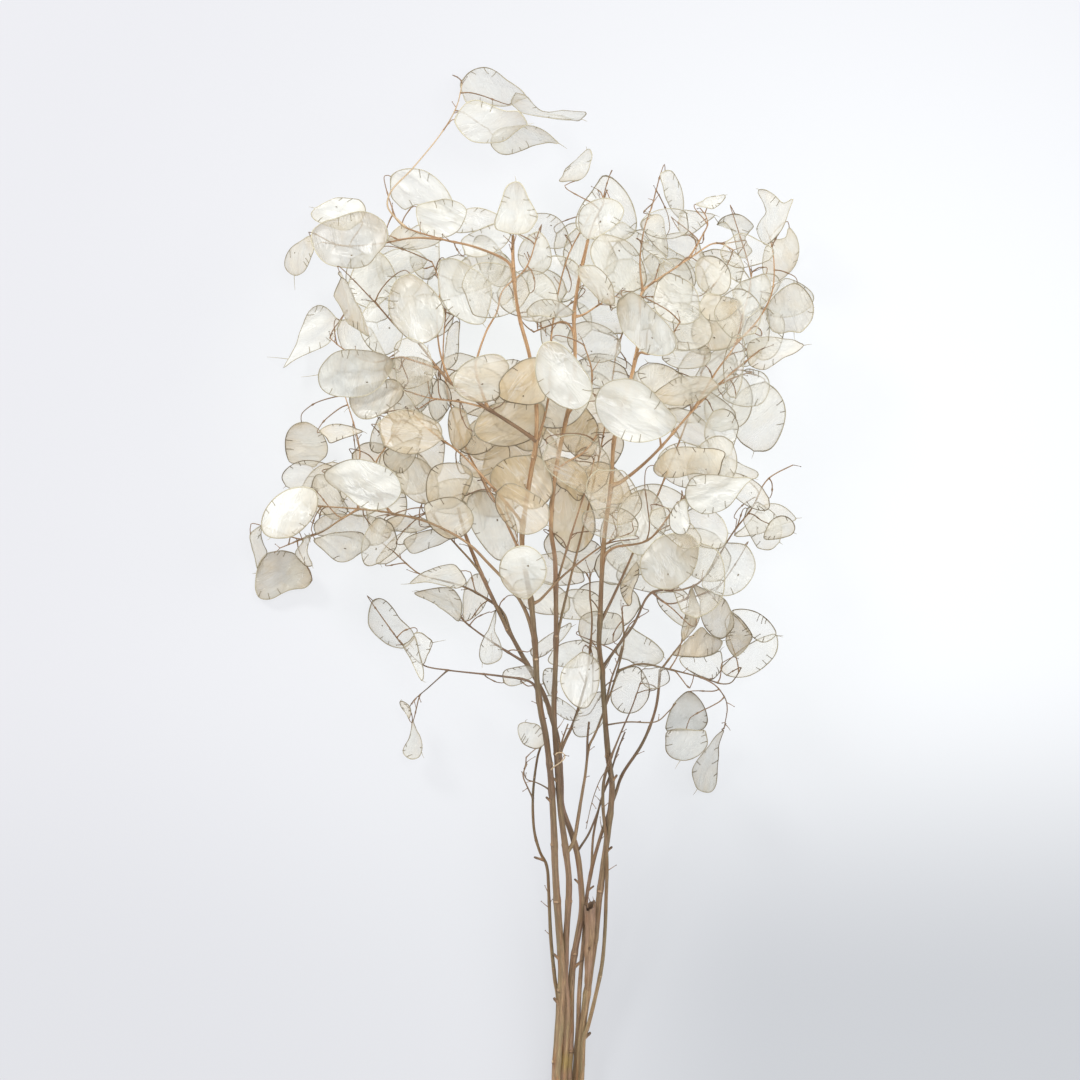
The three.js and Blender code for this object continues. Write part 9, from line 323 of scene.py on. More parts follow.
    (251, "raceme_upper_right_rising", [63.8, 187.16, 31.24], [-0.75, -0.521, -0.407], [-0.49, 0.025, 0.872], 49.05, 37.1, 0.13, "f", (636, 259), False, [[76.12, 229.66, 75.3], [78.84, 226.13, 66.76], [82.63, 219.53, 58.35], [84.97, 213.63, 52.53], [85.81, 205.9, 45.92], [82.21, 199.93, 41.23]]),
    (235, "raceme_right_short", [145.17, 82.33, 38.39], [-0.136, -0.938, -0.32], [-0.381, -0.248, 0.891], 48.74, 37.59, 0.13, "f", (758, 416), False, [[137.32, 110.41, 53.21], [139.6, 109.95, 51.41], [142.61, 109.39, 49.77], [145.6, 108.53, 48.34], [147.8, 107.19, 47.13], [148.48, 105.19, 46.18]]),
    (259, "raceme_right_level", [111.38, 48.31, 122.24], [0.591, 0.635, 0.498], [-0.588, -0.084, 0.805], 43.58, 31.79, 0.12, "f", (713, 465), False, [[85.95, 19.2, 124.88], [88.82, 22.78, 122.05], [91.59, 26.29, 117.35], [92.97, 28.01, 114.96], [95.71, 31.34, 111.45], [98.5, 34.48, 111.39]]),
    (249, "raceme_left_shoulder", [-113.33, 165.87, 59.76], [0.182, -0.969, -0.17], [-0.594, -0.246, 0.766], 46.89, 34.43, 0.11, "f", (368, 289), False, [[-131.23, 193.63, 72.99], [-129.7, 193.3, 70.7], [-127.16, 193.05, 68.65], [-121.18, 191.92, 65.46], [-118.83, 190.63, 64.39], [-117.61, 188.58, 63.74]]),
    (231, "raceme_back_right", [131.86, 134.06, 24.79], [0.79, -0.283, -0.544], [0.555, -0.045, 0.83], 45.72, 33.91, 0.1, "f", (737, 340), False, [[108.55, 115.84, 42.52], [109.15, 121.36, 41.42], [109.35, 128.25, 40.79], [109.79, 134.85, 40.19], [111.06, 139.5, 39.15], [113.8, 140.54, 37.22]]),
    (271, "raceme_left_drooping", [0.54, -37, 50.83], [0.848, -0.04, -0.528], [0.397, 0.707, 0.585], 42.89, 33.19, 0.1, "f", (541, 596), False, [[-26.77, -44.72, 74.48], [-26.4, -42.6, 72.68], [-25.39, -40.57, 70.51], [-22, -37.34, 65.9], [-19.88, -36.42, 63.82], [-17.65, -36.15, 62.16]]),
    (202, "raceme_centre_left", [-12.3, 18.85, 149.99], [0.818, -0.547, 0.177], [-0.367, -0.259, 0.894], 39.03, 28.71, 0.09, "f", (521, 510), False, [[-29.08, 32.36, 122.72], [-30.79, 33.52, 128.03], [-31.84, 33.56, 134.73], [-31.96, 33.19, 138.07], [-31.07, 31.77, 143.71], [-28.27, 29.52, 146.53]]),
    (234, "raceme_back_right", [109.28, 140.49, 50.47], [-0.908, 0.186, 0.377], [0.418, 0.328, 0.847], 49.2, 37.7, 0.09, "f", (705, 328), False, [[107.74, 112.81, 44.2], [113.69, 118.52, 42.4], [122.27, 124.68, 40.74], [127.73, 128.57, 39.98], [132.99, 133.33, 39.78], [131.61, 135.93, 41.21]]),
    (250, "raceme_back_left", [-53.14, 111.77, 32.89], [0.805, -0.194, -0.561], [0.319, -0.656, 0.684], 40, 28.84, 0.09, "f", (460, 372), False, [[-63.02, 109.39, 58.32], [-64.25, 110.93, 56.13], [-66.15, 112.52, 53.55], [-69.73, 115.1, 48.18], [-70.28, 115.72, 45.87], [-69.24, 115.65, 44.11]]),
    (243, "raceme_left_upright", [-76.73, 190.23, 53.41], [-0.408, 0.772, -0.487], [-0.685, 0.094, 0.723], 40.88, 29.78, 0.09, "f", (424, 252), False, [[-65.95, 170.22, 91.77], [-66.27, 171.14, 87.18], [-66.26, 171.1, 78.96], [-66.3, 170.96, 73.41], [-67.06, 172.03, 66.38], [-68.39, 174.45, 63.37]]),
    (256, "raceme_back_centre", [14.55, 147.17, 25.24], [-0.904, 0.308, -0.298], [-0.097, 0.53, 0.842], 43.37, 33.22, 0.08, "f", (562, 320), False, [[51.94, 133.17, 36.57], [48.48, 135.84, 35.02], [46.23, 136.86, 34.42], [41.24, 138.48, 33.37], [38.72, 139.17, 32.86], [34.15, 140.49, 31.7]]),
    (227, "raceme_back_right", [125.68, 169.36, 11.54], [-0.075, 0.906, -0.417], [-0.195, 0.397, 0.897], 45.84, 33.4, 0.08, "f", (727, 288), False, [[114.06, 137.18, 30.42], [117.46, 140, 28.07], [119.71, 141.24, 26.83], [124.16, 143.73, 24.36], [125.92, 145.13, 23.19], [127.4, 148.6, 21.1]]),
    (232, "raceme_back_right", [81.54, 100.49, 43.59], [-0.844, 0.478, -0.243], [0.001, 0.454, 0.891], 43.77, 33.12, 0.07, "f", (663, 389), False, [[98.59, 83.13, 59.92], [99.35, 84.7, 57.81], [100.38, 86.18, 55.13], [101.16, 87.56, 52.4], [101.21, 88.84, 50.15], [100.01, 90.02, 48.9]]),
    (269, "raceme_lower_right", [72.63, -24.92, 41.22], [-0.723, 0.391, -0.57], [0.047, 0.851, 0.524], 47.46, 34.83, 0.07, "f", (649, 577), False, [[91.69, -40.19, 85.22], [93.59, -38.83, 78.31], [94.32, -38.14, 72.94], [94.25, -37.1, 64.83], [93.21, -36.2, 60.01], [89.79, -34.19, 54.74]]),
    (260, "raceme_right_level", [86.74, 7.92, 160.09], [0.768, -0.609, 0.199], [0.419, 0.713, 0.563], 38.08, 29.58, 0.07, "f", (677, 528), False, [[84.11, 16.93, 124.14], [82.08, 19.91, 131.29], [77.15, 22.04, 139.93], [73.71, 22.72, 145.62], [70.46, 22.25, 152.66], [72.12, 19.52, 156.3]]),
    (233, "raceme_right_short", [125.22, 111.84, 118.9], [-0.071, 0.842, 0.534], [0.892, -0.186, 0.412], 44.3, 31.64, 0.06, "f", (734, 367), False, [[124.22, 104.86, 88.17], [126.38, 100.91, 91.05], [127.27, 96.27, 95.8], [127.37, 94.24, 98.45], [127.18, 91.85, 103.49], [126.8, 93.18, 107.06]]),
    (229, "raceme_back_centre", [67.38, 158.08, 41.45], [0.49, 0.808, 0.326], [-0.04, -0.352, 0.935], 42.41, 30.6, 0.06, "f", (641, 302), False, [[51.46, 130.08, 38.21], [52.32, 132.19, 37.17], [53.39, 134.46, 35.96], [54.58, 136.74, 34.89], [55.81, 138.94, 34.31], [56.99, 140.94, 34.54]]),
    (212, "raceme_back_centre", [16.69, 81.72, 69.74], [-0.8, 0.23, -0.554], [-0.588, -0.117, 0.801], 42.01, 30.51, 0.06, "f", (565, 416), False, [[39.33, 57.18, 73.2], [38.98, 62.15, 74.85], [38.41, 67.6, 78.02], [37.93, 70.21, 79.64], [36.31, 74.54, 81.88], [33.49, 76.88, 81.37]]),
    (275, "raceme_low_left_rising", [-119.85, 33.07, 33.57], [0.125, -0.928, 0.351], [0.348, 0.373, 0.86], 37.67, 29.23, 0.06, "f", (360, 490), False, [[-123.08, 77.51, 62.38], [-123.83, 75.44, 52.63], [-123.98, 70.7, 41.78], [-123.77, 65.88, 34.44], [-123.15, 58.43, 27.76], [-122.21, 50.55, 26.95]]),
    (257, "raceme_back_top", [1.69, 205.26, 43.4], [-0.934, 0.321, 0.154], [-0.143, -0.735, 0.663], 39.81, 30.93, 0.06, "f", (543, 231), False, [[31.65, 212.73, 48.81], [29.85, 209.74, 45.05], [28.68, 207.26, 43.48], [25.82, 202.07, 41.17], [24.14, 200.05, 40.5], [20.29, 198.87, 40.33]]),
    (223, "raceme_back_right", [111.97, 112.73, 20.33], [0.955, -0.026, -0.296], [0.246, -0.486, 0.838], 40.85, 31.28, 0.05, "f", (707, 372), False, [[105.24, 103.78, 49.14], [102.91, 106.54, 45.05], [98.7, 109, 40.13], [92.4, 111.83, 32.71], [90.55, 112.95, 28.74], [92.47, 113.27, 26.37]]),
    (241, "raceme_back_left", [-60.88, 176.16, 14.38], [0.271, 0.782, -0.561], [-0.196, 0.616, 0.763], 38.68, 30.06, 0.05, "f", (449, 278), False, [[-63.02, 150.65, 26.48], [-63.63, 152.65, 26.1], [-64.59, 154.88, 26.09], [-65.56, 157.15, 26.15], [-66.19, 159.27, 25.97], [-66.12, 161.04, 25.24]]),
    (254, "raceme_back_centre", [42.75, 154.31, 50.2], [-0.463, 0.779, 0.423], [-0.256, -0.575, 0.777], 46.04, 34.22, 0.05, "f", (605, 307), False, [[50.54, 123.89, 41.49], [51.29, 126.32, 40.87], [52.38, 129.01, 40.25], [53.38, 131.75, 39.84], [53.87, 134.29, 39.84], [53.41, 136.39, 40.45]]),
    (204, "raceme_back_left", [-33.63, 67.86, 59.81], [0.787, 0.412, -0.46], [0.498, 0.017, 0.867], 39.49, 28.09, 0.04, "f", (489, 437), False, [[-51.82, 67.51, 85.79], [-52.03, 67.2, 83.23], [-52.33, 64.04, 77.62], [-52.19, 62.06, 74.88], [-50.72, 59.47, 70.36], [-49.16, 59.73, 68.9]]),
    (247, "raceme_back_left", [-93.84, 183.13, 12.85], [-0.406, 0.894, -0.191], [-0.333, 0.05, 0.942], 42.77, 31.96, 0.03, "f", (400, 267), False, [[-62.89, 153.88, 23.91], [-66.61, 156.18, 21.89], [-71.75, 157.63, 20.26], [-77.26, 158.93, 18.94], [-82.09, 160.82, 17.86], [-85.17, 164.02, 16.93]]),
    (207, "raceme_back_left", [-23.08, 111.01, 40.78], [0.96, 0.099, -0.262], [0.1, 0.753, 0.65], 39.9, 29.4, 0.03, "f", (505, 373), False, [[-63.47, 112.51, 56.05], [-59.7, 112.97, 53.06], [-54.94, 111.83, 50.5], [-52.37, 111, 49.38], [-47.13, 109.48, 47.47], [-42.23, 109.05, 46.01]]),
    (263, "raceme_lower_right", [102.9, -26.28, 128.88], [0.07, 0.992, -0.109], [-0.477, 0.129, 0.869], 48.22, 35.77, 0, "f", (700, 581), False, [[80.06, -40.03, 89.67], [86.22, -44.76, 97.13], [91.79, -50.31, 108.18], [96.38, -54.5, 119.68], [99.65, -55.19, 128.5], [101.22, -50.19, 131.51]]),
]

# the rims of the pods that stand clear, as x, y in the picture
OUTLINES = {
    1: "461,84 464,78 469,72.5 476,69.3 484,68.5 491,70 498,73.5 505,78.5 512,82.5 519,87 524.5,92.5 526,97.5 519,100 511,105 500,106 488,104.5 475,104 467,101.5 463.5,94",
    2: "455,119.5 459,112 464,106 469,102.5 476,101 483,102.5 490,105 498,108.5 506,111 514,111 519,112 523,116 526,121 527,125 521,128 515,133 509,139 503,143.5 496,144.5 488,144.5 479,143.5 471,141 464,135 459,129 456,124",
    3: "558,147 553,141 549,135.5 545,130.5 540,126.5 533,123.5 524,124 512,126 500,130 493,136 491,143 495,147 501,149.8 508,150.8 517,149.8 526,147.8 534,145.3 542,144 550,144.2",
    4: "586,115.5 578,113.5 570,112 562,110.7 554,111 547,110.8 540,108.5 533,104.5 526,100 520,96.8 515,97.8 511,103.5 515,108.5 520,113.5 526,118.5 533,120.7 542,121.5 550,123.3 558,125.5 567,126.5 574,124 581,119.5",
    5: "560,182 563,175 567,167.5 572,160 578,154 585,149.5 590,150 592,155 590.5,162 588,169 584,175 578,179 570,180.5",
    6: "516,181.5 521,183.5 525,190 528,198 532,205 536,212 537.5,217 535,223 531,229 527,232.5 520,234 512,233.5 503,231 496,228 495,221 497.5,213 500,206 502.5,198 505,190 509,184.5",
    10: "388,236 385.5,225 379.5,218.5 371,213.5 360.7,211.3 349,213.5 334.5,218.5 324.4,220.7 318.5,224.4 312.7,230 311.3,238 312.7,245.5 316.4,252.7 321,259 328,264 340,266.5 355,267.5 368,264 377,254 385,245",
    11: "311,236 301,241 293.8,246 287.3,254 284.8,263 287.3,270 294.5,275.3 302.5,272.4 308.4,264.4 313.5,255.6 316.5,251 317,243",
    14: "344,270 346.5,274 346.5,284 349.5,293.5 354,302 359,310 365,318 371,326 375,333 378,341 370,336 361,328.5 354,321 348.5,312 344,303 341,292 340.3,281 341.5,273",
    16: "388,240 392,234.5 397,231 404,228 412,231.5 424,236 434,238 440.5,239 438,242 432,247 425,251 417,252 408,250 400,247 393,244",
    17: "440,262 447,260 455,260 463,263 471,268 478,272 485,278 490.5,284 491.5,292 490.5,302 488,312 484,323 478,325 470,324 463,321 455,316 449,311 445,305 441,297 439,288 438.5,275",
    18: "411,274.5 419,278.5 427,284.5 434.5,292 440.5,301 443.8,311 444,321 440.5,331 433.5,338.5 424,343 415,342 407,337.5 400,331 393.5,323 389.5,313 388.5,302 390.5,291 396,281.5 403,276.5",
    19: "283,367 289,358 295,347 299,336 302.5,326 306,316 310,309.5 315,306 320,305 326,307.5 331,312 336,318 341,322 337,329 333,337 328,343 320,347.5 311,351.5 300,357 291,362",
    21: "394,364 388,356 380,352 370,350 360,349.5 350,349.3 341,350.5 333,354 326,361 320.5,369 318.5,377 320,386 325,391.5 333,395 343,396 355,396.3 366,394.5 376,389.5 384,382 390,373",
    35: "579,269 585,265.5 592,265.5 598,268 604,273 609,280 613,288 615,296 615.5,303 609,304 602,302 596,297 590,291 584,285 581,280 579.5,274",
    37: "588,238 581,233 577.5,225 578,215 583,207 590,202.5 598,199 606,198 613,200 619,205 622,212 620,220 614,226.5 606,232 597,236.5",
    38: "603,176 611,177.5 618,183 625,191 630.5,200 634.5,210 637,221 636,231 629,238 618,241 604,241 590,238 580,232 576,223 578.5,212 584,202 591,193 597,184",
    42: "660,174.5 664,171 669.5,170.5 675,173.5 679,180.5 681.5,189 682.3,198 682,208 679.5,218 675,214.5 670.5,209 667.5,202 665,194 663,186 661,180",
    43: "696,205 702,202 708,197 712,194.5 718,194.5 723,195 725,199 721,203 714,206 706,205.5",
    44: "676,238 677,229 679,219 682,210.5 690,210 698,211 706,213 714,216 707,222 700,228 692,234 684,237.5",
    46: "641,223 645,219 651,216.5 657,218 661,223 663,230 666,238 669,247 668,256 661,253 654,245.5 648,238 644,230",
    48: "644,242 650,245 657,250 664,255 669,260 673,266 666,262 658,257 650,252 643,247",
    41: "610,232 616,227 621,222 628,226 636,232 645,237 648,243 643,250 636,256 628,252 620,243 613,236",
    51: "696,265 700,258.5 708,256 718,258 726,265 730,273 731,282 728,290 722,294.5 712,295 704,291 698,284 695.5,274",
    52: "700,254 707,251 714,249 722,250 730,252 737,254 741,260 744,268 742,276 740,282 733,279 725,273 716,267 707,260",
    53: "707.5,293.5 717,295 727,297.5 737,300 741,304 737,310 731,315 724,319.5 715,321 707,319 702,313 700,306 702,300",
    54: "741,303 744,312 744.5,322 741.5,331 738.5,339 732,346 722,350 710,350.5 700,349 693,341 691,330 694,320 701,312 712,306 727,302",
    55: "716,227 720,221 727,216 734,213.8 742,215 749,219.5 753.5,226 749,232 745,238 748,245 752,251 746,258 740,255 737,247 735,238 732,230 727,224.5 721,223",
    56: "758,191 766,190 773,194.5 779,201 783,203 789,198.5 788,208 787,217 784.5,226 779.5,234 772,240.5 763,244.5 754,243 748.5,236 753,228 760,220 766.5,212.5 764,203",
    57: "788,227 793,232 797,239 799.5,248 799,258 795.5,267 789,274.5 780,279.5 770,280 764,275 763,266 764,256 767,247 773,241 781,239 786,236",
    59: "741,282 748,279.5 756,277 764,274 769,280 770.5,288 769,297 764,304 757,310.5 750,316 744,318 743,309 741,302 736,297 733,292 737,286",
    61: "795,283 802,287 808.5,294.5 812.5,303 813.5,312 811.5,321 806,328 800,332.5 790,331 780,333 772,330 768,320 768,309 773,299 780,291.5 787,286",
    63: "750,343 756,338.5 765,335.5 775,335.5 784,338 793,340 800,344 804,346 800,350 793,354 785,357 778,361 772,365 765,369 757,369 750,366 748,358 747.5,350",
    64: "722,396 730,387 738,378 747,370 756,370.5 763,373 768,380 768.5,389 766,397 760.5,404 751,407 741,406.5 731,403",
    65: "650,398 657,391 665,385.5 673,380.5 682,377.8 692,376.7 702,376 710,377 715,381 718.5,387 712,391 705,397 697,402 686,405.5 674,405 662,402",
    66: "601,388 607,383 614,380.3 623,379 632,380 641,383.5 649,389 656,396 663,403 670,410 677,418 675,426 668,433 658,438.5 648,441.5 637,442.5 625,440.5 613,434.5 604,426 598.5,416 596,405 597,396",
    67: "543,344 549,342 556,342.5 563,346 570,352 577,360 583,369 589,378 592,387 591.5,395 588,402 582,407 575,409.5 567,408 559,405 552,400 546,396 541,389 537.5,381 535.5,371 536,361 538,352",
    68: "541,404 545,395 555,388 570,386 582,392 589,401 584,411 578,418.5 571,424 562,427.5 552,427.8 543,425 541,415",
    69: "619,301 624,296 630,292.5 636,294 641,299 647,305 654,312 661,318 668,325 674,333 677,341 675,349 669,354 660,355.5 650,354 641,350 635,344 629,338 623,330 620,320 618,310",
    75: "320,431 324,437 327.5,445 327,453 323,458.5 318,463 314,467 306,465 297,464 290,463 287,457 285.5,449 285.5,440 287.5,432 291,427 297,423.5 306,422.5 313,425.5",
    76: "320,431 328,426 338,424 348,425.5 356,428.5 362,431 355,434.5 345,438.5 336,441 329,441.5 326,437",
    78: "324,474 330,468.5 338,464 347,461 357,460 368,461 379,463.5 389,468 396.5,475.5 400.5,485 400,495 394,503.5 385,509 374,510 364,507.5 356,503 350,497.5 342,492 333,487 326,481",
    79: "306,487.3 297,487.3 288,489.5 280,494 273,500 267,507.5 263,516 261.5,525 264,533 272,537.5 283,538 293,536 301,530.5 308,523.5 313.5,516 317,507 317.5,498 314.5,490.5",
    81: "314,526 317,520 324,515.5 334,513.8 346,514.5 358,515.3 369,516.3 378,519.5 386,525 391,530 389,538 383,545.5 377,552 368,553 360,545 350,538 338,535 325,535.5 317,534",
    82: "314,540 322,537 332,534 344,531.5 354,530.5 362,531 367,537 370.5,542 367,548 360,554 353,559 345,561.5 337,560.5 329,555 322,548",
    85: "386,521 393,517 405,516 418,518 428,521 437,525 430,527 420,531 410,532.5 400,531.5 390,529",
    86: "404,541 412,534 424,530 436,529 447,532 455,537 448,540 440,544 430,548 421,552 413,554 408,550",
    87: "425,504.5 434,500.5 444,497.5 454,497 462,501 469,508 472,514 473,521 470,529 464,535 456,538 446,538 435,531 428,523 425,513",
    88: "266,554 273,552 282,551 290,552.5 296,554.5 300,560 306,565 310.5,571 311.5,579 309,584 304,588 297,588.5 289,590 281,594 273,598.5 265,599.5 259,597 255.5,589 255.5,579 257,570 259.5,562",
    89: "261,526.5 255,530 249,536 251.5,543 254.5,552 256.5,561 258.5,569 262,561 266,553 263.5,544 261.5,535",
    90: "315,537 310,542 307.5,550 309,558 311,564.5 306,566 300.5,560 297,553 301,544 306,536",
    91: "371,604 375,600 381,598.5 387,601 393,608 399,618 406,624 412,630 414,637 410,643 404,648 397,647 389,643.5 380,637 373,630 369,623 369,613",
    92: "403,646 409,656 413.5,665 417.5,674 421.5,680.5 423,672 422,662 420,652 417.5,643 414,636 409,641",
    93: "414,634 421,633 427,637 432,642 430,650 427,657 424,664 421,662 419,652 417,643",
    94: "403,701 406,704.5 409,710 411,718 408,716 404,712 401,706",
    95: "411,720 415,727 419,734 422,742 421.5,750 418,757 413,759 408,754 408,747 410,738 410.5,729",
    96: "410,585 415,578 423,572.5 433,568.3 444,566 454,565 460,570 464,577 466,585 463,591.5 459,593.5 452,588.5 443,585 432,583 421,582.5",
    97: "415,592 422,590 432,589 442,588.5 451,590.5 457,597 461,604 461.5,612 460,619 457,620.5 451,615 443,609 434,603 426,598.5 419,595.5",
    98: "498,610 497,620 495,630 498,640 500,650 499,658 494,662.5 487,664 483,661 480,654 480,645 484,637 489,629 493,620",
    100: "524,546.3 533,548.5 541,555 545.5,564 546,574 542,584 535,592 527,599 520,598 511,592 504,584 500,574 500.5,563 505,554.5 513,548.5",
    101: "421,438 411,440 401,443 391,447.5 384,453 384,462 389,468.5 396,472 402,473 408,467 413,458.5 417,449",
    103: "379,417 375,428 371,440 370,446 373,451 378,453 382,450 383,442 382,432 380.5,422",
    107: "452,408 460,408.5 467,411 470,420 475,431 470,440 463,447.5 457,450 452,443 449,433 448,421",
    108: "474,430 477,420 483,412 491,406 502,403 515,403 528,404 540,404.5 546,409 546,417 543,425 539,432 532,438 522,443 510,446.5 498,446.5 487,443 478,438",
    113: "468,500 475,493 485,491 495,495 504,502 511,512 516,524 518,537 515,549 508,558 499,560 490,554 481,543 473,530 468,515",
    117: "655,463 660,456 666,451 673,448.5 684,448 696,448.5 708,449 716,449.5 725,453 722,461 720,469 717,475 708,475 697,474 688,475 678,477.5 668,477.5 659,476 654,470",
    118: "693,477 701,475.5 712,475.5 723,476.5 735,478 748,478 752,479 746,484 741,490 736,497 730,505 722,511 712,514 704,514.5 697,511.5 690,506 686,499 685.5,490 688,483",
    119: "684,500 679,502 674,507 670.5,513 669.5,521 671,529 676,534 683,534.5 688,530 690,522 688.5,514 687,506",
    121: "642,490.5 650,491 657,496.5 662,504.5 665.5,514 666,525 662,536 655,546.5 647,554 638,555 628,549 621,540 617.5,529 617.5,517 621,506 627,498 634,493",
    122: "678,533 668,534.5 659,537.5 652,543.5 646,551 641,559.5 640.5,568.5 643,577 650,584.5 660,588.5 671,588.5 681,584 689,577 694.5,568 697.5,557 698.5,546 694,538 687,534",
    123: "722,544 732,543 742,543.8 748,547 752.5,555 754.5,564 753,574 747.5,584 740,591 730,595.3 720,595 710,590.5 702,585 706,574 712,564 717,554",
    124: "736,532 745,526 753,517 760,508 768,502 777,501 785,505 792,513 795,521 785,524 775,527 764,531 750,532.5",
    125: "764,538 767,527 773,519.5 781,516.2 788,517.5 793,522.5 794.5,529 791.5,534.5 783,537.8 773,539.5",
    128: "732,612 740,609 750,610 759,613.5 767,619.5 773,626.5 776,634 770,640 762,642 753,637 746,629 739,620",
    129: "776,634 778,643 776,652 771,660 764,667 756,673 748,677 739,677.5 730,675 724,671 722,666 728,660 736,654 746,647 757,641 768,636",
    130: "696,585 701,587 707,590 714,593.5 720,596.5 726,602 730,610 733,617 734,626 730,633 725,638 717,637 710,633 704,627 701,620 700,610 700,600 697,592",
    131: "732,614 740,619 747,627 752,635.5 749,644 743,651.5 736,657 730,651 726,641 727,631 730,622",
    132: "673,654.5 683,645 692,636 701,627 709,634 717,638.5 723,642 719,649 710,654.5 699,657 686,656.5",
    133: "692,588 695.5,597 698.5,607 699.7,617 697.5,626.5 691.5,634.5 684,640.5 681,634 682.5,624 686,612 689,600",
    135: "682,657 684,665 690,671 698,675.5 706,678.5 713,679 719,674 723,667 723,659 721,651 712,654.5 702,657 692,657",
    138: "582,652 590,655 596,660 600,667 600.5,676 599,686 596,694 592,700 588,706 583,708 576,706 570,701 565,694 561.5,685 561.5,676 565,667 571,660 577,655",
    136: "630,627 636,631 644,636 652,641 659,647 663.5,654 661,661 654,665.5 645,667 636,665 628,660 620,657 616,650 620,641 625,633",
    137: "578.5,631 579.5,623 583,617 591,613 600,611.5 610,612.5 619,615 622,622 622,632 618,640 610,644.5 600,645 590,643.5 582,639",
    141: "612,690 616,680 622,671 631,668 639,668 646,678 649,688 648,700 642,710 634,714 624,713 616,708 611,700",
    142: "641,667 650,668 660,668 667,670 669,680 660,686 651,688 643,683",
    153: "636,562 639,570 638,578 634,586 631,594 630,601 627,604 623,598 621,590 622,582 627,574 632,566",
    143: "690,693 697,696.5 703,702 707,710 708,719 705,727 700,731 690,731 677,731 667,729.5 667,722 670,712 674,704 680,698 685,694",
    144: "666,731 675,729.5 690,730 701,730 704,729 706,735 707,742 705,748 700,754 693,758.5 685,761 677,760 670,756 665.5,749 665,740",
    145: "723,730 722,737 720,746 719,755 717,765 715,775 712,784 707,790 701,790.5 696,787 694,779 694,770 697,762 702,753 708,744 714,736",
    148: "530,723 537,724.5 542,730 544,738 541,745 535,748.5 527,746 521,741 518.5,733 520,726 525,723",
    150: "544,671 550,669 556,672 557,682 555,692 551,698 547,690 543,680",
    156: "454,378 459,369 467,362 477,357.5 489,355 500,356 507,361.5 509,368 504,375 499,384 499,396 488,402 474,402 462,397 455,388",
    157: "536,358 527,359 519,362.5 511,368.5 504,374.5 499.5,381 498.3,389 500,397 507,401.5 517,403.5 528,404.8 538,403 546,398.5 545,388 542,375 540,364",
    8: "391.5,176 398,171 406,169.3 415,169.5 424,171.5 433,176.5 441,183 448,191 453,201 450,210 440,214 428,210 417,205 410,208 404,210 398,204 392,196 391,186",
    9: "417,207 425,203 435,201 445,199 455,201 463,205 467,211 464,221 458,230 449,236 440,237.5 430,236 422,230 418,220",
    30: "538,232 545,238 550.5,247 552,257 550,266 544,272 536,274.5 527,271 521,263 519,253 522,243 529,236",
    33: "527,311 532,304.5 540,300.5 549,299.3 558,300.5 566,305 573,311.5 571,315 562,317 551,316.5 540,315 531,315",
    111: "491,484 491,474 496,466 504,460 514,456.5 525,455.5 536,455 542,459 548,468 552,480 553,492 548,501 540,507 531,509 522,506 513,500 503,496.5 495,492",
    112: "543,463 550,459 558,457 566,458 575,462 582,468 587,476 588,484 585,492 580,500 574,498 567,491 560,487 554,481 548,473",
    114: "556,487 566,486 577,489 586,497 592,508 595,521 594,534 588,545 579,552 569,551 559,543 552,532 549,518 550,502",
    25: "440,379 446,383 450,391 451,400 448,409 443,416 437,420 432,415 429,405 430,393 434,384",
    22: "403,388 403,396 398,403 389,409 381,414 371,418 361,418 354,412 350,403 351,394 357,388 368,384 380,381 391,379 398,382",
    23: "386,372 385,364 392,359 403,357 415,357 427,361 437,368 433,376 426,382 416,387 405,389 395,384",
    24: "430,378 432,388 430,399 425,408 416,415 405,421 397,417 394,408 397,398 402,389 410,382 420,377",
}
# where a long beak ends
BEAKS = {11: (295, 290), 21: (301, 377), 144: (675, 769), 145: (693, 795), 98: (482, 668), 19: (267, 357), 3: (567, 149), 93: (446, 640), 95: (424, 758)}
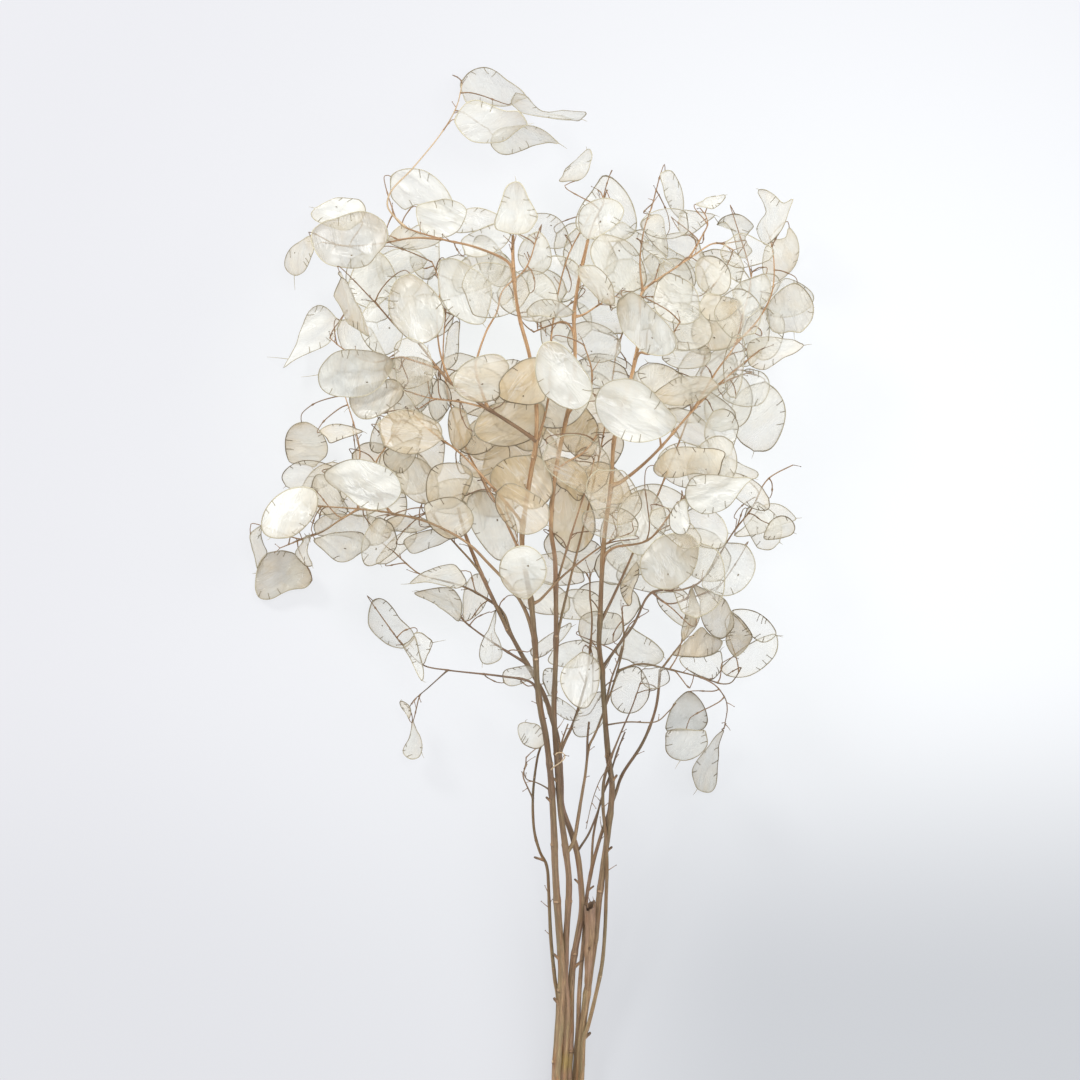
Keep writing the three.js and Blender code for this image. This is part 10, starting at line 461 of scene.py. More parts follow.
# opacity, warmth, pearl and shade of single pods; the shade is partly the pod's own duller tone and partly painted
# shade, the pearl partly painted sheen
TONES = {
    88: (0.8, 0.44, 0, 0.62),
    75: (0.72, 0.4, 0, 0.9),
    22: (0.82, 0.36, 0, 0.68),
    87: (0.72, 0.45, 0, 0.9),
    143: (0.66, 0.05, 0.15, 0.64),
    144: (0.6, 0, 0.2, 0.7),
    145: (0.66, 0.15, 0.1, 0.7),
    108: (0.62, 0.72, 0, 0.92),
    157: (0.78, 0.98, 0, 0.9),
    111: (0.8, 1, 0, 0.74),
    156: (0.6, 0.45, 0.15, 0.92),
    107: (0.72, 0.95, 0, 0.88),
    101: (0.6, 0.42, 0.1, 0.86),
    121: (0.7, 0.06, 0.5, 1),
    131: (0.72, 0.8, 0, 0.64),
    132: (0.7, 0.85, 0, 0.64),
    133: (0.8, 0.75, 0, 0.68),
    130: (0.72, 0.55, 0.05, 0.64),
    128: (0.26, 0, 0.2, 1),
    129: (0.26, 0, 0.2, 1),
    135: (0.3, 0, 0.25, 1),
    123: (0.46, 0, 0.45, 0.84),
    91: (0.46, 0, 0.25, 0.86),
    92: (0.44, 0, 0.2, 0.92),
    93: (0.4, 0, 0.2, 0.97),
    94: (0.7, 0.3, 0, 0.88),
    95: (0.66, 0.2, 0, 0.88),
    96: (0.62, 0.12, 0.15, 0.93),
    97: (0.74, 0.32, 0, 0.86),
    98: (0.46, 0.05, 0.3, 0.97),
    1: (0.46, 0.1, 0.4, 0.78),
    2: (0.56, 0.2, 0.45, 0.78),
    3: (0.6, 0.18, 0.2, 0.78),
    4: (0.55, 0.1, 0.3, 0.79),
    5: (0.58, 0.15, 0.2, 0.95),
    6: (0.72, 0.1, 0.3, 0.85),
    35: (0.74, 0.3, 0.25, 0.92),
    53: (0.64, 0.62, 0, 0.88),
    54: (0.66, 0.55, 0.15, 0.96),
    65: (0.62, 0.45, 0.1, 0.98),
    117: (0.72, 0.55, 0.05, 0.92),
    57: (0.66, 0.4, 0.05, 0.92),
    51: (0.6, 0.4, 0.3, 0.95),
    52: (0.46, 0.3, 0.1, 0.92),
    59: (0.5, 0.1, 0.2, 0.9),
    61: (0.56, 0.3, 0.1, 0.74),
    63: (0.5, 0.25, 0.2, 0.97),
    64: (0.34, 0.05, 0.4, 1),
    17: (0.66, 0, 0.5, 0.86),
    18: (0.74, 0.2, 0.42, 0.78),
    10: (0.68, 0.3, 0.32, 0.66),
    11: (0.62, 0.35, 0.05, 0.92),
    21: (0.8, 0.17, 0.38, 0.84),
    69: (0.78, 0.12, 0.36, 0.86),
    14: (0.8, 0.4, 0, 0.88),
    16: (0.66, 0.35, 0.05, 0.92),
    79: (0.84, 0.18, 0.65, 0.96),
    78: (0.93, 0, 1, 1),
    66: (0.93, 0.05, 0.88, 0.93),
    67: (0.9, 0.08, 0.75, 0.86),
    68: (0.78, 0.42, 0.75, 1),
    118: (0.95, 0.04, 1, 1),
    119: (0.92, 0.08, 1, 1),
    122: (0.84, 0.38, 0.38, 0.67),
    100: (0.82, 0.1, 0.3, 0.8),
    9: (0.85, 0.05, 1, 1),
    13: (0.7, 0.08, 0.9, 1),
    8: (0.56, 0.02, 0.7, 1),
    19: (0.55, 0.1, 0.7, 1),
    37: (0.64, 0.06, 0.45, 0.91),
    38: (0.42, 0.06, 0.35, 1),
    42: (0.55, 0.15, 0.2, 0.96),
    43: (0.5, 0.1, 0.2, 0.95),
    44: (0.46, 0.15, 0.2, 0.98),
    56: (0.55, 0.12, 0.3, 0.97),
    55: (0.58, 0.1, 0.3, 0.97),
    90: (0.6, 0.35, 0, 0.88),
    89: (0.6, 0.3, 0.1, 0.93),
    81: (0.56, 0.42, 0.1, 0.93),
    82: (0.66, 0.25, 0.1, 0.92),
    85: (0.55, 0.5, 0, 0.93),
    86: (0.6, 0.3, 0, 0.93),
    113: (0.68, 0.22, 0.3, 0.86),
    103: (0.6, 0.35, 0, 0.93),
    76: (0.58, 0.45, 0.1, 0.95),
    125: (0.66, 0.25, 0, 0.88),
    124: (0.36, 0.3, 0.2, 1),
    148: (0.62, 0.05, 0.3, 0.93),
    150: (0.5, 0, 0.4, 0.97),
    138: (0.62, 0.1, 0.35, 0.96),
    136: (0.55, 0.05, 0.3, 0.96),
    137: (0.62, 0.15, 0.2, 0.94),
    141: (0.36, 0.1, 0.3, 1),
    142: (0.3, 0, 0.3, 1),
    153: (0.66, 0.6, 0, 0.88),
    46: (0.55, 0.2, 0.2, 0.97),
    41: (0.42, 0, 0.35, 1),
    48: (0.5, 0.12, 0.2, 0.96),
    112: (0.8, 1, 0, 0.78),
    114: (0.74, 1, 0.05, 0.84),
    154: (0.5, 0.1, 0.35, 1),
    155: (0.5, 0.12, 0.35, 1),
    104: (0.6, 0.35, 0.1, 0.88),
    218: (0.4, 0.5, 0.1, 0.98),
    219: (0.4, 0.5, 0.1, 0.98),
    262: (0.42, 0.18, 0.2, 1),
    261: (0.42, 0.15, 0.2, 1),
    236: (0.42, 0.12, 0.25, 1),
    239: (0.42, 0.12, 0.25, 1),
    222: (0.4, 0.1, 0.2, 1),
    23: (0.78, 0.42, 0, 0.76),
    24: (0.66, 0.12, 0.1, 0.86),
    25: (0.55, 0.08, 0.4, 1),
    40: (0.44, 0.08, 0.3, 0.98),
    39: (0.4, 0.05, 0.3, 1),
    36: (0.42, 0.1, 0.2, 1),
    252: (0.34, 0.05, 0.3, 1),
    251: (0.34, 0.05, 0.3, 1),
    257: (0.34, 0.05, 0.3, 1),
    226: (0.36, 0.1, 0.2, 1),
    228: (0.36, 0.1, 0.2, 1),
    47: (0.42, 0.12, 0.2, 1),
    49: (0.42, 0.12, 0.2, 1),
    31: (0.4, 0.06, 0.3, 1),
    258: (0.34, 0.05, 0.3, 1),
    34: (0.46, 0.18, 0.25, 1),
    71: (0.46, 0.15, 0.25, 1),
    70: (0.42, 0.15, 0.3, 1),
    208: (0.36, 0.12, 0.2, 1),
    206: (0.36, 0.12, 0.2, 1),
    256: (0.36, 0.12, 0.2, 1),
    246: (0.52, 0.75, 0, 0.84),
    202: (0.56, 0.75, 0.05, 0.88),
}
# seed stains: pod, x, y in the picture
SPECKS = [(21, 367, 382), (91, 382, 626), (17, 470, 300), (113, 497, 520), (156, 483, 383), (100, 528, 566), (121, 655, 528), (82, 345, 549), (35, 608, 294), (54, 715, 338), (123, 738, 575), (52, 728, 262), (37, 600, 222), (69, 652, 338), (10, 352, 256)]


# ------------------------------------------------------------ small helpers
def unit(a):
    a = np.asarray(a, float)
    n = np.linalg.norm(a, axis=-1, keepdims=True)
    return a / np.maximum(n, 1e-9)


def smooth(points, step, keep=None):
    """Points every `step` along a centripetal Catmull-Rom curve; further columns are carried along."""
    p = np.asarray(points, float)
    n = len(p)
    if n == 2:
        t = np.linspace(0, 1, max(2, int(np.linalg.norm(p[1, :3] - p[0, :3]) / step) + 1))[:, None]
        return p[0] * (1 - t) + p[1] * t
    out = []
    for i in range(n - 1):
        a, b, c, d = p[max(i - 1, 0)], p[i], p[i + 1], p[min(i + 2, n - 1)]
        m = max(2, int(math.ceil(np.linalg.norm(c[:3] - b[:3]) / step * 2)))
        t = np.linspace(0, 1, m, endpoint=False)[:, None]
        out.append(0.5 * (2 * b + (c - a) * t + (2 * a - 5 * b + 4 * c - d) * t ** 2 + (3 * b - a - 3 * c + d) * t ** 3))
    out.append(p[-1:])
    q = np.concatenate(out)
    s = np.concatenate([[0], np.cumsum(np.linalg.norm(np.diff(q[:, :3], axis=0), axis=1))])
    k = max(3, int(round(s[-1] / step)) + 1)
    at = np.linspace(0, s[-1], k)
    return np.stack([np.interp(at, s, q[:, j]) for j in range(q.shape[1])], -1)


def arc(p):
    return np.concatenate([[0], np.cumsum(np.linalg.norm(np.diff(p, axis=0), axis=1))])


def frames(p):
    """Unit tangents and two normals carried along a path without twist."""
    t = np.gradient(p, axis=0)
    t = unit(t)
    a = np.zeros_like(p)
    ref = np.array([0.0, 0.0, 1.0]) if abs(t[0, 2]) < 0.9 else np.array([1.0, 0.0, 0.0])
    a[0] = unit(np.cross(np.cross(t[0], ref), t[0]))
    for i in range(1, len(p)):
        v = a[i - 1] - t[i] * (a[i - 1] @ t[i])
        a[i] = unit(v)
    return t, a, np.cross(t, a)


class Builder:
    """Collects vertices, faces, UVs and tones of one piece."""

    def __init__(self):
        self.v, self.q, self.t, self.qm, self.tm, self.uv, self.tone = [], [], [], [], [], [], []
        self.n = 0

    def add(self, v, uv, tone, quads, tris, material):
        v = np.asarray(v, float)
        k = len(v)
        self.v.append(v)
        self.uv.append(np.asarray(uv, float))
        tone = np.asarray(tone, float)
        self.tone.append(np.broadcast_to(tone, (k, 4)).copy() if tone.ndim == 1 else tone)
        if len(quads):
            q = np.asarray(quads, int) + self.n
            self.q.append(q)
            self.qm.append(np.full(len(q), material))
        if len(tris):
            t = np.asarray(tris, int) + self.n
            self.t.append(t)
            self.tm.append(np.full(len(t), material))
        self.n += k

    def tube(self, p, r, sides, material, tone, ribs=0.0, phase=0.0, ribs_n=5, caps=(True, True), uscale=1.0, v0=0.0, squash=1.0):
        """A closed tube along p (mm) with radius r; round ends."""
        p = np.asarray(p, float)
        r = np.broadcast_to(np.asarray(r, float), (len(p),)).copy()
        t, a, b = frames(p)
        th = np.linspace(0, 2 * math.pi, sides, endpoint=False)
        s = arc(p)
        c, d = np.cos(th), np.sin(th) * squash
        rib = 1 + ribs * np.sin(ribs_n * th[None] + phase + 0.01 * s[:, None]) if ribs else np.ones((len(p), sides))
        v = p[:, None] + (r[:, None] * rib)[..., None] * (c[None, :, None] * a[:, None] + d[None, :, None] * b[:, None])
        uv = np.stack(np.broadcast_arrays(th[None] / (2 * math.pi) * uscale, (s[:, None] + v0) / 10.0), -1)
        tone = np.asarray(tone, float)
        if tone.ndim == 2:
            tt = np.repeat(tone, sides, axis=0)
        else:
            tt = np.broadcast_to(tone, (len(p) * sides, 4)).copy()
        n = len(p)
        i = np.arange(n - 1)[:, None] * sides
        j = np.arange(sides)[None]
        k = (j + 1) % sides
        quads = np.stack([i + j, i + k, i + sides + k, i + sides + j], -1).reshape(-1, 4)
        verts = v.reshape(-1, 3)
        uvs = uv.reshape(-1, 2)
        tris = []
        extra, euv, et = [], [], []
        m = len(verts)
        if caps[0]:
            extra.append(p[0] - t[0] * r[0] * 0.55)
            euv.append([0.5 * uscale, (v0 - r[0]) / 10.0])
            et.append(tt[0])
            jj = np.arange(sides)
            tris.append(np.stack([np.full(sides, m + len(extra) - 1), (jj + 1) % sides, jj], -1))
        if caps[1]:
            extra.append(p[-1] + t[-1] * r[-1] * 0.55)
            euv.append([0.5 * uscale, (v0 + s[-1] + r[-1]) / 10.0])
            et.append(tt[-1])
            jj = np.arange(sides)
            o = (n - 1) * sides
            tris.append(np.stack([np.full(sides, m + len(extra) - 1), o + jj, o + (jj + 1) % sides], -1))
        if extra:
            verts = np.concatenate([verts, np.array(extra)])
            uvs = np.concatenate([uvs, np.array(euv)])
            tt = np.concatenate([tt, np.array(et)])
        self.add(verts, uvs, tt, quads, np.concatenate(tris) if tris else [], material)

    def blob(self, centre, axes, material, tone, seg=8, rings=5, bump=None):
        """A small closed ellipsoid with the given half axes (3 x 3, rows)."""
        c = np.asarray(centre, float)
        ax = np.asarray(axes, float)
        la = np.linspace(0, math.pi, rings + 1)[1:-1]
        lo = np.linspace(0, 2 * math.pi, seg, endpoint=False)
        d = [np.stack([np.sin(la)[:, None] * np.cos(lo), np.sin(la)[:, None] * np.sin(lo), np.broadcast_to(np.cos(la)[:, None], (len(la), seg))], -1).reshape(-1, 3),
             np.array([[0, 0, 1.0], [0, 0, -1.0]])]
        d = np.concatenate(d)
        if bump is not None:
            d = d * (1 + bump(d))[:, None]
        v = c + d @ ax
        m = (len(la)) * seg
        q = []
        for i in range(len(la) - 1):
            for j in range(seg):
                q.append([i * seg + j, (i + 1) * seg + j, (i + 1) * seg + (j + 1) % seg, i * seg + (j + 1) % seg])
        t = [[m, j, (j + 1) % seg] for j in range(seg)] + [[m + 1, (len(la) - 1) * seg + (j + 1) % seg, (len(la) - 1) * seg + j] for j in range(seg)]
        self.add(v, d[:, :2] * 0.1, tone, q, t, material)

    def piece(self, name, materials, nodes):
        v = (np.concatenate(self.v) + OFFSET) * MM
        v[:, 2] = np.maximum(v[:, 2], 0.0001)
        uv = np.concatenate(self.uv)
        tone = np.concatenate(self.tone)
        q = np.concatenate(self.q) if self.q else np.zeros((0, 4), int)
        t = np.concatenate(self.t) if self.t else np.zeros((0, 3), int)
        mat = np.concatenate([np.concatenate(self.qm) if self.qm else [], np.concatenate(self.tm) if self.tm else []]).astype(np.int32)
        me = bpy.data.meshes.new(name)
        me.vertices.add(len(v))
        me.vertices.foreach_set("co", v.astype(np.float32).ravel())
        loops = np.concatenate([q.ravel(), t.ravel()]).astype(np.int32)
        me.loops.add(len(loops))
        me.loops.foreach_set("vertex_index", loops)
        starts = np.concatenate([np.arange(len(q)) * 4, len(q) * 4 + np.arange(len(t)) * 3]).astype(np.int32)
        me.polygons.add(len(starts))
        me.polygons.foreach_set("loop_start", starts)
        for m in materials:
            me.materials.append(m)
        me.polygons.foreach_set("material_index", mat)
        me.polygons.foreach_set("use_smooth", np.ones(len(starts), bool))
        layer = me.uv_layers.new(name="UVMap")
        layer.data.foreach_set("uv", uv[loops].astype(np.float32).ravel())
        att = me.attributes.new("tone", "FLOAT_COLOR", "POINT")
        att.data.foreach_set("color", tone.astype(np.float32).ravel())
        me.update(calc_edges=True)
        ob = bpy.data.objects.new(name, me)
        bpy.context.scene.collection.objects.link(ob)
        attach(ob, "root")
        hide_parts(*nodes)
        return ob

    def count(self):
        return sum(len(x) for x in self.q) * 2 + sum(len(x) for x in self.t)


# ------------------------------------------------------------------ shaders
def nodes_of(name):
    m = bpy.data.materials.new(name)
    m.use_nodes = True
    nt = m.node_tree
    nt.nodes.clear()
    out = nt.nodes.new("ShaderNodeOutputMaterial")
    return m, nt, out


class Graph:
    """A little sugar for wiring nodes."""

    def __init__(self, nt):
        self.nt = nt

    def node(self, kind, **kw):
        n = self.nt.nodes.new(kind)
        for k, v in kw.items():
            setattr(n, k, v)
        return n

    def put(self, socket, value):
        if isinstance(value, bpy.types.NodeSocket):
            self.nt.links.new(value, socket)
        else:
            socket.default_value = value

    def uv(self, scale=(1, 1, 1), loc=(0, 0, 0)):
        tc = self.node("ShaderNodeTexCoord")
        mp = self.node("ShaderNodeMapping")
        self.put(mp.inputs["Vector"], tc.outputs["UV"])
        mp.inputs["Scale"].default_value = scale
        mp.inputs["Location"].default_value = loc
        return mp.outputs["Vector"]

    def noise(self, vec, scale, detail=3.0, rough=0.55, distort=0.0, dim="3D"):
        n = self.node("ShaderNodeTexNoise", noise_dimensions=dim)
        self.put(n.inputs["Vector"], vec)
        n.inputs["Scale"].default_value = scale
        n.inputs["Detail"].default_value = detail
        n.inputs["Roughness"].default_value = rough
        n.inputs["Distortion"].default_value = distort
        return n.outputs["Fac"]

    def math(self, op, a, b=0.0, c=0.0, clamp=False):
        n = self.node("ShaderNodeMath", operation=op, use_clamp=clamp)
        self.put(n.inputs[0], a)
        self.put(n.inputs[1], b)
        self.put(n.inputs[2], c)
        return n.outputs[0]

    def mix(self, fac, a, b, blend="MIX"):
        n = self.node("ShaderNodeMix", data_type="RGBA", blend_type=blend)
        self.put(n.inputs["Factor"], fac)
        self.put(n.inputs[6], a)
        self.put(n.inputs[7], b)
        return n.outputs[2]

    def ramp(self, fac, stops, interp="LINEAR"):
        n = self.node("ShaderNodeValToRGB")
        n.color_ramp.interpolation = interp
        e = n.color_ramp.elements
        while len(e) < len(stops):
            e.new(0.5)
        for s, (p, c) in zip(e, stops):
            s.position = p
            s.color = c if len(c) == 4 else (*c, 1)
        self.put(n.inputs[0], fac)
        return n.outputs[0]

    def tone(self):
        a = self.node("ShaderNodeAttribute", attribute_name="tone")
        s = self.node("ShaderNodeSeparateColor")
        self.put(s.inputs[0], a.outputs["Color"])
        return s.outputs[0], s.outputs[1], s.outputs[2], a.outputs["Alpha"]


def lin(r, g, b):
    """sRGB 0..255 to linear."""
    f = lambda c: (c / 255 / 12.92) if c / 255 <= 0.04045 else ((c / 255 + 0.055) / 1.055) ** 2.4
    return (f(r), f(g), f(b), 1.0)


def membrane_material():
    m, nt, out = nodes_of("silvery_membrane")
    g = Graph(nt)
    opacity, warmth, pearl_and_sheen, shade = g.tone()
    cloud = g.noise(g.uv((0.9, 1.7, 1.0)), 1.7, 1.6, 0.45, 0.5)
    patch = g.ramp(cloud, [(0.33, (0, 0, 0)), (0.50, (0.5, 0.5, 0.5)), (0.67, (1, 1, 1))])
    crease = g.noise(g.uv((0.8, 2.6, 1.0), (5.3, 8.1, 0)), 2.7, 2.6, 0.50, 0.9)
    ridge = g.math("MULTIPLY", g.math("ABSOLUTE", g.math("SUBTRACT", crease, 0.5)), 3.4, clamp=True)
    fibres = g.noise(g.uv((1.0, 5.0, 1.0), (3.1, 1.7, 0)), 7.0, 2.0, 0.5, 0.3, "2D")
    mottle = g.noise(g.uv((1.0, 1.4, 1.0), (7.7, 2.2, 0)), 3.1, 2.0, 0.5, 0.3, "2D")
    cells = g.node("ShaderNodeTexVoronoi", feature="DISTANCE_TO_EDGE", voronoi_dimensions="2D")
    g.put(cells.inputs["Vector"], g.uv((1.0, 1.7, 1.0), (1.3, 4.1, 0)))
    cells.inputs["Scale"].default_value = 8.0
    cells.inputs["Randomness"].default_value = 1.0
    veins = g.ramp(cells.outputs["Distance"], [(0.0, (1, 1, 1)), (0.03, (0.25, 0.25, 0.25)), (0.08, (0, 0, 0))])
    # silky lines that run together in places: raised, a little thicker and painted near white, a painted highlight
    # along the creases
    line = g.noise(g.uv((0.7, 2.3, 1.0), (2.4, 6.6, 0)), 2.5, 2.4, 0.5, 0.9)
    line = g.ramp(g.math("ABSOLUTE", g.math("SUBTRACT", line, 0.5)), [(0.0, (1, 1, 1)), (0.010, (0.75, 0.75, 0.75)), (0.045, (0, 0, 0))])
    where = g.ramp(g.noise(g.uv((1.0, 1.3, 1.0), (9.1, 3.3, 0)), 2.0, 2.0, 0.5, 0.4, "2D"), [(0.46, (0, 0, 0)), (0.62, (1, 1, 1))])
    wisp_highlights = g.math("MULTIPLY", line, g.math("MULTIPLY", where, g.math("ADD", g.math("MULTIPLY", pearl_and_sheen, 0.55), 0.38)))
    # colour: olive grey to tan, and pearly white in the thick cloudy patches, partly the film's own silver and partly
    # painted sheen
    warm = g.math("ADD", warmth, g.math("MULTIPLY", g.math("SUBTRACT", mottle, 0.5), 0.8), clamp=True)
    thin = g.mix(warm, lin(236, 237, 230), lin(237, 211, 166))
    shine = g.math("ADD", pearl_and_sheen, g.math("MULTIPLY", g.math("SUBTRACT", patch, 0.5), 0.8), clamp=True)
    white = g.mix(warm, lin(248, 248, 243), lin(246, 242, 228))
    colour = g.mix(shine, thin, white)
    # painted shade along the crease lines
    colour = g.mix(g.math("MULTIPLY", g.math("SUBTRACT", 1.0, ridge, clamp=True), 0.13), colour, lin(196, 192, 174))
    # painted sheen: a little darker between the cloudy patches
    colour = g.mix(1.0, colour, g.ramp(patch, [(0.0, (0.86, 0.86, 0.86)), (1.0, (1, 1, 1))]), "MULTIPLY")
    # painted highlight: the wisp lines mixed towards white
    colour = g.mix(wisp_highlights, colour, lin(255, 255, 252))
    colour = g.mix(g.math("MULTIPLY", veins, 0.13), colour, lin(158, 136, 100))
    # darkened by the pod's shade value: partly its own duller tone, partly painted shade
    colour = g.mix(1.0, colour, shade, "MULTIPLY")
    # the film is thicker in its pearly patches, folds and veins
    o = g.math("ADD", opacity, g.math("MULTIPLY", g.math("SUBTRACT", patch, 0.5), 0.26))
    o = g.math("ADD", o, g.math("MULTIPLY", g.math("SUBTRACT", crease, 0.5), 0.36))
    o = g.math("ADD", o, g.math("MULTIPLY", g.math("SUBTRACT", fibres, 0.5), 0.10))
    o = g.math("ADD", o, g.math("MULTIPLY", veins, 0.08))
    o = g.math("ADD", o, g.math("MULTIPLY", wisp_highlights, 0.30))
    o = g.math("MINIMUM", g.math("MAXIMUM", o, 0.12), 0.96)
    height = g.math("ADD", g.math("MULTIPLY", crease, 1.0), g.math("MULTIPLY", fibres, 0.06))
    height = g.math("ADD", height, g.math("MULTIPLY", ridge, 0.35))
    height = g.math("ADD", height, g.math("MULTIPLY", wisp_highlights, 0.25))
    bump = g.node("ShaderNodeBump")
    bump.inputs["Strength"].default_value = 0.42
    bump.inputs["Distance"].default_value = 0.0035
    g.put(bump.inputs["Height"], height)
    p = g.node("ShaderNodeBsdfPrincipled")
    g.put(p.inputs["Base Color"], colour)
    g.put(p.inputs["Roughness"], g.math("ADD", g.math("MULTIPLY", mottle, 0.25), 0.2))
    p.inputs["Specular IOR Level"].default_value = 0.7
    g.put(p.inputs["Normal"], bump.outputs["Normal"])
    tr = g.node("ShaderNodeBsdfTranslucent")
    g.put(tr.inputs["Color"], g.mix(1.0, colour, lin(255, 252, 246), "MULTIPLY"))
    g.put(tr.inputs["Normal"], bump.outputs["Normal"])
    body = g.node("ShaderNodeMixShader")
    body.inputs[0].default_value = 0.42
    g.put(body.inputs[1], p.outputs[0])
    g.put(body.inputs[2], tr.outputs[0])
    clear = g.node("ShaderNodeBsdfTransparent")
    clear.inputs["Color"].default_value = (0.997, 0.991, 0.978, 1)
    mix = g.node("ShaderNodeMixShader")
    g.put(mix.inputs[0], o)
    g.put(mix.inputs[1], clear.outputs[0])
    g.put(mix.inputs[2], body.outputs[0])
    g.put(out.inputs["Surface"], mix.outputs[0])
    return m


def rim_material():
    """The wiry frame of a pod, its short seed stalks and its beak."""
    m, nt, out = nodes_of("olive_rim")
    g = Graph(nt)
    dark, warmth, pearl_and_sheen, shade = g.tone()
    n = g.noise(g.uv((2.0, 1.0, 1.0)), 3.0, 3.0, 0.6)
    base = g.mix(dark, lin(196, 189, 165), lin(92, 77, 56))
    base = g.mix(g.math("MULTIPLY", n, 0.35), base, lin(150, 134, 102))
    bump = g.node("ShaderNodeBump")
    bump.inputs["Strength"].default_value = 0.4
    bump.inputs["Distance"].default_value = 0.0002
    g.put(bump.inputs["Height"], g.noise(g.uv((6.0, 3.0, 1.0)), 8.0, 2.0))
    p = g.node("ShaderNodeBsdfPrincipled")
    g.put(p.inputs["Base Color"], base)
    g.put(p.inputs["Roughness"], g.math("ADD", g.math("MULTIPLY", n, 0.25), 0.42))
    p.inputs["Specular IOR Level"].default_value = 0.4
    g.put(p.inputs["Normal"], bump.outputs["Normal"])
    g.put(out.inputs["Surface"], p.outputs[0])
    return m


def bark_material(name, fine):
    """Dry bark: tan with lengthwise streaks, greyer low down and more orange higher up."""
    m, nt, out = nodes_of(name)
    g = Graph(nt)
    height, dark, scar, shade = g.tone()
    streak = g.noise(g.uv((2.6 if not fine else 1.6, 0.20, 1.0)), 5.0, 4.0, 0.60, 0.25)
    streak = g.ramp(streak, [(0.33, (0, 0, 0)), (0.66, (1, 1, 1))])
    patch = g.noise(g.uv((1.0, 0.10, 1.0), (4, 9, 0)), 3.0, 3.0, 0.55)
    speck = g.noise(g.uv((7.0, 2.4, 1.0), (2, 5, 0)), 6.0, 2.0, 0.5)
    low = g.mix(streak, lin(104, 77, 52), lin(174, 144, 106))
    high = g.mix(streak, lin(150, 108, 70), lin(214, 176, 134))
    c = g.mix(height, low, high)
    mauve = g.math("MULTIPLY", g.math("MULTIPLY", g.ramp(patch, [(0.40, (0.15, 0.15, 0.15)), (0.60, (1, 1, 1))]), shade, clamp=True), g.math("SUBTRACT", 1.0, height, clamp=True))
    c = g.mix(g.math("MULTIPLY", mauve, 0.80), c, lin(170, 136, 116))
    olive = g.math("MULTIPLY", g.math("MULTIPLY", g.ramp(patch, [(0.42, (1, 1, 1)), (0.58, (0.1, 0.1, 0.1))]), g.math("SUBTRACT", 1.15, shade, clamp=True), clamp=True), g.math("SUBTRACT", 1.0, height, clamp=True))
    c = g.mix(g.math("MULTIPLY", olive, 0.70), c, lin(142, 130, 96))
    # pale raised fibres and dark furrows: partly the bark's own streaks, partly painted highlight on the raised fibres
    # and painted shade in the furrows
    grain = g.noise(g.uv((4.2 if not fine else 2.4, 0.16, 1.0), (6, 1, 0)), 6.0, 3.0, 0.6, 0.2)
    c = g.mix(g.ramp(grain, [(0.58, (0, 0, 0)), (0.70, (0.55, 0.55, 0.55))]), c, lin(198, 168, 128))
    c = g.mix(g.ramp(grain, [(0.30, (0.65, 0.65, 0.65)), (0.42, (0, 0, 0))]), c, lin(92, 68, 46))
    rust = g.noise(g.uv((1.3, 0.13, 1.0), (11, 3, 0)), 3.4, 3.0, 0.55)
    c = g.mix(g.ramp(rust, [(0.52, (0, 0, 0)), (0.64, (0.6, 0.6, 0.6))]), c, lin(138, 92, 52))
    moss = g.math("MULTIPLY", g.math("SUBTRACT", shade, 1.0, clamp=True), g.ramp(speck, [(0.38, (0, 0, 0)), (0.52, (1, 1, 1))]))
    c = g.mix(moss, c, lin(158, 138, 66))
    c = g.mix(g.ramp(speck, [(0.30, (0.55, 0.55, 0.55)), (0.38, (0, 0, 0))]), c, lin(92, 68, 48))
    c = g.mix(g.math("MULTIPLY", dark, 0.8, clamp=True), c, lin(70, 58, 49))
    c = g.mix(scar, c, lin(216, 194, 160))
    bump = g.node("ShaderNodeBump")
    bump.inputs["Strength"].default_value = 0.65
    bump.inputs["Distance"].default_value = 0.0005 if not fine else 0.0002
    g.put(bump.inputs["Height"], g.math("ADD", g.math("MULTIPLY", grain, 1.6), g.math("ADD", streak, g.math("MULTIPLY", speck, 0.4))))
    p = g.node("ShaderNodeBsdfPrincipled")
    g.put(p.inputs["Base Color"], c)
    g.put(p.inputs["Roughness"], g.math("ADD", g.math("MULTIPLY", streak, 0.2), 0.52))
    p.inputs["Specular IOR Level"].default_value = 0.35
    g.put(p.inputs["Normal"], bump.outputs["Normal"])
    g.put(out.inputs["Surface"], p.outputs[0])
    return m


def wood_material():
    """The cut faces: pale wood with a darker ring and a soft brown pith."""
    m, nt, out = nodes_of("cut_wood")
    g = Graph(nt)
    ring, dark, scar, shade = g.tone()
    rays = g.noise(g.uv((5.0, 5.0, 1.0)), 6.0, 4.0, 0.6)
    c = g.ramp(ring, [(0.0, lin(96, 70, 48)), (0.16, lin(122, 92, 64)), (0.24, lin(206, 178, 136)), (0.55, lin(190, 158, 116)), (0.62, lin(212, 186, 144)), (0.86, lin(180, 148, 108)), (1.0, lin(112, 84, 60))])
    c = g.mix(g.math("MULTIPLY", rays, 0.5), c, lin(150, 120, 84))
    bump = g.node("ShaderNodeBump")
    bump.inputs["Strength"].default_value = 0.5
    bump.inputs["Distance"].default_value = 0.0004
    g.put(bump.inputs["Height"], rays)
    p = g.node("ShaderNodeBsdfPrincipled")
    g.put(p.inputs["Base Color"], c)
    p.inputs["Roughness"].default_value = 0.8
    g.put(p.inputs["Normal"], bump.outputs["Normal"])
    g.put(out.inputs["Surface"], p.outputs[0])
    return m


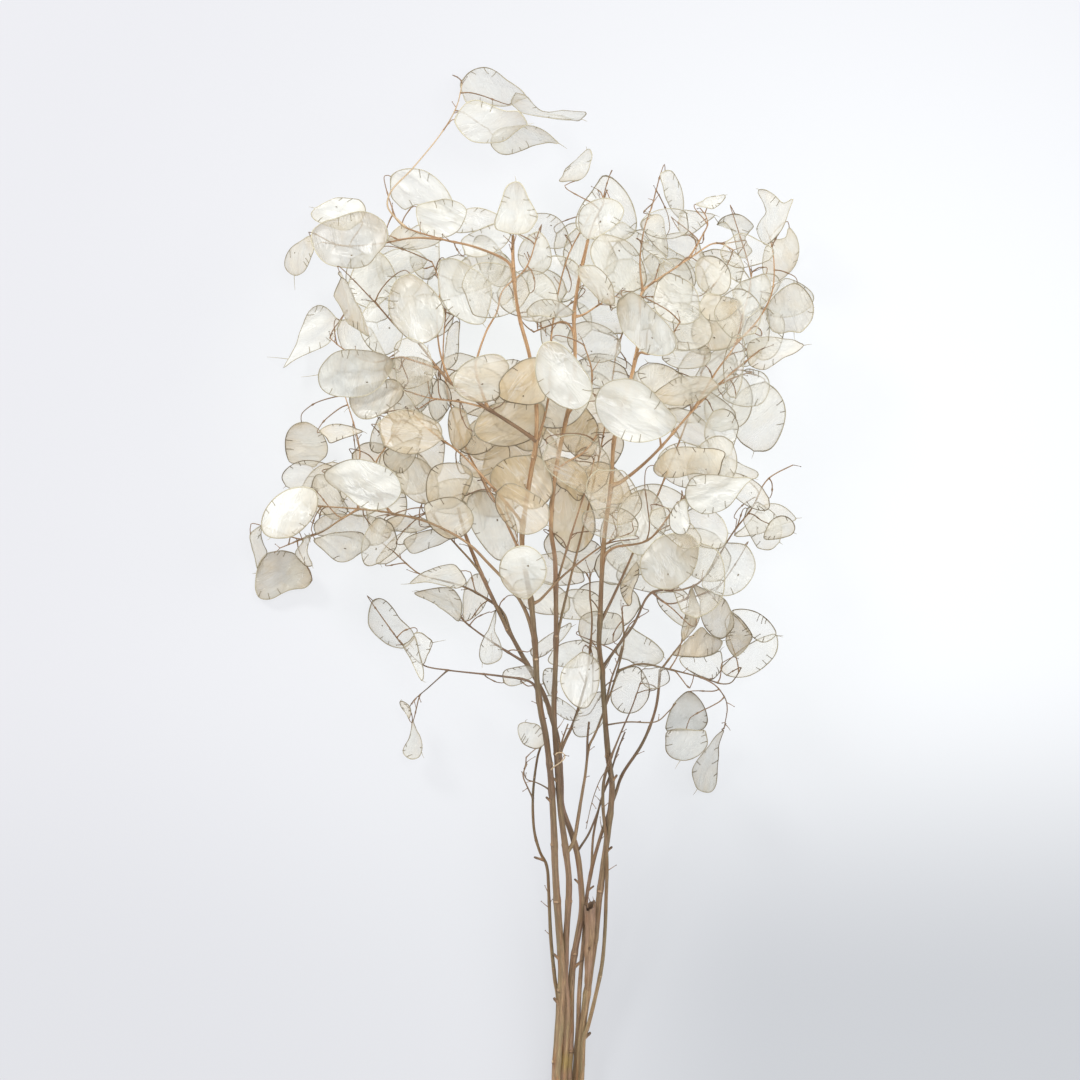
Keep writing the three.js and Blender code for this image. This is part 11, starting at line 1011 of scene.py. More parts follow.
MEMBRANE, RIM, TWIG, BARK, WOOD = membrane_material(), rim_material(), bark_material("twig_bark", True), bark_material("stem_bark", False), wood_material()
POD_MATERIALS = [MEMBRANE, RIM, TWIG]
STEM_MATERIALS = [BARK, WOOD, TWIG]

# --------------------------------------------------------------------- pods
# bright pods in front that catch the light: more pearl, partly the film's own silver and partly painted sheen, and
# paler rims
PEARLY = {9: .9, 13: .8, 66: 1, 67: .95, 68: .8, 78: .95, 79: .8, 100: .85, 118: .95, 119: .9, 122: .8,
          8: .7, 10: .65, 17: .6, 18: .65, 21: .7, 69: .6, 19: .6, 6: .55, 37: .5, 2: .5, 121: .55, 35: .45, 63: .3,
          12: .55, 123: .3, 156: .4, 33: .4, 51: .4, 54: .35, 57: .3, 30: .35, 102: .4, 103: .4}
# pods with a long drawn-out tip, as (tip, base): 1 is round
TAPER = {3: (.55, 1), 4: (.45, .8), 5: (.75, .55), 14: (.5, .6), 19: (.42, 1), 6: (.72, 1), 95: (.7, .5), 145: (.75, .6), 56: (.6, 1),
         43: (.6, .8), 124: (.8, .7), 88: (1, .85), 11: (1, .8), 26: (.6, .7), 147: (.6, .8), 92: (.8, .6), 61: (.9, .8), 91: (.85, .9)}


# fresh thin films that hardly show
FAINT = {45, 58, 200, 213, 217, 233, 240, 245, 253, 260, 263}
# the side on which a pod catches the light, as x, y in the picture
LIT = {10: (0.3, 1), 17: (-0.5, 0.5), 18: (0.6, 0.5), 21: (-0.7, 0.5), 66: (-0.5, 0.7), 67: (0.4, 1), 78: (1, 0.1), 79: (-0.3, -0.8), 88: (0.3, 0.6), 69: (0.3, 0.8), 122: (-0.5, 0.8), 121: (-0.3, 0.8), 118: (0.1, 0.6), 6: (-0.3, 0.8), 1: (-0.2, -1), 2: (-0.7, 0.2), 13: (0.1, 0.6), 35: (-0.3, -0.8), 19: (-0.4, 0.6), 9: (0.3, 0.5), 100: (0.1, -0.6), 87: (-0.2, -0.6), 119: (0, 0.5)}


def look(pod):
    """Shade, opacity, warmth, pearl and the darkness of the rim, from where the pod is in the crown; the shade is
    painted shade, darker deep in the core and towards the lower right.
    """
    r = np.random.default_rng(7000 + pod["id"])
    x, y = pod["px"]
    core = math.exp(-(((x - 545) / 130) ** 2 + ((y - 450) / 110) ** 2))
    cool_shaded_corner = 1 / (1 + math.exp(-((x - 640) / 40))) * 1 / (1 + math.exp(-((y - 575) / 22)))
    top = 1 / (1 + math.exp((y - 330) / 40))
    warmth = 0.13 + 0.74 * core - 0.34 * cool_shaded_corner - 0.08 * top + 0.30 * math.exp(-(((x - 470) / 190) ** 2 + ((y - 475) / 120) ** 2)) + r.normal() * 0.07
    opacity = 0.46 + 0.10 * core - 0.12 * cool_shaded_corner - 0.02 * top + r.normal() * 0.05 + 0.10 * (pod["d"] - 0.5)
    pearl_and_sheen = 0.10 + 0.22 * top + 0.10 * r.random() + 0.1 * (1 - core) * (1 - cool_shaded_corner)
    dark = 0.62 + 0.14 * core + 0.20 * cool_shaded_corner - 0.24 * top + r.normal() * 0.1
    if pod["id"] in PEARLY:
        k = PEARLY[pod["id"]]
        pearl_and_sheen = max(pearl_and_sheen, k)
        opacity = max(opacity, 0.48 + 0.42 * k)
        warmth *= 1 - 0.5 * k
        dark -= 0.34 * k
    # painted shade: pods in the core, those further back most, and pods towards the lower right are darkened
    shade = 1.0 - 0.10 * core * (1 - pod["d"]) - 0.05 * core - 0.12 * cool_shaded_corner
    if pod["id"] in FAINT:
        opacity, pearl_and_sheen, dark = 0.14, 0.2, 0.42
    if pod["id"] in TONES:
        opacity, warmth, pearl_and_sheen, shade = TONES[pod["id"]]
    return [shade] + [min(max(v, a), b) for v, a, b in ((opacity, .2, .92), (warmth, 0, 1), (pearl_and_sheen, 0, 1), (dark, .05, 1))]


def on_plane(pod, points):
    """Points of the picture, brought on to the pod's plane along the lines of sight."""
    eye_at = np.array([0.0, 0.0, 2700.0])
    p = np.asarray(points, float)
    q = np.stack([(p[:, 0] - 540) * 0.65, (540 - p[:, 1]) * 0.65, np.full(len(p), 100.0)], -1)
    c, u, n = np.array(pod["c"]), unit(pod["u"]), np.array(pod["n"])
    n = unit(n - u * (n @ u))
    v = np.cross(n, u)
    d = q - eye_at
    t = ((c - eye_at) @ n) / (d @ n)
    r = eye_at + d * t[:, None] - c
    return np.stack([r @ u / (pod["L"] / 2), r @ v / (pod["W"] / 2)], -1)


def resample(p, n):
    s = arc(p)
    at = np.linspace(0, s[-1], n + 1)[:-1]
    return np.stack([np.interp(at, s, p[:, j]) for j in range(2)], -1)


def traced(pod, n):
    p = np.array([[float(c) for c in q.split(",")] for q in OUTLINES[pod["id"]].split()])
    p = on_plane(pod, p)
    p = np.clip(p, [-1.35, -1.6], [1.35, 1.6])
    area2 = np.sum(p[:, 0] * np.roll(p[:, 1], -1) - np.roll(p[:, 0], -1) * p[:, 1])
    if area2 < 0:
        p = p[::-1]
    k = len(p)
    out = []
    for i in range(k):
        a, b, c, d = p[i - 1], p[i], p[(i + 1) % k], p[(i + 2) % k]
        t = np.linspace(0, 1, 8, endpoint=False)[:, None]
        out.append(0.5 * (2 * b + (c - a) * t + (2 * a - 5 * b + 4 * c - d) * t ** 2 + (3 * b - a - 3 * c + d) * t ** 3))
    p = np.concatenate(out)
    tip = int(np.argmax(p[:, 0] - 0.25 * np.abs(p[:, 1])))
    p = np.roll(p, -tip, axis=0)
    base = int(np.argmin(p[:, 0] + 0.25 * np.abs(p[:, 1])))
    up = resample(p[:base + 1], n // 2)
    down = resample(np.concatenate([p[base:], p[:1]]), n - n // 2)
    q = np.concatenate([up, down])
    return q[:, 0], q[:, 1]


def outline(pod, rng, n):
    """The rim in units of half the length and half the width: x runs from the stalk (-1) to the beak (1)."""
    th = np.linspace(0, 2 * math.pi, n, endpoint=False)
    tip, base = TAPER.get(pod["id"], (rng.uniform(.86, 1.06), rng.uniform(.84, 1.04)))
    e = rng.uniform(2.05, 2.45)
    c, s = np.cos(th), np.sin(th)
    x = np.sign(c) * np.abs(c) ** (2 / e)
    y = np.sign(s) * np.abs(s) ** (2 / e)
    for k in range(2, 6):
        a = rng.normal() * 0.022 / (k - 1) ** 0.5
        f = 1 + a * np.cos(k * th + rng.uniform(0, 6.28))
        x, y = x * f, y * f
    # narrower towards a drawn-out tip or base
    w = np.where(x > 0, 1 - (1 - tip) * np.clip(x, 0, 1) ** 1.3, 1 - (1 - base) * np.clip(-x, 0, 1) ** 1.3)
    y = y * w
    y = y + 0.05 * rng.normal() * (1 - x ** 2)
    # a straighter stretch of rim here and there
    for _ in range(rng.integers(0, 3)):
        a0 = rng.uniform(0, 6.28)
        if abs(math.cos(a0)) > 0.93:
            continue
        d = rng.uniform(0.80, 0.93)
        proj = x * math.cos(a0) + y * math.sin(a0)
        over = np.maximum(proj - d, 0)
        cut = over * 0.85
        x, y = x - cut * math.cos(a0), y - cut * math.sin(a0)
    # the points where beak and stalk leave
    x = x + 0.045 * np.exp(-(np.minimum(th, 2 * math.pi - th) / 0.10) ** 2) - 0.06 * np.exp(-((th - math.pi) / 0.11) ** 2)
    # keep the length and the width that the pod has
    x = (x - (x.max() + x.min()) / 2) / ((x.max() - x.min()) / 2)
    y = (y - (y.max() + y.min()) / 2) / ((y.max() - y.min()) / 2)
    return x, y


def relief(pod, rng, pearl_and_sheen):
    """Height above the pod's plane in mm at x, y in -1..1, with rho the distance to the rim."""
    flag = pod["f"]
    cup = rng.uniform(0.4, 1.7) * rng.choice([-1, 1])
    twist = rng.normal() * 1.1
    bend = rng.normal() * 1.1
    curl = rng.normal() * 0.7
    if "e" in flag:
        cup *= 1.6
        bend *= 1.8
    size = pod["L"] / 48
    a0 = rng.uniform(-0.5, 0.5) + rng.choice([0.5, -0.5])
    waves = []
    for j in range(4):
        a = a0 + rng.normal() * 0.5
        k = rng.uniform(3.5, 8.0)
        waves.append((k * math.cos(a + 1.57), k * math.sin(a + 1.57), rng.uniform(0, 6.28), rng.uniform(0.10, 0.30) * (1 + 0.5 * pearl_and_sheen) * size, rng.uniform(0.6, 1.8), rng.uniform(0, 6.28)))
    creases = []
    for j in range(rng.integers(7, 12)):
        a = a0 + rng.normal() * 0.6 + (1.57 if rng.random() < 0.2 else 0)
        creases.append((math.cos(a), math.sin(a), rng.uniform(-0.75, 0.75), rng.uniform(0.07, 0.20), rng.normal() * 0.85 * (1 + 0.6 * pearl_and_sheen) * size,
                        rng.uniform(-0.6, 0.6), rng.uniform(0.25, 0.8), rng.normal() * 0.35))
    edge = [(rng.uniform(2.5, 4.5), rng.uniform(0, 6.28), rng.uniform(0.1, 0.35)) for _ in range(2)]

    def f(x, y, rho):
        h = cup * (y * y - 0.35) + twist * x * y + bend * (x * x - 0.35) + curl * x * y * y
        th = np.arctan2(y, x)
        for k, ph, am in edge:
            h = h + am * np.sin(k * th + ph) * rho ** 2 * (1 - np.exp(-((np.abs(th) - math.pi) / 0.5) ** 2))
        w = 1 - rho ** 6
        q = 0.0
        for kx, ky, ph, am, wa, wp in waves:
            q = q + am * np.sin(kx * x + ky * y + ph + wa * np.sin(1.9 * x - 1.3 * y + wp))
        for cx, cy, off, wd, am, mid, ln, bow in creases:
            along = cx * x + cy * y - mid
            d = -cy * x + cx * y - off - bow * along * along
            q = q + am * (1 / (1 + (d / wd) ** 2) - 0.25) * np.exp(-(along / ln) ** 2)
        return h + w * q

    return f


def add_pod(b, pod, rings=15, seg=56):
    rng = np.random.default_rng(100 + pod["id"])
    c, u, n = np.array(pod["c"]), unit(pod["u"]), np.array(pod["n"])
    n = unit(n - u * (n @ u))
    v = np.cross(n, u)
    L, W = pod["L"], pod["W"]
    # hue here holds the pod's shade from look(): partly its own duller tone, partly painted shade
    hue, opacity, warmth, pearl_and_sheen, dark = look(pod)
    bx, by = outline(pod, rng, seg)
    if pod["id"] in OUTLINES:
        bx, by = traced(pod, seg)
    mx, my = bx.mean(), by.mean()
    f = relief(pod, rng, pearl_and_sheen)
    low = pod["low"]

    def place(x, y, rho, lift=0.0):
        h = f(x, y, rho) + lift
        p = c + np.multiply.outer(x * L / 2, u) + np.multiply.outer(y * W / 2, v) + np.multiply.outer(h, n)
        if low:
            p[..., 2] = np.maximum(p[..., 2], 0.45 + 0.0 * p[..., 2])
        return p

    # membrane, as rings round the middle
    rr = np.linspace(0, 1, rings + 1)[1:] ** 0.92
    X = np.concatenate([[mx], (mx + np.multiply.outer(rr, bx - mx)).ravel()])
    Y = np.concatenate([[my], (my + np.multiply.outer(rr, by - my)).ravel()])
    RHO = np.concatenate([[0.0], np.repeat(rr, seg)])
    V = place(X, Y, RHO)
    a = rng.uniform(-0.9, 0.9) + rng.choice([0.7, -0.7])
    ca, sa = math.cos(a), math.sin(a)
    off = rng.uniform(0, 60, 2)
    xm, ym = X * L / 2 / 50, Y * W / 2 / 50
    uv = np.stack([xm * ca - ym * sa + off[0], xm * sa + ym * ca + off[1]], -1)
    # a little more substance towards the rim and the stalk
    o = opacity + 0.10 * RHO ** 6 + 0.06 * np.exp(-((X + 1) / 0.35) ** 2)
    wm = warmth + 0.14 * RHO ** 4 + 0.22 * np.exp(-((X + 1) / 0.4) ** 2)
    # painted light: brighter and more pearly on the side that catches the light; painted shade, olive and duller, along
    # the rim on the other side and a little all round the rim
    lx, ly = LIT.get(pod["id"], (math.cos(off[0]), math.sin(off[0])))
    gx, gy = (u[0] * lx - u[1] * ly), (v[0] * lx - v[1] * ly)
    gl = math.hypot(gx, gy) or 1
    lit_side = (X * gx + Y * gy) / gl
    force = 1.0 if pod["id"] in LIT else 0.6
    o = o + 0.05 * force * lit_side
    wm = wm - 0.16 * force * lit_side + 0.16 * RHO ** 5 * np.clip(-lit_side, 0, 1)
    pl = pearl_and_sheen + 0.34 * force * lit_side * (0.35 + pearl_and_sheen)
    shade = np.full(len(X), hue) - 0.04 * RHO ** 8 + 0.035 * force * lit_side - 0.15 * RHO ** 5 * np.clip(0.25 - lit_side, 0, 1)
    tone = np.stack([o, wm, pl, shade], -1)
    j = np.arange(seg)
    k = (j + 1) % seg
    tris = np.stack([np.zeros(seg, int), 1 + j, 1 + k], -1)
    i = 1 + np.arange(rings - 1)[:, None] * seg
    quads = np.stack([i + j, i + seg + j, i + seg + k, i + k], -1).reshape(-1, 4)
    b.add(V, uv, tone, quads, tris, 0)
    # rim
    ring = place(bx, by, np.ones(seg))
    tx = unit(np.roll(ring, -1, 0) - np.roll(ring, 1, 0))
    side = unit(np.cross(tx, n))
    up = np.cross(side, tx)
    rs = 6
    th = np.linspace(0, 2 * math.pi, rs, endpoint=False)
    r0 = rng.uniform(0.27, 0.35) * (0.95 if pearl_and_sheen > .6 else 1.0)
    wob = 1 + 0.12 * np.sin(np.arange(seg) * 0.9 + rng.uniform(0, 6)) + 0.5 * np.exp(-((np.arange(seg) - seg / 2) / 1.6) ** 2)
    rv = ring[:, None] + (r0 * wob)[:, None, None] * (np.cos(th)[None, :, None] * side[:, None] * 1.15 + np.sin(th)[None, :, None] * up[:, None] * 0.85)
    s = arc(ring)
    ruv = np.stack(np.broadcast_arrays(th[None] / 6.283, s[:, None] / 10 + off[0]), -1).reshape(-1, 2)
    jj = np.arange(rs)
    ii = np.arange(seg)[:, None]
    rq = np.stack([ii * rs + jj, ((ii + 1) % seg) * rs + jj, ((ii + 1) % seg) * rs + (jj + 1) % rs, ii * rs + (jj + 1) % rs], -1).reshape(-1, 4)
    turn = np.arange(seg) * 2 * math.pi / seg
    dk = dark + 0.24 * np.sin(turn + rng.uniform(0, 6)) + 0.14 * np.sin(2 * turn + rng.uniform(0, 6))
    rt = np.repeat(np.stack([dk, np.full(seg, warmth), np.full(seg, pearl_and_sheen), np.ones(seg)], -1), rs, axis=0)
    b.add(rv.reshape(-1, 3), ruv, rt, rq, [], 1)
    # seed stalks: short dark spurs from the rim inwards
    for sgn in (-1, 1):
        first, gap, lean = rng.uniform(0.85, 1.7), rng.uniform(0.22, 0.52), rng.normal() * 0.12
        for q in range(rng.choice([1, 2, 2, 3, 3])):
            t0 = sgn * (first + gap * q)
            idx = int(round((t0 % (2 * math.pi)) / (2 * math.pi) * seg)) % seg
            px, py = bx[idx] * L / 2, by[idx] * W / 2
            nxt, prv = (idx + 1) % seg, (idx - 1) % seg
            tx2, ty2 = (bx[nxt] - bx[prv]) * L / 2, (by[nxt] - by[prv]) * W / 2
            inx, iny = -ty2, tx2
            ln = math.hypot(inx, iny) or 1
            inx, iny = inx / ln, iny / ln
            a = lean + sgn * 0.22 + rng.normal() * 0.10
            inx, iny = inx * math.cos(a) - iny * math.sin(a), inx * math.sin(a) + iny * math.cos(a)
            length = rng.uniform(3.0, 6.2) * L / 45
            t = np.linspace(0, 1, 5)
            curve = rng.normal() * 0.6
            qx = (px + inx * length * t - iny * curve * t * t) / (L / 2)
            qy = (py + iny * length * t + inx * curve * t * t) / (W / 2)
            path = place(qx, qy, np.clip(1 - t * 0.3, 0, 1), 0.16)
            b.tube(path, np.interp(t, [0, .15, 1], [.32, .26, .19]), 5, 1, [max(.62, min(1, dark + 0.25)), warmth, 0, 1])
            if rng.random() < 0.35:
                b.blob(path[-1], np.stack([u, v, n]) * np.array([[.42], [.34], [.22]]), 1, [min(1, dark + 0.3), warmth, 0, 1], 6, 4)
    # stains that the seeds have left
    spots = [on_plane(pod, [(x, y)])[0] for k, x, y in SPECKS if k == pod["id"]]
    if not spots and rng.random() < 0.16:
        spots = [np.array([rng.uniform(-.5, .5), rng.uniform(-.5, .5)])]
    for e in spots:
        at = place(np.array([e[0]]), np.array([e[1]]), np.array([0.5]), 0.12)[0]
        b.blob(at, np.stack([u, v, n]) * np.array([[rng.uniform(.5, .95)], [rng.uniform(.4, .6)], [.16]]), 1, [1.0, 1.0, 0, 1], 8, 5)
    # beak, the dry style at the tip
    tipp = ring[0]
    bl = rng.uniform(2.5, 6.5) * L / 45
    t = np.linspace(0, 1, 5)[:, None]
    bend = v * rng.normal() * 1.2 + n * rng.normal() * 0.8
    path = tipp + u * bl * t + bend * t * t
    if pod["id"] in BEAKS:
        e = on_plane(pod, [BEAKS[pod["id"]]])[0]
        end = c + u * e[0] * L / 2 + v * e[1] * W / 2
        k0 = int(np.argmin(np.linalg.norm(ring - end, axis=1)))
        path = ring[k0] + (end - ring[k0]) * t + n * 0.8 * t * (1 - t)
    if low:
        path[:, 2] = np.maximum(path[:, 2], 0.4)
    b.tube(path, np.linspace(.26, .10, 5), 5, 1, [dark * 0.8, warmth, 0, 1])
    # stalk: pedicel, receptacle knob, then the thin stipe to the pod
    st = smooth(pod["st"], 1.6)
    st[-1] = ring[seg // 2]
    if len(st) > 4:
        st[-2] = st[-2] * 0.5 + (ring[seg // 2] - u * 1.6) * 0.5
    s = arc(st)
    f0 = s / s[-1]
    kf = rng.uniform(0.42, 0.62)
    r = np.interp(f0, [0, .06, kf - .02, kf + .02, .93, 1], [.62, .44, .36, .34, .28, .34])
    r = r + 0.38 * np.exp(-((f0 - kf) * s[-1] / 0.75) ** 2)
    stone = np.stack([np.interp(f0, [0, 1], [.85, .5]) * np.ones(len(st)), np.full(len(st), min(1, .25 + .4 * dark + .2 * rng.random())), np.zeros(len(st)), np.ones(len(st))], -1)
    b.tube(st, r, 7, 2, stone, caps=(True, True), v0=float(off[0]))
    return pod


# ------------------------------------------------------------------- stems
CHILDREN = {}
for name, (parent, pts) in BRANCHES.items():
    CHILDREN.setdefault(parent, []).append((name, np.array(pts[0][:3])))
BY_NODE = {}
for row in PODS:
    pod = dict(zip(("id", "h", "c", "u", "n", "L", "W", "d", "f", "px", "low", "st"), row))
    BY_NODE.setdefault(pod["h"], []).append(pod)


def height_tone(p):
    """0 low on the plant, 1 up in the crown."""
    return 1 / (1 + np.exp(-(p[:, 1] - 8) / 32))


def weather(y):
    """The bark is darkest half way up the bare stems."""
    return np.interp(y, [-345, -325, -286, -247, -208, -169, -130, -91, -52, -13, 26, 58],
                     [0.0, 0.10, 0.22, 0.30, 0.40, 0.56, 0.66, 0.66, 0.50, 0.26, 0.08, 0.0])


# darkness and paleness of single racheis
HUES = {"raceme_long_left": (0.66, 0), "raceme_top_spray": (0.5, 0.55), "raceme_upper_left": (0.28, 0), "raceme_left_end": (0.35, 0), "raceme_left_drooping": (0.3, 0), "raceme_front_low": (0.3, 0), "raceme_low_left_long": (0.15, 0.05), "raceme_lowest_left": (0.3, 0), "raceme_far_right": (0.42, 0), "raceme_lowest_right": (0.25, 0), "raceme_long_right": (0.2, 0), "raceme_upper_right": (0.05, 0.15), "raceme_far_left": (0.35, 0), "raceme_middle_left": (0.2, 0), "raceme_left_level": (0.1, 0), "raceme_thin_left": (0.4, 0)}


# greenish (low) to pinkish (high) bark
STEM_HUES = {"stem_left": .50, "stem_left_centre": .78, "stem_centre": .70, "stem_right": .30, "stem_right_centre": .74, "stem_thin_left": .18, "stem_thin_right": .24}


def add_stem(b, name, sides, step, main):
    """A branch from its table: tapered, faintly ribbed, thicker at its nodes."""
    parent, pts = BRANCHES[name]
    rng = np.random.default_rng(sum(map(ord, name)) * 7 + len(name))
    p = smooth(pts, step)
    xyz, r = p[:, :3].copy(), p[:, 3].copy()
    s = arc(xyz)
    if not main:
        r = r * np.interp(s / s[-1], [0, 0.25, 1], [0.86, 0.72, 0.60])
    sites = [c for _, c in CHILDREN.get(name, [])] + [np.array(q["st"][0]) for q in BY_NODE.get(name, [])]
    for c in sites:
        d = np.linalg.norm(xyz - c, axis=1)
        r = r * (1 + (0.20 if main else 0.34) * np.exp(-(d / (3.2 if main else 1.5)) ** 2))
    if main:
        # leaf scars and nodes along the bare stem
        at = 30 + rng.uniform(0, 25)
        while at < s[-1] - 20:
            r = r * (1 + 0.13 * np.exp(-((s - at) / 2.6) ** 2))
            i = int(np.argmin(np.abs(s - at)))
            t, a, c2 = frames(xyz[max(0, i - 2):i + 3])
            m = len(t) // 2
            ang = rng.uniform(0, 6.28)
            out = a[m] * math.cos(ang) + c2[m] * math.sin(ang)
            across = np.cross(t[m], out)
            b.blob(xyz[i] + out * r[i] * 0.86, np.stack([across * r[i] * 0.62, t[m] * r[i] * 0.42, out * r[i] * 0.26]), 0,
                   [float(height_tone(xyz[i:i + 1])[0]), 0.12, rng.choice([0.12, 0.2, 0.5]), 1], 10, 6)
            # the dry edge under the scar
            arcp = np.array([xyz[i] + (out * math.cos(q) + across * math.sin(q)) * (r[i] * 1.0) - t[m] * r[i] * (0.55 - 0.25 * math.cos(q)) for q in np.linspace(-1.1, 1.1, 9)])
            b.tube(arcp, 0.11 * r[i] * np.array([.4, .8, 1, 1.1, 1.15, 1.1, 1, .8, .4]), 5, 0, [float(height_tone(xyz[i:i + 1])[0]), 0.75, 0, 1])
            at += rng.uniform(34, 78)
    # flare where it grows out of its parent
    if parent:
        r = r * (1 + 0.55 * np.exp(-s / 2.2))
    r = r * (1 + 0.025 * np.sin(s / 7 + rng.uniform(0, 6)) + 0.02 * np.sin(s / 2.7))
    deep, pale = HUES.get(name, (0.0, 0.0)) if not main else (0.0, 0.0)
    if not main and name not in HUES:
        deep = rng.uniform(0.0, 0.30)
    hue = np.full(len(s), rng.uniform(0.15, 1.0))
    if name in STEM_HUES:
        hue = STEM_HUES[name] + 0.22 * np.sin(s / 41 + len(name)) + 0.0 * s
    if name in ("stem_centre", "stem_left_centre"):
        hue = hue + 1.2 * np.exp(-((xyz[:, 1] + 350) / 9) ** 2)
    aged = weather(xyz[:, 1]) * (1.0 if main else 0.62)
    tone = np.stack([height_tone(xyz), deep + aged + 0.05 + 0.07 * np.sin(s / 17) + 0.05 * np.sin(s / 5.3 + 2), np.full(len(s), pale), hue], -1)
    b.tube(xyz, r, sides, 0 if main else 2, tone, ribs=0.045 if main else 0.03, phase=rng.uniform(0, 6), ribs_n=5, v0=rng.uniform(0, 300))
    return xyz, r, s


def hair(b, start, direction, length, rng, dot=True, dark=0.6, r0=0.26):
    """An empty pedicel: a hair with a small dry knob."""
    d = unit(direction)
    side = unit(np.cross(d, rng.normal(size=3)))
    t = np.linspace(0, 1, 7)[:, None]
    p = start + d * length * t + side * length * rng.uniform(0.06, 0.22) * t * t + np.array([0, 0, -1.0]) * length * 0.04 * t * t
    p[:, 2] = np.maximum(p[:, 2], 0.5)
    b.tube(p, np.linspace(r0 * 1.25, r0 * 0.62, 7), 5, 2, [0.8, dark, 0, 1])
    if dot:
        b.blob(p[-1], np.eye(3) * np.array([[.44], [.40], [.46]]), 2, [0.5, min(1, dark + .3), 0, 1], 6, 5)


def stub(b, at, out, along, r, length, rng, material=0):
    """The stump of a shed twig: short, tapered, with a dark torn end."""
    d = unit(out * 0.8 + along * 0.75)
    t = np.linspace(0, 1, 6)[:, None]
    p = at + d * length * t + along * length * 0.15 * t * t
    rr = r * np.array([1.35, 1.0, 0.86, 0.80, 0.84, 0.62])
    tone = np.stack([np.full(6, .3), np.array([.1, .15, .2, .35, .7, .9]), np.zeros(6), np.ones(6)], -1)
    b.tube(p, rr, 8, material, tone, ribs=0.05)


def project(p):
    k = 2600.0 / (2700.0 - p[:, 2]) / 0.65
    return np.stack([540 + p[:, 0] * k, 540 - p[:, 1] * k], -1)


# twigs too fine to carry a raceme, each on the stem it grows from:
# node, then x, y in the picture and z, from the stem outwards, the two radii, darkness and paleness
TWIGS = {
    "bent": ("stem_thin_left", [(535, 800, 72), (527, 786, 80), (523, 775, 84), (527, 764, 88)], 0.7, 0.4, 0.45, 0.0),
    "dark": ("stem_right", [(603, 727, 104), (628, 722, 108), (655, 722, 112), (668, 712, 116), (676, 703, 120)], 0.6, 0.35, 0.6, 0.0),
    "knob": ("stem_left_centre", [(556, 756, 66), (559, 752, 76), (563, 738, 84), (568, 724, 90)], 0.7, 0.5, 0.55, 0.0),
    "hair": ("stem_right", [(611, 765, 95), (600, 780, 98), (592, 802, 98), (586, 829, 96)], 0.4, 0.25, 0.75, 0.0),
    "fork": ("stem_left_centre", [(576, 840, 48), (579, 815, 53), (582, 793, 58), (585.5, 773, 63), (587, 757, 67), (587.5, 738, 71), (589, 722, 75)], 1.0, 0.7, 0.85, 0.0),
    "cross": ("stem_left_centre", [(578.5, 853, 46), (585, 840, 50), (590, 831, 53), (598, 811, 58), (605, 788, 62), (611, 772, 64), (617, 752, 68), (625, 732, 72)], 0.8, 0.5, 0.85, 0.0),
    "slope": ("stem_right_centre", [(590.5, 868, 43), (593, 838, 49), (598, 812, 54), (602, 797, 57), (607, 784, 60), (613, 765, 64), (619, 748, 68)], 0.85, 0.55, 0.5, 0.0),
    "high": ("stem_right", [(604.5, 707, 84), (608, 693, 87), (612, 677, 90), (618, 661, 93), (622, 646, 95)], 0.75, 0.5, 0.75, 0.0),
    "curl": ("stem_left", [(549, 771, 76), (555, 766, 81), (561, 762, 84), (565, 757, 85), (563, 753, 86), (558, 752.5, 86), (555, 755, 85)], 0.5, 0.35, 0.1, 0.55),
}
# stumps of shed twigs: node, place in the picture, side (-1 left, 1 right), radius, length
STUBS = [("stem_thin_left", 541, 862, -1, 1.0, 6), ("stem_left", 552, 960, -1, 1.1, 5), ("stem_left_centre", 576, 965, 1, 1.2, 7),
         ("stem_left", 559, 1002, -1, 1.3, 5), ("stem_right", 584, 1040, 1, 1.3, 6), ("stem_left_centre", 579, 724 + 160, -1, 0.9, 4),
         ("stem_right", 607, 850, 1, 1.0, 4), ("stem_centre", 558, 780, -1, 0.9, 4), ("stem_left", 549, 800, -1, 1.0, 4),
         ("stem_right", 613, 780, 1, 1.0, 4), ("stem_right_centre", 588, 890, 1, 0.8, 4)]


def unproject(x, y, z):
    k = 0.65 * (2700.0 - z) / 2600.0
    return np.array([(x - 540) * k, -(y - 540) * k, z])


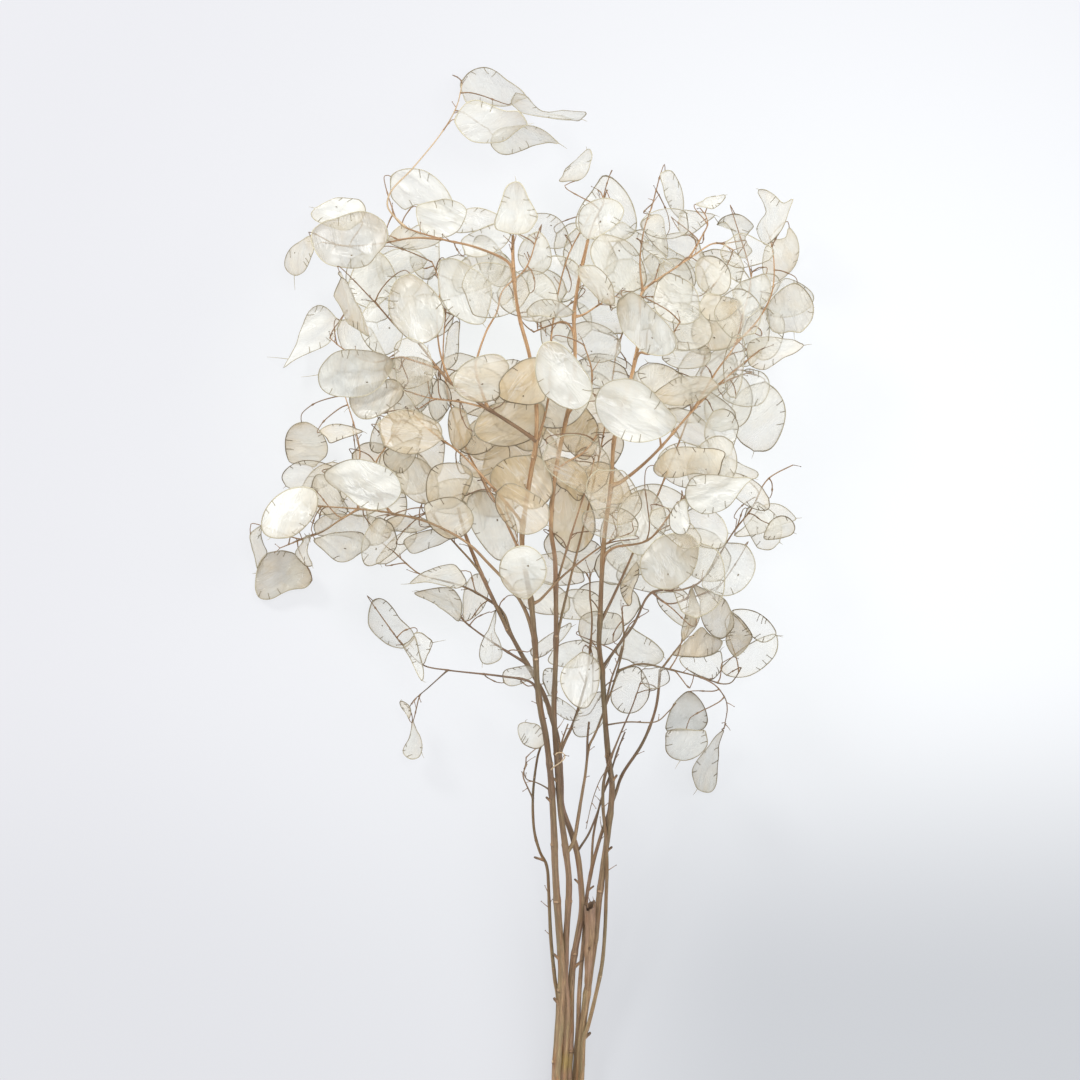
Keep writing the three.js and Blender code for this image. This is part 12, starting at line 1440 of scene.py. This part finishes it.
for name in [n for n in BRANCHES if n.startswith("stem_") and n != "stem_broken"]:
    b = Builder()
    xyz, r, s = add_stem(b, name, 14, 2.4, True)
    # the foot of the stem, which nothing further uses
    foot = xyz[0] + (xyz[0] - xyz[3]) * 0.0
    pix = project(xyz)
    for node, x, y, side, sr, ln in STUBS:
        if node == name:
            i = int(np.argmin(np.hypot(pix[:, 0] - x, pix[:, 1] - y)))
            t = unit(xyz[min(i + 1, len(xyz) - 1)] - xyz[max(i - 1, 0)])
            out = unit(np.array([side, 0, 0.35]) - t * (np.array([side, 0, 0.35]) @ t))
            stub(b, xyz[i] + out * r[i] * 0.6, out, t, sr, ln, np.random.default_rng(i), 0)
    for node, pts, ra, rb, deep, pale in TWIGS.values():
        if node == name:
            q = [unproject(*p) for p in pts]
            i = int(np.argmin(np.linalg.norm(pix - np.array(pts[0][:2]), axis=1)))
            q[0] = xyz[i]
            q = smooth(q, 2.0)
            rr = np.linspace(ra, rb, len(q)) * (1 + 0.5 * np.exp(-arc(q) / 2.0))
            b.tube(q, rr, 8, 2, np.stack([height_tone(q), np.full(len(q), deep), np.full(len(q), pale), np.full(len(q), .6)], -1), ribs=0.03)
            rng = np.random.default_rng(int(pts[0][0]))
            for f in (0.55, 0.75, 0.92):
                k = int(f * (len(q) - 1))
                t = unit(q[min(k + 1, len(q) - 1)] - q[k - 1])
                hair(b, q[k], t + rng.normal(size=3) * 0.6, rng.uniform(3, 7), rng)
    # a few hair-thin dry spurs up in the crown
    rng = np.random.default_rng(len(name) * 31)
    for _ in range(4):
        i = int(rng.uniform(0.45, 0.98) * (len(xyz) - 1))
        t = unit(xyz[min(i + 1, len(xyz) - 1)] - xyz[i - 1])
        o = rng.normal(size=3)
        o = unit(o - t * (o @ t))
        hair(b, xyz[i] + o * r[i] * .8, o + t * 0.9, rng.uniform(3, 8), rng)
    b.piece(name + "_bark", STEM_MATERIALS, [name])
    b.count()

# the broken axis: a thick dead stub with a hollow, splintered end
b = Builder()
parent, pts = BRANCHES["stem_broken"]
p = smooth(pts, 1.6)
xyz, r = p[:, :3], p[:, 3] * 1.0
s = arc(xyz)
r = r * (1 + 0.06 * np.sin(s / 4.1) + 0.04 * np.sin(s / 1.7 + 1)) * np.interp(s, [0, 10, 30, s[-1] - 8, s[-1]], [0.42, 0.66, 0.92, 1.0, 1.12])
t, a, c2 = frames(xyz)
sides = 20
th = np.linspace(0, 2 * math.pi, sides, endpoint=False)
rng = np.random.default_rng(9)
jag = rng.uniform(-1, 1, sides) * 1.5 + 2.4 * np.cos(th - 2.2)
jag = (jag + np.roll(jag, 1)) / 2
outer, inner = [], []
n = len(xyz)
for i in range(n):
    ribs = 1 + 0.06 * np.sin(4 * th + 0.05 * s[i]) + 0.03 * np.sin(9 * th)
    lift = t[-1][None] * (jag * np.exp(-((s[-1] - s[i]) / 3.0)))[:, None]
    outer.append(xyz[i] + (r[i] * ribs)[:, None] * (np.cos(th)[:, None] * a[i] + np.sin(th)[:, None] * c2[i]) + lift)
deep = [k for k in range(n) if s[k] > s[-1] - 11][::-1]
for i in deep:
    fr = (s[-1] - s[i]) / 11
    lift = t[-1][None] * (jag * np.exp(-((s[-1] - s[i]) / 3.0)))[:, None]
    rad = r[i] * (0.66 - 0.25 * fr) * (1 + 0.10 * np.sin(3 * th + i))
    inner.append(xyz[i] + rad[:, None] * (np.cos(th)[:, None] * a[i] + np.sin(th)[:, None] * c2[i]) + lift)
rings_ = outer + inner
V = np.concatenate(rings_)
m = len(rings_)
tone = []
for i in range(n):
    tone.append(np.tile([0.15, 0.25 + 0.45 * math.exp(-(s[-1] - s[i]) / 5), 0, 1], (sides, 1)))
# the inside of the hollow is painted dark all through: painted shade
for i in range(len(inner)):
    tone.append(np.tile([0.0, 1.0, 0, 1], (sides, 1)))
ss = np.concatenate([s, s[-1] + np.arange(len(inner)) * 1.2])
uv = np.stack(np.broadcast_arrays(th[None] / 6.283, ss[:, None] / 10), -1).reshape(-1, 2)
i = np.arange(m - 1)[:, None] * sides
j = np.arange(sides)[None]
quads = np.stack([i + j, i + (j + 1) % sides, i + sides + (j + 1) % sides, i + sides + j], -1).reshape(-1, 4)
V = np.concatenate([V, [rings_[0].mean(0)], [rings_[-1].mean(0)]])
uv = np.concatenate([uv, [[0.5, 0], [0.5, ss[-1] / 10]]])
tone = np.concatenate(tone + [np.array([[.1, .3, 0, 1]]), np.array([[0, 1, 0, 1]])])
k = np.arange(sides)
tris = np.concatenate([np.stack([np.full(sides, m * sides), (k + 1) % sides, k], -1), np.stack([np.full(sides, m * sides + 1), (m - 1) * sides + k, (m - 1) * sides + (k + 1) % sides], -1)])
b.add(V, uv, tone, quads, tris, 0)
# splinters round the torn mouth
for _ in range(9):
    q = rng.uniform(0, 6.28)
    base = xyz[-1] + r[-1] * 0.86 * (math.cos(q) * a[-1] + math.sin(q) * c2[-1]) + t[-1] * 0.4
    ln = rng.uniform(1.5, 4.5)
    pp = base + (t[-1] + 0.25 * rng.normal(size=3)) * ln * np.linspace(0, 1, 4)[:, None]
    b.tube(pp, np.array([.42, .34, .24, .08]), 5, 0, [0.2, rng.uniform(.2, .6), 0, 1])
stub(b, xyz[len(xyz) // 2] + a[len(xyz) // 2] * r[len(xyz) // 2] * 0.5, a[len(xyz) // 2], t[len(xyz) // 2], 1.1, 4.5, rng, 0)
b.piece("stem_broken_bark", STEM_MATERIALS, ["stem_broken"])
b.count()

# root collar: the stems flow together into a ridged woody foot, sawn off
lo, hi = [np.array(v) * 1000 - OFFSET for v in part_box("root_collar")]
b = Builder()
feet = [(n_, np.array(BRANCHES[n_][1][0])) for n_ in BRANCHES if n_.startswith("stem_") and n_ != "stem_broken"]
y1, y0 = hi[1], lo[1]
mid = np.array([(lo[0] + hi[0]) / 2, 0, (lo[2] + hi[2]) / 2])
rx, rz = (hi[0] - lo[0]) / 2, (hi[2] - lo[2]) / 2
nr, ns = 34, 72
th = np.linspace(0, 2 * math.pi, ns, endpoint=False)
rng = np.random.default_rng(77)
ridge = [(rng.integers(3, 12), rng.uniform(0, 6.28), rng.uniform(0.012, 0.035), rng.uniform(-.05, .05)) for _ in range(7)]
rings_, tone = [], []
for i in range(nr):
    f = i / (nr - 1)
    y = y1 + 3.0 - f * (y1 + 3.0 - y0)
    grow = np.interp(f, [0, 0.06, 0.2, 0.45, 0.75, 1], [0.70, 0.88, 1.0, 0.99, 0.9, 0.84])
    w = np.ones(ns) * grow
    for kk, ph, am, dr in ridge:
        w = w * (1 + am * np.sin(kk * th + ph + dr * f * 40))
    lobes = np.zeros(ns)
    for n_, ft in feet:
        a0 = math.atan2((ft[2] - mid[2]) / rz, (ft[0] - mid[0]) / rx)
        dd = np.angle(np.exp(1j * (th - a0)))
        lobes += 0.10 * np.exp(-(dd / 0.34) ** 2) * math.exp(-(f / 0.35) ** 2)
    w = w + lobes
    ring = np.stack([mid[0] + np.cos(th) * rx * w, np.full(ns, y) + 0.5 * np.sin(3 * th + 1) * (1 - f), mid[2] + np.sin(th) * rz * w], -1)
    ring[:, 2] = np.maximum(ring[:, 2], 0.05)
    rings_.append(ring)
    tone.append(np.tile([0.02, 0.18 + 0.25 * f + 0.1 * math.sin(f * 20), 0, 1], (ns, 1)))
V = np.concatenate(rings_)
uv = np.stack(np.broadcast_arrays(th[None] / 6.283 * 3, (np.arange(nr) * 1.4)[:, None] / 10), -1).reshape(-1, 2)
i = np.arange(nr - 1)[:, None] * ns
j = np.arange(ns)[None]
quads = np.stack([i + j, i + ns + j, i + ns + (j + 1) % ns, i + (j + 1) % ns], -1).reshape(-1, 4)
V = np.concatenate([V, [rings_[0].mean(0)]])
uv = np.concatenate([uv, [[0.5, 0]]])
tone = np.concatenate(tone + [np.array([[0.02, .3, 0, 1]])])
k = np.arange(ns)
tris = np.stack([np.full(ns, nr * ns), k, (k + 1) % ns], -1)
b.add(V, uv, tone, quads, tris, 0)
# the sawn face, with its growth rings
face, ft_, last = [], [], rings_[-1]
cen = last.mean(0)
fr = np.array([1.0, 0.97, 0.86, 0.72, 0.58, 0.44, 0.3, 0.18, 0.08])
for q in fr:
    ring = cen + (last - cen) * q
    ring[:, 1] = y0 - 0.12 * (1 - q) + 0.10 * np.sin(th * 9 + q * 9) * (q < 0.99)
    face.append(ring)
    ft_.append(np.tile([q, 0, 0, 1], (ns, 1)))
V = np.concatenate(face + [cen[None]])
uv = np.concatenate([(x[:, [0, 2]] - cen[[0, 2]]) / 12 for x in face] + [np.zeros((1, 2))])
i = np.arange(len(fr) - 1)[:, None] * ns
quads = np.stack([i + j, i + ns + j, i + ns + (j + 1) % ns, i + (j + 1) % ns], -1).reshape(-1, 4)
m = len(fr) * ns
tris = np.stack([np.full(ns, m), (m - ns) + (k + 1) % ns, (m - ns) + k], -1)[:, [0, 2, 1]]
b.add(V, uv, np.concatenate(ft_ + [np.array([[0.0, 0, 0, 1]])]), quads, tris, 1)
# remains of fine roots
for q in range(12):
    f = rng.uniform(0.35, 0.95)
    i = int(f * (nr - 1))
    kk = rng.integers(0, ns)
    at = rings_[i][kk]
    out = unit(at - np.array([mid[0], at[1], mid[2]]))
    if out[2] < -0.3:
        continue
    stub(b, at - out * 0.8, out, np.array([0, -1.0, 0]), rng.uniform(0.5, 1.1), rng.uniform(2, 5), rng, 0)
b.piece("root_collar_bark", STEM_MATERIALS, ["root_collar"])
b.count()

# ------------------------------------------------------------------ racemes
for name, (parent, pts) in BRANCHES.items():
    if name.startswith("stem_"):
        continue
    b = Builder()
    xyz, r, s = add_stem(b, name, 9, 1.8, False)
    rng = np.random.default_rng(sum(map(ord, name)))
    for pod in BY_NODE.get(name, []):
        add_pod(b, pod)
    # empty pedicels along the upper rachis and at its tip
    for q in range(rng.integers(2, 5)):
        i = int(rng.uniform(0.35, 0.97) * (len(xyz) - 1))
        t = unit(xyz[min(i + 1, len(xyz) - 1)] - xyz[i - 1])
        o = rng.normal(size=3)
        o = unit(o - t * (o @ t))
        hair(b, xyz[i] + o * r[i] * .7, o + t * 1.1, rng.uniform(2.5, 9), rng, rng.random() < .8, rng.uniform(.3, .8))
    t = unit(xyz[-1] - xyz[-3])
    for q in range(rng.integers(1, 4)):
        hair(b, xyz[-1], t + rng.normal(size=3) * 0.45, rng.uniform(4, 10), rng, True, rng.uniform(.4, .9), 0.22)
    b.piece(name + "_pods", POD_MATERIALS, [name])
    b.count()

# ----------------------------------------------------- floor, light, camera
def floor_material():
    """A pale sheet that glows in its own colour as painted backlight and darkens gently away from the middle: painted
    light pooled in the middle and under the crown, painted shade towards the near edge.
    """
    m, nt, out = nodes_of("glowing_pale_floor")
    g = Graph(nt)
    tc = g.node("ShaderNodeTexCoord")

    def painted_light_pool(x, y, radius):
        mp = g.node("ShaderNodeMapping")
        g.put(mp.inputs["Vector"], tc.outputs["Object"])
        mp.inputs["Location"].default_value = (-x / radius, -y / radius, 0)
        mp.inputs["Scale"].default_value = (1 / radius, 1 / radius, 1)
        t = g.node("ShaderNodeTexGradient", gradient_type="SPHERICAL")
        g.put(t.inputs["Vector"], mp.outputs["Vector"])
        return g.ramp(t.outputs["Fac"], [(0.0, (0, 0, 0)), (1.0, (1, 1, 1))], "EASE")

    def rise(value, start, end):
        n = g.node("ShaderNodeMapRange", interpolation_type="SMOOTHSTEP")
        g.put(n.inputs["Value"], value)
        n.inputs["From Min"].default_value = start
        n.inputs["From Max"].default_value = end
        return n.outputs[0]

    xyz = g.node("ShaderNodeSeparateXYZ")
    g.put(xyz.inputs[0], tc.outputs["Object"])
    fibre = g.node("ShaderNodeTexNoise")
    g.put(fibre.inputs["Vector"], tc.outputs["Object"])
    fibre.inputs["Scale"].default_value = 900.0
    fibre.inputs["Detail"].default_value = 2.0
    # painted light: a broad bright pool right of the middle, darker beyond it
    c = g.mix(painted_light_pool(0.21, 0.07, 0.62), lin(99, 99, 101), lin(108, 109, 110))
    # painted light: a brighter pool under the crown that lifts the plant's shadow
    c = g.mix(g.math("MULTIPLY", painted_light_pool(-0.030, 0.130, 0.225), 1.0), c, lin(108, 109, 109))
    # painted shade: darker towards the near edge, most of all on the right
    near = rise(xyz.outputs[1], -0.02, -0.27)
    right = rise(xyz.outputs[0], -0.06, 0.17)
    c = g.mix(g.math("MULTIPLY", near, g.math("ADD", g.math("MULTIPLY", right, 0.70), 0.30)), c, lin(86, 87, 89))
    c = g.mix(g.math("MULTIPLY", fibre.outputs["Fac"], 0.03), c, lin(120, 122, 126))
    p = g.node("ShaderNodeBsdfPrincipled")
    g.put(p.inputs["Base Color"], c)
    p.inputs["Roughness"].default_value = 0.9
    p.inputs["Specular IOR Level"].default_value = 0.1
    # the floor glows in its own colour as painted backlight; it is no lamp
    g.put(p.inputs["Emission Color"], c)
    p.inputs["Emission Strength"].default_value = 5.0
    g.put(out.inputs["Surface"], p.outputs[0])
    return m


me = bpy.data.meshes.new("floor")
me.from_pydata([(-9, -9, 0), (9, -9, 0), (9, 9, 0), (-9, 9, 0)], [], [(0, 1, 2, 3)])
me.materials.append(floor_material())
floor = bpy.data.objects.new("floor", me)
bpy.context.scene.collection.objects.link(floor)
floor.location.z = -0.0002

world = bpy.data.worlds.new("studio")
world.use_nodes = True
world.node_tree.nodes["Background"].inputs["Color"].default_value = (0.95, 0.975, 1.0, 1)
world.node_tree.nodes["Background"].inputs["Strength"].default_value = 0.88
bpy.context.scene.world = world


def area(name, at, target, size, power, colour):
    light = bpy.data.lights.new(name, "AREA")
    light.shape = "RECTANGLE"
    light.size, light.size_y = size
    light.energy = power
    light.color = colour
    ob = bpy.data.objects.new(name, light)
    ob.location = at
    ob.rotation_mode = "QUATERNION"
    ob.rotation_quaternion = (Vector(target) - Vector(at)).to_track_quat("-Z", "Y")
    bpy.context.scene.collection.objects.link(ob)
    return ob


area("key", (-1.3, 1.5, 1.9), (0, 0.05, 0.08), (0.6, 0.6), 42, (1.0, 0.994, 0.975))
area("fill", (1.4, 0.6, 1.5), (0, 0.05, 0.08), (1.2, 1.2), 17, (0.975, 0.988, 1.0))
area("low", (0.1, -1.9, 1.5), (0, 0.0, 0.08), (1.6, 1.0), 6, (1.0, 0.99, 0.97))
area("top", (0.5, 0.5, 3.4), (0.2, 0.2, 0.0), (0.7, 0.7), 23, (0.985, 0.992, 1.0))

cam = bpy.data.cameras.new("camera")
cam.sensor_width = 36.0
cam.sensor_fit = "HORIZONTAL"
cam.lens = 18.0 / (351.0 / 2600.0)
cam.clip_start, cam.clip_end = 0.05, 60
eye = bpy.data.objects.new("camera", cam)
eye.location = ((OFFSET[0]) * MM, (OFFSET[1]) * MM, 2.7)
eye.rotation_euler = (0, 0, 0)
bpy.context.scene.collection.objects.link(eye)
bpy.context.scene.camera = eye

scene = bpy.context.scene
scene.view_settings.view_transform = "Standard"
scene.view_settings.look = "None"
scene.view_settings.exposure = 0.0
scene.view_settings.gamma = 1.0
scene.cycles.max_bounces = 6
scene.cycles.light_sampling_threshold = 0.04
scene.cycles.diffuse_bounces = 2
scene.cycles.glossy_bounces = 2
scene.cycles.transmission_bounces = 3
scene.cycles.transparent_max_bounces = 22
